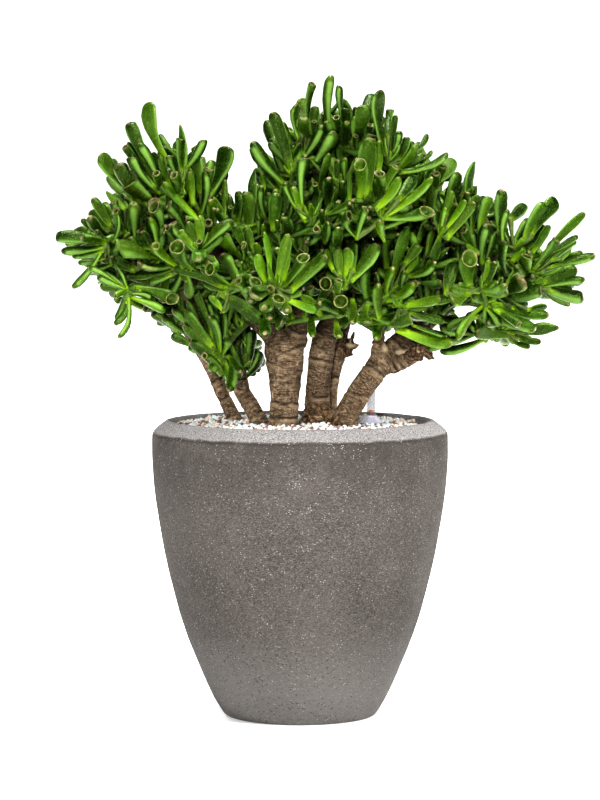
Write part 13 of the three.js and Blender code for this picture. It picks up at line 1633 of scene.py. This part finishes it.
    # pale streaks painted at the forks listed in CUTS
    cut = np.zeros(len(v))
    for c, r in CUTS.get(name, ()):
        d = np.linalg.norm((v - np.array(c)) / np.array(r), axis=1)
        cut = np.maximum(cut, smooth(1.0, 0.6, d))
    pits = np.zeros(len(v))
    for c, r, dep in PITS.get(name, ()):
        d = np.linalg.norm(v - np.array(c), axis=1) / r
        g = np.exp(-(d**2) * 1.6)
        disp = disp - dep * g
        pits = np.maximum(pits, smooth(0.35, 0.95, g))
    scar = np.maximum(scar, pits)
    v = v + N * disp[:, None]
    me = bpy.data.meshes.new(name + "_bark")
    me.from_pydata((v * MM).tolist(), [], faces)
    me.attributes.new("bark_co", "FLOAT_VECTOR", "POINT").data.foreach_set("vector", (co * MM).astype(np.float32).ravel())
    crown = smooth(445, 500, v[:, 2])   # limbs inside the crown are shaded and greenish
    for k, x in (("scar", scar), ("ridge", pale), ("crust", crust), ("cut", cut), ("crown", crown)):
        me.attributes.new(k, "FLOAT", "POINT").data.foreach_set("value", x.astype(np.float32))
    me.materials.append(BARK)
    me.polygons.foreach_set("use_smooth", np.full(len(me.polygons), True))
    me.validate()
    me.update()
    return place(bpy.data.objects.new(name + "_bark", me), "planter", name)


# swellings and broken spurs on the trunks, mm
KNOBS = {
    "trunk_centre_left": [((-20, -26, 357), (20.5, 18, 9)), ((-22, -30, 463), (25, 17, 20)), ((-2, -34, 470), (12, 11, 12)), ((-44, -34, 482), (9, 9, 8))],
    "trunk_centre": [((20, 8, 358), (19.5, 19, 10)), ((18, 6, 372), (18.5, 16.5, 14)), ((32, 4, 374), (8, 8, 9))],
    "trunk_rear": [((47, 38, 447), (11, 9, 11)), ((57, 34, 455), (9, 7, 9)), ((62, 31, 463), (6, 5, 7))],
    "trunk_right": [((55, -27, 359), (19, 17, 8)), ((104, -19, 446), (15.5, 15, 14)), ((96, -24, 456), (8, 7, 9)), ((113, -24, 437), (8, 7, 7))],
    "trunk_left": [((-54, 0, 362), (13, 11, 6)), ((-136, -32, 527), 9)],
    "trunk_left_rear": [((-83, 52, 361), (11, 10, 6)), ((-142, 72, 479), 9)],
}
SPURS = {
    "trunk_rear": [([(58, 33, 461), (66, 30, 470), (68, 28, 479)], [4.0, 3.0, 2.0]), ([(60, 32, 455), (70, 28, 459), (76, 27, 464)], [3.6, 2.6, 1.6])],
    "trunk_right": [([(96, -26, 460), (92, -30, 468), (93, -31, 474)], [4.0, 3.0, 2.2]), ([(150, -46, 460), (160, -46, 452), (166, -44, 448)], [4.5, 3.6, 2.6]),
                    ([(116, -15, 448), (131, -17, 457), (146, -20, 466), (158, -25, 475)], [6, 5.6, 5.2, 4]),
                    ([(112, -25, 438), (126, -31, 444), (141, -39, 453), (155, -47, 464), (170, -50, 473)], [8.2, 8.4, 8.6, 8.0, 6.5])],
    "trunk_centre_left": [([(-14, -46, 470), (-10, -52, 479)], [4.0, 2.4])],
}
CRUSTS = {
    "trunk_centre": [((22, 8, 374), (32, 32, 27))],
    "trunk_rear": [((60, 33, 458), (20, 16, 22)), ((38, 36, 362), (16, 16, 14))],
    "trunk_right": [((48, -31, 362), (30, 24, 19)), ((150, -45, 458), (34, 16, 20)), ((186, -50, 483), (30, 14, 14)), ((98, -30, 470), (12, 12, 16))],
    "trunk_centre_left": [((-20, -30, 486), (34, 18, 16))],
    "trunk_left": [((-52, 0, 364), (16, 14, 12))],
}
CUTS = {
    "trunk_right": [((128, -22, 455), (30, 5, 4.5)), ((150, -14, 474), (26, 5, 4)), ((107, -32, 463), (7, 6, 9))],
    "trunk_rear": [((64, 28, 462), (8, 5, 4))],
}
PITS = {
    "trunk_centre_left": [((-16, -50, 494), 6, 4.0), ((-30, -50, 474), 4, 1.5)],
    "trunk_centre": [((8, -6, 371), 4, 2.0), ((26, -8, 366), 5, 2.0), ((34, -4, 376), 4, 1.6)],
}
for i, (name, limbs) in enumerate(TRUNKS.items()):
    trunk(name, limbs, 100 + 7 * i)

# ------------------------------------------------------------------ leaves
# kind: rings from the base to the tip, each (place along the leaf, half width, thickness ratio, channel depth), then the end rings
# each (place, half width, rim, pit), where pit paints shade into the hollow of the leaf's end. Half widths are shares
# of the leaf's half width.
BODY = {
    "f": [(0.0, 0.52, 0.66, 0.08), (0.07, 0.54, 0.69, 0.10), (0.17, 0.60, 0.73, 0.12), (0.30, 0.71, 0.77, 0.13), (0.44, 0.84, 0.79, 0.11), (0.57, 0.94, 0.81, 0.09), (0.68, 1.0, 0.82, 0.07), (0.78, 0.985, 0.84, 0.05), (0.86, 0.915, 0.86, 0.03)],
    "t": [(0.0, 0.52, 0.70, 0.08), (0.08, 0.54, 0.74, 0.10), (0.20, 0.60, 0.79, 0.12), (0.35, 0.69, 0.83, 0.12), (0.52, 0.79, 0.86, 0.10), (0.68, 0.86, 0.89, 0.08), (0.81, 0.93, 0.92, 0.06), (0.90, 0.985, 0.94, 0.04), (0.95, 1.0, 0.96, 0.02)],
    "r": [(0.0, 0.40, 0.72, 0.08), (0.09, 0.42, 0.76, 0.10), (0.22, 0.48, 0.81, 0.12), (0.38, 0.58, 0.85, 0.14), (0.54, 0.71, 0.88, 0.12), (0.69, 0.83, 0.90, 0.10), (0.81, 0.93, 0.92, 0.06), (0.90, 0.99, 0.94, 0.03), (0.95, 1.0, 0.95, 0.0)],
    "s": [(0.0, 0.34, 0.82, 0.05), (0.08, 0.34, 0.80, 0.08), (0.20, 0.38, 0.75, 0.12), (0.34, 0.47, 0.66, 0.18), (0.48, 0.62, 0.57, 0.22), (0.60, 0.79, 0.50, 0.25), (0.71, 0.94, 0.45, 0.26), (0.80, 1.0, 0.43, 0.24), (0.88, 0.96, 0.43, 0.17)],
    "c": [(0.0, 0.36, 0.84, 0.05), (0.08, 0.36, 0.82, 0.10), (0.20, 0.41, 0.77, 0.18), (0.34, 0.52, 0.71, 0.32), (0.48, 0.67, 0.66, 0.55), (0.60, 0.83, 0.62, 0.78), (0.71, 0.95, 0.60, 0.95), (0.81, 1.0, 0.58, 1.00), (0.89, 0.95, 0.56, 0.80)],
    "b": [(0.0, 0.54, 0.70, 0.08), (0.07, 0.57, 0.72, 0.10), (0.18, 0.64, 0.75, 0.12), (0.32, 0.76, 0.77, 0.12), (0.48, 0.88, 0.79, 0.10), (0.62, 0.97, 0.80, 0.08), (0.74, 1.0, 0.81, 0.06), (0.85, 0.98, 0.82, 0.04), (0.92, 0.92, 0.83, 0.02)],
    "p": [(0.0, 0.54, 0.64, 0.12), (0.08, 0.60, 0.66, 0.14), (0.19, 0.74, 0.66, 0.16), (0.32, 0.91, 0.64, 0.16), (0.45, 1.0, 0.62, 0.14), (0.58, 0.97, 0.61, 0.12), (0.70, 0.85, 0.62, 0.10), (0.81, 0.67, 0.64, 0.06), (0.90, 0.47, 0.67, 0.03)],
}
ENDS = {
    "f": [(0.920, 0.79, 0.0, 0), (0.960, 0.62, 0.0, 0), (0.984, 0.43, 0.16, 0), (0.997, 0.25, 0.75, 0.0), (0.999, 0.13, 0.9, 0.2), (0.996, 0.06, 0.7, 0.4)],
    "t": [(0.982, 0.95, 0.05, 0), (0.998, 0.84, 0.24, 0), (1.0, 0.69, 0.58, 0), (0.985, 0.56, 0.30, 0.10), (0.945, 0.40, 0.05, 0.30), (0.92, 0.22, 0.0, 0.60)],
    "r": [(0.985, 0.990, 0.05, 0), (0.999, 0.95, 0.50, 0), (0.998, 0.87, 0.52, 0), (0.965, 0.77, 0.05, 0.10), (0.905, 0.60, 0.0, 0.22), (0.870, 0.30, 0.0, 0.40)],
    "s": [(0.932, 0.83, 0.0, 0), (0.966, 0.63, 0.0, 0), (0.988, 0.40, 0.15, 0), (0.999, 0.18, 0.55, 0)],
    "c": [(0.938, 0.83, 0.20, 0), (0.970, 0.63, 0.30, 0), (0.989, 0.40, 0.4, 0), (0.999, 0.18, 0.6, 0)],
    "b": [(0.962, 0.81, 0.0, 0), (0.987, 0.65, 0.03, 0), (0.998, 0.46, 0.22, 0), (0.996, 0.29, 0.55, 0.15), (0.988, 0.13, 0.3, 0.5)],
    "p": [(0.955, 0.31, 0.1, 0), (0.985, 0.18, 0.6, 0), (1.0, 0.07, 0.9, 0)],
}
# leaf tones, given by how exposed each leaf is: d paints shade, the same green made darker for leaves deep in the
# crown; m and b are for outer leaves, b a yellower green also painted lighter as light; p is a grey-green
TONES = {"d": (0.0076, 0.0232, 0.0004), "m": (0.0136, 0.0380, 0.0005), "b": (0.0320, 0.0750, 0.0009), "p": (0.0330, 0.0660, 0.0050)}


def add_leaf(bag, B, T, w, kind, tone, ax, rng, level, young=0.0):
    """One leaf from B to T, w wide. Level 0 is the finest mesh; 1 to 3 have fewer rings and sides, for leaves deeper in the crown."""
    B, T = np.asarray(B, float), np.asarray(T, float)
    L = float(np.linalg.norm(T - B))
    d = (T - B) / L
    n = np.asarray(ax, float) - np.dot(ax, d) * d
    if np.linalg.norm(n) < 0.2:
        n = n + 0.5 * rng.normal(size=3)
        n = n - np.dot(n, d) * d
    n = unit(n)
    b = np.cross(d, n)
    if kind in "rt":  # cups turn a little to either side
        a = rng.normal(0, 0.5)
        n, b = math.cos(a) * n + math.sin(a) * b, math.cos(a) * b - math.sin(a) * n
    body, ends = BODY[kind], ENDS[kind]
    ns = (12, 9, 8, 6)[level]
    body = [q for i, q in enumerate(body) if i not in ((), (1, 4), (1, 3, 5), (1, 2, 4, 5, 7))[level]]
    if level and len(ends) > 4:
        ends = [q for i, q in enumerate(ends) if i not in ((), (0,), (0, 3), (0, 2, 3, 4))[level]]
    s_body = np.array([q[0] for q in body])
    S = np.concatenate([s_body, [q[0] for q in ends]])
    bend = rng.uniform(0.02, 0.10) + (0.04 if kind in "sr" else 0)
    if rng.uniform() < 0.14:
        bend = -bend * 0.6
    side = rng.normal(0, 0.03)
    q = 4 * S * (1 - S) * (0.7 + 0.6 * S)
    C = B + np.outer(S * L, d) - np.outer(q * bend * L, n) + np.outer(q * side * L, b)
    # tangents from a dense curve, so that the inner rings of a cup keep the right direction
    dq = (4 * (1 - 2 * S)) * (0.7 + 0.6 * S) + 4 * S * (1 - S) * 0.6
    Tg = L * d - np.outer(dq * bend * L, n) + np.outer(dq * side * L, b)
    Tg /= np.linalg.norm(Tg, axis=1, keepdims=True)
    th = (np.arange(ns) + 0.5) / ns * 2 * np.pi
    cs, sn = np.cos(th), np.sin(th)
    twist = rng.normal(0, 0.22)
    h = w / 2
    f1, f2, p1, p2 = rng.uniform(1.0, 1.8), rng.uniform(2.2, 3.4), rng.uniform(0, 6.28), rng.uniform(0, 6.28)
    tilt = {"r": rng.uniform(0.25, 0.75), "t": rng.uniform(0.05, 0.45), "b": rng.uniform(-0.3, 0.45), "f": rng.uniform(-0.1, 0.3)}.get(kind, 0.0)
    e_end, c_end = body[-1][2], body[-1][3]
    V, A = [], {"rim": [], "pit": [], "edge": [], "young": []}
    for i in range(len(S)):
        inb = i < len(body)
        if inb:
            s, a, e, ch = body[i]
            rim = pit = 0.0
        else:
            s, a, rim, pit = ends[i - len(body)]
            e, ch = e_end, c_end * (1 - (i - len(body)) / len(ends))
            if kind in "tr":
                e = min(1.0, e + 0.03)
        a_ = a * h * (1 + 0.030 * math.sin(f1 * 6.28 * s + p1) + 0.018 * math.sin(f2 * 6.28 * s + p2))
        x = a_ * np.sign(cs) * np.abs(cs) ** 0.90
        y = e * a_ * np.where(sn > 0, 0.86 * sn, 1.08 * sn)
        y = y - ch * e * a_ * np.exp(-((cs / 0.55) ** 2)) * np.clip(sn, 0, 1)
        t = Tg[i]
        nn = n - np.dot(n, t) * t
        nn = unit(nn)
        bb = np.cross(t, nn)
        ca, sa = math.cos(twist * s), math.sin(twist * s)
        nn, bb = ca * nn + sa * bb, ca * bb - sa * nn
        P = C[i] + np.outer(x, bb) + np.outer(y, nn)
        k = smooth(0.80, 1.0, s if inb else 1.0)
        if tilt:
            P = P - np.outer(y * tilt * k, t)
        V.append(P)
        A["rim"].append(np.full(ns, rim * (1.0, 1.0, 0.8, 0.4)[level]))
        A["pit"].append(np.full(ns, pit))
        # painted highlight along the leaf's two sides; for a trumpet, a faint pale band round its mouth
        win = float(smooth(0.03, 0.2, s) * (1 - smooth(0.90, 1.0, s))) if inb else 0.0
        A["edge"].append(np.abs(cs) ** 8 * win if kind != "r" or inb else np.full(ns, (0.06, 0.16, 0.16, 0.05, 0.0, 0.0)[i - len(body) + 6 - len(ends)]))
        A["young"].append(np.full(ns, young * float(1 - 0.8 * smooth(0.2, 0.8, s)) + (1 - young) * float(1 - smooth(0.0, 0.26 + 0.9 * young, s)) * 0.70))
    if kind == "c":  # the brim of a hollow spoon
        for i in range(5, len(body)):
            A["rim"][i] = np.where(np.abs(cs) > 0.9, 0.35, 0.0)
    V = np.vstack(V)
    V = V + (0.012 * w + 0.10) * np.stack([noise(V / 6.5, 3), noise(V / 6.5, 4), noise(V / 6.5, 5)], 1)
    k = len(S)
    end = C[-1] - Tg[-1] * (0.006 * L if kind in "ftrb" else -0.004 * L)
    V = np.vstack([V, C[0] - Tg[0] * h * 0.25, end])
    hue = rng.normal(0, 1, 3)
    c = np.array(TONES[tone]) * math.exp(0.13 * hue[0]) * np.array([math.exp(0.10 * hue[1]), 1.0, math.exp(0.2 * hue[2])])
    cat = lambda x, a, z: np.concatenate([*x, [a, z]])
    bag.add(V, ringfaces(k, ns, k * ns, k * ns + 1), 0, leaf_col=np.append(c, 1.0),
            rim=cat(A["rim"], 0, 0.0 if kind in "tr" else A["rim"][-1][0]), pit=cat(A["pit"], 0, A["pit"][-1][0]),
            edge=cat(A["edge"], 0, 0), young=cat(A["young"], 1, young))


def nearest_on(P, segs):
    best = (1e9, None)
    for a, b in segs:
        t = np.clip(np.dot(P - a, b - a) / max(1e-9, np.dot(b - a, b - a)), 0, 1)
        q = a + t * (b - a)
        d = float(np.linalg.norm(P - q))
        if d < best[0]:
            best = (d, q)
    return best


def shoot(i, row):
    rng = np.random.default_rng(5000 + i)
    bag = Bag("leaf_col", "rim", "pit", "edge", "young", "woody")
    twigs = [[np.array(p, float) for p in t] for t in row["twigs"]]
    segs = [(t[k], t[k + 1]) for t in twigs for k in range(len(t) - 1)]
    root = np.array(row["root"], float)
    first = min(range(len(twigs)), key=lambda k: np.linalg.norm(twigs[k][0] - root))
    ends = [t[0] for k, t in enumerate(twigs) if k != first] + [t[1] for t in twigs]
    for k, t in enumerate(twigs):
        P = list(t)
        leads_on = any(np.linalg.norm(t[-1] - u[0]) < 0.5 for u in twigs)
        R = [4.0, 3.7, 3.8 if leads_on else 3.2]
        if k == first:
            P = [root] + P
            R = [5.6, 4.7, 4.0, 3.8 if leads_on else 3.2]
        v, f, s = tube(P, R, 6.0, 8, 0.10, 50 + i)
        L = s.max()
        w = (1 - smooth(0.30, 0.85, s / L)) * (0.95 if k == first else 0.25)
        bag.add(v, f, 1, woody=w)
    hubs_here = sorted({r[0] for r in row["leaves"]})
    for r in row["leaves"]:
        h, kind, tone = r[0], r[1], r[2]
        B, T, w = np.array(r[3:6]), np.array(r[6:9]), r[9]
        ax = np.array(HUBS[h][3:])
        level = 0 if kind.isupper() else 2 if kind.endswith(".") else 1
        kind = kind[0].lower()
        w *= (1.05, 1.08, 1.06)[level]
        d, q = nearest_on(B, segs)
        if d > 4.5:  # a side stem carries the leaf
            q2 = q + (B - q) * 0.5 + np.array([0, 0, -0.06 * d])
            v, f, s = tube([q, q2, B + unit(T - B) * 1.5], [2.6, 2.2, max(1.6, 0.24 * w)], 9.0, 6, 0.08, 9)
            bag.add(v, f, 1, woody=0.35 if d > 11 else 0.1)
        young = {"b": 0.32, "m": 0.07, "d": 0.0, "p": 0.04}[tone]
        if kind == "r" and level and rng.uniform() < 0.65:   # most of the trumpets are nearly closed
            kind = "t"
        add_leaf(bag, B, T, w, kind, tone, ax, rng, level, young)
    for h in hubs_here:  # the growing point: a few small bright leaves
        p, ax = np.array(HUBS[h][:3]), unit(HUBS[h][3:])
        side = unit(np.cross(ax, [0.3, 0.9, 0.2]))
        a0 = rng.uniform(0, 6.28)
        for k in range(3):
            a = a0 + k * 2.4
            dr = math.cos(a) * side + math.sin(a) * np.cross(ax, side)
            L = rng.uniform(9, 19)
            d = unit(ax + dr * rng.uniform(0.15, 0.5))
            add_leaf(bag, p + dr * 1.2, p + d * L, L * rng.uniform(0.28, 0.40), "f", "b", ax, rng, 3, 0.7)
    bag.piece("foliage_%02d" % (i + 1), [LEAF, TWIG], slot="leaf", node="leafy_shoot_%02d" % (i + 1))


for i, row in enumerate(SHOOTS):
    shoot(i, row)

# ------------------------------------------------------------------ water gauge


def lathe(prof, ns, centre, twist=0.0, squash=None):
    th = np.arange(ns) / ns * 2 * np.pi + twist
    V = np.concatenate([np.stack([r * np.cos(th), r * np.sin(th), 0 * th + z], 1) for r, z in prof])
    V[:, 0] += centre[0]
    V[:, 1] += centre[1]
    return V


def gauge():
    clear = clear_material("clear_tube", (0.17, 0.17, 0.18), 0.08, 0.265, 0.18)
    skirt = clear_material("clear_skirt", (0.56, 0.55, 0.63), 0.14, 0.60, 0.3, 0.3661)
    dark = plastic_material("grey_plastic", (0.06, 0.06, 0.07), (0.10, 0.10, 0.11))
    red = Nodes("float_red")
    h = red.coord()
    sep = red.n("SeparateXYZ")
    red.l(h, sep.inputs[0])
    up = red.span(sep.outputs[2], 0.3784, 0.3794)
    c = red.mix(up, (0.24, 0.0015, 0.012), (0.86, 0.115, 0.004))
    c = red.mix(red.math("MULTIPLY", up, red.span(red.noise(260, 2), 0.48, 0.60, 0.0, 0.7)), c, (0.62, 0.32, 0.03))
    red.set(Roughness=0.3, Specular_IOR_Level=0.3)
    red = red.finish(c)
    # sight tube: a wall of 1.2 mm with a rounded closed top
    b = Bag()
    outer = [(6.0, 355.6), (6.0, 358), (6.0, 375), (6.0, 395), (6.0, 414), (5.85, 418.6), (5.2, 420.9), (3.9, 422.3), (2.0, 422.9)]
    inner = [(1.6, 421.6), (3.2, 421.0), (4.3, 419.6), (4.75, 417.6), (4.8, 414), (4.8, 395), (4.8, 375), (4.8, 358), (4.8, 355.6)]
    V = np.vstack([lathe(outer, 40, GAUGE), lathe(inner, 40, GAUGE)])
    k = len(outer)
    f = ringfaces(k, 40)
    n0 = k * 40
    f += [tuple(i + n0 for i in q) for q in ringfaces(len(inner), 40)]
    V = np.vstack([V, [*GAUGE, 423.0], [*GAUGE, 421.8]])
    top, intop = len(V) - 2, len(V) - 1
    f += [(top, (k - 1) * 40 + j, (k - 1) * 40 + (j + 1) % 40) for j in range(40)]
    f += [(intop, n0 + (j + 1) % 40, n0 + j) for j in range(40)]
    last = n0 + (len(inner) - 1) * 40
    f += [(j, last + j, last + (j + 1) % 40, (j + 1) % 40)[::1] for j in range(40)]
    b.add(V, f)
    b.piece("sight_tube_clear", [clear], slot="clear_plastic", node="indicator_sight_tube")
    # the eight-sided skirt on the granules
    b = Bag()
    rings = [(6.5, 374.6, 0.35), (7.2, 375.3, 0.3), (7.8, 375.0, 0.25), (8.1, 373.9, 0.1), (10.5, 371.8, 0.0), (13.4, 369.3, 0.0), (16.5, 366.7, 0.0), (17.5, 366.2, 0.0), (17.7, 365.5, 0.0), (17.6, 361.9, 0.0), (16.4, 361.6, 0.0),
             (16.0, 364.7, 0.0), (12.6, 367.6, 0.0), (9.6, 370.2, 0.0), (6.9, 372.2, 0.3), (6.5, 372.8, 0.35)]
    ns = 48
    th = np.arange(ns) / ns * 2 * np.pi
    oct_ = math.cos(math.pi / 8) / np.cos((th + math.pi / 8) % (math.pi / 4) - math.pi / 8)
    V = []
    for r, z, rnd in rings:
        m = rnd + (1 - rnd) * oct_ if rnd < 0.3 else np.ones(ns)
        V.append(np.stack([r * m * np.cos(th) + GAUGE[0], r * m * np.sin(th) + GAUGE[1], 0 * th + z], 1))
    V = np.concatenate(V)
    k = len(rings)
    f = ringfaces(k, ns) + [((k - 1) * ns + j, (k - 1) * ns + (j + 1) % ns, (j + 1) % ns, j) for j in range(ns)]
    f = [q[::-1] for q in f]
    b.add(V, f)
    b.piece("skirt_clear", [skirt], slot="clear_plastic", node="indicator_collar", sm=False)
    for node, mat in (("indicator_guide_tube", dark), ("float_and_rod", dark)):
        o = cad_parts[node]
        o.data.materials.clear()
        o.data.materials.append(mat)
    # float marker
    b = Bag()
    prof = [(2.2, 376.4), (3.0, 376.7), (3.2, 377.2), (3.2, 378.6), (2.95, 379.0), (3.2, 379.4), (3.2, 380.9), (2.9, 381.5), (1.8, 381.8)]
    V = np.vstack([lathe(prof, 24, GAUGE), [*GAUGE, 376.4], [*GAUGE, 381.85]])
    k = len(prof)
    b.add(V, ringfaces(k, 24, k * 24, k * 24 + 1))
    b.piece("float_marker", [red], body="float", slot="float_red", node="float_tip")


gauge()
